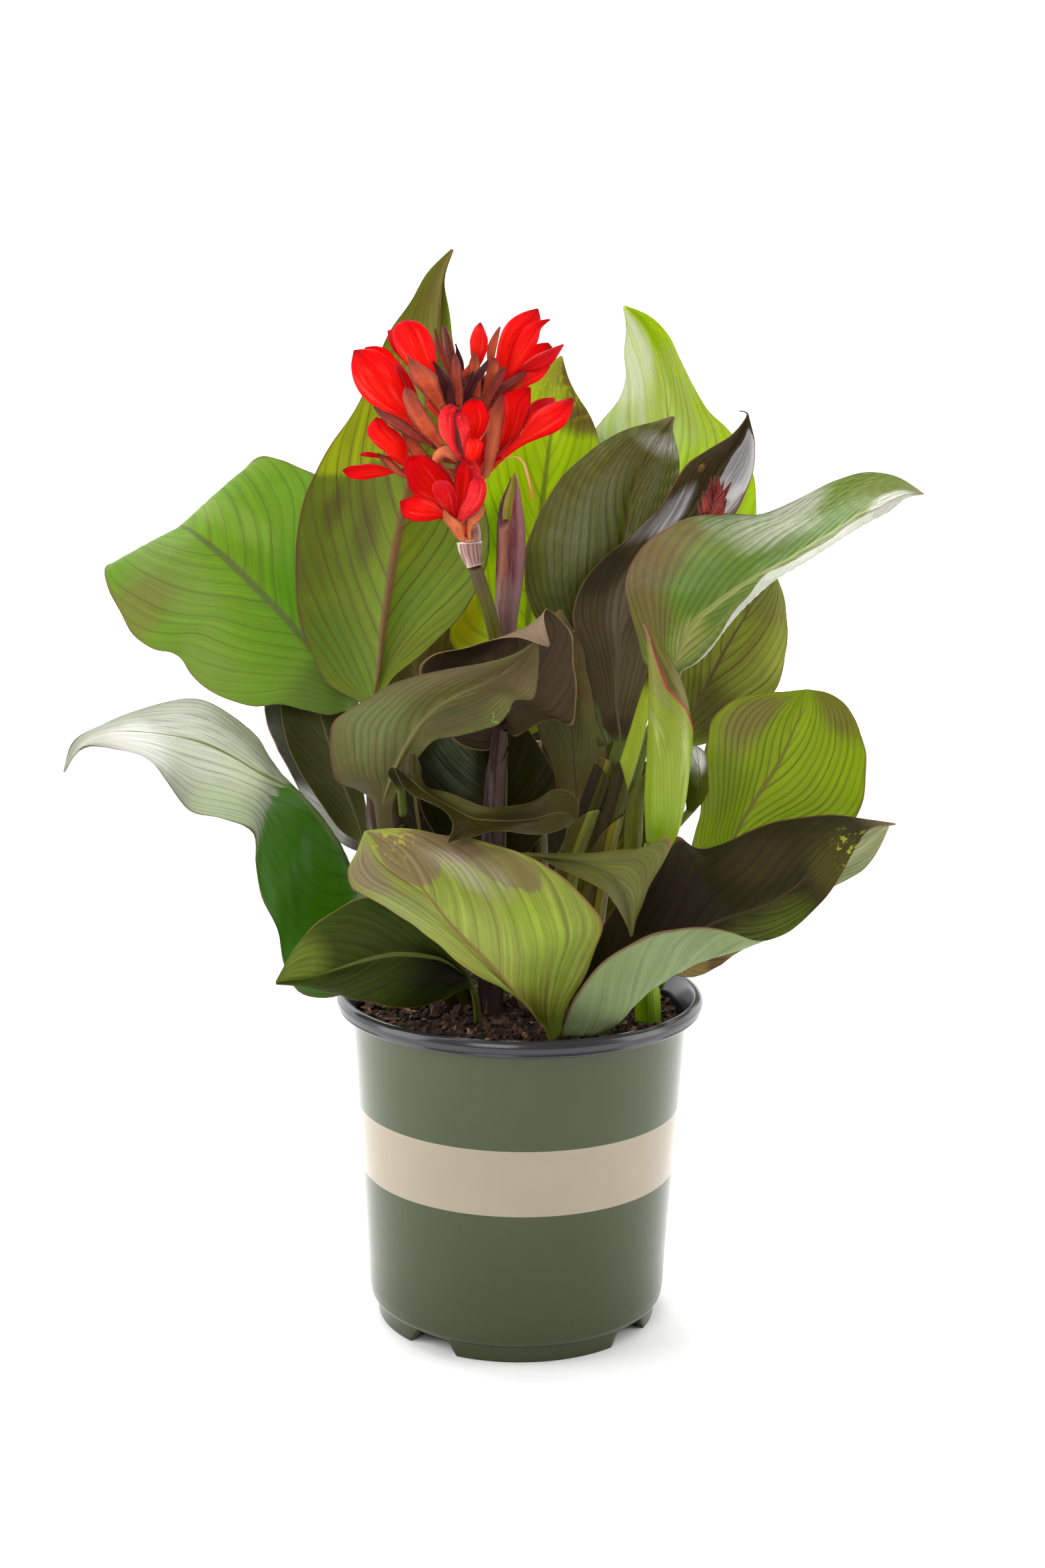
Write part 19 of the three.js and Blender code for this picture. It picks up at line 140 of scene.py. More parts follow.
    "flower_right": ([[-36.1,-12,508.7,2.4],[-28.7,-14,517.4,3.2],[-21.4,-17,526.9,4]], [[[[-20.6,-17.2,528.3],[-20.1,-16.5,527.9],[-19.6,-16.3,527.6],[-19.1,-16.5,527.3],[-18.5,-17.2,527]],[[-16.8,-16.9,533.5],[-16.1,-16,533],[-15.4,-15.8,532.6],[-14.7,-16,532.1],[-14,-16.9,531.7]],[[-15.4,-16.8,540.5],[-14,-14.5,539.4],[-12.6,-13.7,538.4],[-11.2,-14.5,537.4],[-9.8,-16.8,536.5]],[[-14.1,-16.6,547.4],[-12.2,-13,545.8],[-10.2,-11.8,544.3],[-8.2,-13,542.8],[-6.2,-16.6,541.5]],[[-13.5,-16.5,554.4],[-11,-12.8,552.4],[-8.4,-11.5,550.5],[-5.8,-12.8,548.7],[-3.2,-16.5,547]],[[-13.9,-16.4,562.2],[-10.7,-13,559.7],[-7.4,-11.9,557.3],[-4.1,-13,555],[-0.9,-16.4,552.7]],[[-13.2,-16.2,567.3],[-9.7,-13.6,565.1],[-6.2,-12.7,562.9],[-2.7,-13.6,560.8],[0.8,-16.2,558.7]],[[-5.7,-16.1,569.7],[-3.8,-14.7,568.5],[-2,-14.2,567.2],[-0.1,-14.7,566],[1.7,-16.1,564.8]],[[1.1,-16,571.4],[1.3,-16,571.2],[1.5,-16,571.1],[1.7,-16,570.9],[1.9,-16,570.8]]], [[[-20.5,-18.7,527.2],[-20,-19.8,526.5],[-19.5,-20.1,525.8],[-19,-19.8,525.1],[-18.6,-18.7,524.3]],[[-15,-21.5,533.1],[-14.4,-22.7,532.4],[-13.9,-23.1,531.6],[-13.4,-22.7,530.8],[-12.9,-21.5,530]],[[-9.5,-23.9,538.8],[-8.7,-25.8,537.9],[-8,-26.4,537],[-7.2,-25.8,536],[-6.5,-23.9,535]],[[-3.9,-25.9,544.4],[-2.8,-29,543.2],[-1.7,-30,541.9],[-0.6,-29,540.6],[0.5,-25.9,539.1]],[[-0.8,-27.5,551.5],[1.4,-32,549.2],[3.6,-33.4,546.8],[5.9,-32,544.4],[8.1,-27.5,541.8]],[[3.6,-28.6,557.6],[6.5,-32.7,554.6],[9.5,-34,551.5],[12.5,-32.7,548.4],[15.5,-28.6,545.1]],[[10.3,-29.4,561.5],[13.1,-32.6,558.7],[16,-33.6,555.9],[18.9,-32.6,553],[21.9,-29.4,550]],[[17.5,-29.8,564.1],[19.5,-31.7,562.3],[21.5,-32.3,560.5],[23.5,-31.7,558.6],[25.5,-29.8,556.7]],[[25.1,-30,565.9],[25.5,-30,565.6],[26,-30,565.3],[26.4,-30,565.1],[26.8,-30,564.8]]], [[[-13.5,-16.1,537.4],[-13,-15.8,537.4],[-12.5,-15.7,537.4],[-12,-15.8,537.3],[-11.5,-16.1,537.3]],[[-9.9,-16,541.1],[-9.5,-15.7,541.1],[-9,-15.6,541.1],[-8.5,-15.7,541.1],[-8,-16,541.1]],[[-6.6,-16,545.4],[-6.1,-15.6,545.2],[-5.7,-15.5,545],[-5.2,-15.6,544.8],[-4.7,-16,544.6]],[[-3.7,-16,550],[-3.2,-15.4,549.5],[-2.6,-15.1,549],[-2.1,-15.4,548.5],[-1.6,-16,548.1]],[[-1.5,-16,555.2],[-0.8,-15,554.3],[-0,-14.7,553.5],[0.7,-15,552.6],[1.5,-16,551.8]],[[0.9,-16,560],[1.8,-14.8,558.8],[2.7,-14.4,557.6],[3.6,-14.8,556.5],[4.5,-16,555.4]],[[4.9,-16,563.4],[5.9,-14.9,561.9],[6.8,-14.5,560.5],[7.7,-14.9,559],[8.7,-16,557.6]],[[10.1,-16,565.1],[10.7,-15.5,563.8],[11.4,-15.3,562.6],[12,-15.5,561.3],[12.6,-16,560.1]],[[15.6,-16,565.5],[15.7,-16,565],[15.8,-16,564.5],[16,-16,563.9],[16.1,-16,563.4]]], [[[-19.8,-20,527.3],[-19.7,-20,527.2],[-19.6,-20,527],[-19.5,-20,526.8],[-19.4,-20,526.6]],[[-15.2,-21.2,530],[-15.1,-21.2,529.8],[-15,-21.2,529.7],[-14.9,-21.2,529.5],[-14.9,-21.2,529.3]],[[-10.1,-22.5,531.6],[-10.1,-22.5,531.4],[-10.1,-22.5,531.3],[-10.1,-22.5,531.1],[-10.1,-22.5,530.9]],[[-4.9,-23.8,531.8],[-5,-23.8,531.5],[-5.1,-23.8,531.3],[-5.2,-23.8,531.1],[-5.3,-23.8,530.9]],[[-1.1,-25,528.2],[-1.3,-25,527.9],[-1.6,-25,527.6],[-1.8,-25,527.3],[-2,-25,527]],[[0.8,-26.2,523.3],[0.5,-26.2,523],[0.2,-26.2,522.8],[-0.2,-26.2,522.5],[-0.5,-26.2,522.2]],[[2.2,-27.5,518.1],[1.8,-27.5,518],[1.5,-27.5,517.8],[1.2,-27.5,517.6],[0.9,-27.5,517.4]],[[3.3,-28.8,513.1],[3,-28.8,513],[2.7,-28.8,512.9],[2.5,-28.8,512.8],[2.2,-28.8,512.7]],[[4.3,-30,508.1],[4,-30,508],[3.7,-30,507.9],[3.4,-30,507.8],[3.1,-30,507.7]]], [[[-25.3,-21.8,519.8],[-24.5,-22.5,519.7],[-23.7,-22.7,519.6],[-22.9,-22.5,519.5],[-22,-21.8,519.4]],[[-25,-24.2,525.9],[-23.6,-25.4,525.8],[-22.2,-25.8,525.7],[-20.8,-25.4,525.5],[-19.4,-24.2,525.3]],[[-24.7,-26.5,532.3],[-22.9,-28.5,532.1],[-21,-29.1,531.9],[-19.2,-28.5,531.6],[-17.4,-26.5,531.2]],[[-24.5,-28.8,538.6],[-22.3,-31.4,538.4],[-20.1,-32.2,538],[-17.9,-31.4,537.7],[-15.8,-28.8,537.2]],[[-24,-31,544.9],[-21.6,-33.8,544.6],[-19.2,-34.8,544.2],[-16.9,-33.8,543.7],[-14.6,-31,543.2]],[[-22.9,-33.2,551.1],[-20.5,-35.8,550.7],[-18.3,-36.6,550.3],[-16,-35.8,549.8],[-13.7,-33.2,549.3]],[[-21.2,-35.5,557.1],[-19.2,-37.2,556.7],[-17.3,-37.8,556.3],[-15.3,-37.2,555.9],[-13.4,-35.5,555.4]],[[-18.5,-37.8,562.7],[-17.2,-38.4,562.4],[-15.9,-38.7,562.1],[-14.6,-38.4,561.8],[-13.3,-37.8,561.4]],[[-14.7,-40,567.5],[-14.5,-40,567.4],[-14.2,-40,567.4],[-14,-40,567.3],[-13.8,-40,567.2]]]]),
    "flower_centre": ([[-37.3,-13,514.2,2],[-35,-28,522,2.8],[-33.5,-42,528.8,3.6]], [[[[-35.7,-42.8,528.7],[-35.1,-43.5,529],[-34.6,-43.7,529.2],[-34,-43.5,529.5],[-33.5,-42.8,529.7]],[[-39.7,-46.3,532],[-39.1,-47,532.4],[-38.4,-47.2,532.7],[-37.8,-47,533],[-37.2,-46.3,533.2]],[[-43.1,-49.4,536.1],[-42.1,-50.7,536.4],[-41.1,-51.2,536.7],[-40.1,-50.7,536.9],[-39.2,-49.4,537.1]],[[-46.3,-52.1,540.4],[-44.7,-54.5,540.8],[-43.2,-55.3,541.2],[-41.7,-54.5,541.5],[-40.2,-52.1,541.7]],[[-49.3,-54.5,544.6],[-46.9,-57.9,545.2],[-44.7,-59.1,545.7],[-42.5,-57.9,546.1],[-40.4,-54.5,546.4]],[[-50.6,-56.4,549.8],[-47.9,-59.8,550.2],[-45.3,-60.9,550.6],[-42.8,-59.8,550.8],[-40.4,-56.4,551]],[[-50,-57.9,555.1],[-47.5,-60.4,555.3],[-45.1,-61.3,555.5],[-42.8,-60.4,555.6],[-40.6,-57.9,555.6]],[[-47.7,-59,559.9],[-45.5,-60.5,559.9],[-43.2,-61,559.9],[-41,-60.5,559.9],[-38.9,-59,559.8]],[[-43.1,-60,562.3],[-42.8,-60,562.3],[-42.6,-60,562.3],[-42.3,-60,562.3],[-42.1,-60,562.3]]], [[[-34.7,-43.3,529],[-33.7,-42.2,529.5],[-32.8,-41.8,530],[-31.8,-42.2,530.6],[-30.8,-43.3,531.2]],[[-34.4,-44.6,534],[-33.3,-43.3,534.5],[-32.2,-42.9,535.1],[-31.1,-43.3,535.7],[-30,-44.6,536.4]],[[-34.3,-46.2,539],[-32.8,-44.2,539.4],[-31.4,-43.5,539.9],[-29.9,-44.2,540.4],[-28.4,-46.2,541]],[[-34.2,-47.9,543.9],[-32.1,-44.5,544],[-29.9,-43.4,544.3],[-27.7,-44.5,544.6],[-25.4,-47.9,545]],[[-35.5,-49.5,548.6],[-32.4,-45.8,548.6],[-29.3,-44.5,548.7],[-26.1,-45.8,548.9],[-22.9,-49.5,549.2]],[[-36.8,-51.1,553.5],[-33.1,-47.8,553.5],[-29.4,-46.6,553.6],[-25.6,-47.8,553.8],[-21.8,-51.1,554.1]],[[-37.4,-52.8,558.3],[-33.9,-50.1,558.3],[-30.3,-49.2,558.4],[-26.7,-50.1,558.6],[-23.1,-52.8,558.8]],[[-34.7,-54.4,562.5],[-32.5,-52.9,562.6],[-30.2,-52.3,562.8],[-27.8,-52.9,563],[-25.5,-54.4,563.2]],[[-30.7,-56,565],[-30.4,-56,565],[-30.2,-56,565],[-29.9,-56,565.1],[-29.7,-56,565.1]]], [[[-35.2,-43.9,529.1],[-34.7,-44.2,529.4],[-34.2,-44.4,529.6],[-33.8,-44.2,529.9],[-33.3,-43.9,530.1]],[[-35.8,-47,533],[-35.2,-47.4,533.3],[-34.6,-47.6,533.6],[-34,-47.4,533.9],[-33.4,-47,534.2]],[[-36.4,-49.9,536.7],[-35.7,-50.6,537.1],[-34.9,-50.8,537.5],[-34.2,-50.6,537.9],[-33.4,-49.9,538.3]],[[-37.2,-52.6,540.3],[-36.2,-53.5,540.8],[-35.3,-53.8,541.3],[-34.3,-53.5,541.7],[-33.4,-52.6,542.1]],[[-38,-55,543.9],[-36.5,-56.3,544.4],[-35.1,-56.8,544.9],[-33.7,-56.3,545.3],[-32.4,-55,545.7]],[[-39.1,-57.1,547.4],[-37.2,-58.7,547.9],[-35.2,-59.3,548.4],[-33.3,-58.7,548.9],[-31.4,-57.1,549.3]],[[-40,-58.9,550.9],[-38.2,-60.1,551.5],[-36.5,-60.5,552],[-34.7,-60.1,552.5],[-33,-58.9,553]],[[-40,-60.5,554.6],[-38.8,-61,555],[-37.5,-61.2,555.5],[-36.3,-61,556],[-35.1,-60.5,556.4]],[[-39.1,-62,557.6],[-38.9,-62,557.7],[-38.6,-62,557.8],[-38.4,-62,557.9],[-38.2,-62,558]]], [[[-34.9,-43.8,528.7],[-34,-44.4,528.7],[-33.2,-44.6,528.6],[-32.4,-44.4,528.6],[-31.5,-43.8,528.5]],[[-35.1,-47.1,530.7],[-33.4,-48.1,530.6],[-31.9,-48.5,530.5],[-30.3,-48.1,530.4],[-28.7,-47.1,530.3]],[[-35.1,-50.1,532.7],[-32.9,-51.8,532.7],[-30.8,-52.4,532.6],[-28.7,-51.8,532.5],[-26.6,-50.1,532.3]],[[-35.1,-52.8,534.8],[-32.6,-55,534.8],[-30.1,-55.7,534.8],[-27.7,-55,534.7],[-25.3,-52.8,534.5]],[[-35,-55,536.8],[-32.3,-57.2,537],[-29.7,-58,537.2],[-27.1,-57.2,537.2],[-24.5,-55,537.3]],[[-34.7,-56.8,538.9],[-32,-58.8,539.3],[-29.4,-59.5,539.5],[-26.8,-58.8,539.8],[-24.2,-56.8,540]],[[-34.3,-58.1,540.8],[-32.2,-59.5,541.2],[-30.1,-60,541.5],[-28,-59.5,541.8],[-25.9,-58.1,542.1]],[[-33.5,-59.1,542.2],[-32.2,-59.7,542.4],[-30.9,-59.8,542.6],[-29.6,-59.7,542.8],[-28.3,-59.1,543]],[[-31.8,-60,543.2],[-31.6,-60,543.3],[-31.3,-60,543.3],[-31.1,-60,543.4],[-30.8,-60,543.4]]], [[[-31.5,-9.8,515.8],[-30.1,-10.6,515.8],[-28.7,-10.9,515.8],[-27.3,-10.6,515.7],[-26,-9.8,515.6]],[[-32,-11.1,520.1],[-29.8,-12.4,520.1],[-27.7,-12.8,520],[-25.6,-12.4,519.9],[-23.5,-11.1,519.7]],[[-32.1,-12.2,524.5],[-29.5,-14.2,524.4],[-26.9,-14.9,524.3],[-24.3,-14.2,524.1],[-21.8,-12.2,523.9]],[[-31.6,-13.4,528.9],[-28.9,-15.6,528.8],[-26.2,-16.3,528.7],[-23.5,-15.6,528.5],[-20.8,-13.4,528.2]],[[-30.8,-14.5,533.2],[-28.1,-16.7,533.2],[-25.5,-17.5,533.1],[-22.9,-16.7,533],[-20.3,-14.5,532.7]],[[-29.9,-15.6,537.5],[-27.4,-17.6,537.5],[-24.9,-18.3,537.5],[-22.5,-17.6,537.4],[-20,-15.6,537.2]],[[-28.9,-16.8,541.8],[-26.6,-18.2,541.8],[-24.4,-18.6,541.8],[-22.2,-18.2,541.8],[-20,-16.8,541.7]],[[-27.5,-17.9,545.9],[-25.8,-18.5,545.9],[-24.1,-18.7,545.9],[-22.5,-18.5,545.9],[-20.9,-17.9,545.9]],[[-25.7,-19,549.9],[-25,-19,549.9],[-24.4,-19,549.9],[-23.8,-19,549.9],[-23.2,-19,549.9]]]]),
    "flower_lower_front": ([[-33.9,-13,483.9,2.4],[-36.9,-21,488,3.2],[-39.8,-29,492,4]], [[[[-41.6,-30.3,493.1],[-40.8,-29.3,493.2],[-40,-29,493.3],[-39.3,-29.3,493.4],[-38.4,-30.3,493.6]],[[-45.2,-32.8,499.4],[-43.9,-31.1,499.5],[-42.6,-30.5,499.7],[-41.2,-31.1,499.9],[-39.8,-32.8,500.3]],[[-49.9,-35.5,503.9],[-47.8,-31.7,504.4],[-45.6,-30.4,505],[-43.2,-31.7,505.9],[-40.8,-35.5,506.9]],[[-56.5,-38.2,506.1],[-53,-33.8,507.7],[-49.3,-32.3,509.4],[-45.5,-33.8,511.4],[-41.7,-38.2,513.5]],[[-62.6,-41,508.8],[-58,-36.5,511.3],[-53.3,-35.1,514],[-48.5,-36.5,516.8],[-43.6,-41,519.8]],[[-66.3,-43.8,514.5],[-61.9,-39.7,516.8],[-57.4,-38.4,519.3],[-52.7,-39.7,521.8],[-47.9,-43.8,524.6]],[[-68.1,-46.5,521.2],[-64.4,-43.3,522.9],[-60.7,-42.3,524.7],[-56.8,-43.3,526.7],[-52.8,-46.5,528.7]],[[-69.6,-49.2,527.8],[-66.9,-47.3,528.7],[-64.1,-46.7,529.7],[-61.3,-47.3,530.7],[-58.5,-49.2,531.8]],[[-65.5,-52,532.4],[-65.3,-52,532.5],[-65.1,-52,532.6],[-64.8,-52,532.7],[-64.6,-52,532.8]]], [[[-41.5,-30.8,492.8],[-40.7,-31.5,493],[-40,-31.7,493.1],[-39.2,-31.5,493.2],[-38.5,-30.8,493.3]],[[-44.1,-35.1,496.3],[-42.7,-36.2,496.6],[-41.3,-36.6,496.8],[-40,-36.2,497],[-38.7,-35.1,497]],[[-46.4,-39.2,499.7],[-44.5,-41.2,500.2],[-42.6,-41.9,500.5],[-40.7,-41.2,500.8],[-38.9,-39.2,501]],[[-48.7,-43,503.1],[-46.2,-45.9,503.8],[-43.8,-46.9,504.3],[-41.4,-45.9,504.6],[-39.1,-43,504.9]],[[-51,-46.5,506.5],[-48,-49.5,507.3],[-45.1,-50.5,507.9],[-42.2,-49.5,508.4],[-39.4,-46.5,508.7]],[[-52.6,-49.7,510.2],[-49.4,-52.4,510.9],[-46.3,-53.3,511.6],[-43.3,-52.4,512.1],[-40.3,-49.7,512.5]],[[-53.5,-52.7,514.2],[-50.4,-54.8,514.8],[-47.5,-55.5,515.3],[-44.6,-54.8,515.8],[-41.7,-52.7,516.1]],[[-52.1,-55.4,518.1],[-50,-56.5,518.2],[-48,-56.8,518.4],[-46,-56.5,518.5],[-44,-55.4,518.5]],[[-48.4,-58,519.4],[-48.2,-58,519.4],[-47.9,-58,519.4],[-47.7,-58,519.4],[-47.4,-58,519.5]]], [[[-40.5,-31.2,493.1],[-39.8,-30.6,493.1],[-39.1,-30.4,493],[-38.4,-30.6,493],[-37.7,-31.2,493]],[[-41,-33.4,498],[-39.9,-32.4,497.9],[-38.7,-32.1,497.8],[-37.6,-32.4,497.8],[-36.4,-33.4,497.8]],[[-41.3,-35.8,503],[-39.8,-34.1,502.8],[-38.3,-33.5,502.6],[-36.7,-34.1,502.5],[-35.1,-35.8,502.6]],[[-41.3,-38.1,507.9],[-39.5,-35.9,507.6],[-37.6,-35.1,507.4],[-35.7,-35.9,507.3],[-33.7,-38.1,507.3]],[[-41.1,-40.5,512.9],[-39.1,-38,512.5],[-37.1,-37.2,512.2],[-35,-38,512.1],[-32.9,-40.5,512]],[[-40.7,-42.9,517.8],[-38.7,-40.7,517.4],[-36.7,-39.9,517.1],[-34.6,-40.7,516.9],[-32.5,-42.9,516.8]],[[-39.9,-45.2,522.6],[-38.1,-43.7,522.3],[-36.3,-43.1,522],[-34.4,-43.7,521.8],[-32.6,-45.2,521.6]],[[-38.2,-47.6,527.2],[-36.9,-46.9,526.9],[-35.6,-46.7,526.7],[-34.3,-46.9,526.5],[-32.9,-47.6,526.3]],[[-35.3,-50,531],[-35,-50,530.9],[-34.8,-50,530.9],[-34.5,-50,530.8],[-34.3,-50,530.8]]], [[[-40.4,-32.7,492.6],[-39.6,-33.6,492.6],[-38.7,-33.9,492.6],[-37.8,-33.6,492.6],[-37,-32.7,492.5]],[[-39.8,-37,496.6],[-38.3,-38.5,496.7],[-36.9,-39,496.7],[-35.4,-38.5,496.6],[-34,-37,496.5]],[[-39,-40.9,500.6],[-36.6,-43.9,500.5],[-34.3,-44.9,500.2],[-32.1,-43.9,499.7],[-29.9,-40.9,499.1]],[[-37.8,-44.4,504.5],[-34.8,-48.1,504.2],[-32,-49.3,503.8],[-29.1,-48.1,503.2],[-26.4,-44.4,502.4]],[[-36,-47.5,508],[-32.9,-51.2,507.9],[-29.8,-52.5,507.6],[-26.8,-51.2,507.1],[-23.9,-47.5,506.4]],[[-34.2,-50.1,511.6],[-31.1,-53.5,511.6],[-28.2,-54.6,511.6],[-25.3,-53.5,511.4],[-22.4,-50.1,511]],[[-33,-52.4,515.3],[-30.2,-55,515.6],[-27.5,-55.9,515.7],[-24.8,-55,515.8],[-22.1,-52.4,515.7]],[[-31.6,-54.3,518.8],[-29.6,-55.6,519.2],[-27.7,-56,519.5],[-25.8,-55.6,519.7],[-23.8,-54.3,519.9]],[[-29,-56,521.5],[-28.7,-56,521.5],[-28.5,-56,521.6],[-28.2,-56,521.6],[-28,-56,521.6]]], [[[-39.9,-29,492.9],[-39.5,-29.1,492.9],[-39.2,-29.1,492.9],[-38.8,-29.1,492.9],[-38.5,-29,492.9]],[[-38.2,-30.9,497.6],[-37.4,-31.2,497.6],[-36.6,-31.3,497.6],[-35.9,-31.2,497.6],[-35.1,-30.9,497.6]],[[-36.7,-32.8,502.3],[-35.5,-33.3,502.4],[-34.4,-33.5,502.4],[-33.3,-33.3,502.4],[-32.2,-32.8,502.4]],[[-35.3,-34.6,507],[-33.9,-35.4,507.2],[-32.5,-35.7,507.3],[-31.2,-35.4,507.4],[-29.8,-34.6,507.4]],[[-34.2,-36.5,511.8],[-32.6,-37.4,512],[-31,-37.8,512.2],[-29.4,-37.4,512.4],[-27.9,-36.5,512.5]],[[-33,-38.4,516.6],[-31.3,-39.3,517],[-29.6,-39.6,517.3],[-27.9,-39.3,517.6],[-26.2,-38.4,517.9]],[[-32.7,-40.2,521.3],[-31,-41,521.8],[-29.4,-41.2,522.3],[-27.8,-41,522.8],[-26.2,-40.2,523.3]],[[-34.2,-42.1,525.9],[-32.7,-42.5,526.6],[-31.3,-42.7,527.3],[-29.8,-42.5,527.9],[-28.3,-42.1,528.5]],[[-33.6,-44,530.4],[-33.4,-44,530.5],[-33.2,-44,530.6],[-32.9,-44,530.7],[-32.7,-44,530.8]]], [[[-41.2,-32.1,493.4],[-41.6,-31.8,492.9],[-41.9,-31.7,492.5],[-42.3,-31.8,492],[-42.6,-32.1,491.6]],[[-44.5,-36.3,497.3],[-44.8,-35.9,496.9],[-45.2,-35.8,496.4],[-45.5,-35.9,496],[-45.8,-36.3,495.6]],[[-47.5,-40.4,501],[-48.2,-39.4,499.8],[-48.8,-39,498.6],[-49.4,-39.4,497.5],[-50,-40.4,496.5]],[[-50.6,-44.3,504.8],[-51.7,-42.1,502.4],[-52.7,-41.4,500.1],[-53.7,-42.1,497.9],[-54.6,-44.3,495.8]],[[-54.1,-48,507.4],[-55.5,-45.8,504.3],[-56.8,-45,501.2],[-58.1,-45.8,498.3],[-59.3,-48,495.4]],[[-58.4,-51.3,509.2],[-59.8,-49.3,505.7],[-61.3,-48.7,502.3],[-62.7,-49.3,499],[-64,-51.3,495.8]],[[-62.8,-54.4,509.8],[-64.2,-52.8,506.7],[-65.6,-52.3,503.6],[-66.9,-52.8,500.6],[-68.2,-54.4,497.7]],[[-67.1,-57.3,509.1],[-68,-56.4,507.1],[-68.8,-56.1,505.1],[-69.6,-56.4,503.1],[-70.4,-57.3,501.2]],[[-71.1,-60,507.6],[-71.1,-60,507.3],[-71.2,-60,507.1],[-71.3,-60,506.9],[-71.4,-60,506.6]]]]),
    "flower_bud_top": ([[-42.4,-12,574,1.8],[-35.4,-12.5,578.6,2.6],[-30.1,-13,584,3.4]], [[[[-31.2,-12.8,581.7],[-30.6,-13.5,581.6],[-30,-13.8,581.6],[-29.4,-13.5,581.6],[-28.9,-12.8,581.5]],[[-32.6,-13.9,584.9],[-31,-15.8,584.8],[-29.5,-16.4,584.7],[-28,-15.8,584.6],[-26.5,-13.9,584.4]],[[-33.5,-14.7,588.4],[-31.2,-18.2,588.2],[-29,-19.4,588],[-26.8,-18.2,587.8],[-24.7,-14.7,587.5]],[[-34.3,-15.2,591.9],[-31.4,-19.7,591.7],[-28.6,-21.1,591.4],[-25.9,-19.7,591.2],[-23.2,-15.2,590.9]],[[-34.4,-15.5,595.5],[-31.4,-20,595.2],[-28.4,-21.4,594.9],[-25.5,-20,594.7],[-22.7,-15.5,594.4]],[[-34.1,-15.5,599.1],[-31.1,-19.5,598.8],[-28.2,-20.9,598.5],[-25.4,-19.5,598.2],[-22.6,-15.5,598]],[[-32.8,-15.2,602.5],[-30.5,-18.1,602.2],[-28.2,-19.1,601.9],[-26,-18.1,601.7],[-23.7,-15.2,601.4]],[[-30.8,-14.6,605.4],[-29.4,-15.7,605.2],[-28,-16.1,605],[-26.6,-15.7,604.8],[-25.3,-14.6,604.6]],[[-28.1,-14,607.7],[-27.9,-14,607.7],[-27.6,-14,607.6],[-27.4,-14,607.6],[-27.1,-14,607.6]]], [[[-30.4,-14.9,581.6],[-29.8,-15.2,581.6],[-29.2,-15.3,581.6],[-28.6,-15.2,581.6],[-28,-14.9,581.6]],[[-30.7,-15.5,584],[-29.8,-15.8,584],[-29,-16,584],[-28.1,-15.8,584],[-27.3,-15.5,584.1]],[[-30.9,-16,586.4],[-29.8,-16.6,586.4],[-28.7,-16.7,586.4],[-27.7,-16.6,586.5],[-26.6,-16,586.5]],[[-30.9,-16.5,588.7],[-29.7,-17.2,588.8],[-28.4,-17.5,588.8],[-27.2,-17.2,588.9],[-25.9,-16.5,588.9]],[[-31,-17,591.1],[-29.5,-17.9,591.2],[-28,-18.2,591.3],[-26.6,-17.9,591.4],[-25.1,-17,591.4]],[[-30.8,-17.5,593.5],[-29.3,-18.3,593.6],[-27.7,-18.6,593.6],[-26.2,-18.3,593.7],[-24.7,-17.5,593.8]],[[-30.3,-18,595.8],[-29,-18.6,595.9],[-27.7,-18.7,595.9],[-26.4,-18.6,596],[-25.1,-18,596.1]],[[-29.7,-18.5,598.1],[-28.9,-18.7,598.1],[-28.1,-18.8,598.2],[-27.3,-18.7,598.2],[-26.5,-18.5,598.2]],[[-29.1,-19,600.3],[-28.9,-19,600.3],[-28.6,-19,600.3],[-28.4,-19,600.3],[-28.1,-19,600.3]]]]),
}
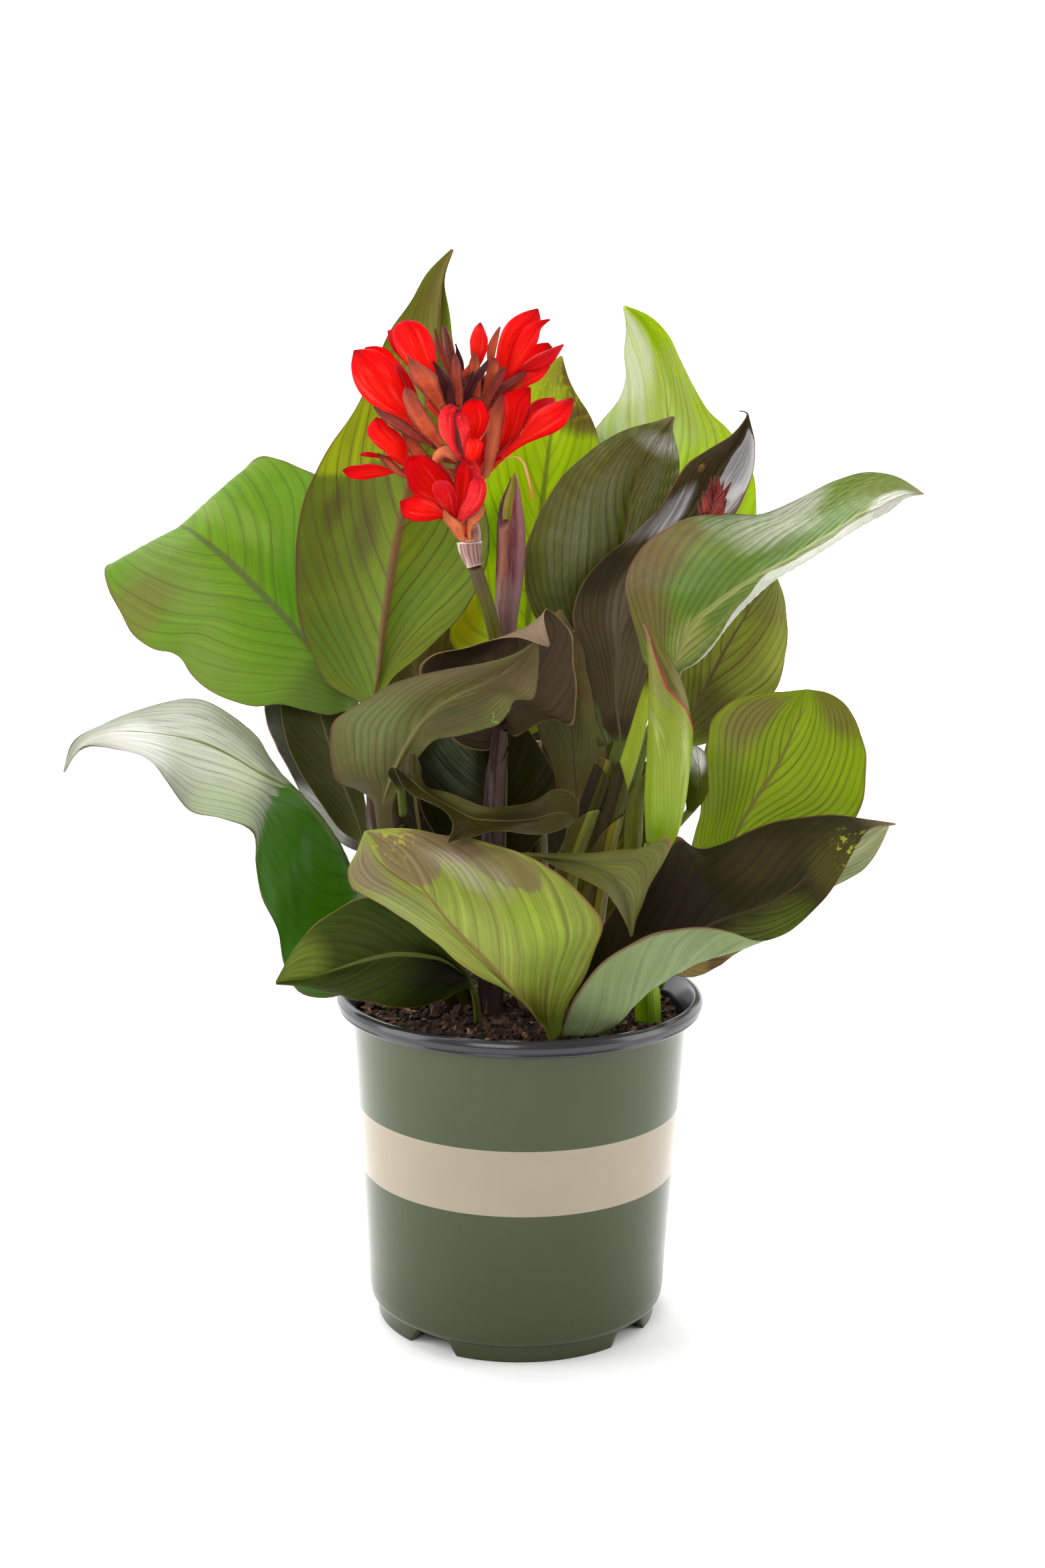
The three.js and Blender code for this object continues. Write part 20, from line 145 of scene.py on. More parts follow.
# The colour of each petal in the order of its flower, and of each bract.
TONES = {"flower_far_left": "rrc", "flower_top_left": "rc", "flower_left": "rcrs", "flower_upper_right": "rrcrro", "flower_right": "rrcws", "flower_centre": "prprc", "flower_lower_front": "rcrppr", "flower_bud_top": "ro"}
BRACT_TONES = [0, 0, 1, 0, 1, 1, 2, 1, 2, 2, 2, 2, 2, 0, 0, 1, 0, 3, 3, 3, 4, 0, 0, 1, 1, 2]
SPIKE = ([[110.5,8,489.6,2.3],[110.5,7,500.3,3],[111.8,6,509.4,2.3],[112.8,6,516.5,1.6]], [[[[110.7,5.9,503.9],[110.5,6,503.9],[110.3,6.1,503.9],[110.2,6,503.9],[110,5.9,503.8]],[[110.9,5,506.6],[110.5,5.1,506.7],[110.1,5.2,506.6],[109.7,5.1,506.6],[109.3,5,506.5]],[[110.9,4.3,509.4],[110.4,4.5,509.4],[109.9,4.5,509.3],[109.4,4.5,509.3],[108.8,4.3,509.2]],[[110.6,3.8,512],[110.1,4,512],[109.7,4.1,512],[109.2,4,512],[108.7,3.8,511.9]],[[110.2,3.6,514.7],[109.8,3.8,514.7],[109.5,3.9,514.7],[109.1,3.8,514.6],[108.8,3.6,514.6]],[[109.7,3.6,517.3],[109.5,3.8,517.3],[109.3,3.9,517.3],[109.1,3.8,517.3],[108.9,3.6,517.3]],[[109.3,3.8,520],[109.2,4,519.9],[109.1,4.1,519.9],[109.1,4,519.9],[109,3.8,519.9]]], [[[110.1,4.8,499.3],[109.8,5,499.3],[109.6,5.1,499.3],[109.4,5,499.2],[109.2,4.8,499]],[[110,3.2,502.3],[109.4,3.4,502.3],[108.8,3.5,502.2],[108.2,3.4,502],[107.6,3.2,501.7]],[[109.9,2,505.1],[109.1,2.3,505.1],[108.3,2.4,505],[107.4,2.3,504.8],[106.6,2,504.6]],[[109.5,1.3,507.8],[108.7,1.5,507.8],[107.9,1.6,507.7],[107.1,1.5,507.6],[106.4,1.3,507.5]],[[108.9,1,510.5],[108.3,1.3,510.5],[107.8,1.4,510.5],[107.2,1.3,510.5],[106.6,1,510.5]],[[108.5,1.1,513.2],[108.1,1.4,513.2],[107.8,1.5,513.2],[107.5,1.4,513.2],[107.2,1.1,513.3]],[[108.4,1.8,515.9],[108.2,2,515.9],[108.1,2.1,515.9],[108,2,515.9],[107.9,1.8,516]]], [[[108.9,5.8,491.3],[108.6,6,491.4],[108.3,6.1,491.4],[108,6,491.2],[107.8,5.8,490.9]],[[108.7,3.3,495],[108,3.5,495],[107.3,3.6,494.9],[106.7,3.5,494.7],[106,3.3,494.4]],[[108.3,1.4,498.7],[107.4,1.7,498.6],[106.5,1.8,498.4],[105.6,1.7,498.2],[104.7,1.4,497.9]],[[107.6,0.2,502.1],[106.7,0.5,502],[105.8,0.6,501.9],[105,0.5,501.7],[104.1,0.2,501.5]],[[106.6,-0.3,505.5],[105.9,0,505.4],[105.3,0.2,505.3],[104.6,0,505.2],[104,-0.3,505.1]],[[105.6,-0.1,508.8],[105.2,0.2,508.7],[104.9,0.3,508.7],[104.5,0.2,508.6],[104.2,-0.1,508.6]],[[104.9,0.7,512.1],[104.7,1,512],[104.6,1.1,512],[104.4,1,512],[104.3,0.7,512.1]]], [[[109.6,3.9,496.9],[109.3,4,497],[109.2,4.1,497],[109,4,496.9],[108.9,3.9,496.7]],[[109.3,1.1,499.2],[108.9,1.2,499.2],[108.5,1.2,499.1],[108.1,1.2,498.9],[107.7,1.1,498.6]],[[108.9,-1.1,501.3],[108.4,-1,501.3],[107.8,-0.9,501.1],[107.3,-1,500.9],[106.8,-1.1,500.6]],[[108.3,-2.7,503.3],[107.7,-2.5,503.2],[107.2,-2.4,503.1],[106.7,-2.5,502.9],[106.2,-2.7,502.7]],[[107.5,-3.5,505.2],[107.1,-3.3,505.1],[106.7,-3.2,505],[106.3,-3.3,504.9],[105.9,-3.5,504.8]],[[106.6,-3.7,507],[106.4,-3.5,507],[106.2,-3.4,506.9],[106,-3.5,506.8],[105.8,-3.7,506.8]],[[105.9,-3.2,508.9],[105.8,-3,508.8],[105.8,-2.9,508.7],[105.7,-3,508.7],[105.6,-3.2,508.8]]], [[[108.7,5.8,489.8],[108.5,6,489.8],[108.3,6.1,489.7],[108.2,6,489.6],[108.1,5.8,489.4]],[[107.6,3.9,492.8],[107.1,4.1,492.7],[106.7,4.1,492.5],[106.3,4.1,492.2],[105.9,3.9,491.9]],[[106.4,2.4,495.6],[105.8,2.6,495.4],[105.2,2.6,495.2],[104.7,2.6,494.9],[104.2,2.4,494.5]],[[105.1,1.3,498.3],[104.6,1.5,498.1],[104,1.6,497.9],[103.5,1.5,497.6],[103,1.3,497.3]],[[103.8,0.7,500.8],[103.4,0.9,500.6],[103,1,500.5],[102.6,0.9,500.4],[102.2,0.7,500.2]],[[102.7,0.5,503.2],[102.4,0.8,503.2],[102.2,0.8,503.1],[102,0.8,503.1],[101.8,0.5,503]],[[101.8,0.8,505.8],[101.7,1,505.7],[101.6,1.1,505.7],[101.5,1,505.7],[101.4,0.8,505.7]]], [[[113.5,5.8,507.7],[113.3,6,507.9],[113,6.1,508],[112.7,6,507.9],[112.5,5.8,507.8]],[[114.5,4.5,509.7],[113.9,4.8,509.9],[113.3,4.9,510.1],[112.6,4.8,510.1],[111.9,4.5,510]],[[115.2,3.6,511.9],[114.3,3.9,512],[113.5,4,512.1],[112.6,3.9,512.2],[111.7,3.6,512.1]],[[115.3,3.2,514],[114.4,3.5,514.1],[113.6,3.6,514.1],[112.8,3.5,514.2],[111.9,3.2,514.2]],[[114.9,3.3,516.1],[114.3,3.6,516.1],[113.7,3.7,516.1],[113.1,3.6,516.2],[112.5,3.3,516.2]],[[114.4,3.8,518.2],[114.1,4.1,518.1],[113.8,4.2,518.1],[113.4,4.1,518.1],[113.1,3.8,518.3]],[[114,4.8,520.3],[113.9,5,520.1],[113.8,5.1,520],[113.6,5,520.1],[113.5,4.8,520.3]]], [[[112.1,4.9,506.3],[111.9,5,506.4],[111.8,5.1,506.4],[111.6,5,506.4],[111.5,4.9,506.3]],[[112.4,4.1,508.8],[112,4.3,508.8],[111.6,4.4,508.8],[111.3,4.3,508.7],[110.9,4.1,508.7]],[[112.6,3.6,511.2],[112.1,3.8,511.2],[111.5,3.9,511.2],[111,3.8,511.1],[110.5,3.6,511.1]],[[112.4,3.3,513.5],[111.9,3.5,513.5],[111.5,3.6,513.5],[111,3.5,513.5],[110.5,3.3,513.5]],[[112.1,3.3,515.9],[111.7,3.5,515.9],[111.4,3.5,515.9],[111,3.5,515.9],[110.7,3.3,515.9]],[[111.7,3.5,518.2],[111.5,3.6,518.2],[111.3,3.7,518.2],[111.1,3.6,518.2],[110.9,3.5,518.2]],[[111.5,3.8,520.6],[111.4,4,520.5],[111.3,4.1,520.5],[111.2,4,520.5],[111.1,3.8,520.6]]], [[[111.7,3.8,503.8],[111.6,4,504],[111.4,4.1,504.1],[111.2,4,504.2],[110.9,3.8,504.2]],[[113.5,2.5,505.9],[113.1,2.8,506.3],[112.6,2.8,506.5],[112.1,2.8,506.7],[111.6,2.5,506.9]],[[115,1.7,508.2],[114.4,1.9,508.6],[113.7,2,508.9],[113.1,1.9,509.2],[112.4,1.7,509.4]],[[116,1.3,510.7],[115.3,1.5,511],[114.7,1.6,511.2],[114.1,1.5,511.5],[113.4,1.3,511.7]],[[116.5,1.3,513.3],[116,1.6,513.4],[115.5,1.7,513.5],[115.1,1.6,513.7],[114.6,1.3,513.9]],[[116.8,1.8,515.8],[116.5,2.1,515.8],[116.2,2.2,515.8],[116,2.1,515.9],[115.7,1.8,516.1]],[[117,2.8,518.2],[116.9,3,518.1],[116.8,3.1,518.1],[116.7,3,518.1],[116.6,2.8,518.3]]], [[[110,3.7,498],[109.9,4,498.4],[109.6,4.1,498.6],[109.3,4,498.7],[108.8,3.7,498.7]],[[112.8,0.5,500.8],[112.2,0.8,501.4],[111.5,0.9,501.9],[110.7,0.8,502.3],[109.9,0.5,502.5]],[[115.2,-1.9,503.7],[114.3,-1.5,504.5],[113.4,-1.4,505.1],[112.4,-1.5,505.6],[111.3,-1.9,506]],[[117,-3.3,507],[116.1,-2.9,507.6],[115.2,-2.8,508.2],[114.3,-2.9,508.7],[113.3,-3.3,509.2]],[[118.4,-3.9,510.4],[117.7,-3.5,510.9],[117.1,-3.4,511.3],[116.4,-3.5,511.7],[115.7,-3.9,512.1]],[[119.7,-3.6,513.9],[119.3,-3.2,514.1],[118.9,-3,514.3],[118.5,-3.2,514.5],[118.2,-3.6,514.8]],[[121.1,-2.3,517.2],[120.9,-2,517.2],[120.7,-1.8,517.2],[120.6,-2,517.3],[120.5,-2.3,517.6]]], [[[109.4,3.8,493.2],[109.2,4,493.7],[108.9,4.1,493.9],[108.6,4,494],[108.1,3.8,493.8]],[[112,-0.9,496.4],[111.3,-0.6,497],[110.5,-0.5,497.5],[109.7,-0.6,497.7],[108.7,-0.9,497.8]],[[114.1,-4.3,499.6],[113.2,-4,500.3],[112.1,-3.8,500.9],[111,-4,501.3],[109.8,-4.3,501.6]],[[115.7,-6.3,503.1],[114.7,-5.9,503.7],[113.7,-5.8,504.2],[112.7,-5.9,504.7],[111.6,-6.3,505]],[[116.8,-7,506.7],[116.1,-6.6,507],[115.3,-6.5,507.4],[114.6,-6.6,507.8],[113.9,-7,508.2]],[[117.9,-6.3,510.3],[117.4,-5.9,510.4],[117,-5.8,510.5],[116.6,-5.9,510.8],[116.3,-6.3,511.1]],[[119.1,-4.3,513.7],[118.8,-4,513.5],[118.6,-3.8,513.6],[118.5,-4,513.7],[118.5,-4.3,514]]], [[[111.5,4.8,489.4],[111.3,5,489.7],[111.1,5.1,489.9],[110.8,5,489.9],[110.5,4.8,489.8]],[[113.7,1.2,492.2],[113.1,1.5,492.7],[112.5,1.6,493.1],[111.9,1.5,493.3],[111.2,1.2,493.4]],[[115.5,-1.5,495.2],[114.7,-1.2,495.7],[113.9,-1.1,496.1],[113,-1.2,496.4],[112.1,-1.5,496.6]],[[116.7,-3.3,498.3],[115.9,-3,498.8],[115.1,-2.9,499.1],[114.3,-3,499.4],[113.4,-3.3,499.6]],[[117.4,-4.2,501.5],[116.8,-3.8,501.8],[116.2,-3.7,502.1],[115.6,-3.8,502.3],[115,-4.2,502.5]],[[117.9,-4.2,504.7],[117.6,-3.8,504.8],[117.2,-3.7,504.9],[116.9,-3.8,505],[116.6,-4.2,505.2]],[[118.5,-3.3,507.8],[118.3,-3,507.7],[118.1,-2.9,507.7],[118,-3,507.8],[117.9,-3.3,507.9]]]])
# How each leaf looks; colours are 0-255 display values. A patch is (u, v, size along, size across, colour, strength),
# with an optional seventh value, its kind: 1 a crisp edge, 2 a painted sheen broken into streaks along the veins and
# laid over them, 3 a crisp edge laid over the veins. The whitish patches of kinds 2 and 3 are painted highlights and
# reflections, not leaf colour.
LOOKS = {
    "leaf_upper_left": {'c1': (122, 154, 20), 'c2': (108, 142, 14), 'vein': (92, 96, 20), 'vs': 0.6, 'fine': 0.4, 'rib': (104, 120, 50), 'ribw': 0.05, 'mar': (124, 90, 60), 'mw': 0.03, 'glow': (178, 224, 0), 'amount': 0.5, 'rough': 0.42, 'n': 14, 'k': 0.55, 'tip': (150, 126, 84), 'tipu': 0.82, 'b1': (88, 130, 26), 'b2': (96, 138, 32), 'raised': 0, 'ruffle': 0.9, 'stripe': 0.15, 'patches': [(0.438, -0.833, 0.154, 0.284, (124, 140, 50), 0.5), (0.706, -0.479, 0.226, 0.364, (150, 162, 100), 0.4), (0.106, -0.312, 0.124, 0.976, (74, 98, 10), 0.6), (0.675, -0.812, 0.103, 0.418, (140, 116, 58), 0.55), (0.338, 0.438, 0.187, 0.865, (104, 164, 6), 0.45), (0.756, 0.312, 0.23, 0.155, (188, 196, 120), 0.25, 2), (0.062, 0.979, 0.073, 1.2, (92, 104, 20), 0.5), (0.275, 1.0, 0.11, 0.649, (128, 140, 30), 0.5), (0.356, 0.604, 0.182, 0.727, (98, 166, 0), 0.45)], 'hue': 0.12, 'hc': (120, 112, 44), 'pow': 1.2, 'vw': 0.09, 'halo': 0.25, 'hw': 0.3},
    # leaf_tall_left: the crisp bright yellow-green patch (kind 1) is painted light where the backlight comes through
    # unshadowed; the two dark brown patches near it on the same half are painted shadow.
    "leaf_tall_left": {'c1': (132, 150, 20), 'c2': (114, 134, 20), 'vein': (102, 60, 30), 'vs': 0.75, 'fine': 0.35, 'rib': (134, 96, 54), 'ribw': 0.05, 'mar': (106, 58, 44), 'mw': 0.03, 'glow': (160, 185, 10), 'amount': 0.45, 'rough': 0.42, 'n': 15, 'k': 0.5, 'tip': (140, 120, 64), 'tipu': 0.84, 'b1': (90, 110, 30), 'b2': (100, 120, 36), 'raised': 1, 'stripe': 0.2, 'patches': [(0.575, -0.875, 0.098, 0.565, (176, 192, 2), 0.95, 1), (0.419, -0.688, 0.061, 0.123, (84, 66, 38), 0.55), (0.369, -0.333, 0.097, 0.17, (86, 70, 38), 0.5), (0.719, -0.479, 0.095, 0.693, (164, 158, 26), 0.7), (0.85, -0.25, 0.101, 0.895, (136, 122, 50), 0.6), (0.319, 0.646, 0.124, 0.437, (126, 156, 30), 0.7), (0.15, -0.625, 0.097, 0.437, (100, 140, 26), 0.6), (0.056, -0.062, 0.083, 0.668, (110, 146, 30), 0.6), (0.494, 0.708, 0.096, 0.325, (124, 100, 46), 0.6), (0.231, 0.146, 0.087, 0.473, (118, 156, 36), 0.55)], 'hue': 0.45, 'hc': (106, 80, 44), 'halo': 0.5, 'pow': 1.2},
    "leaf_behind_flowers": {'c1': (190, 214, 0), 'c2': (172, 204, 0), 'vein': (116, 140, 10), 'vs': 0.3, 'fine': 0.3, 'rib': (150, 180, 60), 'ribw': 0.06, 'mar': (120, 84, 50), 'mw': 0.04, 'glow': (232, 252, 0), 'amount': 0.55, 'rough': 0.4, 'n': 12, 'k': 0.5, 'tip': (140, 112, 66), 'tipu': 0.8, 'b1': (110, 150, 22), 'b2': (116, 156, 30), 'patches': [(0.831, 1.0, 0.084, 0.905, (120, 84, 60), 0.7), (0.938, 1.0, 0.074, 1.2, (112, 82, 58), 0.8), (0.781, 1.0, 0.055, 0.927, (118, 84, 62), 0.7), (0.456, -0.729, 0.11, 0.53, (122, 166, 8), 0.6), (0.2, -0.812, 0.094, 0.227, (186, 170, 0), 0.85), (0.081, 0.875, 0.13, 0.857, (156, 206, 0), 0.6)], 'specks': (0.881, 0.375, 0.116, 1.2, (196, 186, 40)), 'hue': 0.12, 'hc': (150, 120, 20), 'vw': 0.09, 'halo': 0.25, 'hw': 0.3},
    "leaf_tall_right": {'c1': (204, 226, 24), 'c2': (188, 214, 14), 'vein': (124, 146, 30), 'vs': 0.5, 'fine': 0.4, 'rib': (150, 176, 84), 'ribw': 0.035, 'mar': (136, 140, 80), 'mw': 0.02, 'glow': (225, 250, 0), 'amount': 0.45, 'rough': 0.34, 'n': 13, 'k': 0.55, 'b1': (116, 156, 34), 'b2': (124, 164, 44), 'stripe': 0.5, 'pleat': 0.5, 'coat': 0.3, 'patches': [(0.719, -0.917, 0.177, 0.58, (220, 226, 206), 1.2, 2), (0.881, -0.812, 0.148, 0.657, (222, 224, 208), 1.2, 2), (0.644, -0.104, 0.105, 1.2, (200, 210, 150), 0.7, 2), (0.781, 0.833, 0.093, 1.2, (206, 212, 170), 0.6, 2), (0.575, -0.854, 0.097, 0.124, (64, 110, 30), 0.6), (0.456, 0.688, 0.143, 0.399, (200, 230, 2), 0.8), (0.362, 0.854, 0.078, 0.258, (206, 228, 0), 0.7)], 'specks': (0.831, 0.729, 0.118, 0.918, (206, 206, 60)), 'hue': 0.12, 'hc': (150, 130, 50), 'vw': 0.08, 'halo': 0.25, 'hw': 0.3},
    "leaf_centre_right": {'c1': (94, 100, 12), 'c2': (108, 112, 16), 'vein': (48, 50, 12), 'vs': 0.8, 'fine': 0.55, 'rib': (110, 100, 46), 'ribw': 0.035, 'mar': (140, 104, 66), 'mw': 0.02, 'glow': (110, 130, 14), 'amount': 0.22, 'rough': 0.36, 'n': 8, 'k': 1.35, 'tip': (126, 108, 74), 'tipu': 0.9, 'b1': (76, 86, 36), 'b2': (84, 92, 40), 'stripe': 0.9, 'pleat': 0.9, 'coat': 0.15, 'patches': [(0.769, -0.167, 0.191, 0.697, (104, 94, 34), 0.6), (0.138, -0.5, 0.2, 0.56, (60, 68, 10), 0.6), (0.35, 0.667, 0.136, 0.774, (62, 66, 10), 0.6), (0.869, 0.417, 0.06, 1.2, (206, 202, 194), 0.8, 2), (0.531, -0.396, 0.273, 0.274, (136, 138, 104), 0.6, 2), (0.375, -0.604, 0.209, 0.211, (126, 128, 88), 0.5, 2)], 'hue': 0.3, 'hc': (80, 60, 36), 'pow': 1.25, 'halo': 0.5},
    "leaf_dark_rolled": {'c1': (84, 70, 40), 'c2': (98, 84, 54), 'vein': (46, 38, 26), 'vs': 0.4, 'fine': 0.55, 'rib': (96, 84, 60), 'ribw': 0.05, 'mar': (130, 96, 66), 'mw': 0.03, 'glow': (70, 60, 20), 'amount': 0.1, 'rough': 0.42, 'n': 12, 'k': 0.6, 'b1': (78, 72, 54), 'b2': (84, 78, 60), 'raised': 0, 'stripe': 0.35, 'coat': 0.0, 'spec': 0.2, 'patches': [(0.4, -0.854, 0.089, 0.516, (42, 37, 12), 0.8), (0.681, -0.5, 0.022, 0.333, (110, 100, 44), 0.6), (0.725, -0.562, 0.014, 0.125, (172, 124, 84), 0.7), (0.762, 0.583, 0.101, 0.507, (236, 236, 238), 0.95, 3), (0.762, 0.583, 0.101, 0.599, (92, 86, 86), 0.7, 2), (0.669, 0.771, 0.066, 0.242, (244, 244, 244), 1.4, 2), (0.612, -0.5, 0.078, 0.318, (232, 232, 234), 1.5, 2), (0.569, -0.854, 0.074, 0.309, (180, 176, 174), 0.7, 2), (0.194, 0.5, 0.098, 0.834, (104, 94, 66), 0.6), (0.019, 0.0, 0.05, 1.2, (50, 42, 12), 0.8), (0.344, -0.125, 0.114, 0.307, (126, 114, 100), 0.5, 2)], 'hue': 0.5, 'hc': (70, 46, 42), 'specks': (0.731, -0.625, 0.025, 0.189, (190, 140, 84)), 'tip': (66, 52, 44), 'tipu': 0.95},
    "leaf_arching_right": {'c1': (120, 148, 30), 'c2': (106, 134, 24), 'vein': (80, 80, 28), 'vs': 0.75, 'fine': 0.4, 'rib': (156, 162, 84), 'ribw': 0.05, 'mar': (124, 76, 62), 'mw': 0.03, 'glow': (150, 190, 20), 'amount': 0.28, 'rough': 0.3, 'n': 14, 'k': 0.85, 'tip': (150, 130, 100), 'tipu': 0.92, 'b1': (206, 210, 192), 'b2': (226, 228, 216), 'stripe': 0.6, 'pleat': 0.6, 'coat': 0.3, 'patches': [(0.288, -0.854, 0.096, 0.286, (112, 78, 26), 0.8), (0.394, -0.896, 0.106, 0.198, (128, 98, 32), 0.75), (0.162, -0.708, 0.084, 0.366, (128, 98, 56), 0.7), (0.556, -0.938, 0.105, 0.227, (88, 132, 6), 0.8), (0.3, -0.292, 0.136, 0.419, (88, 130, 6), 0.8), (0.438, -0.083, 0.122, 0.403, (88, 130, 10), 0.6), (0.694, -0.271, 0.117, 0.343, (96, 142, 20), 0.8), (0.544, -0.208, 0.101, 0.316, (88, 130, 20), 0.7), (0.581, -0.646, 0.143, 0.398, (212, 216, 196), 0.9, 2), (0.688, -0.938, 0.089, 0.304, (204, 200, 188), 1.0, 2), (0.512, 0.854, 0.098, 0.251, (244, 245, 240), 0.92, 3), (0.631, 0.917, 0.106, 0.285, (244, 245, 240), 0.94, 3), (0.769, 1.0, 0.106, 0.338, (246, 247, 244), 0.94, 3), (0.888, 0.104, 0.083, 0.28, (244, 245, 242), 1.5, 2), (0.844, -0.458, 0.11, 0.38, (150, 158, 92), 0.7, 2), (0.869, 0.771, 0.055, 0.259, (150, 108, 100), 0.9, 3), (0.1, 0.062, 0.105, 0.374, (176, 176, 96), 0.7), (0.3, 0.208, 0.128, 0.604, (104, 128, 24), 0.6)], 'hue': 0.35, 'hc': (120, 84, 36), 'pow': 1.25, 'halo': 0.5, 'bvs': 0.1, 'brib': (186, 192, 150)},
    "leaf_right_shaded": {'c1': (168, 178, 62), 'c2': (176, 186, 66), 'vein': (84, 56, 44), 'vs': 0.8, 'fine': 0.35, 'rib': (126, 108, 60), 'ribw': 0.04, 'mar': (120, 72, 62), 'mw': 0.03, 'glow': (130, 150, 20), 'amount': 0.22, 'rough': 0.4, 'n': 8, 'k': 0.9, 'b1': (84, 92, 38), 'b2': (92, 100, 46), 'stripe': 0.3, 'patches': [(0.881, 0.333, 0.206, 1.2, (140, 142, 78), 0.6), (0.219, 0.354, 0.199, 0.775, (80, 78, 20), 0.7)], 'hue': 0.35, 'hc': (118, 76, 54), 'pow': 1.25, 'halo': 0.5},
    "leaf_right_mid": {'c1': (160, 182, 0), 'c2': (148, 170, 4), 'vein': (78, 48, 28), 'vs': 0.9, 'fine': 0.3, 'rib': (130, 124, 46), 'ribw': 0.04, 'mar': (128, 70, 46), 'mw': 0.035, 'glow': (180, 215, 0), 'amount': 0.42, 'rough': 0.38, 'n': 7, 'k': 1.6, 'b1': (110, 128, 30), 'b2': (118, 138, 38), 'stripe': 0.3, 'patches': [(0.712, -0.625, 0.269, 0.327, (142, 124, 70), 0.8), (0.856, 0.75, 0.165, 0.372, (134, 116, 62), 0.75), (0.381, -0.688, 0.202, 0.54, (104, 126, 0), 0.6), (0.575, 0.75, 0.177, 0.267, (156, 182, 0), 0.6), (0.425, 0.375, 0.183, 0.211, (140, 170, 0), 0.5)], 'hue': 0.3, 'hc': (116, 88, 40), 'pow': 1.15, 'halo': 0.55, 'lines': 13},
    "leaf_lower_right": {'c1': (38, 36, 0), 'c2': (48, 42, 6), 'vein': (24, 16, 14), 'vs': 0.5, 'fine': 0.4, 'rib': (70, 58, 34), 'ribw': 0.03, 'mar': (104, 64, 44), 'mw': 0.03, 'glow': (60, 70, 6), 'amount': 0.12, 'rough': 0.42, 'n': 16, 'k': 0.42, 'tip': (104, 84, 40), 'tipu': 0.9, 'b1': (128, 146, 96), 'b2': (140, 156, 110), 'bvs': 0.2, 'brib': (150, 150, 96), 'stripe': 0.25, 'spec': 0.14, 'patches': [(0.631, 0.729, 0.096, 0.781, (90, 108, 16), 0.8, 2), (0.544, 0.396, 0.096, 0.386, (84, 96, 20), 0.7, 2), (0.825, 0.458, 0.098, 1.2, (92, 84, 30), 0.7), (0.162, 0.917, 0.122, 0.24, (18, 18, 2), 0.85), (0.425, -0.583, 0.094, 0.397, (40, 26, 22), 0.6), (0.675, -0.583, 0.112, 0.343, (66, 58, 28), 0.6)], 'specks': (0.875, 0.5, 0.064, 1.2, (160, 164, 50)), 'hue': 0.4, 'hc': (54, 36, 28)},
    "leaf_front": {'c1': (172, 184, 76), 'c2': (158, 174, 66), 'vein': (108, 88, 46), 'vs': 0.4, 'fine': 0.5, 'rib': (150, 128, 62), 'ribw': 0.04, 'mar': (150, 90, 62), 'mw': 0.03, 'glow': (180, 205, 20), 'amount': 0.36, 'rough': 0.4, 'n': 9, 'k': 0.75, 'b1': (96, 112, 40), 'b2': (104, 120, 50), 'raised': 1, 'stripe': 0.3, 'patches': [(0.844, -0.646, 0.142, 0.369, (160, 134, 116), 0.8), (0.856, 0.188, 0.162, 0.457, (152, 122, 98), 0.8, 1), (0.788, 0.75, 0.133, 0.253, (150, 120, 98), 0.8, 1), (0.619, 0.771, 0.149, 0.185, (142, 118, 84), 0.75, 1), (0.662, 0.542, 0.164, 0.202, (206, 196, 176), 0.6, 2), (0.638, -0.896, 0.13, 0.928, (164, 172, 112), 0.6), (0.256, 0.521, 0.112, 0.344, (118, 146, 22), 0.7), (0.456, -0.458, 0.204, 1.035, (184, 200, 92), 0.5), (0.4, 0.521, 0.118, 0.226, (168, 196, 50), 0.5), (0.119, -0.375, 0.115, 1.2, (92, 88, 10), 0.8)], 'specks': (0.912, 0.25, 0.091, 0.711, (196, 182, 70)), 'hue': 0.35, 'hc': (148, 104, 76), 'pow': 1.2, 'halo': 0.3},
    "leaf_lower_left": {'c1': (46, 60, 0), 'c2': (56, 72, 2), 'vein': (40, 44, 14), 'vs': 0.4, 'fine': 0.4, 'rib': (92, 100, 44), 'ribw': 0.05, 'mar': (126, 104, 48), 'mw': 0.025, 'glow': (84, 110, 10), 'amount': 0.1, 'rough': 0.4, 'n': 13, 'k': 0.45, 'b1': (60, 76, 26), 'b2': (70, 84, 30), 'front': 1, 'stripe': 0.3, 'spec': 0.12, 'patches': [(0.162, 0.188, 0.249, 0.791, (12, 12, 2), 0.95), (0.425, 0.062, 0.196, 0.637, (50, 60, 18), 0.6), (0.862, -0.396, 0.155, 0.785, (112, 130, 42), 0.7)], 'hue': 0.35, 'hc': (56, 40, 24)},
    # leaf_arching_left: c1 and c2 are a painted silvery reflection over the leaf; the crisp green patches show the
    # leaf's own green where none is painted, and the kind 2 patches add more painted sheen.
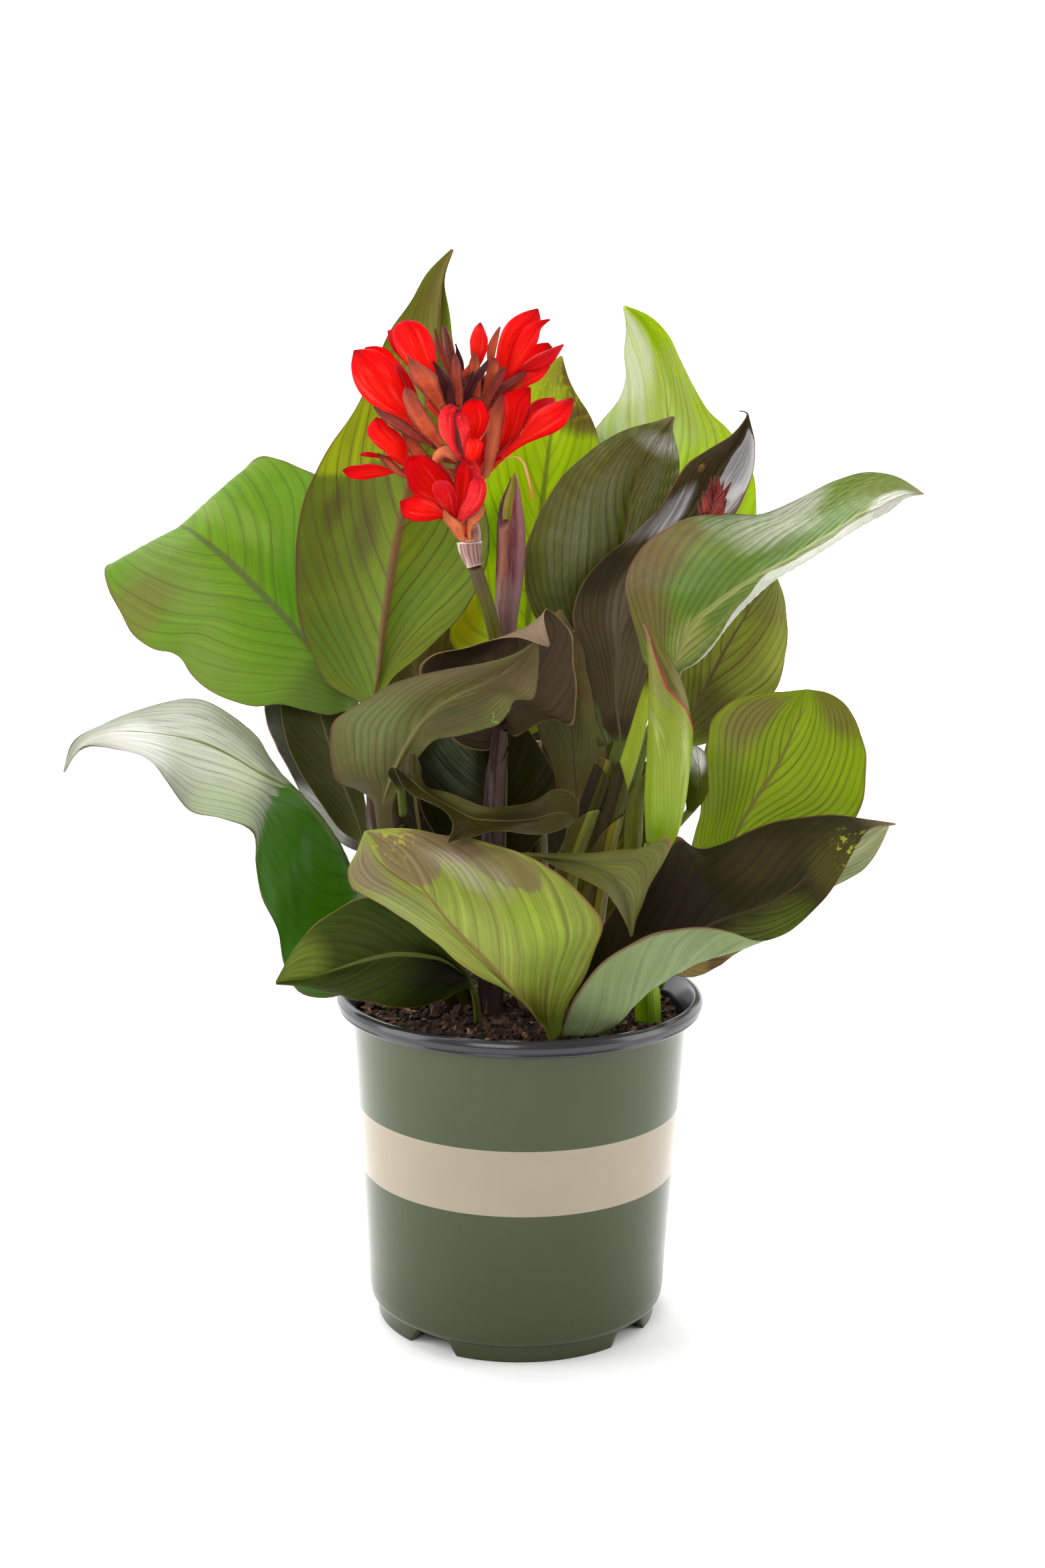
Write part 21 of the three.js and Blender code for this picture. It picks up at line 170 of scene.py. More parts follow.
    "leaf_arching_left": {'c1': (184, 184, 168), 'c2': (170, 174, 152), 'vein': (46, 64, 4), 'vs': 0.65, 'fine': 0.3, 'rib': (116, 136, 70), 'ribw': 0.04, 'mar': (112, 80, 52), 'mw': 0.025, 'glow': (120, 180, 0), 'amount': 0.4, 'rough': 0.32, 'n': 7, 'k': 1.35, 'b1': (84, 116, 20), 'b2': (94, 126, 30), 'stripe': 0.3, 'pleat': 0.5, 'coat': 0.25, 'patches': [(0.294, -0.708, 0.24, 1.2, (66, 122, 0), 0.97, 1), (0.331, -0.333, 0.106, 0.7, (66, 122, 0), 0.97, 1), (0.775, -0.083, 0.197, 1.044, (210, 208, 200), 1.1, 2), (0.825, -0.438, 0.079, 1.022, (246, 246, 242), 1.2, 2), (0.662, -0.146, 0.118, 0.758, (204, 210, 188), 1.0, 2), (0.631, -0.896, 0.072, 0.551, (190, 206, 156), 1.0, 2), (0.594, -0.188, 0.061, 0.547, (192, 204, 166), 0.9, 2), (0.9, -0.75, 0.086, 1.2, (222, 214, 208), 1.1, 2), (0.294, -0.708, 0.24, 1.2, (66, 122, 0), 0.62, 3), (0.331, -0.333, 0.106, 0.7, (66, 122, 0), 0.62, 3), (0.438, -0.167, 0.054, 0.219, (66, 122, 0), 0.9, 3)], 'hue': 0.1, 'pow': 1.2, 'lines': 12},
    "leaf_drooping_left": {'c1': (50, 54, 6), 'c2': (58, 60, 14), 'vein': (36, 38, 16), 'vs': 0.4, 'fine': 0.35, 'rib': (76, 78, 40), 'mar': (112, 84, 60), 'mw': 0.03, 'glow': (56, 70, 8), 'amount': 0.1, 'rough': 0.45, 'n': 12, 'k': 0.4, 'b1': (60, 70, 30), 'b2': (68, 78, 36), 'spec': 0.1, 'hue': 0.35, 'hc': (60, 44, 34)},
    "leaf_behind_left": {'c1': (52, 58, 34), 'c2': (62, 66, 42), 'vein': (64, 58, 44), 'vs': 0.8, 'fine': 0.3, 'rib': (110, 104, 84), 'mar': (176, 130, 110), 'mw': 0.03, 'glow': (70, 70, 40), 'amount': 0.1, 'rough': 0.3, 'n': 16, 'k': 0.4, 'b1': (70, 76, 40), 'b2': (80, 84, 50), 'stripe': 0.6, 'pleat': 0.6, 'coat': 0.3, 'hue': 0.3, 'patches': [(0.275, -0.688, 0.178, 1.2, (216, 212, 208), 1.6, 2), (0.2, -1.0, 0.113, 1.2, (206, 202, 196), 1.4, 2)]},
    "leaf_curled_centre": {'c1': (96, 100, 36), 'c2': (108, 110, 48), 'vein': (70, 56, 36), 'vs': 0.55, 'fine': 0.5, 'rib': (118, 112, 60), 'ribw': 0.05, 'mar': (96, 62, 48), 'mw': 0.03, 'glow': (96, 106, 16), 'amount': 0.15, 'rough': 0.42, 'n': 8, 'k': 1.2, 'b1': (74, 82, 40), 'b2': (84, 90, 46), 'raised': 1, 'stripe': 0.3, 'patches': [(0.831, 0.208, 0.269, 0.812, (118, 94, 66), 0.7), (0.738, -0.708, 0.136, 0.498, (112, 92, 60), 0.5), (0.5, 0.458, 0.226, 0.406, (80, 74, 36), 0.6), (0.044, -0.479, 0.139, 0.787, (74, 70, 28), 0.7), (0.344, -0.542, 0.169, 0.427, (108, 124, 62), 0.7), (0.606, -0.521, 0.144, 0.389, (114, 104, 60), 0.5)], 'hue': 0.5, 'hc': (104, 72, 58), 'pow': 1.25, 'halo': 0.5, 'specks': (0.594, 0.875, 0.066, 0.187, (104, 160, 50)), 'foot': (82, 72, 34)},
    "leaf_folded_flap": {'c1': (80, 60, 36), 'c2': (66, 50, 28), 'vein': (40, 30, 18), 'vs': 0.4, 'fine': 0.35, 'rib': (70, 58, 36), 'mar': (160, 128, 92), 'mw': 0.035, 'glow': (50, 44, 12), 'amount': 0.1, 'rough': 0.45, 'n': 10, 'k': 0.7, 'b1': (140, 118, 96), 'b2': (150, 128, 104), 'stripe': 0.25, 'spec': 0.22, 'patches': [(0.588, -0.646, 0.171, 0.292, (38, 29, 14), 0.85), (0.088, 0.167, 0.39, 0.923, (76, 66, 38), 0.5)], 'hue': 0.45, 'hc': (54, 36, 30)},
    "leaf_inner_right": {'c1': (116, 102, 46), 'c2': (128, 114, 56), 'vein': (54, 44, 26), 'vs': 0.5, 'fine': 0.4, 'rib': (92, 80, 44), 'mar': (92, 62, 44), 'mw': 0.03, 'glow': (70, 70, 12), 'amount': 0.12, 'rough': 0.42, 'n': 11, 'k': 0.8, 'b1': (74, 74, 40), 'b2': (84, 84, 48), 'patches': [(0.881, 0.458, 0.171, 1.2, (88, 68, 46), 0.7), (0.431, -0.062, 0.204, 0.793, (108, 110, 56), 0.5), (0.338, -0.229, 0.237, 0.848, (92, 106, 44), 0.6), (0.3, 1.0, 0.227, 1.2, (104, 112, 58), 0.6)], 'hue': 0.45, 'hc': (96, 62, 50), 'pow': 1.2, 'specks': (0.519, -0.104, 0.048, 0.735, (96, 150, 40))},
    "leaf_inner": {'c1': (42, 42, 4), 'c2': (34, 33, 0), 'vein': (16, 16, 8), 'vs': 0.4, 'fine': 0.4, 'rib': (44, 44, 24), 'mar': (110, 84, 56), 'mw': 0.03, 'glow': (30, 34, 6), 'amount': 0.08, 'rough': 0.4, 'n': 15, 'k': 0.4, 'b1': (40, 44, 20), 'b2': (46, 50, 24), 'coat': 0.1, 'spec': 0.08, 'patches': [(0.794, -0.688, 0.185, 0.561, (64, 66, 34), 0.7), (0.631, -0.396, 0.235, 0.355, (98, 112, 84), 0.9, 2)]},
    "leaf_cupped": {'c1': (54, 48, 2), 'c2': (64, 58, 8), 'vein': (44, 38, 16), 'vs': 0.4, 'fine': 0.35, 'rib': (96, 88, 44), 'mar': (96, 70, 50), 'mw': 0.03, 'glow': (60, 66, 8), 'amount': 0.12, 'rough': 0.38, 'n': 15, 'k': 0.4, 'front': 1, 'b1': (54, 56, 22), 'b2': (60, 62, 28), 'coat': 0.15, 'spec': 0.12, 'patches': [(0.706, 0.083, 0.188, 0.697, (36, 30, 10), 0.8), (0.444, 0.771, 0.136, 0.635, (110, 110, 62), 0.7), (0.156, -0.708, 0.073, 0.74, (34, 28, 10), 0.8)], 'hue': 0.3, 'hc': (60, 42, 30)},
    "leaf_small_front": {'c1': (116, 122, 46), 'c2': (108, 112, 38), 'vein': (72, 66, 34), 'vs': 0.3, 'fine': 0.45, 'rib': (90, 84, 40), 'ribw': 0.035, 'mar': (150, 104, 56), 'mw': 0.04, 'glow': (100, 112, 16), 'amount': 0.15, 'rough': 0.42, 'n': 10, 'k': 0.8, 'front': 1, 'tip': (112, 110, 66), 'tipu': 0.9, 'b1': (84, 92, 44), 'b2': (94, 100, 52), 'patches': [(0.762, -0.833, 0.183, 1.2, (116, 122, 72), 0.7), (0.15, -1.0, 0.191, 1.2, (76, 72, 26), 0.6)], 'hue': 0.4, 'hc': (98, 70, 50)},
    "leaf_low_right_back": {'c1': (216, 222, 170), 'c2': (206, 212, 158), 'vein': (120, 116, 84), 'vs': 0.4, 'fine': 0.35, 'rib': (160, 160, 120), 'mar': (150, 120, 90), 'mw': 0.05, 'glow': (160, 170, 90), 'amount': 0.25, 'rough': 0.4, 'n': 14, 'k': 0.4, 'b1': (104, 120, 70), 'b2': (114, 130, 80), 'hue': 0.2},
    "leaf_under_right": {'c1': (208, 172, 108), 'c2': (214, 182, 116), 'vein': (84, 56, 44), 'vs': 0.5, 'rib': (140, 120, 70), 'mar': (120, 80, 60), 'mw': 0.05, 'glow': (130, 110, 30), 'amount': 0.15, 'rough': 0.42, 'n': 12, 'k': 0.4, 'b1': (130, 112, 56), 'b2': (136, 118, 60), 'patches': [(0.475, 0.75, 0.115, 0.63, (96, 62, 60), 0.6)]},
    # leaf_behind_stems: its dark colours are painted shade for the gap behind the stems.
    "leaf_behind_stems": {'c1': (78, 78, 0), 'c2': (114, 124, 2), 'vein': (24, 22, 6), 'vs': 0.5, 'fine': 0.4, 'rib': (70, 66, 24), 'mar': (90, 60, 30), 'mw': 0.03, 'glow': (50, 60, 4), 'amount': 0.12, 'rough': 0.45, 'n': 14, 'k': 0.4, 'spec': 0.1, 'b1': (30, 32, 10), 'b2': (40, 42, 14), 'hue': 0.3, 'hc': (64, 44, 8)},
    # curled_leaf_tip: the near-white patch is a painted sheen on the upper part of the tip.
    "curled_leaf_tip": {'c1': (56, 64, 0), 'c2': (68, 74, 0), 'vein': (44, 46, 8), 'vs': 0.4, 'fine': 0.35, 'rib': (80, 84, 30), 'mar': (96, 70, 40), 'mw': 0.05, 'glow': (70, 80, 6), 'amount': 0.15, 'rough': 0.4, 'n': 9, 'k': 0.4, 'patches': [(0.794, -0.188, 0.262, 1.2, (226, 226, 220), 0.97), (0.562, -0.25, 0.201, 0.601, (120, 128, 80), 0.6)], 'spec': 0.05},
    "leaf_back_left": {'c1': (26, 29, 0), 'c2': (20, 21, 0), 'glow': (60, 70, 6), 'amount': 0.15, 'spec': 0.05, 'n': 16, 'k': 0.45},
    "leaf_back_centre": {'c1': (28, 28, 0), 'c2': (38, 40, 0), 'glow': (60, 70, 6), 'amount': 0.15, 'spec': 0.05, 'n': 16, 'k': 0.45},
    "leaf_back_upper_left": {'c1': (88, 78, 18), 'c2': (110, 102, 8), 'glow': (80, 90, 10), 'amount': 0.2, 'spec': 0.15, 'n': 16, 'k': 0.45},
    "leaf_back_low_left": {'c1': (52, 60, 24), 'c2': (62, 70, 30), 'front': 1, 'amount': 0.2, 'n': 16, 'k': 0.45},
    "leaf_back_side_left": {'front': 1, 'n': 16, 'k': 0.45},
    "furled_leaf": {'c1': (150, 166, 44), 'c2': (136, 152, 26), 'vein': (110, 126, 20), 'tip': (126, 104, 44), 'mar': (170, 44, 50), 'glow': (180, 205, 30), 'n': 16, 'k': 0.45},
}


# ---------------------------------------------------------------- meshes
def spline(p0, p1, p2, p3, t):
    return 0.5 * (2 * p1 + (p2 - p0) * t + (2 * p0 - 5 * p1 + 4 * p2 - p3) * t * t + (3 * p1 - p0 - 3 * p2 + p3) * t ** 3)


def surface(net, a, b):
    """Points of a control net at rows a and columns b."""
    rows, cols = net.shape[:2]
    i = np.clip(np.floor(a).astype(int), 0, rows - 2)
    j = np.clip(np.floor(b).astype(int), 0, cols - 2)
    s, t = (a - i)[:, None, None], (b - j)[None, :, None]
    ii = [np.clip(i + m, 0, rows - 1) for m in (-1, 0, 1, 2)]
    jj = [np.clip(j + m, 0, cols - 1) for m in (-1, 0, 1, 2)]
    return spline(*[spline(*[net[ii[m]][:, jj[n]] for n in range(4)], t) for m in range(4)], s)


def unit(v):
    return v / np.maximum(np.linalg.norm(v, axis=-1, keepdims=True), 1e-9)


def normals(p):
    n = unit(np.cross(np.gradient(p, axis=0), np.gradient(p, axis=1)))
    for _ in range(2):
        q = n.copy()
        q[1:-1] += n[2:] + n[:-2]
        n = unit(q)
    return n


def make(name, verts, faces, uv, mat, flat=False):
    """One mesh object from mm points, faces (rows of 3 or 4 indices) and a UV pair for each face corner."""
    sizes = np.concatenate([np.full(len(f), f.shape[1]) for f in faces]).astype(np.int32)
    loops = np.concatenate([f.ravel() for f in faces]).astype(np.int32)
    me = bpy.data.meshes.new(name)
    me.vertices.add(len(verts))
    me.vertices.foreach_set("co", ((np.asarray(verts) + OFFSET) * MM).astype(np.float32).ravel())
    me.loops.add(len(loops))
    me.loops.foreach_set("vertex_index", loops)
    me.polygons.add(len(sizes))
    me.polygons.foreach_set("loop_start", np.concatenate([[0], np.cumsum(sizes)[:-1]]).astype(np.int32))
    me.polygons.foreach_set("loop_total", sizes)
    me.polygons.foreach_set("use_smooth", np.full(len(sizes), not flat))
    layer = me.uv_layers.new(name="UVMap")
    layer.data.foreach_set("uv", np.asarray(uv, dtype=np.float32).ravel())
    me.update(calc_edges=True)
    me.validate()
    me.materials.append(mat)
    ob = bpy.data.objects.new(name, me)
    bpy.context.scene.collection.objects.link(ob)
    return ob


def quads(ni, nj, wrap=False):
    i, j = np.meshgrid(np.arange(ni - 1), np.arange(nj if wrap else nj - 1), indexing="ij")
    k = (j + 1) % nj
    return np.stack([i * nj + j, (i + 1) * nj + j, (i + 1) * nj + k, i * nj + k], -1).reshape(-1, 4)


def sheet(mid, top, bottom, u, v):
    """A closed thin sheet: offsets top and bottom along the normal of the mid surface.
    The map is (u, 0..1) on the first side and (u, 2..3) on the second."""
    n = normals(mid)
    ni, nj = mid.shape[:2]
    count = ni * nj
    verts = np.concatenate([(mid + n * top[..., None]).reshape(-1, 3), (mid + n * bottom[..., None]).reshape(-1, 3)])
    q = quads(ni, nj)
    ring = np.concatenate([np.arange(nj), np.arange(1, ni) * nj + nj - 1, (ni - 1) * nj + np.arange(nj - 2, -1, -1), np.arange(ni - 2, 0, -1) * nj])
    nxt = np.roll(ring, -1)
    rim = np.stack([ring, nxt, nxt + count, ring + count], -1)
    flat = np.stack(np.broadcast_arrays(u[:, None], (v[None, :] + 1) / 2), -1).reshape(-1, 2)
    uv = np.concatenate([flat[q.ravel()], flat[q.ravel()] + [0, 2], flat[rim.ravel() % count]])
    faces = [q, q[:, ::-1] + count, rim]
    uv[4 * len(q):8 * len(q)] = flat[q[:, ::-1].ravel()] + [0, 2]
    return verts, faces, uv


def tube(points, sides, steps, swell=None, top=None, start=0.0, ref=(0.0, -1.0, 0.0)):
    """A closed tube along points [x, y, z, r]. swell(s, angle) scales the radius and top(angle) is how far up each side reaches."""
    p = np.asarray(points, float)
    net = p[:, None, :]
    idx = np.linspace(0, len(p) - 1, steps)
    c = surface(np.repeat(net, 2, 1), idx, np.array([0.0]))[:, 0]
    cen, rad = c[:, :3], np.maximum(c[:, 3], 0.15)
    tan = unit(np.gradient(cen, axis=0))
    x = np.zeros_like(cen)
    r = np.asarray(ref, float)
    for k in range(steps):
        r = unit(r - tan[k] * (r @ tan[k]))
        x[k] = r
    y = np.cross(tan, x)
    ang = 2 * np.pi * np.arange(sides) / sides
    s = np.linspace(0, 1, steps)
    S, A = np.meshgrid(s, ang, indexing="ij")
    if top is not None:
        S = start + (top(A) - start) * S
        at = S * (steps - 1)
        lowi = np.clip(np.floor(at).astype(int), 0, steps - 2)
        f = (at - lowi)[..., None]
        pick = lambda q: q[lowi] * (1 - f) + q[lowi + 1] * f
        cc, xx, yy, rr = pick(cen), pick(x), pick(y), pick(rad[:, None])[..., 0]
    else:
        cc, xx, yy, rr = cen[:, None], x[:, None], y[:, None], rad[:, None]
    rr = rr * (swell(S, A) if swell is not None else 1.0)
    P = cc + xx * (rr * np.cos(A))[..., None] + yy * (rr * np.sin(A))[..., None]
    verts = np.concatenate([P.reshape(-1, 3), P[0].mean(0)[None], P[-1].mean(0)[None]])
    q = quads(steps, sides, True)
    n = steps * sides
    k = np.arange(sides)
    k2 = (k + 1) % sides
    cap0 = np.stack([np.full(sides, n), k2, k], -1)[:, ::-1]
    cap1 = np.stack([np.full(sides, n + 1), n - sides + k, n - sides + k2], -1)[:, ::-1]
    uu = np.stack([S, A / (2 * np.pi)], -1).reshape(-1, 2)
    uu = np.concatenate([uu, [[S[0].mean(), 0.5], [S[-1].mean(), 0.5]]])
    fuv = uu[q.ravel()].reshape(-1, 4, 2)
    seam = q[:, 0] % sides == sides - 1
    fuv[seam, 2:, 1] = 1.0
    uv = np.concatenate([fuv.reshape(-1, 2), uu[cap0.ravel()], uu[cap1.ravel()]])
    return verts, [q[:, ::-1], cap0[:, ::-1], cap1[:, ::-1]], np.concatenate([fuv[:, ::-1].reshape(-1, 2), uu[cap0[:, ::-1].ravel()], uu[cap1[:, ::-1].ravel()]])


def merge(parts):
    """Several (verts, faces, uv) in one mesh."""
    verts, by_size, start = [], {}, 0
    for v, faces, uv in parts:
        at = 0
        for f in faces:
            if len(f):
                by_size.setdefault(f.shape[1], []).append((f + start, uv[at:at + f.size]))
            at += f.size
        verts.append(v)
        start += len(v)
    faces, uvs = [], []
    for k in sorted(by_size):
        faces.append(np.concatenate([f for f, _ in by_size[k]]))
        uvs.append(np.concatenate([w for _, w in by_size[k]]))
    return np.concatenate(verts), faces, np.concatenate(uvs)


def waves(seed, count=5, low=1.0, high=4.0):
    """A smooth random function of two values from sums of sines."""
    g = np.random.default_rng(seed)
    f = g.uniform(low, high, (count, 2)) * g.choice([-1, 1], (count, 2))
    ph = g.uniform(0, 6.28, count)
    am = g.uniform(0.4, 1.0, count)
    am /= am.sum()
    return lambda x, y: sum(am[k] * np.sin(f[k, 0] * x + f[k, 1] * y + ph[k]) for k in range(count))


# ---------------------------------------------------------------- materials
def rgb(c):
    """A colour given as 0-255 display values, in linear light."""
    v = np.asarray(c, float) / 255.0
    v = np.where(v <= 0.04045, v / 12.92, ((v + 0.055) / 1.055) ** 2.4)
    return (float(v[0]), float(v[1]), float(v[2]), 1.0)


class Nodes:
    def __init__(self, name):
        self.mat = bpy.data.materials.new(name)
        self.mat.use_nodes = True
        self.t = self.mat.node_tree
        self.t.nodes.clear()

    def new(self, kind, **props):
        n = self.t.nodes.new(kind)
        for k, v in props.items():
            setattr(n, k, v)
        return n

    def put(self, socket, value):
        if isinstance(value, bpy.types.NodeSocket):
            self.t.links.new(value, socket)
        elif value is not None:
            socket.default_value = value

    def math(self, op, a, b=None, c=None, clamp=False):
        n = self.new("ShaderNodeMath", operation=op, use_clamp=clamp)
        for k, v in enumerate((a, b, c)):
            self.put(n.inputs[k], v)
        return n.outputs[0]

    def step(self, x, a, b, smooth=True, lo=0.0, hi=1.0):
        """lo where x is a or less and hi where it is b or more, or the other way round when a > b."""
        n = self.new("ShaderNodeMapRange", interpolation_type="SMOOTHSTEP" if smooth else "LINEAR", clamp=True)
        self.put(n.inputs["Value"], x)
        n.inputs["From Min"].default_value = min(a, b)
        n.inputs["From Max"].default_value = max(a, b)
        n.inputs["To Min"].default_value = lo if a < b else hi
        n.inputs["To Max"].default_value = hi if a < b else lo
        return n.outputs["Result"]

    def mix(self, f, a, b, blend="MIX"):
        n = self.new("ShaderNodeMix", data_type="RGBA", blend_type=blend, clamp_factor=True)
        self.put(n.inputs[0], f)
        for k, v in ((6, a), (7, b)):
            self.put(n.inputs[k], v)
        return n.outputs[2]

    def noise(self, vec, scale, detail=3.0, rough=0.55, distort=0.0):
        n = self.new("ShaderNodeTexNoise")
        self.put(n.inputs["Vector"], vec)
        n.inputs["Scale"].default_value = scale
        n.inputs["Detail"].default_value = detail
        n.inputs["Roughness"].default_value = rough
        n.inputs["Distortion"].default_value = distort
        return n.outputs["Fac"]

    def scaled(self, vec, s):
        n = self.new("ShaderNodeVectorMath", operation="MULTIPLY")
        self.put(n.inputs[0], vec)
        n.inputs[1].default_value = s
        return n.outputs[0]

    def combine(self, x, y, z=0.0):
        n = self.new("ShaderNodeCombineXYZ")
        for k, v in enumerate((x, y, z)):
            self.put(n.inputs[k], v)
        return n.outputs[0]

    def uv(self):
        n = self.new("ShaderNodeUVMap", uv_map="UVMap")
        s = self.new("ShaderNodeSeparateXYZ")
        self.t.links.new(n.outputs[0], s.inputs[0])
        return n.outputs[0], s.outputs[0], s.outputs[1]

    def place(self):
        return self.new("ShaderNodeTexCoord").outputs["Object"]

    def bump(self, height, strength, distance, normal=None):
        n = self.new("ShaderNodeBump")
        self.put(n.inputs["Height"], height)
        n.inputs["Strength"].default_value = strength
        n.inputs["Distance"].default_value = distance
        if normal is not None:
            self.put(n.inputs["Normal"], normal)
        return n.outputs[0]

    def finish(self, colour, rough, normal=None, glow=None, amount=0.0, specular=0.5, coat=0.0, coat_rough=0.3, sheen=0.0):
        p = self.new("ShaderNodeBsdfPrincipled")
        self.put(p.inputs["Base Color"], colour)
        self.put(p.inputs["Roughness"], rough)
        p.inputs["Specular IOR Level"].default_value = specular
        p.inputs["IOR"].default_value = 1.45
        p.inputs["Coat Weight"].default_value = coat
        p.inputs["Coat Roughness"].default_value = coat_rough
        if sheen:
            p.inputs["Sheen Weight"].default_value = sheen
            p.inputs["Sheen Roughness"].default_value = 0.5
        if normal is not None:
            self.put(p.inputs["Normal"], normal)
        out = p.outputs[0]
        if glow is not None:
            g = self.new("ShaderNodeBsdfTranslucent")
            self.put(g.inputs["Color"], glow)
            if normal is not None:
                self.put(g.inputs["Normal"], normal)
            m = self.new("ShaderNodeMixShader")
            m.inputs[0].default_value = amount
            self.t.links.new(out, m.inputs[1])
            self.t.links.new(g.outputs[0], m.inputs[2])
            out = m.outputs[0]
        o = self.new("ShaderNodeOutputMaterial")
        self.t.links.new(out, o.inputs["Surface"])
        return self.mat


BLADE_DEFAULT = dict(
    c1=(74, 88, 34), c2=(88, 98, 42), vein=(70, 44, 36), vs=0.5, fine=0.35, rib=(110, 96, 52), ribw=0.05,
    mar=(92, 50, 46), mw=0.035, tip=None, tipu=0.9, b1=(70, 86, 36), b2=(84, 96, 44), bvs=0.3, brib=(120, 112, 62),
    glow=(150, 190, 20), amount=0.35, rough=0.38, n=11, k=0.30, k2=None, pow=1.1, front=-1, patches=(), specks=None, coat=0.0,
    pleat=0.22, ruffle=0.9, bulk=0.6, raised=0, dark=0.35, stripe=0.25, spec=0.33, foot=(96, 104, 44), vw=0.13, halo=0.42, hw=0.5,
    mottle=0.25, glowpatch=0.7, hue=0.3, hc=(92, 62, 48), lines=9.0)


def blade_material(name, q):
    m = Nodes(name)
    vec, U, W = m.uv()
    side = m.math("GREATER_THAN", W, 1.5)
    V = m.math("SUBTRACT", m.math("MULTIPLY", m.math("SUBTRACT", W, m.math("MULTIPLY", side, 2.0)), 2.0), 1.0)
    A = m.math("ABSOLUTE", V)
    right = m.math("GREATER_THAN", V, 0.0)
    pos = m.place()
    big = m.noise(pos, 20.0, 4.0, 0.6)
    soft = m.noise(pos, 9.0, 2.0, 0.5)
    grain = m.noise(pos, 220.0, 3.0, 0.6)
    # side veins leave the midrib at an angle and bend towards the tip
    k2 = q["k"] if q["k2"] is None else q["k2"]
    slope = m.math("ADD", m.math("MULTIPLY", right, q["k"] - k2), -q["k"])
    wob = m.math("MULTIPLY", m.math("SUBTRACT", big, 0.5), 0.03)
    w = m.math("ADD", m.math("ADD", U, m.math("MULTIPLY", m.math("POWER", A, q["pow"]), slope)), wob)
    # the two halves are out of step with each other
    wn = m.math("ADD", m.math("MULTIPLY", w, float(q["n"])), m.math("MULTIPLY", right, 0.37))
    main = m.math("MULTIPLY", m.math("PINGPONG", wn, 0.5), 2.0)
    # every vein has its own strength
    each = m.noise(m.combine(m.math("MULTIPLY", wn, 0.9), m.math("MULTIPLY", right, 7.0)), 1.0, 1.0, 0.5)
    own = m.step(each, 0.32, 0.68, lo=0.35, hi=1.0)
    fade = m.step(A, 1.0, 0.7, lo=0.45, hi=1.0)
    vein = m.math("MULTIPLY", m.step(main, q["vw"], 0.0), m.math("MULTIPLY", own, fade))
    halo = m.math("MULTIPLY", m.step(main, q["hw"], 0.0), m.math("MULTIPLY", own, fade))
    # fine parallel lines between the veins, uneven in width and depth
    streak = m.noise(m.combine(m.math("MULTIPLY", wn, 9.0), m.math("MULTIPLY", A, 2.2), m.math("MULTIPLY", right, 5.0)), 1.0, 4.0, 0.7)
    strand = m.noise(m.combine(m.math("MULTIPLY", wn, 3.6), m.math("MULTIPLY", A, 1.1), m.math("MULTIPLY", right, 9.0)), 1.0, 3.0, 0.6)
    lines = m.math("MULTIPLY", m.math("PINGPONG", m.math("ADD", m.math("MULTIPLY", wn, float(q["lines"])), m.math("MULTIPLY", streak, 0.7)), 0.5), 2.0)
    fine = m.step(lines, 0.5, 0.0)
    # brown and purple flushes that run with the veins
    flush = m.math("ADD", m.noise(m.combine(m.math("MULTIPLY", wn, 0.8), m.math("MULTIPLY", A, 1.6), m.math("ADD", m.math("MULTIPLY", right, 5.0), 3.0)), 1.0, 4.0, 0.65), m.math("MULTIPLY", m.math("SUBTRACT", soft, 0.5), 0.6))
    band = m.step(main, 0.2, 1.0)

    front = m.mix(m.step(big, 0.32, 0.68), rgb(q["c1"]), rgb(q["c2"]))
    front = m.mix(m.math("MULTIPLY", m.step(soft, 0.35, 0.6), q["mottle"]), front, m.mix(1.0, front, (0.70, 0.72, 0.70, 1.0), "MULTIPLY"))
    masks, painted_sheen_and_late_patches = [], []
    painted_sheen_streaks = m.step(m.noise(m.combine(m.math("MULTIPLY", wn, 3.4), m.math("MULTIPLY", A, 0.9), m.math("MULTIPLY", right, 5.0)), 1.0, 3.0, 0.6), 0.40, 0.60, lo=0.3, hi=1.0)
    for patch in q["patches"]:
        pu, pv, su, sv, colour, power = patch[:6]
        kind = patch[6] if len(patch) > 6 else 0
        crisp = kind in (1, 3)
        du = m.math("MULTIPLY", m.math("SUBTRACT", U, pu), 1.0 / su)
        dv = m.math("MULTIPLY", m.math("SUBTRACT", V, pv), 1.0 / sv)
        d = m.new("ShaderNodeVectorMath", operation="LENGTH")
        m.put(d.inputs[0], m.combine(du, dv))
        d = m.math("ADD", d.outputs["Value"], m.math("MULTIPLY", m.math("SUBTRACT", big, 0.5), 0.5 if crisp else 1.0))
        d = m.math("ADD", d, m.math("MULTIPLY", m.math("SUBTRACT", strand, 0.5), 0.45))
        k = m.math("MULTIPLY", m.step(d, 1.0, 0.93 if kind == 3 else 0.84) if crisp else m.step(d, 1.2, 0.35), power)
        if kind == 2:   # painted sheen: a highlight painted in streaks that follow the veins
            k = m.math("MULTIPLY", k, painted_sheen_streaks)
            painted_sheen_and_late_patches.append((k, colour))
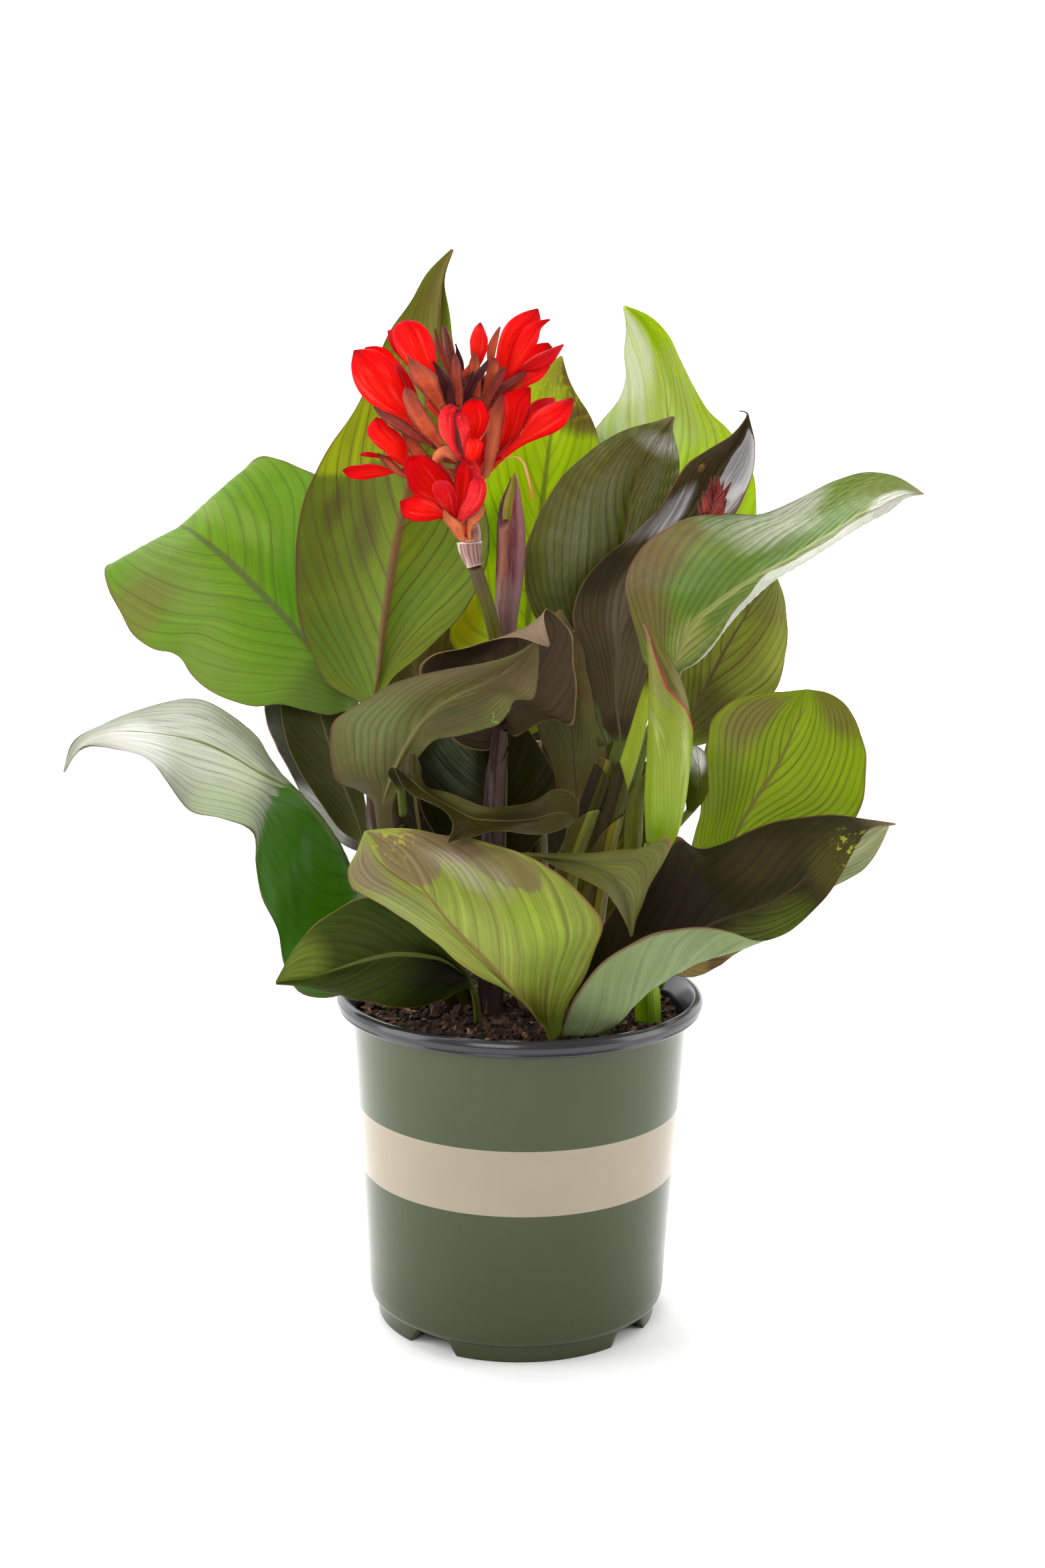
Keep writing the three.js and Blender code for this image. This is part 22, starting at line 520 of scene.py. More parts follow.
        # crisp patches laid over the veins; the white ones among them are painted highlights
        elif kind == 3:
            painted_sheen_and_late_patches.append((k, colour))
        else:
            front = m.mix(k, front, rgb(colour))
        masks.append((k, colour))
    front = m.mix(m.math("MULTIPLY", band, q["stripe"]), front, m.mix(1.0, front, (1.4, 1.4, 1.4, 1.0), "MULTIPLY"))
    front = m.mix(m.math("MULTIPLY", m.step(flush, 0.46, 0.72), q["hue"]), front, rgb(q["hc"]))
    front = m.mix(m.math("MULTIPLY", m.step(strand, 0.60, 0.38), q["fine"] * 0.8), front, m.mix(1.0, front, (0.55, 0.55, 0.48, 1.0), "MULTIPLY"))
    front = m.mix(m.math("MULTIPLY", m.step(strand, 0.52, 0.72), q["fine"] * 0.7), front, m.mix(1.0, front, (1.45, 1.45, 1.4, 1.0), "MULTIPLY"))
    front = m.mix(m.math("MULTIPLY", m.step(streak, 0.62, 0.36), q["fine"]), front, m.mix(1.0, front, (0.6, 0.6, 0.52, 1.0), "MULTIPLY"))
    front = m.mix(m.math("MULTIPLY", fine, q["fine"]), front, m.mix(1.0, front, (0.56, 0.54, 0.46, 1.0), "MULTIPLY"))
    front = m.mix(m.math("MULTIPLY", halo, q["halo"]), front, m.mix(0.6, front, rgb(q["vein"])))
    front = m.mix(m.math("MULTIPLY", vein, q["vs"]), front, rgb(q["vein"]))
    # painted sheen and the crisp late patches go on over the veins
    for k, tone in painted_sheen_and_late_patches:
        k = m.math("MULTIPLY", k, m.math("SUBTRACT", 1.0, m.math("MULTIPLY", m.math("ADD", vein, m.math("MULTIPLY", fine, q["fine"] * 0.5)), 0.4)))
        front = m.mix(k, front, rgb(tone))
    back = m.mix(m.step(big, 0.35, 0.65), rgb(q["b1"]), rgb(q["b2"]))
    back = m.mix(m.math("MULTIPLY", m.step(streak, 0.62, 0.36), 0.3), back, m.mix(1.0, back, (0.7, 0.7, 0.64, 1.0), "MULTIPLY"))
    back = m.mix(m.math("MULTIPLY", m.step(flush, 0.46, 0.72), q["hue"] * 0.5), back, rgb(q["hc"]))
    back = m.mix(m.math("MULTIPLY", m.step(strand, 0.60, 0.38), 0.3), back, m.mix(1.0, back, (0.6, 0.6, 0.54, 1.0), "MULTIPLY"))
    back = m.mix(m.math("MULTIPLY", fine, 0.35), back, m.mix(1.0, back, (0.65, 0.65, 0.58, 1.0), "MULTIPLY"))
    back = m.mix(m.math("MULTIPLY", vein, q["bvs"]), back, rgb(q["vein"]))
    taper = m.step(U, 0.0, 1.0, smooth=False, lo=1.25, hi=0.22)
    edge = m.math("MULTIPLY", m.math("DIVIDE", A, taper), 1.0 / q["ribw"])
    rib = m.step(edge, 1.3, 0.7)
    ribline = m.step(edge, 0.45, 0.1)
    front = m.mix(rib, front, rgb(q["rib"]))
    front = m.mix(m.math("MULTIPLY", ribline, 0.35), front, m.mix(1.0, front, (0.55, 0.5, 0.45, 1.0), "MULTIPLY"))
    back = m.mix(rib, back, rgb(q["brib"]))
    seen = side if q["front"] < 0 else m.math("SUBTRACT", 1.0, side)
    colour = m.mix(seen, back, front)
    near = m.math("ADD", A, m.math("MULTIPLY", m.math("SUBTRACT", big, 0.5), q["mw"] * 2.4))
    margin = m.math("MULTIPLY", m.step(near, 1.0 - q["mw"] * 1.5, 1.0 - q["mw"] * 0.3), 0.85)
    colour = m.mix(margin, colour, rgb(q["mar"]))
    if q["tip"]:
        tip = m.step(m.math("ADD", U, m.math("MULTIPLY", m.math("SUBTRACT", big, 0.5), 0.12)), q["tipu"], min(1.0, q["tipu"] + 0.14))
        colour = m.mix(m.math("MULTIPLY", tip, 0.8), colour, rgb(q["tip"]))
    if q["specks"]:
        pu, pv, su, sv, tint = q["specks"]
        du = m.math("MULTIPLY", m.math("SUBTRACT", U, pu), 1.0 / su)
        dv = m.math("MULTIPLY", m.math("SUBTRACT", V, pv), 1.0 / sv)
        d = m.new("ShaderNodeVectorMath", operation="LENGTH")
        m.put(d.inputs[0], m.combine(du, dv))
        area = m.step(d.outputs["Value"], 1.1, 0.6)
        dots = m.step(m.noise(pos, 260.0, 3.0, 0.6), 0.56, 0.62)
        colour = m.mix(m.math("MULTIPLY", area, dots), colour, rgb(tint))
    # the petiole is green and finely ribbed
    foot = m.step(U, 0.03, -0.03)
    colour = m.mix(foot, colour, rgb(q["foot"]))
    colour = m.mix(m.math("MULTIPLY", m.step(grain, 0.45, 0.75), 0.15), colour, m.mix(1.0, colour, (0.7, 0.7, 0.7, 1.0), "MULTIPLY"))
    glow = m.mix(0.55, colour, rgb(q["glow"]))
    for k, tone in masks:
        glow = m.mix(m.math("MULTIPLY", k, q["glowpatch"]), glow, rgb(tone))
    dark = m.math("ADD", m.math("MULTIPLY", vein, q["dark"] + 0.25), m.math("MULTIPLY", rib, 0.55), clamp=True)
    dark = m.math("ADD", dark, m.math("MULTIPLY", halo, q["dark"] * 0.5), clamp=True)
    glow = m.mix(dark, glow, m.mix(1.0, glow, (0.35, 0.28, 0.25, 1.0), "MULTIPLY"))
    height = m.math("ADD", m.math("MULTIPLY", vein, -1.0), m.math("ADD", m.math("MULTIPLY", fine, -0.3), m.math("ADD", m.math("MULTIPLY", streak, 0.8), m.math("MULTIPLY", grain, 0.35))))
    normal = m.bump(height, 0.5, 0.0004)
    rough = m.step(m.math("ADD", big, m.math("MULTIPLY", fine, 0.15)), 0.3, 0.8, smooth=False, lo=q["rough"] - 0.05, hi=q["rough"] + 0.08)
    return m.finish(colour, rough, normal, glow, q["amount"], q["spec"], coat=q["coat"], coat_rough=0.25)


# ---------------------------------------------------------------- leaves
def v_places(count):
    out = np.linspace(0.1, 0.93, count)
    half = np.concatenate([[0.012, 0.028, 0.05, 0.075], out, [0.965, 0.988, 1.0]])
    return np.concatenate([-half[::-1], [0.0], half])


LEAF_OBJECTS = {}


def leaf(name, net, petiole, q, fine=True):
    net = np.asarray(net, float)
    rows = len(net) - 1
    dense = name.endswith(("arching_right", "centre_right"))
    v = v_places((20 if dense or name.endswith("tall_right") else 12) if fine else 8)
    n_blade = (112 if dense else 78) if fine else 42
    a = np.concatenate([np.linspace(0, petiole, 8 if fine else 6, endpoint=False), np.linspace(petiole, rows, n_blade)]) if petiole else np.linspace(0, rows, n_blade)
    u = (a - petiole) / (rows - petiole)
    mid = surface(net, a, (v + 1) * 3)
    # soften the net's small kinks along the blade
    for _ in range(3):
        mid[1:-1, 1:-1] = mid[1:-1, 1:-1] * 0.5 + (mid[2:, 1:-1] + mid[:-2, 1:-1]) * 0.25
    U, V = np.meshgrid(u, v, indexing="ij")
    A = np.abs(V)
    n = normals(mid)
    width = np.linalg.norm(np.diff(mid, axis=1), axis=2).sum(1)
    room = np.clip(width / 60.0, 0, 1)[:, None]
    blade = np.clip(U * 12, 0, 1) * np.clip((1 - U) * 10, 0, 1)
    k2 = q["k"] if q["k2"] is None else q["k2"]
    w = U - np.where(V > 0, k2, q["k"]) * A ** q["pow"]
    off = q["pleat"] * np.cos(2 * np.pi * (q["n"] * w + 0.37 * (V > 0)) + np.pi) * blade * np.clip(A * 6, 0, 1) * np.clip((1.02 - A) * 6, 0, 1)
    seed = sum(ord(c) * (k + 3) for k, c in enumerate(name))
    soft = waves(seed, 6, 2.5, 9.0)
    off = off + q["bulk"] * soft(U * 2.2, V) * blade
    ruf = waves(seed + 7, 5, 14.0, 46.0)
    off = off + q["ruffle"] * np.clip((A - 0.55) / 0.45, 0, 1) ** 2 * ruf(U, np.sign(V) * 1.7) * blade
    mid = mid + n * (off * room)[..., None]
    # a little unevenness of the outline
    out = unit(mid[:, -1] - mid[:, 0])
    edge = waves(seed + 13, 6, 20.0, 70.0)
    mid = mid + out[:, None, :] * (np.sign(V) * np.clip((A - 0.8) / 0.2, 0, 1) * edge(U, np.sign(V) * 3.1) * 0.35 * blade * room)[..., None]
    thick = 0.30 + 0.25 * (1 - A ** 2)
    taper = np.clip(1.15 - U, 0.12, 1)
    rib = np.exp(-((A / (0.045 + 0.02 * taper)) ** 2)) * taper
    ridge = 1.5 * rib
    groove = 0.45 * rib
    stalk = np.clip(1 - U * 14, 0, 1) if petiole else np.clip(1 - U * 18, 0, 1)
    stalk = stalk ** 1.5
    round_ = np.sqrt(np.clip(1 - A ** 2, 0, 1))
    face = q["front"]
    up = ridge if q["raised"] else -groove
    dn = -groove if q["raised"] else ridge
    t_front = (thick / 2 + up) * (1 - stalk) + (0.3 + 2.0 * round_) * stalk
    t_back = (thick / 2 + dn) * (1 - stalk) + (0.3 + 2.0 * round_) * stalk
    top, bottom = (t_front, -t_back) if face > 0 else (t_back, -t_front)
    parts = sheet(mid, top, bottom, u, v)
    ob = make(name.replace("leaf_", "blade_"), *parts, blade_material("leaf " + name.replace("leaf_", "").replace("_", " "), q))
    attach(ob, "root")
    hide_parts(name)
    LEAF_OBJECTS[name] = ob
    return ob


for leaf_name, (leaf_net, leaf_petiole) in LEAVES.items():
    settings = dict(BLADE_DEFAULT)
    settings.update(LOOKS.get(leaf_name, {}))
    leaf(leaf_name, leaf_net, leaf_petiole, settings, not leaf_name.startswith("leaf_back_") or leaf_name == "leaf_back_low_left")


# ---------------------------------------------------------------- stems
def stem_material(name, c1, c2, bloom=None, stripe=(60, 40, 40), amount=0.4, rough=0.42, ribs=26.0, edge=None, edge_from=0.955, strips_and_painted_side_light=(), bands=(), bloom_amount=0.65, specular=0.2):
    m = Nodes(name)
    vec, S, T = m.uv()
    pos = m.place()
    big = m.noise(m.scaled(pos, (60.0, 60.0, 12.0)), 1.0, 4.0, 0.6)
    grain = m.noise(m.scaled(pos, (500.0, 500.0, 60.0)), 1.0, 3.0, 0.6)
    line = m.math("MULTIPLY", m.math("PINGPONG", m.math("ADD", m.math("MULTIPLY", T, ribs), m.math("MULTIPLY", big, 0.8)), 0.5), 2.0)
    colour = m.mix(m.step(big, 0.35, 0.65), rgb(c1), rgb(c2))
    colour = m.mix(m.math("MULTIPLY", m.step(line, 0.4, 0.0), amount), colour, rgb(stripe))
    if bloom:
        colour = m.mix(m.math("MULTIPLY", m.step(m.noise(m.scaled(pos, (160.0, 160.0, 24.0)), 1.0, 5.0, 0.65), 0.48, 0.68), bloom_amount), colour, rgb(bloom))
    for t0, t1, tone, power in strips_and_painted_side_light:      # a strip along the stem, from one angle to another (in turns); used both for stripes of the stem's own colour and for painted highlights and shade down one side
        k = m.math("MULTIPLY", m.step(m.math("ADD", T, m.math("MULTIPLY", big, 0.06)), t0 - 0.03, t0 + 0.05), m.step(m.math("ADD", T, m.math("MULTIPLY", big, 0.06)), t1 + 0.09, t1 + 0.01))
        colour = m.mix(m.math("MULTIPLY", k, power), colour, rgb(tone))
    for s0, s1, tone, power in bands:       # a length of the stem
        k = m.math("MULTIPLY", m.step(m.math("ADD", S, m.math("MULTIPLY", big, 0.08)), s0 - 0.02, s0 + 0.10), m.step(m.math("ADD", S, m.math("MULTIPLY", big, 0.08)), s1 + 0.10, s1 - 0.02))
        colour = m.mix(m.math("MULTIPLY", k, power), colour, rgb(tone))
    if edge:
        colour = m.mix(m.step(S, edge_from, edge_from + 0.03), colour, rgb(edge))
    colour = m.mix(m.math("MULTIPLY", m.step(grain, 0.4, 0.7), 0.3), colour, m.mix(1.0, colour, (0.65, 0.65, 0.65, 1.0), "MULTIPLY"))
    height = m.math("ADD", m.math("MULTIPLY", m.step(line, 0.0, 0.6), 0.7), m.math("MULTIPLY", grain, 0.5))
    normal = m.bump(height, 0.5, 0.0004)
    r = m.step(big, 0.3, 0.7, lo=rough - 0.05, hi=rough + 0.1)
    return m.finish(colour, r, normal, specular=specular)


def wrap_step(angle, twist):
    """The overlap of a rolled sheath: the radius grows round the stem and steps back at one line."""
    return lambda S, A: 1.0 + 0.10 * (((A - angle - twist * S) / (2 * np.pi)) % 1.0 - 0.5) + 0.012 * np.cos(11 * A + 3 * S)


def stem(name, parts, mat):
    ob = make("stalk_" + name.replace("pseudostem_", "sheaths_"), *merge(parts), mat)
    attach(ob, "root")
    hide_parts(name)
    return ob


def rooted(pts):
    p = np.asarray(pts, float)
    return np.concatenate([[[p[0, 0] * 0.97, p[0, 1], 158.0, p[0, 3]]], p])


def sheathed(name, colours, sheaths, sides=40, steps=64):
    """A stem of rolled leaf sheaths: a core and outer sheaths, each ending in a slanting mouth."""
    pts = rooted(STEMS[name])
    core = pts.copy()
    core[:, 3] -= 0.8
    stem(name, [tube(core, sides, steps, wrap_step(1.0, 1.5))], colours[0])
    for k, (end, slope, turn, grow) in enumerate(sheaths):
        ob = make("sheath_%s_%d" % (name.replace("pseudostem_", ""), k + 1),
                  *tube(np.concatenate([pts[:, :3], (pts[:, 3] + grow)[:, None]], 1), sides, steps,
                        wrap_step(turn, 0.8), top=lambda A, e=end, sl=slope, tu=turn: e + sl * np.cos(A - tu)),
                  colours[min(k + 1, len(colours) - 1)])
        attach(ob, "root")
        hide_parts(name)


# On each stem the light strip near turns 0.0-0.2 is a painted highlight down the lit side; on the green and yellow
# stems the dark strip near turns 0.8-0.95 is painted shade on the far side.
olive = stem_material("sheath olive", (48, 38, 0), (30, 20, 0), stripe=(30, 18, 8), edge=(110, 76, 52), strips_and_painted_side_light=[(0.02, 0.16, (96, 96, 30), 0.5)])
olive_pink = stem_material("sheath olive pink", (58, 36, 16), (40, 28, 2), stripe=(40, 20, 18), edge=(120, 78, 66))
purple = stem_material("stem purple", (28, 12, 4), (46, 26, 16), bloom=(104, 92, 90), stripe=(16, 8, 6), rough=0.5, strips_and_painted_side_light=[(0.03, 0.14, (92, 72, 66), 0.6)], bloom_amount=0.45)
green = stem_material("stem green", (104, 104, 12), (86, 80, 4), stripe=(58, 52, 6), rough=0.45, bands=[(0.66, 1.2, (84, 78, 34), 0.6), (0.84, 1.2, (88, 66, 52), 0.75)], strips_and_painted_side_light=[(0.06, 0.2, (134, 136, 70), 0.6), (0.78, 0.92, (60, 62, 8), 0.6)])
yellow = stem_material("sheath yellow green", (112, 112, 8), (80, 74, 2), stripe=(56, 50, 8), edge=(120, 66, 52), strips_and_painted_side_light=[(0.03, 0.15, (176, 182, 80), 0.6), (0.82, 0.95, (60, 56, 8), 0.6)])
brown_top = stem_material("sheath brown and green", (90, 76, 4), (58, 42, 2), stripe=(36, 20, 4), edge=(126, 64, 46), strips_and_painted_side_light=[(0.0, 0.10, (146, 138, 26), 0.6)], bands=[(0.36, 0.60, (150, 168, 36), 0.9)])
brown = stem_material("sheath brown green", (92, 80, 4), (62, 48, 2), stripe=(36, 20, 8), edge=(126, 64, 46), strips_and_painted_side_light=[(0.0, 0.10, (150, 144, 46), 0.6)])
fresh = stem_material("sheath fresh green", (104, 140, 0), (126, 158, 4), stripe=(60, 80, 2), edge=(128, 80, 54), rough=0.38, strips_and_painted_side_light=[(0.02, 0.14, (150, 176, 60), 0.6)])

sheathed("pseudostem_left", [olive, olive_pink, olive], [(0.80, 0.05, 3.6, 0.2), (0.60, 0.05, 1.2, 0.9)])
sheathed("pseudostem_centre", [purple, purple], [(0.72, 0.04, 2.2, 0.3)])
sheathed("pseudostem_back", [yellow, olive], [(0.70, 0.05, 2.0, 0.3)])
sheathed("pseudostem_right_back", [brown, olive, yellow], [(0.82, 0.04, 5.2, 0.2), (0.62, 0.05, 1.0, 0.8)])
sheathed("pseudostem_right_inner", [brown_top, olive, brown], [(0.38, 0.03, 4.8, 0.3), (0.27, 0.04, 1.4, 0.9)])
sheathed("pseudostem_right", [fresh, fresh, fresh], [(0.9, 0.03, 4.6, 0.1), (0.62, 0.04, 1.4, 0.8)])
stem("flower_stalk", [tube(rooted(STEMS["flower_stalk"]), 40, 90, lambda S, A: 1 + 0.02 * np.cos(7 * A))], green)
collar = stem_material("collar", (168, 130, 122), (124, 88, 86), bloom=(214, 198, 194), stripe=(66, 34, 38), amount=0.9, rough=0.55, ribs=16.0, edge=(206, 184, 184), edge_from=0.9, bands=[(-0.2, 0.06, (196, 160, 160), 0.8)])
stem("flower_collar", [tube(STEMS["flower_collar"], 56, 40, lambda S, A: 1 + 0.06 * np.cos(5 * A + 0.8) * S + 0.03 * np.sin(11 * A))], collar)
bud_inside = stem_material("bud inside", (132, 124, 28), (100, 88, 14), stripe=(62, 52, 8), rough=0.45, ribs=12.0)
# Bud sheath: the light pink strip at turns 0.10-0.22 is a painted highlight; the tan strip is its own colour and the
# strip beside it is darker.
bud_outside = stem_material("bud outside", (112, 46, 52), (84, 30, 38), bloom=(170, 132, 128), stripe=(52, 12, 22), amount=0.6, rough=0.5, ribs=22.0, edge=(180, 144, 142), bloom_amount=0.28,
                            strips_and_painted_side_light=[(0.10, 0.22, (158, 112, 114), 0.55), (0.70, 0.82, (54, 18, 26), 0.8), (0.885, 0.935, (154, 100, 76), 0.8)], bands=[(-0.1, 0.38, (132, 110, 106), 0.6)])


def bud():
    pts = np.asarray(STEMS["young_bud"], float)
    inner = pts.copy()
    inner[:, 3] *= 0.80
    a = tube(inner, 48, 90, wrap_step(0.6, 2.2))
    b = tube(pts, 64, 110, wrap_step(5.4, 1.0), top=lambda A: 0.61 + 0.375 * np.clip((np.abs((A + 0.5 + np.pi) % (2 * np.pi) - np.pi) - 0.40) / 0.62, 0, 1) ** 1.3)
    stem("young_bud", [a], bud_inside)
    ob = make("bud_sheath", *merge([b]), bud_outside)
    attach(ob, "root")
    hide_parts("young_bud")


bud()


def furled():
    """A leaf rolled on itself: one sheet wound a turn and a half, its outer edge running up the front."""
    p = np.asarray(STEMS["furled_leaf"], float)
    steps, across = 96, 60
    c = surface(np.repeat(p[:, None, :], 2, 1), np.linspace(0, len(p) - 1, steps), np.array([0.0]))[:, 0]
    cen, rad = c[:, :3], np.maximum(c[:, 3], 0.5)
    tan = unit(np.gradient(cen, axis=0))
    x = np.zeros_like(cen)
    r = np.array([0.0, -1.0, 0.0])
    for k in range(steps):
        r = unit(r - tan[k] * (r @ tan[k]))
        x[k] = r
    y = np.cross(tan, x)
    s = np.linspace(0, 1, steps)
    S, T = np.meshgrid(s, np.linspace(0, 1, across), indexing="ij")
    turns = 1.45
    end = np.interp(s, [0, 0.25, 0.34, 0.44, 0.535, 0.65, 0.75, 0.875, 1.0], np.radians([100, 95, 82, 45, 5, -5, -12, -10, 0]))[:, None]
    ang = end - (1 - T) * turns * 2 * np.pi
    rr = rad[:, None] * (0.86 + 0.14 * T) * (1 + 0.02 * np.cos(9 * ang))
    open_ = np.clip((S - 0.55) / 0.3, 0, 1) * np.clip((T - 0.86) / 0.14, 0, 1)
    rr = rr + open_ * 1.4 * np.clip(rad[:, None] / 8, 0, 1)
    mid = cen[:, None] + x[:, None] * (rr * np.cos(ang))[..., None] + y[:, None] * (rr * np.sin(ang))[..., None]
    t = np.full(mid.shape[:2], 0.22)
    q = dict(BLADE_DEFAULT)
    q.update(LOOKS["furled_leaf"])
    m = Nodes("leaf furled")
    vec, U, W = m.uv()
    side = m.math("GREATER_THAN", W, 1.5)
    V = m.math("SUBTRACT", W, m.math("MULTIPLY", side, 2.0))
    pos = m.place()
    big = m.noise(m.scaled(pos, (50.0, 50.0, 14.0)), 1.0, 4.0, 0.6)
    line = m.math("MULTIPLY", m.math("PINGPONG", m.math("ADD", m.math("MULTIPLY", V, 52.0), m.math("MULTIPLY", U, 9.0)), 0.5), 2.0)
    streak = m.noise(m.combine(m.math("MULTIPLY", V, 46.0), m.math("MULTIPLY", U, 2.2)), 1.0, 4.0, 0.65)
    broad = m.noise(m.combine(m.math("MULTIPLY", V, 9.0), m.math("MULTIPLY", U, 1.6)), 1.0, 3.0, 0.6)
    colour = m.mix(m.step(big, 0.38, 0.62), rgb(q["c1"]), rgb(q["c2"]))
    colour = m.mix(m.step(U, 0.32, 0.05), colour, rgb((140, 170, 14)))
    # long light streaks are a painted highlight on the roll; the next line lays darker green streaks beside them
    colour = m.mix(m.math("MULTIPLY", m.step(broad, 0.52, 0.66), 0.6), colour, rgb((206, 222, 130)))
    colour = m.mix(m.math("MULTIPLY", m.step(broad, 0.46, 0.30), 0.5), colour, rgb((122, 144, 14)))
    colour = m.mix(m.math("MULTIPLY", m.step(line, 0.45, 0.0), 0.35), colour, rgb(q["vein"]))
    colour = m.mix(m.math("MULTIPLY", m.step(streak, 0.50, 0.34), 0.4), colour, rgb((110, 128, 10)))
    height_ = m.math("ADD", U, m.math("MULTIPLY", m.math("SUBTRACT", broad, 0.5), 0.7))
    colour = m.mix(m.math("MULTIPLY", m.step(height_, 0.34, 0.58), 0.7), colour, rgb((122, 112, 50)))
    colour = m.mix(m.math("MULTIPLY", m.step(height_, 0.74, 0.96), 0.7), colour, rgb((120, 84, 74)))
    # the inner turn is olive where the roll opens, with an orange red border
    inner = m.math("MULTIPLY", m.step(V, 0.62, 0.5), m.step(U, 0.26, 0.34))
    flap = m.mix(m.step(streak, 0.4, 0.6), rgb((84, 74, 10)), rgb((128, 118, 24)))
    flap = m.mix(m.step(big, 0.52, 0.68), flap, rgb((196, 130, 40)))
    colour = m.mix(m.math("MULTIPLY", inner, 0.9), colour, flap)
    edge = m.math("MULTIPLY", m.step(V, 0.975, 0.992), m.step(U, 0.22, 0.36))
    colour = m.mix(edge, colour, rgb(q["mar"]))
    normal = m.bump(m.step(line, 0.0, 0.6), 0.4, 0.0003)
    mat = m.finish(colour, m.step(big, 0.3, 0.7, lo=0.34, hi=0.44), normal, m.mix(0.5, colour, rgb(q["glow"])), 0.3)
    ob = make("furled_blade", *sheet(mid, t, -t, s, np.linspace(-1, 1, across)), mat)
    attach(ob, "root")
    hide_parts("furled_leaf")


furled()
shoot = stem_material("shoot", (90, 98, 8), (72, 72, 4), stripe=(66, 38, 20), edge=(170, 96, 84), rough=0.4)
stem("small_furled_shoot", [tube(STEMS["small_furled_shoot"], 40, 60, wrap_step(0.4, 3.0))], shoot)


# ---------------------------------------------------------------- flowers
def petal_material(name, c1, c2, heart, rim, line_tone, foot, under, glow, amount, rough=0.46, rimw=0.8, dots=0.0):
    m = Nodes(name)
    vec, U, W = m.uv()
    side = m.math("GREATER_THAN", W, 1.5)
    V = m.math("SUBTRACT", m.math("MULTIPLY", m.math("SUBTRACT", W, m.math("MULTIPLY", side, 2.0)), 2.0), 1.0)
    A = m.math("ABSOLUTE", V)
    pos = m.place()
    big = m.noise(pos, 60.0, 4.0, 0.6)
    soft = m.noise(pos, 26.0, 2.0, 0.5)
    # veins fan out from the foot and fade towards the rim
    fan = m.math("DIVIDE", V, m.math("ADD", 0.45, m.math("MULTIPLY", U, 0.55)))
    grain = m.noise(m.combine(m.math("MULTIPLY", U, 5.0), m.math("MULTIPLY", fan, 26.0)), 1.0, 4.0, 0.65)
    line = m.math("MULTIPLY", m.math("PINGPONG", m.math("ADD", m.math("MULTIPLY", fan, 7.0), m.math("MULTIPLY", grain, 0.5)), 0.5), 2.0)
    fade = m.step(U, 1.0, 0.45)
    fold_light_and_shade = m.noise(m.combine(m.math("MULTIPLY", U, 1.3), m.math("MULTIPLY", fan, 3.0), m.math("MULTIPLY", soft, 2.0)), 1.0, 3.0, 0.55)
    colour = m.mix(m.step(soft, 0.35, 0.65), rgb(c1), rgb(c2))
    du = m.math("MULTIPLY", m.math("SUBTRACT", U, 0.42), 2.4)
    d = m.new("ShaderNodeVectorMath", operation="LENGTH")
    m.put(d.inputs[0], m.combine(du, m.math("MULTIPLY", V, 1.25)))
    middle = m.step(m.math("ADD", d.outputs["Value"], m.math("MULTIPLY", m.math("SUBTRACT", big, 0.5), 0.9)), 1.1, 0.2)
    colour = m.mix(m.math("MULTIPLY", middle, 0.75), colour, rgb(heart))
    colour = m.mix(m.math("MULTIPLY", m.math("MULTIPLY", m.step(line, 0.4, 0.0), fade), 0.3), colour, rgb(line_tone))
    colour = m.mix(m.math("MULTIPLY", m.step(grain, 0.5, 0.75), 0.25), colour, rgb(line_tone))
    # folds along the petal: the darker crimson streaks are painted shade and the lighter red streaks painted light
    colour = m.mix(m.math("MULTIPLY", m.step(fold_light_and_shade, 0.47, 0.30), 0.4), colour, rgb(line_tone))
    colour = m.mix(m.math("MULTIPLY", m.step(fold_light_and_shade, 0.54, 0.72), 0.45), colour, m.mix(0.45, rgb(heart), (1.0, 0.28, 0.20, 1.0)))
    colour = m.mix(m.math("MULTIPLY", m.step(U, 0.22, 0.0), 0.65), colour, rgb(foot))
    near = m.math("MAXIMUM", A, m.math("MULTIPLY", U, 0.985))
    near = m.math("ADD", near, m.math("MULTIPLY", m.math("SUBTRACT", big, 0.5), 0.16))
    colour = m.mix(m.math("MULTIPLY", m.step(near, rimw, 1.0), 0.8), colour, rgb(rim))
    if dots:
        spot = m.step(m.noise(m.scaled(pos, (1.0, 1.0, 1.0)), 900.0, 2.0, 0.5), 0.58, 0.7)
        colour = m.mix(m.math("MULTIPLY", spot, dots), colour, rgb((255, 150, 140)))
    colour = m.mix(m.math("MULTIPLY", side, 0.0 if under is None else 0.55), colour, rgb(under or c1))
    height = m.math("ADD", m.math("MULTIPLY", m.step(line, 0.0, 0.6), 0.5), m.math("ADD", m.math("MULTIPLY", grain, 0.8), m.math("MULTIPLY", big, 0.6)))
    normal = m.bump(height, 0.5, 0.0004)
    return m.finish(colour, m.step(big, 0.3, 0.7, lo=rough - 0.06, hi=rough + 0.06), normal, m.mix(0.6, colour, rgb(glow)), amount, 0.12)


def tube_material():
    m = Nodes("flower base")
    vec, S, T = m.uv()
    pos = m.place()
    big = m.noise(pos, 80.0, 3.0, 0.6)
    line = m.math("MULTIPLY", m.math("PINGPONG", m.math("MULTIPLY", T, 10.0), 0.5), 2.0)
    colour = m.mix(m.step(S, 0.0, 0.8), rgb((150, 84, 50)), rgb((216, 58, 34)))
    colour = m.mix(m.math("MULTIPLY", m.step(big, 0.4, 0.7), 0.4), colour, rgb((176, 52, 34)))
    colour = m.mix(m.math("MULTIPLY", m.step(line, 0.4, 0.0), 0.35), colour, rgb((130, 36, 26)))
    return m.finish(colour, m.step(big, 0.3, 0.7, lo=0.42, hi=0.55), m.bump(line, 0.3, 0.0003), specular=0.25)


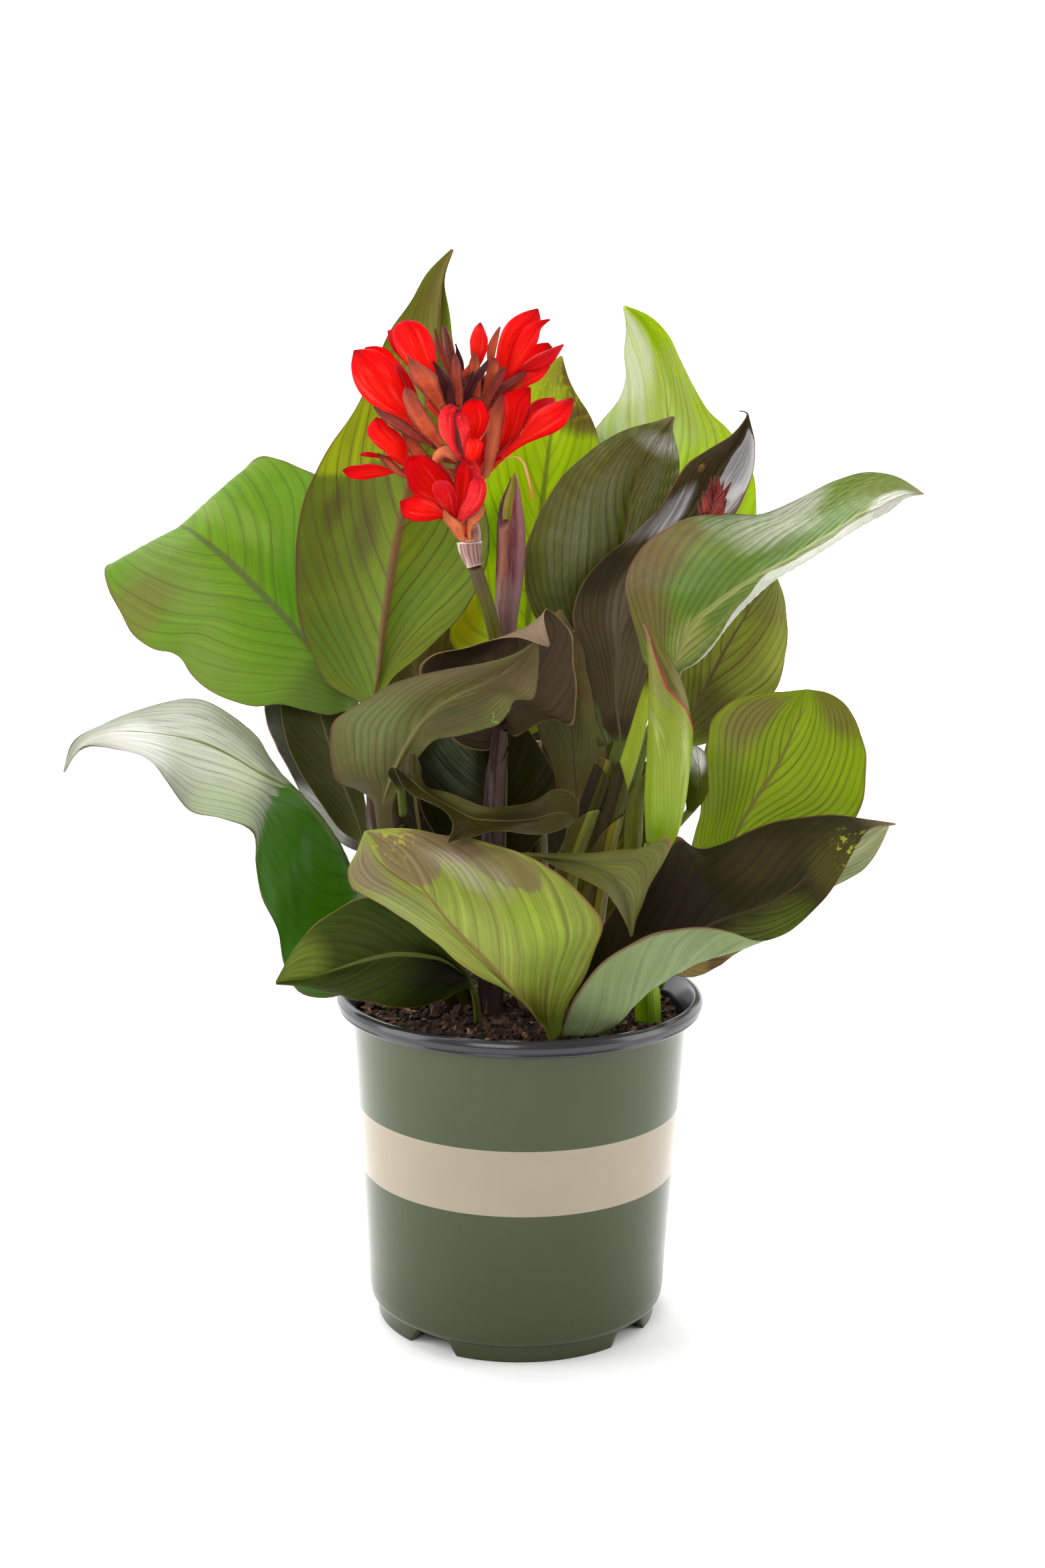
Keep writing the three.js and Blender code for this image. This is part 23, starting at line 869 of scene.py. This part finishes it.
PETALS = {
    "r": petal_material("petal red", (252, 4, 8), (230, 0, 8), (255, 34, 6), (150, 4, 20), (160, 0, 10), (224, 84, 40), None, (255, 16, 2), 0.36),
    "c": petal_material("petal crimson", (182, 0, 16), (214, 2, 18), (234, 10, 12), (226, 44, 60), (112, 0, 12), (196, 64, 40), None, (244, 6, 8), 0.28, rimw=0.72),
    "p": petal_material("petal underside", (236, 24, 40), (212, 10, 30), (250, 52, 54), (156, 16, 40), (158, 4, 26), (214, 90, 60), None, (255, 34, 28), 0.30, rough=0.55, dots=0.25),
    "o": petal_material("petal orange", (224, 66, 22), (196, 36, 16), (246, 116, 36), (130, 16, 22), (146, 16, 12), (232, 130, 62), None, (250, 96, 20), 0.30),
    "s": petal_material("flower sheath", (176, 80, 50), (150, 56, 40), (206, 108, 68), (86, 32, 36), (106, 40, 32), (208, 138, 84), None, (196, 96, 46), 0.15, rough=0.5, rimw=0.66),
    "w": petal_material("style cream", (250, 190, 146), (246, 168, 124), (252, 216, 182), (236, 86, 56), (240, 140, 100), (232, 84, 58), None, (252, 184, 140), 0.25, rimw=0.6),
}
BASE = tube_material()
for flower_name, (flower_tube, petals) in FLOWERS.items():
    fid = flower_name.replace("flower_", "")
    groups = {}
    for k, (p, tone) in enumerate(zip(petals, TONES[flower_name])):
        p = np.asarray(p, float)
        rows, cols = len(p) - 1, p.shape[1] - 1
        u = np.concatenate([np.linspace(0, 0.85, 26), [0.88, 0.91, 0.94, 0.965, 0.985, 1.0]])
        half = np.concatenate([[0.0, 0.03, 0.08], np.linspace(0.16, 0.84, 6), [0.88, 0.92, 0.95, 0.98, 1.0]])
        v = np.concatenate([-half[:0:-1], half])
        # the outline is rounded off at the far end
        mid = surface(p, u * rows, (v + 1) / 2 * cols)
        U, V = np.meshgrid(u, v, indexing="ij")
        n = normals(mid)
        thin = tone in "w"
        soft = waves(k * 11 + len(flower_name) * 7, 5, 3.0, 8.0)
        ruf = waves(k * 5 + len(flower_name), 5, 9.0, 26.0)
        wid = np.linalg.norm(np.diff(mid, axis=1), axis=2).sum(1)[:, None]
        room = np.clip(wid / 22, 0, 1)
        curl = np.clip((np.abs(V) - 0.74) / 0.26, 0, 1) ** 2 + 0.8 * np.clip((U - 0.86) / 0.14, 0, 1) ** 2
        away = np.sign((n * np.array([0.0, 1.0, 0.0])).sum(-1))
        off = 0.5 * soft(U, V) + 0.55 * np.abs(V) ** 3 * ruf(U, np.sign(V)) - 0.45 * np.exp(-((V / 0.12) ** 2)) * np.clip(1 - U, 0, 1)
        off = off + away * curl * (1.5 if k % 2 == 0 else 0.8)
        off = off * room * np.clip(U * 6, 0, 1) * (0.0 if thin else 1.0)
        mid = mid + n * off[..., None]
        t = (0.28 + 0.35 * np.clip(1 - U * 3, 0, 1)) * (1 - 0.45 * V ** 2) * (1.8 if thin else 1.0)
        part = groups.setdefault(tone, [])
        part.append(sheet(mid, t / 2, -t / 2, u, v))
        end, foot = np.asarray(flower_tube[-1], float), surface(p, np.array([0.9]), np.array([2.0]))[0, 0]
        part.append(tube([[*end[:3], 1.5], [*((end[:3] + foot) / 2), 1.3], [*foot, 0.8]], 14, 12))
    for tone, solid in groups.items():
        ob = make("petals_%s_%s" % (fid, tone), *merge(solid), PETALS[tone])
        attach(ob, "root")
        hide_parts(flower_name)
    ob = make("calyx_" + fid, *tube(flower_tube, 40, 44, lambda S, A: 1 + 0.07 * np.cos(6 * A) * np.clip(S, 0, 1)), BASE)
    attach(ob, "root")
    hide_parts(flower_name)


def bract_material(name, c1, c2, edge, line_tone, foot, bloom=None, rimw=0.45):
    m = Nodes(name)
    vec, U, W = m.uv()
    side = m.math("GREATER_THAN", W, 1.5)
    V = m.math("SUBTRACT", m.math("MULTIPLY", m.math("SUBTRACT", W, m.math("MULTIPLY", side, 2.0)), 2.0), 1.0)
    A = m.math("ABSOLUTE", V)
    pos = m.place()
    big = m.noise(pos, 90.0, 4.0, 0.6)
    grain = m.noise(m.combine(m.math("MULTIPLY", U, 6.0), m.math("MULTIPLY", V, 12.0)), 1.0, 4.0, 0.65)
    line = m.math("MULTIPLY", m.math("PINGPONG", m.math("ADD", m.math("MULTIPLY", V, 5.0), m.math("MULTIPLY", big, 0.6)), 0.5), 2.0)
    colour = m.mix(m.step(big, 0.35, 0.65), rgb(c1), rgb(c2))
    colour = m.mix(m.math("MULTIPLY", m.step(grain, 0.45, 0.7), 0.35), colour, rgb(line_tone))
    colour = m.mix(m.math("MULTIPLY", m.step(line, 0.4, 0.0), 0.3), colour, rgb(line_tone))
    colour = m.mix(m.math("MULTIPLY", m.step(U, 0.25, 0.0), 0.5), colour, rgb(foot))
    near = m.math("MAXIMUM", A, m.math("MULTIPLY", U, 0.9))
    colour = m.mix(m.math("MULTIPLY", m.step(m.math("ADD", near, m.math("MULTIPLY", m.math("SUBTRACT", big, 0.5), 0.3)), rimw, 1.0), 0.8), colour, rgb(edge))
    if bloom:
        colour = m.mix(m.math("MULTIPLY", m.step(A, 0.86, 1.0), 0.5), colour, rgb(bloom))
    return m.finish(colour, m.step(big, 0.3, 0.7, lo=0.40, hi=0.55), m.bump(m.math("ADD", line, grain), 0.4, 0.0003), specular=0.25)


def bract(net, root=None, thick=1.5):
    p = np.asarray(net, float)
    rows, cols = len(p) - 1, p.shape[1] - 1
    u, v = np.linspace(0, 1, 28), np.linspace(-1, 1, 15)
    mid = surface(p, u * rows, (v + 1) / 2 * cols)
    n = normals(mid)
    # a keel along the back
    mid = mid + n * (0.5 * np.exp(-((v[None, :] / 0.16) ** 2)) * np.sin(np.pi * np.clip(u * 0.9 + 0.05, 0, 1))[:, None])[..., None]
    t = np.full(mid.shape[:2], thick) * (1 - 0.75 * v[None, :] ** 2) * np.clip(1.25 - u[:, None], 0.22, 1)
    out = [sheet(mid, t / 2, -t / 2, u, v)]
    if root is not None:
        a, b = np.asarray(root, float), surface(p, np.array([0.8]), np.array([2.0]))[0, 0]
        out.append(tube([[*a, 1.5], [*((a + b) / 2), 1.7], [*b, 1.4]], 16, 16))
    return out


BRACT_LOOK = [
    bract_material("bract orange brown", (204, 92, 44), (180, 70, 40), (96, 36, 34), (128, 44, 30), (214, 128, 72), bloom=(150, 88, 76)),
    bract_material("bract brown", (160, 64, 40), (134, 48, 38), (76, 28, 34), (90, 32, 28), (172, 88, 54), bloom=(124, 70, 66)),
    bract_material("bract dark purple", (86, 32, 34), (66, 23, 30), (42, 15, 22), (44, 15, 20), (120, 54, 44), bloom=(112, 74, 76)),
    bract_material("bract tan", (220, 124, 70), (200, 100, 58), (140, 60, 44), (164, 68, 42), (222, 150, 96), bloom=(190, 130, 108)),
    bract_material("stipule", (160, 118, 102), (136, 88, 80), (190, 168, 160), (94, 54, 52), (124, 80, 66), bloom=(212, 196, 194)),
]
by_tone = {}
for (root_point, bract_net), tone in zip(BRACTS, BRACT_TONES):
    by_tone.setdefault(tone, []).extend(bract(bract_net, root_point, 1.3))
by_tone.setdefault(1, []).append(tube(RACHIS, 40, 120, lambda S, A: 1 + 0.05 * np.cos(5 * A + 9 * S)))
by_tone.setdefault(3, []).append(tube(CURL, 36, 60, lambda S, A: 1 + 0.06 * np.cos(3 * A + 2 * S)))
for tone, solid in sorted(by_tone.items()):
    ob = make("bracts_%d" % (tone + 1), *merge(solid), BRACT_LOOK[tone])
    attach(ob, "root")
    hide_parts("bract_cluster")

solid = [tube(SPIKE[0], 24, 30)]
for bract_net in SPIKE[1]:
    solid += bract(bract_net, None, 1.4)
    end, foot = np.asarray(SPIKE[0][1], float), surface(np.asarray(bract_net, float), np.array([0.9]), np.array([2.0]))[0, 0]
    solid.append(tube([[*end[:3], 1.5], [*foot, 1.2]], 12, 10))
ob = make("spike_bracts", *merge(solid), bract_material("bract dark red", (178, 76, 60), (136, 42, 38), (58, 8, 14), (64, 8, 14), (110, 36, 40), bloom=(190, 110, 104), rimw=0.35))
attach(ob, "root")
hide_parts("young_flower_spike")


# ---------------------------------------------------------------- pot
OUTER = [[.71, 0], [.768, 0], [.774, .088], [.798, .104], [.812, .128], [.819, .18], [.826, .36], [.857, .848], [.88, 1.211],
         [.905, 1.62], [.912, 1.735], [.982, 1.742], [.99, 1.752], [.984, 1.765], [.999, 1.772], [1, 1.8], [.99, 1.822], [.972, 1.83], [.957, 1.83], [.944, 1.812]]
INNER = [[.912, 1.72], [.905, 1.62], [.857, .848], [.826, .36], [.819, .18], [.8, .13]]
BAND = (0.848 * RIM, 1.211 * RIM)


def rounded(points, far=0.7, longest=7.0):
    """Adds a point close to each side of every corner, so that smooth shading keeps the corner."""
    out = []
    p = [np.asarray(q, float) for q in points]
    for k, q in enumerate(p):
        if 0 < k < len(p) - 1:
            for r in (p[k - 1], p[k + 1]):
                d = r - q
                near = q + d * min(far / np.linalg.norm(d), 0.3)
                out.append((k, near) if r is p[k + 1] else (k, near))
                if r is p[k - 1]:
                    out.append((k, q + (p[k + 1] - q) * 0 + (near - q) * 0.12 + ((p[k + 1] - q) * min(far / np.linalg.norm(p[k + 1] - q), 0.3)) * 0.12))
        else:
            out.append((k, q))
    full = [out[0]]
    for (k, q) in out[1:]:
        last = full[-1][1]
        parts = max(1, int(np.linalg.norm(q - last) / longest))
        for m in range(1, parts + 1):
            full.append((k, last + (q - last) * m / parts))
    return full


def pot():
    prof = [[0.0, BASE_PLATE], [0.70 * RIM, BASE_PLATE]] + [[r * RIM, z * RIM] for r, z in OUTER]
    prof += [[r * RIM - WALL, z * RIM] for r, z in INNER] + [[0.0, 14.6]]
    full = rounded(prof)
    kinds = np.array([k for k, _ in full])
    p = np.array([q for _, q in full])
    p[0, 0] = p[-1, 0] = 0.6
    sides = 256
    ang = 2 * np.pi * np.arange(sides) / sides
    R, A = np.broadcast_arrays(p[:, 0][:, None], ang[None, :])
    Z = np.repeat(p[:, 1][:, None], sides, 1).copy()
    # notches in the foot: the foot's lower edge rises over each
    high = np.zeros(sides)
    for deg in NOTCHES:
        c = math.radians(deg - 90.0)
        d = (ang - c + np.pi) % (2 * np.pi) - np.pi
        across = np.abs(d) * 0.74 * RIM
        high = np.maximum(high, np.clip((17.0 - across) / 5.5, 0, 1) * 9.2)
    ring = (kinds >= 1) & (kinds <= 4)
    cap = 10.0
    low = (Z < cap) & ring[:, None]
    Z = np.where(low, high[None, :] + Z * (cap - high[None, :]) / cap, Z)
    P = np.stack([R * np.cos(A), R * np.sin(A), Z], -1)
    q = quads(len(p), sides, True)
    row = q[:, 0] // sides
    outside = (kinds[row] >= 1) & (kinds[row + 1] <= 12)
    verts = P.reshape(-1, 3)
    n = len(verts)
    verts = np.concatenate([verts, [[0, 0, BASE_PLATE], [0, 0, 14.6]]])
    k = np.arange(sides)
    k2 = (k + 1) % sides
    cap0 = np.stack([np.full(sides, n), k2, k], -1)
    cap1 = np.stack([np.full(sides, n + 1), n - sides + k, n - sides + k2], -1)
    code = np.where(outside, 0.5, 1.5)
    uv = np.zeros((len(q), 4, 2))
    uv[..., 0] = code[:, None]
    uv[..., 1] = ((q[:, 0] % sides) / sides)[:, None]
    caps = np.zeros((2 * sides * 3, 2)) + 0.5
    m = Nodes("pot plastic")
    vec, C, T = m.uv()
    pos = m.place()
    s = m.new("ShaderNodeSeparateXYZ")
    m.put(s.inputs[0], pos)
    z = s.outputs[2]
    big = m.noise(pos, 9.0, 4.0, 0.6)
    grain = m.noise(pos, 900.0, 2.0, 0.5)
    scuff = m.noise(pos, 14.0, 3.0, 0.5)
    green_ = m.mix(m.step(big, 0.3, 0.7), rgb((46, 58, 18)), rgb((50, 62, 22)))
    # the green is darker towards the base: painted shade near the floor
    green_ = m.mix(m.step(z, 0.0, 0.20, lo=0.45, hi=0.0), green_, rgb((34, 44, 6)))
    beige = m.mix(m.step(big, 0.3, 0.7), rgb((146, 134, 114)), rgb((152, 140, 120)))
    band = m.math("MULTIPLY", m.math("GREATER_THAN", z, BAND[0] * MM), m.math("LESS_THAN", z, BAND[1] * MM))
    black = m.mix(m.step(scuff, 0.4, 0.8), rgb((40, 40, 43)), rgb((52, 52, 56)))
    colour = m.mix(m.math("GREATER_THAN", C, 1.0), m.mix(band, green_, beige), black)
    normal = m.bump(grain, 0.04, 0.0001)
    mat = m.finish(colour, m.step(scuff, 0.3, 0.8, lo=0.19, hi=0.25), normal, specular=0.55)
    ob = make("pot", verts, [q, np.concatenate([cap0, cap1])], np.concatenate([uv.reshape(-1, 2), caps]), mat)
    # four drain holes
    for deg in NOTCHES:
        c = math.radians(deg - 90.0)
        bpy.ops.mesh.primitive_cylinder_add(vertices=40, radius=6 * MM, depth=20 * MM,
                                            location=((0.56 * RIM * math.cos(c) + OFFSET[0]) * MM, (0.56 * RIM * math.sin(c) + OFFSET[1]) * MM, 12.3 * MM))
        cutter = bpy.context.object
        mod = ob.modifiers.new("drain", "BOOLEAN")
        mod.operation, mod.solver, mod.object = "DIFFERENCE", "EXACT", cutter
        bpy.context.view_layer.objects.active = ob
        bpy.ops.object.modifier_apply(modifier=mod.name)
        me = cutter.data
        bpy.data.objects.remove(cutter)
        bpy.data.meshes.remove(me)
    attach(ob, "root")
    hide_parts("nursery_pot")


pot()


# ---------------------------------------------------------------- soil and rhizome
def soil():
    m = Nodes("bark compost")
    pos = m.place()
    big = m.noise(pos, 60.0, 5.0, 0.65)
    spot = m.noise(pos, 420.0, 5.0, 0.7)
    colour = m.mix(m.step(spot, 0.35, 0.65), rgb((26, 16, 10)), rgb((64, 42, 28)))
    colour = m.mix(m.math("MULTIPLY", m.step(big, 0.4, 0.7), 0.5), colour, rgb((20, 13, 9)))
    colour = m.mix(m.step(spot, 0.66, 0.72), colour, rgb((132, 98, 66)))
    mat = m.finish(colour, m.step(big, 0.3, 0.7, lo=0.7, hi=0.95), m.bump(spot, 0.9, 0.0015), specular=0.3)
    inner = [[.8, .165], [.819, .2], [.826, .36], [.857, .848], [.893, 1.42]]
    prof = [[r * RIM - WALL - 0.6, z * RIM + 0.8] for r, z in inner]
    edge_r = 0.897 * RIM - WALL - 0.8
    top = [[edge_r, SOIL - 8], [edge_r - 0.6, SOIL - 3]] + [[r, SOIL] for r in np.linspace(edge_r - 2, 1.2, 62)]
    p = np.array(prof + top)
    sides = 200
    ang = 2 * np.pi * np.arange(sides) / sides
    X = p[:, 0][:, None] * np.cos(ang)[None, :]
    Y = p[:, 0][:, None] * np.sin(ang)[None, :]
    Z = np.repeat(p[:, 1][:, None], sides, 1)
    w1, w2, w3 = waves(3, 7, 0.06, 0.16), waves(5, 9, 0.25, 0.6), waves(9, 12, 0.8, 1.9)
    h = 2.6 * w1(X, Y) + 2.2 * w2(X, Y) + 1.5 * w3(X, Y)
    fade = np.clip((np.arange(len(p)) - len(prof)) / 3.0, 0, 1)[:, None]
    Z = Z + h * fade
    verts = np.concatenate([np.stack([X, Y, Z], -1).reshape(-1, 3), [[0, 0, 16.5], [0, 0, SOIL]]])
    q = quads(len(p), sides, True)
    n = len(p) * sides
    k = np.arange(sides)
    k2 = (k + 1) % sides
    caps = np.concatenate([np.stack([np.full(sides, n), k2, k], -1), np.stack([np.full(sides, n + 1), n - sides + k, n - sides + k2], -1)])
    ob = make("compost", verts, [q, caps], np.zeros((4 * len(q) + 3 * len(caps), 2)), mat)
    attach(ob, "root")
    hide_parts("potting_soil")
    # bark chips: small uneven slabs lying on the compost
    g = np.random.default_rng(77)
    box = np.array([[x, y, z] for z in (-1, 1) for y in (-1, 1) for x in (-1, 1)], float)
    tri = np.array([[0, 2, 3, 1], [4, 5, 7, 6], [0, 1, 5, 4], [2, 6, 7, 3], [0, 4, 6, 2], [1, 3, 7, 5]])
    groups = [[], [], []]
    for k in range(3600):
        r, a = (edge_r - 3) * math.sqrt(g.uniform(0, 1)), g.uniform(0, 2 * math.pi)
        cx, cy = r * math.cos(a), r * math.sin(a)
        size = g.gamma(2.2, 0.75) + 0.5
        half = np.array([size, size * g.uniform(0.35, 0.8), size * g.uniform(0.18, 0.5)])
        v = box * half * g.uniform(0.62, 1.0, (8, 3))
        e = g.uniform(0, 2 * math.pi, 3) * [0.18, 0.18, 1]
        cz, sz, cx_, sx_, cy_, sy_ = math.cos(e[2]), math.sin(e[2]), math.cos(e[0]), math.sin(e[0]), math.cos(e[1]), math.sin(e[1])
        rot = np.array([[cz, -sz, 0], [sz, cz, 0], [0, 0, 1]]) @ np.array([[1, 0, 0], [0, cx_, -sx_], [0, sx_, cx_]]) @ np.array([[cy_, 0, sy_], [0, 1, 0], [-sy_, 0, cy_]])
        h0 = SOIL + 2.6 * float(w1(cx, cy)) + 2.2 * float(w2(cx, cy)) + 1.5 * float(w3(cx, cy)) + g.uniform(-0.4, 1.0)
        groups[int(g.choice(3, p=[0.52, 0.38, 0.10]))].append((v @ rot.T + [cx, cy, h0], [tri], np.zeros((24, 2)) + g.uniform(0, 1)))
    tones = [((30, 19, 12), (48, 30, 20)), ((58, 38, 25), (82, 56, 38)), ((112, 84, 58), (140, 110, 80))]
    for k, chips in enumerate(groups):
        m = Nodes("bark %d" % (k + 1))
        pos = m.place()
        f = m.noise(m.scaled(pos, (700.0, 160.0, 500.0)), 1.0, 4.0, 0.65)
        c = m.mix(m.step(f, 0.35, 0.65), rgb(tones[k][0]), rgb(tones[k][1]))
        mat = m.finish(c, m.step(f, 0.3, 0.7, lo=0.7, hi=0.9), m.bump(f, 0.6, 0.0006), specular=0.3)
        ob = make("bark_chips_%d" % (k + 1), *merge(chips), mat, flat=True)
        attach(ob, "root")
        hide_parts("potting_soil")


soil()


def rhizome():
    m = Nodes("rhizome skin")
    pos = m.place()
    f = m.noise(pos, 120.0, 5.0, 0.6)
    ring = m.noise(m.scaled(pos, (260.0, 40.0, 40.0)), 1.0, 3.0, 0.5)
    c = m.mix(m.step(f, 0.35, 0.65), rgb((150, 116, 72)), rgb((186, 156, 108)))
    c = m.mix(m.math("MULTIPLY", m.step(ring, 0.5, 0.7), 0.6), c, rgb((96, 62, 40)))
    mat = m.finish(c, m.step(f, 0.3, 0.7, lo=0.7, hi=0.9), m.bump(ring, 0.6, 0.0012), specular=0.3)
    lines = [[[-66, 14, 148, 9], [-45, 8, 149, 15], [-18, 2, 148, 17], [12, 0, 149, 18], [40, -6, 149, 17], [68, -14, 150, 14], [84, -20, 152, 8]],
             [[0, 0, 148, 12], [8, 22, 148, 14], [12, 44, 149, 13], [14, 60, 150, 7]], [[10, 0, 148, 11], [16, -30, 149, 12], [20, -54, 152, 10], [22, -66, 155, 6]],
             [[-40, 8, 142, 5], [-56, -14, 116, 3], [-62, -24, 84, 2]], [[0, 0, 138, 5], [-8, 16, 100, 3.4], [-16, 26, 60, 2]], [[50, -8, 142, 5], [58, 14, 108, 3.2], [50, 26, 70, 2]]]
    parts = [tube(t, 32, 60, lambda S, A: 1 + 0.05 * np.sin(40 * S) + 0.04 * np.cos(5 * A)) for t in lines]
    ob = make("rootstock", *merge(parts), mat)
    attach(ob, "root")
    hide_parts("rhizome")


rhizome()


# ---------------------------------------------------------------- stage, light, camera
def stage():
    m = Nodes("studio floor")
    f = m.noise(m.place(), 3.0, 2.0, 0.5)
    mat = m.finish(m.mix(f, (0.93, 0.93, 0.93, 1.0), (0.95, 0.95, 0.95, 1.0)), m.step(f, 0.3, 0.7, lo=0.85, hi=0.95), specular=0.0)
    v = np.array([[-6000, -3000, 0], [6000, -3000, 0], [6000, 2200, 0], [-6000, 2200, 0]], float)
    floor = make("floor", v, [np.array([[0, 1, 2, 3]])], np.zeros((4, 2)), mat)
    world = bpy.data.worlds.new("studio")
    bpy.context.scene.world = world
    world.use_nodes = True
    t = world.node_tree
    t.nodes.clear()
    coord = t.nodes.new("ShaderNodeTexCoord")
    sep = t.nodes.new("ShaderNodeSeparateXYZ")
    t.links.new(coord.outputs["Generated"], sep.inputs[0])
    ramp = t.nodes.new("ShaderNodeMapRange")
    ramp.interpolation_type = "SMOOTHSTEP"
    ramp.inputs["From Min"].default_value = WORLD[0]
    ramp.inputs["From Max"].default_value = WORLD[1]
    ramp.inputs["To Min"].default_value = WORLD[2]
    ramp.inputs["To Max"].default_value = WORLD[3]
    t.links.new(sep.outputs[1], ramp.inputs["Value"])
    bg = t.nodes.new("ShaderNodeBackground")
    t.links.new(ramp.outputs[0], bg.inputs["Strength"])
    bg.inputs["Color"].default_value = (1.0, 1.0, 1.0, 1.0)
    out = t.nodes.new("ShaderNodeOutputWorld")
    t.links.new(bg.outputs[0], out.inputs["Surface"])
    for name, at, target, size, power in LIGHTS:
        data = bpy.data.lights.new(name, "AREA")
        data.shape = "RECTANGLE"
        data.size, data.size_y = size
        data.energy = power
        ob = bpy.data.objects.new(name, data)
        bpy.context.scene.collection.objects.link(ob)
        z = unit(np.asarray(at, float) - np.asarray(target, float))
        x = unit(np.cross([0, 0, 1.0] if abs(z[2]) < 0.98 else [0, 1.0, 0], z))
        y = np.cross(z, x)
        ob.matrix_world = Matrix([[x[0], y[0], z[0], at[0]], [x[1], y[1], z[1], at[1]], [x[2], y[2], z[2], at[2]], [0, 0, 0, 1]])
        ob.visible_camera = False


# world: brightness at the viewer's side and behind the plant; lights: place, aim (m), size (m), power (W)
WORLD = (-0.3, 0.75, 0.34, 2.1)
LIGHTS = [
    ("top_back", (-0.35, 0.55, 1.75), (0.0, 0.0, 0.42), (1.3, 1.0), 26.0),
    ("left", (-1.35, -0.35, 0.75), (0.0, 0.0, 0.30), (0.9, 1.5), 17.0),
    ("right", (1.40, -0.25, 0.65), (0.0, 0.0, 0.30), (0.8, 1.4), 13.0),
    ("front", (-0.5, -1.8, 1.5), (0.0, 0.0, 0.35), (1.0, 1.0), 15.0),
]
stage()

pitch, roll = math.radians(10.79), math.radians(-0.72)
R0, U0, F0 = np.array([1, 0, 0.0]), np.array([0, math.sin(pitch), math.cos(pitch)]), np.array([0, math.cos(pitch), -math.sin(pitch)])
right = R0 * math.cos(roll) - U0 * math.sin(roll)
up = R0 * math.sin(roll) + U0 * math.cos(roll)
eye = (np.array([0.0, -1350.0, 591.6]) + OFFSET) * MM
cam = bpy.data.cameras.new("photo_view")
cam.lens, cam.sensor_width, cam.sensor_fit = 52.13, 36.0, "AUTO"
cam.clip_start, cam.clip_end = 0.05, 60.0
cam_ob = bpy.data.objects.new("photo_view", cam)
bpy.context.scene.collection.objects.link(cam_ob)
cam_ob.matrix_world = Matrix([[right[0], up[0], -F0[0], eye[0]], [right[1], up[1], -F0[1], eye[1]], [right[2], up[2], -F0[2], eye[2]], [0, 0, 0, 1]])
bpy.context.scene.camera = cam_ob
bpy.context.scene.view_settings.view_transform = "Standard"
bpy.context.scene.view_settings.exposure = 0.0

bpy.context.view_layer.update()
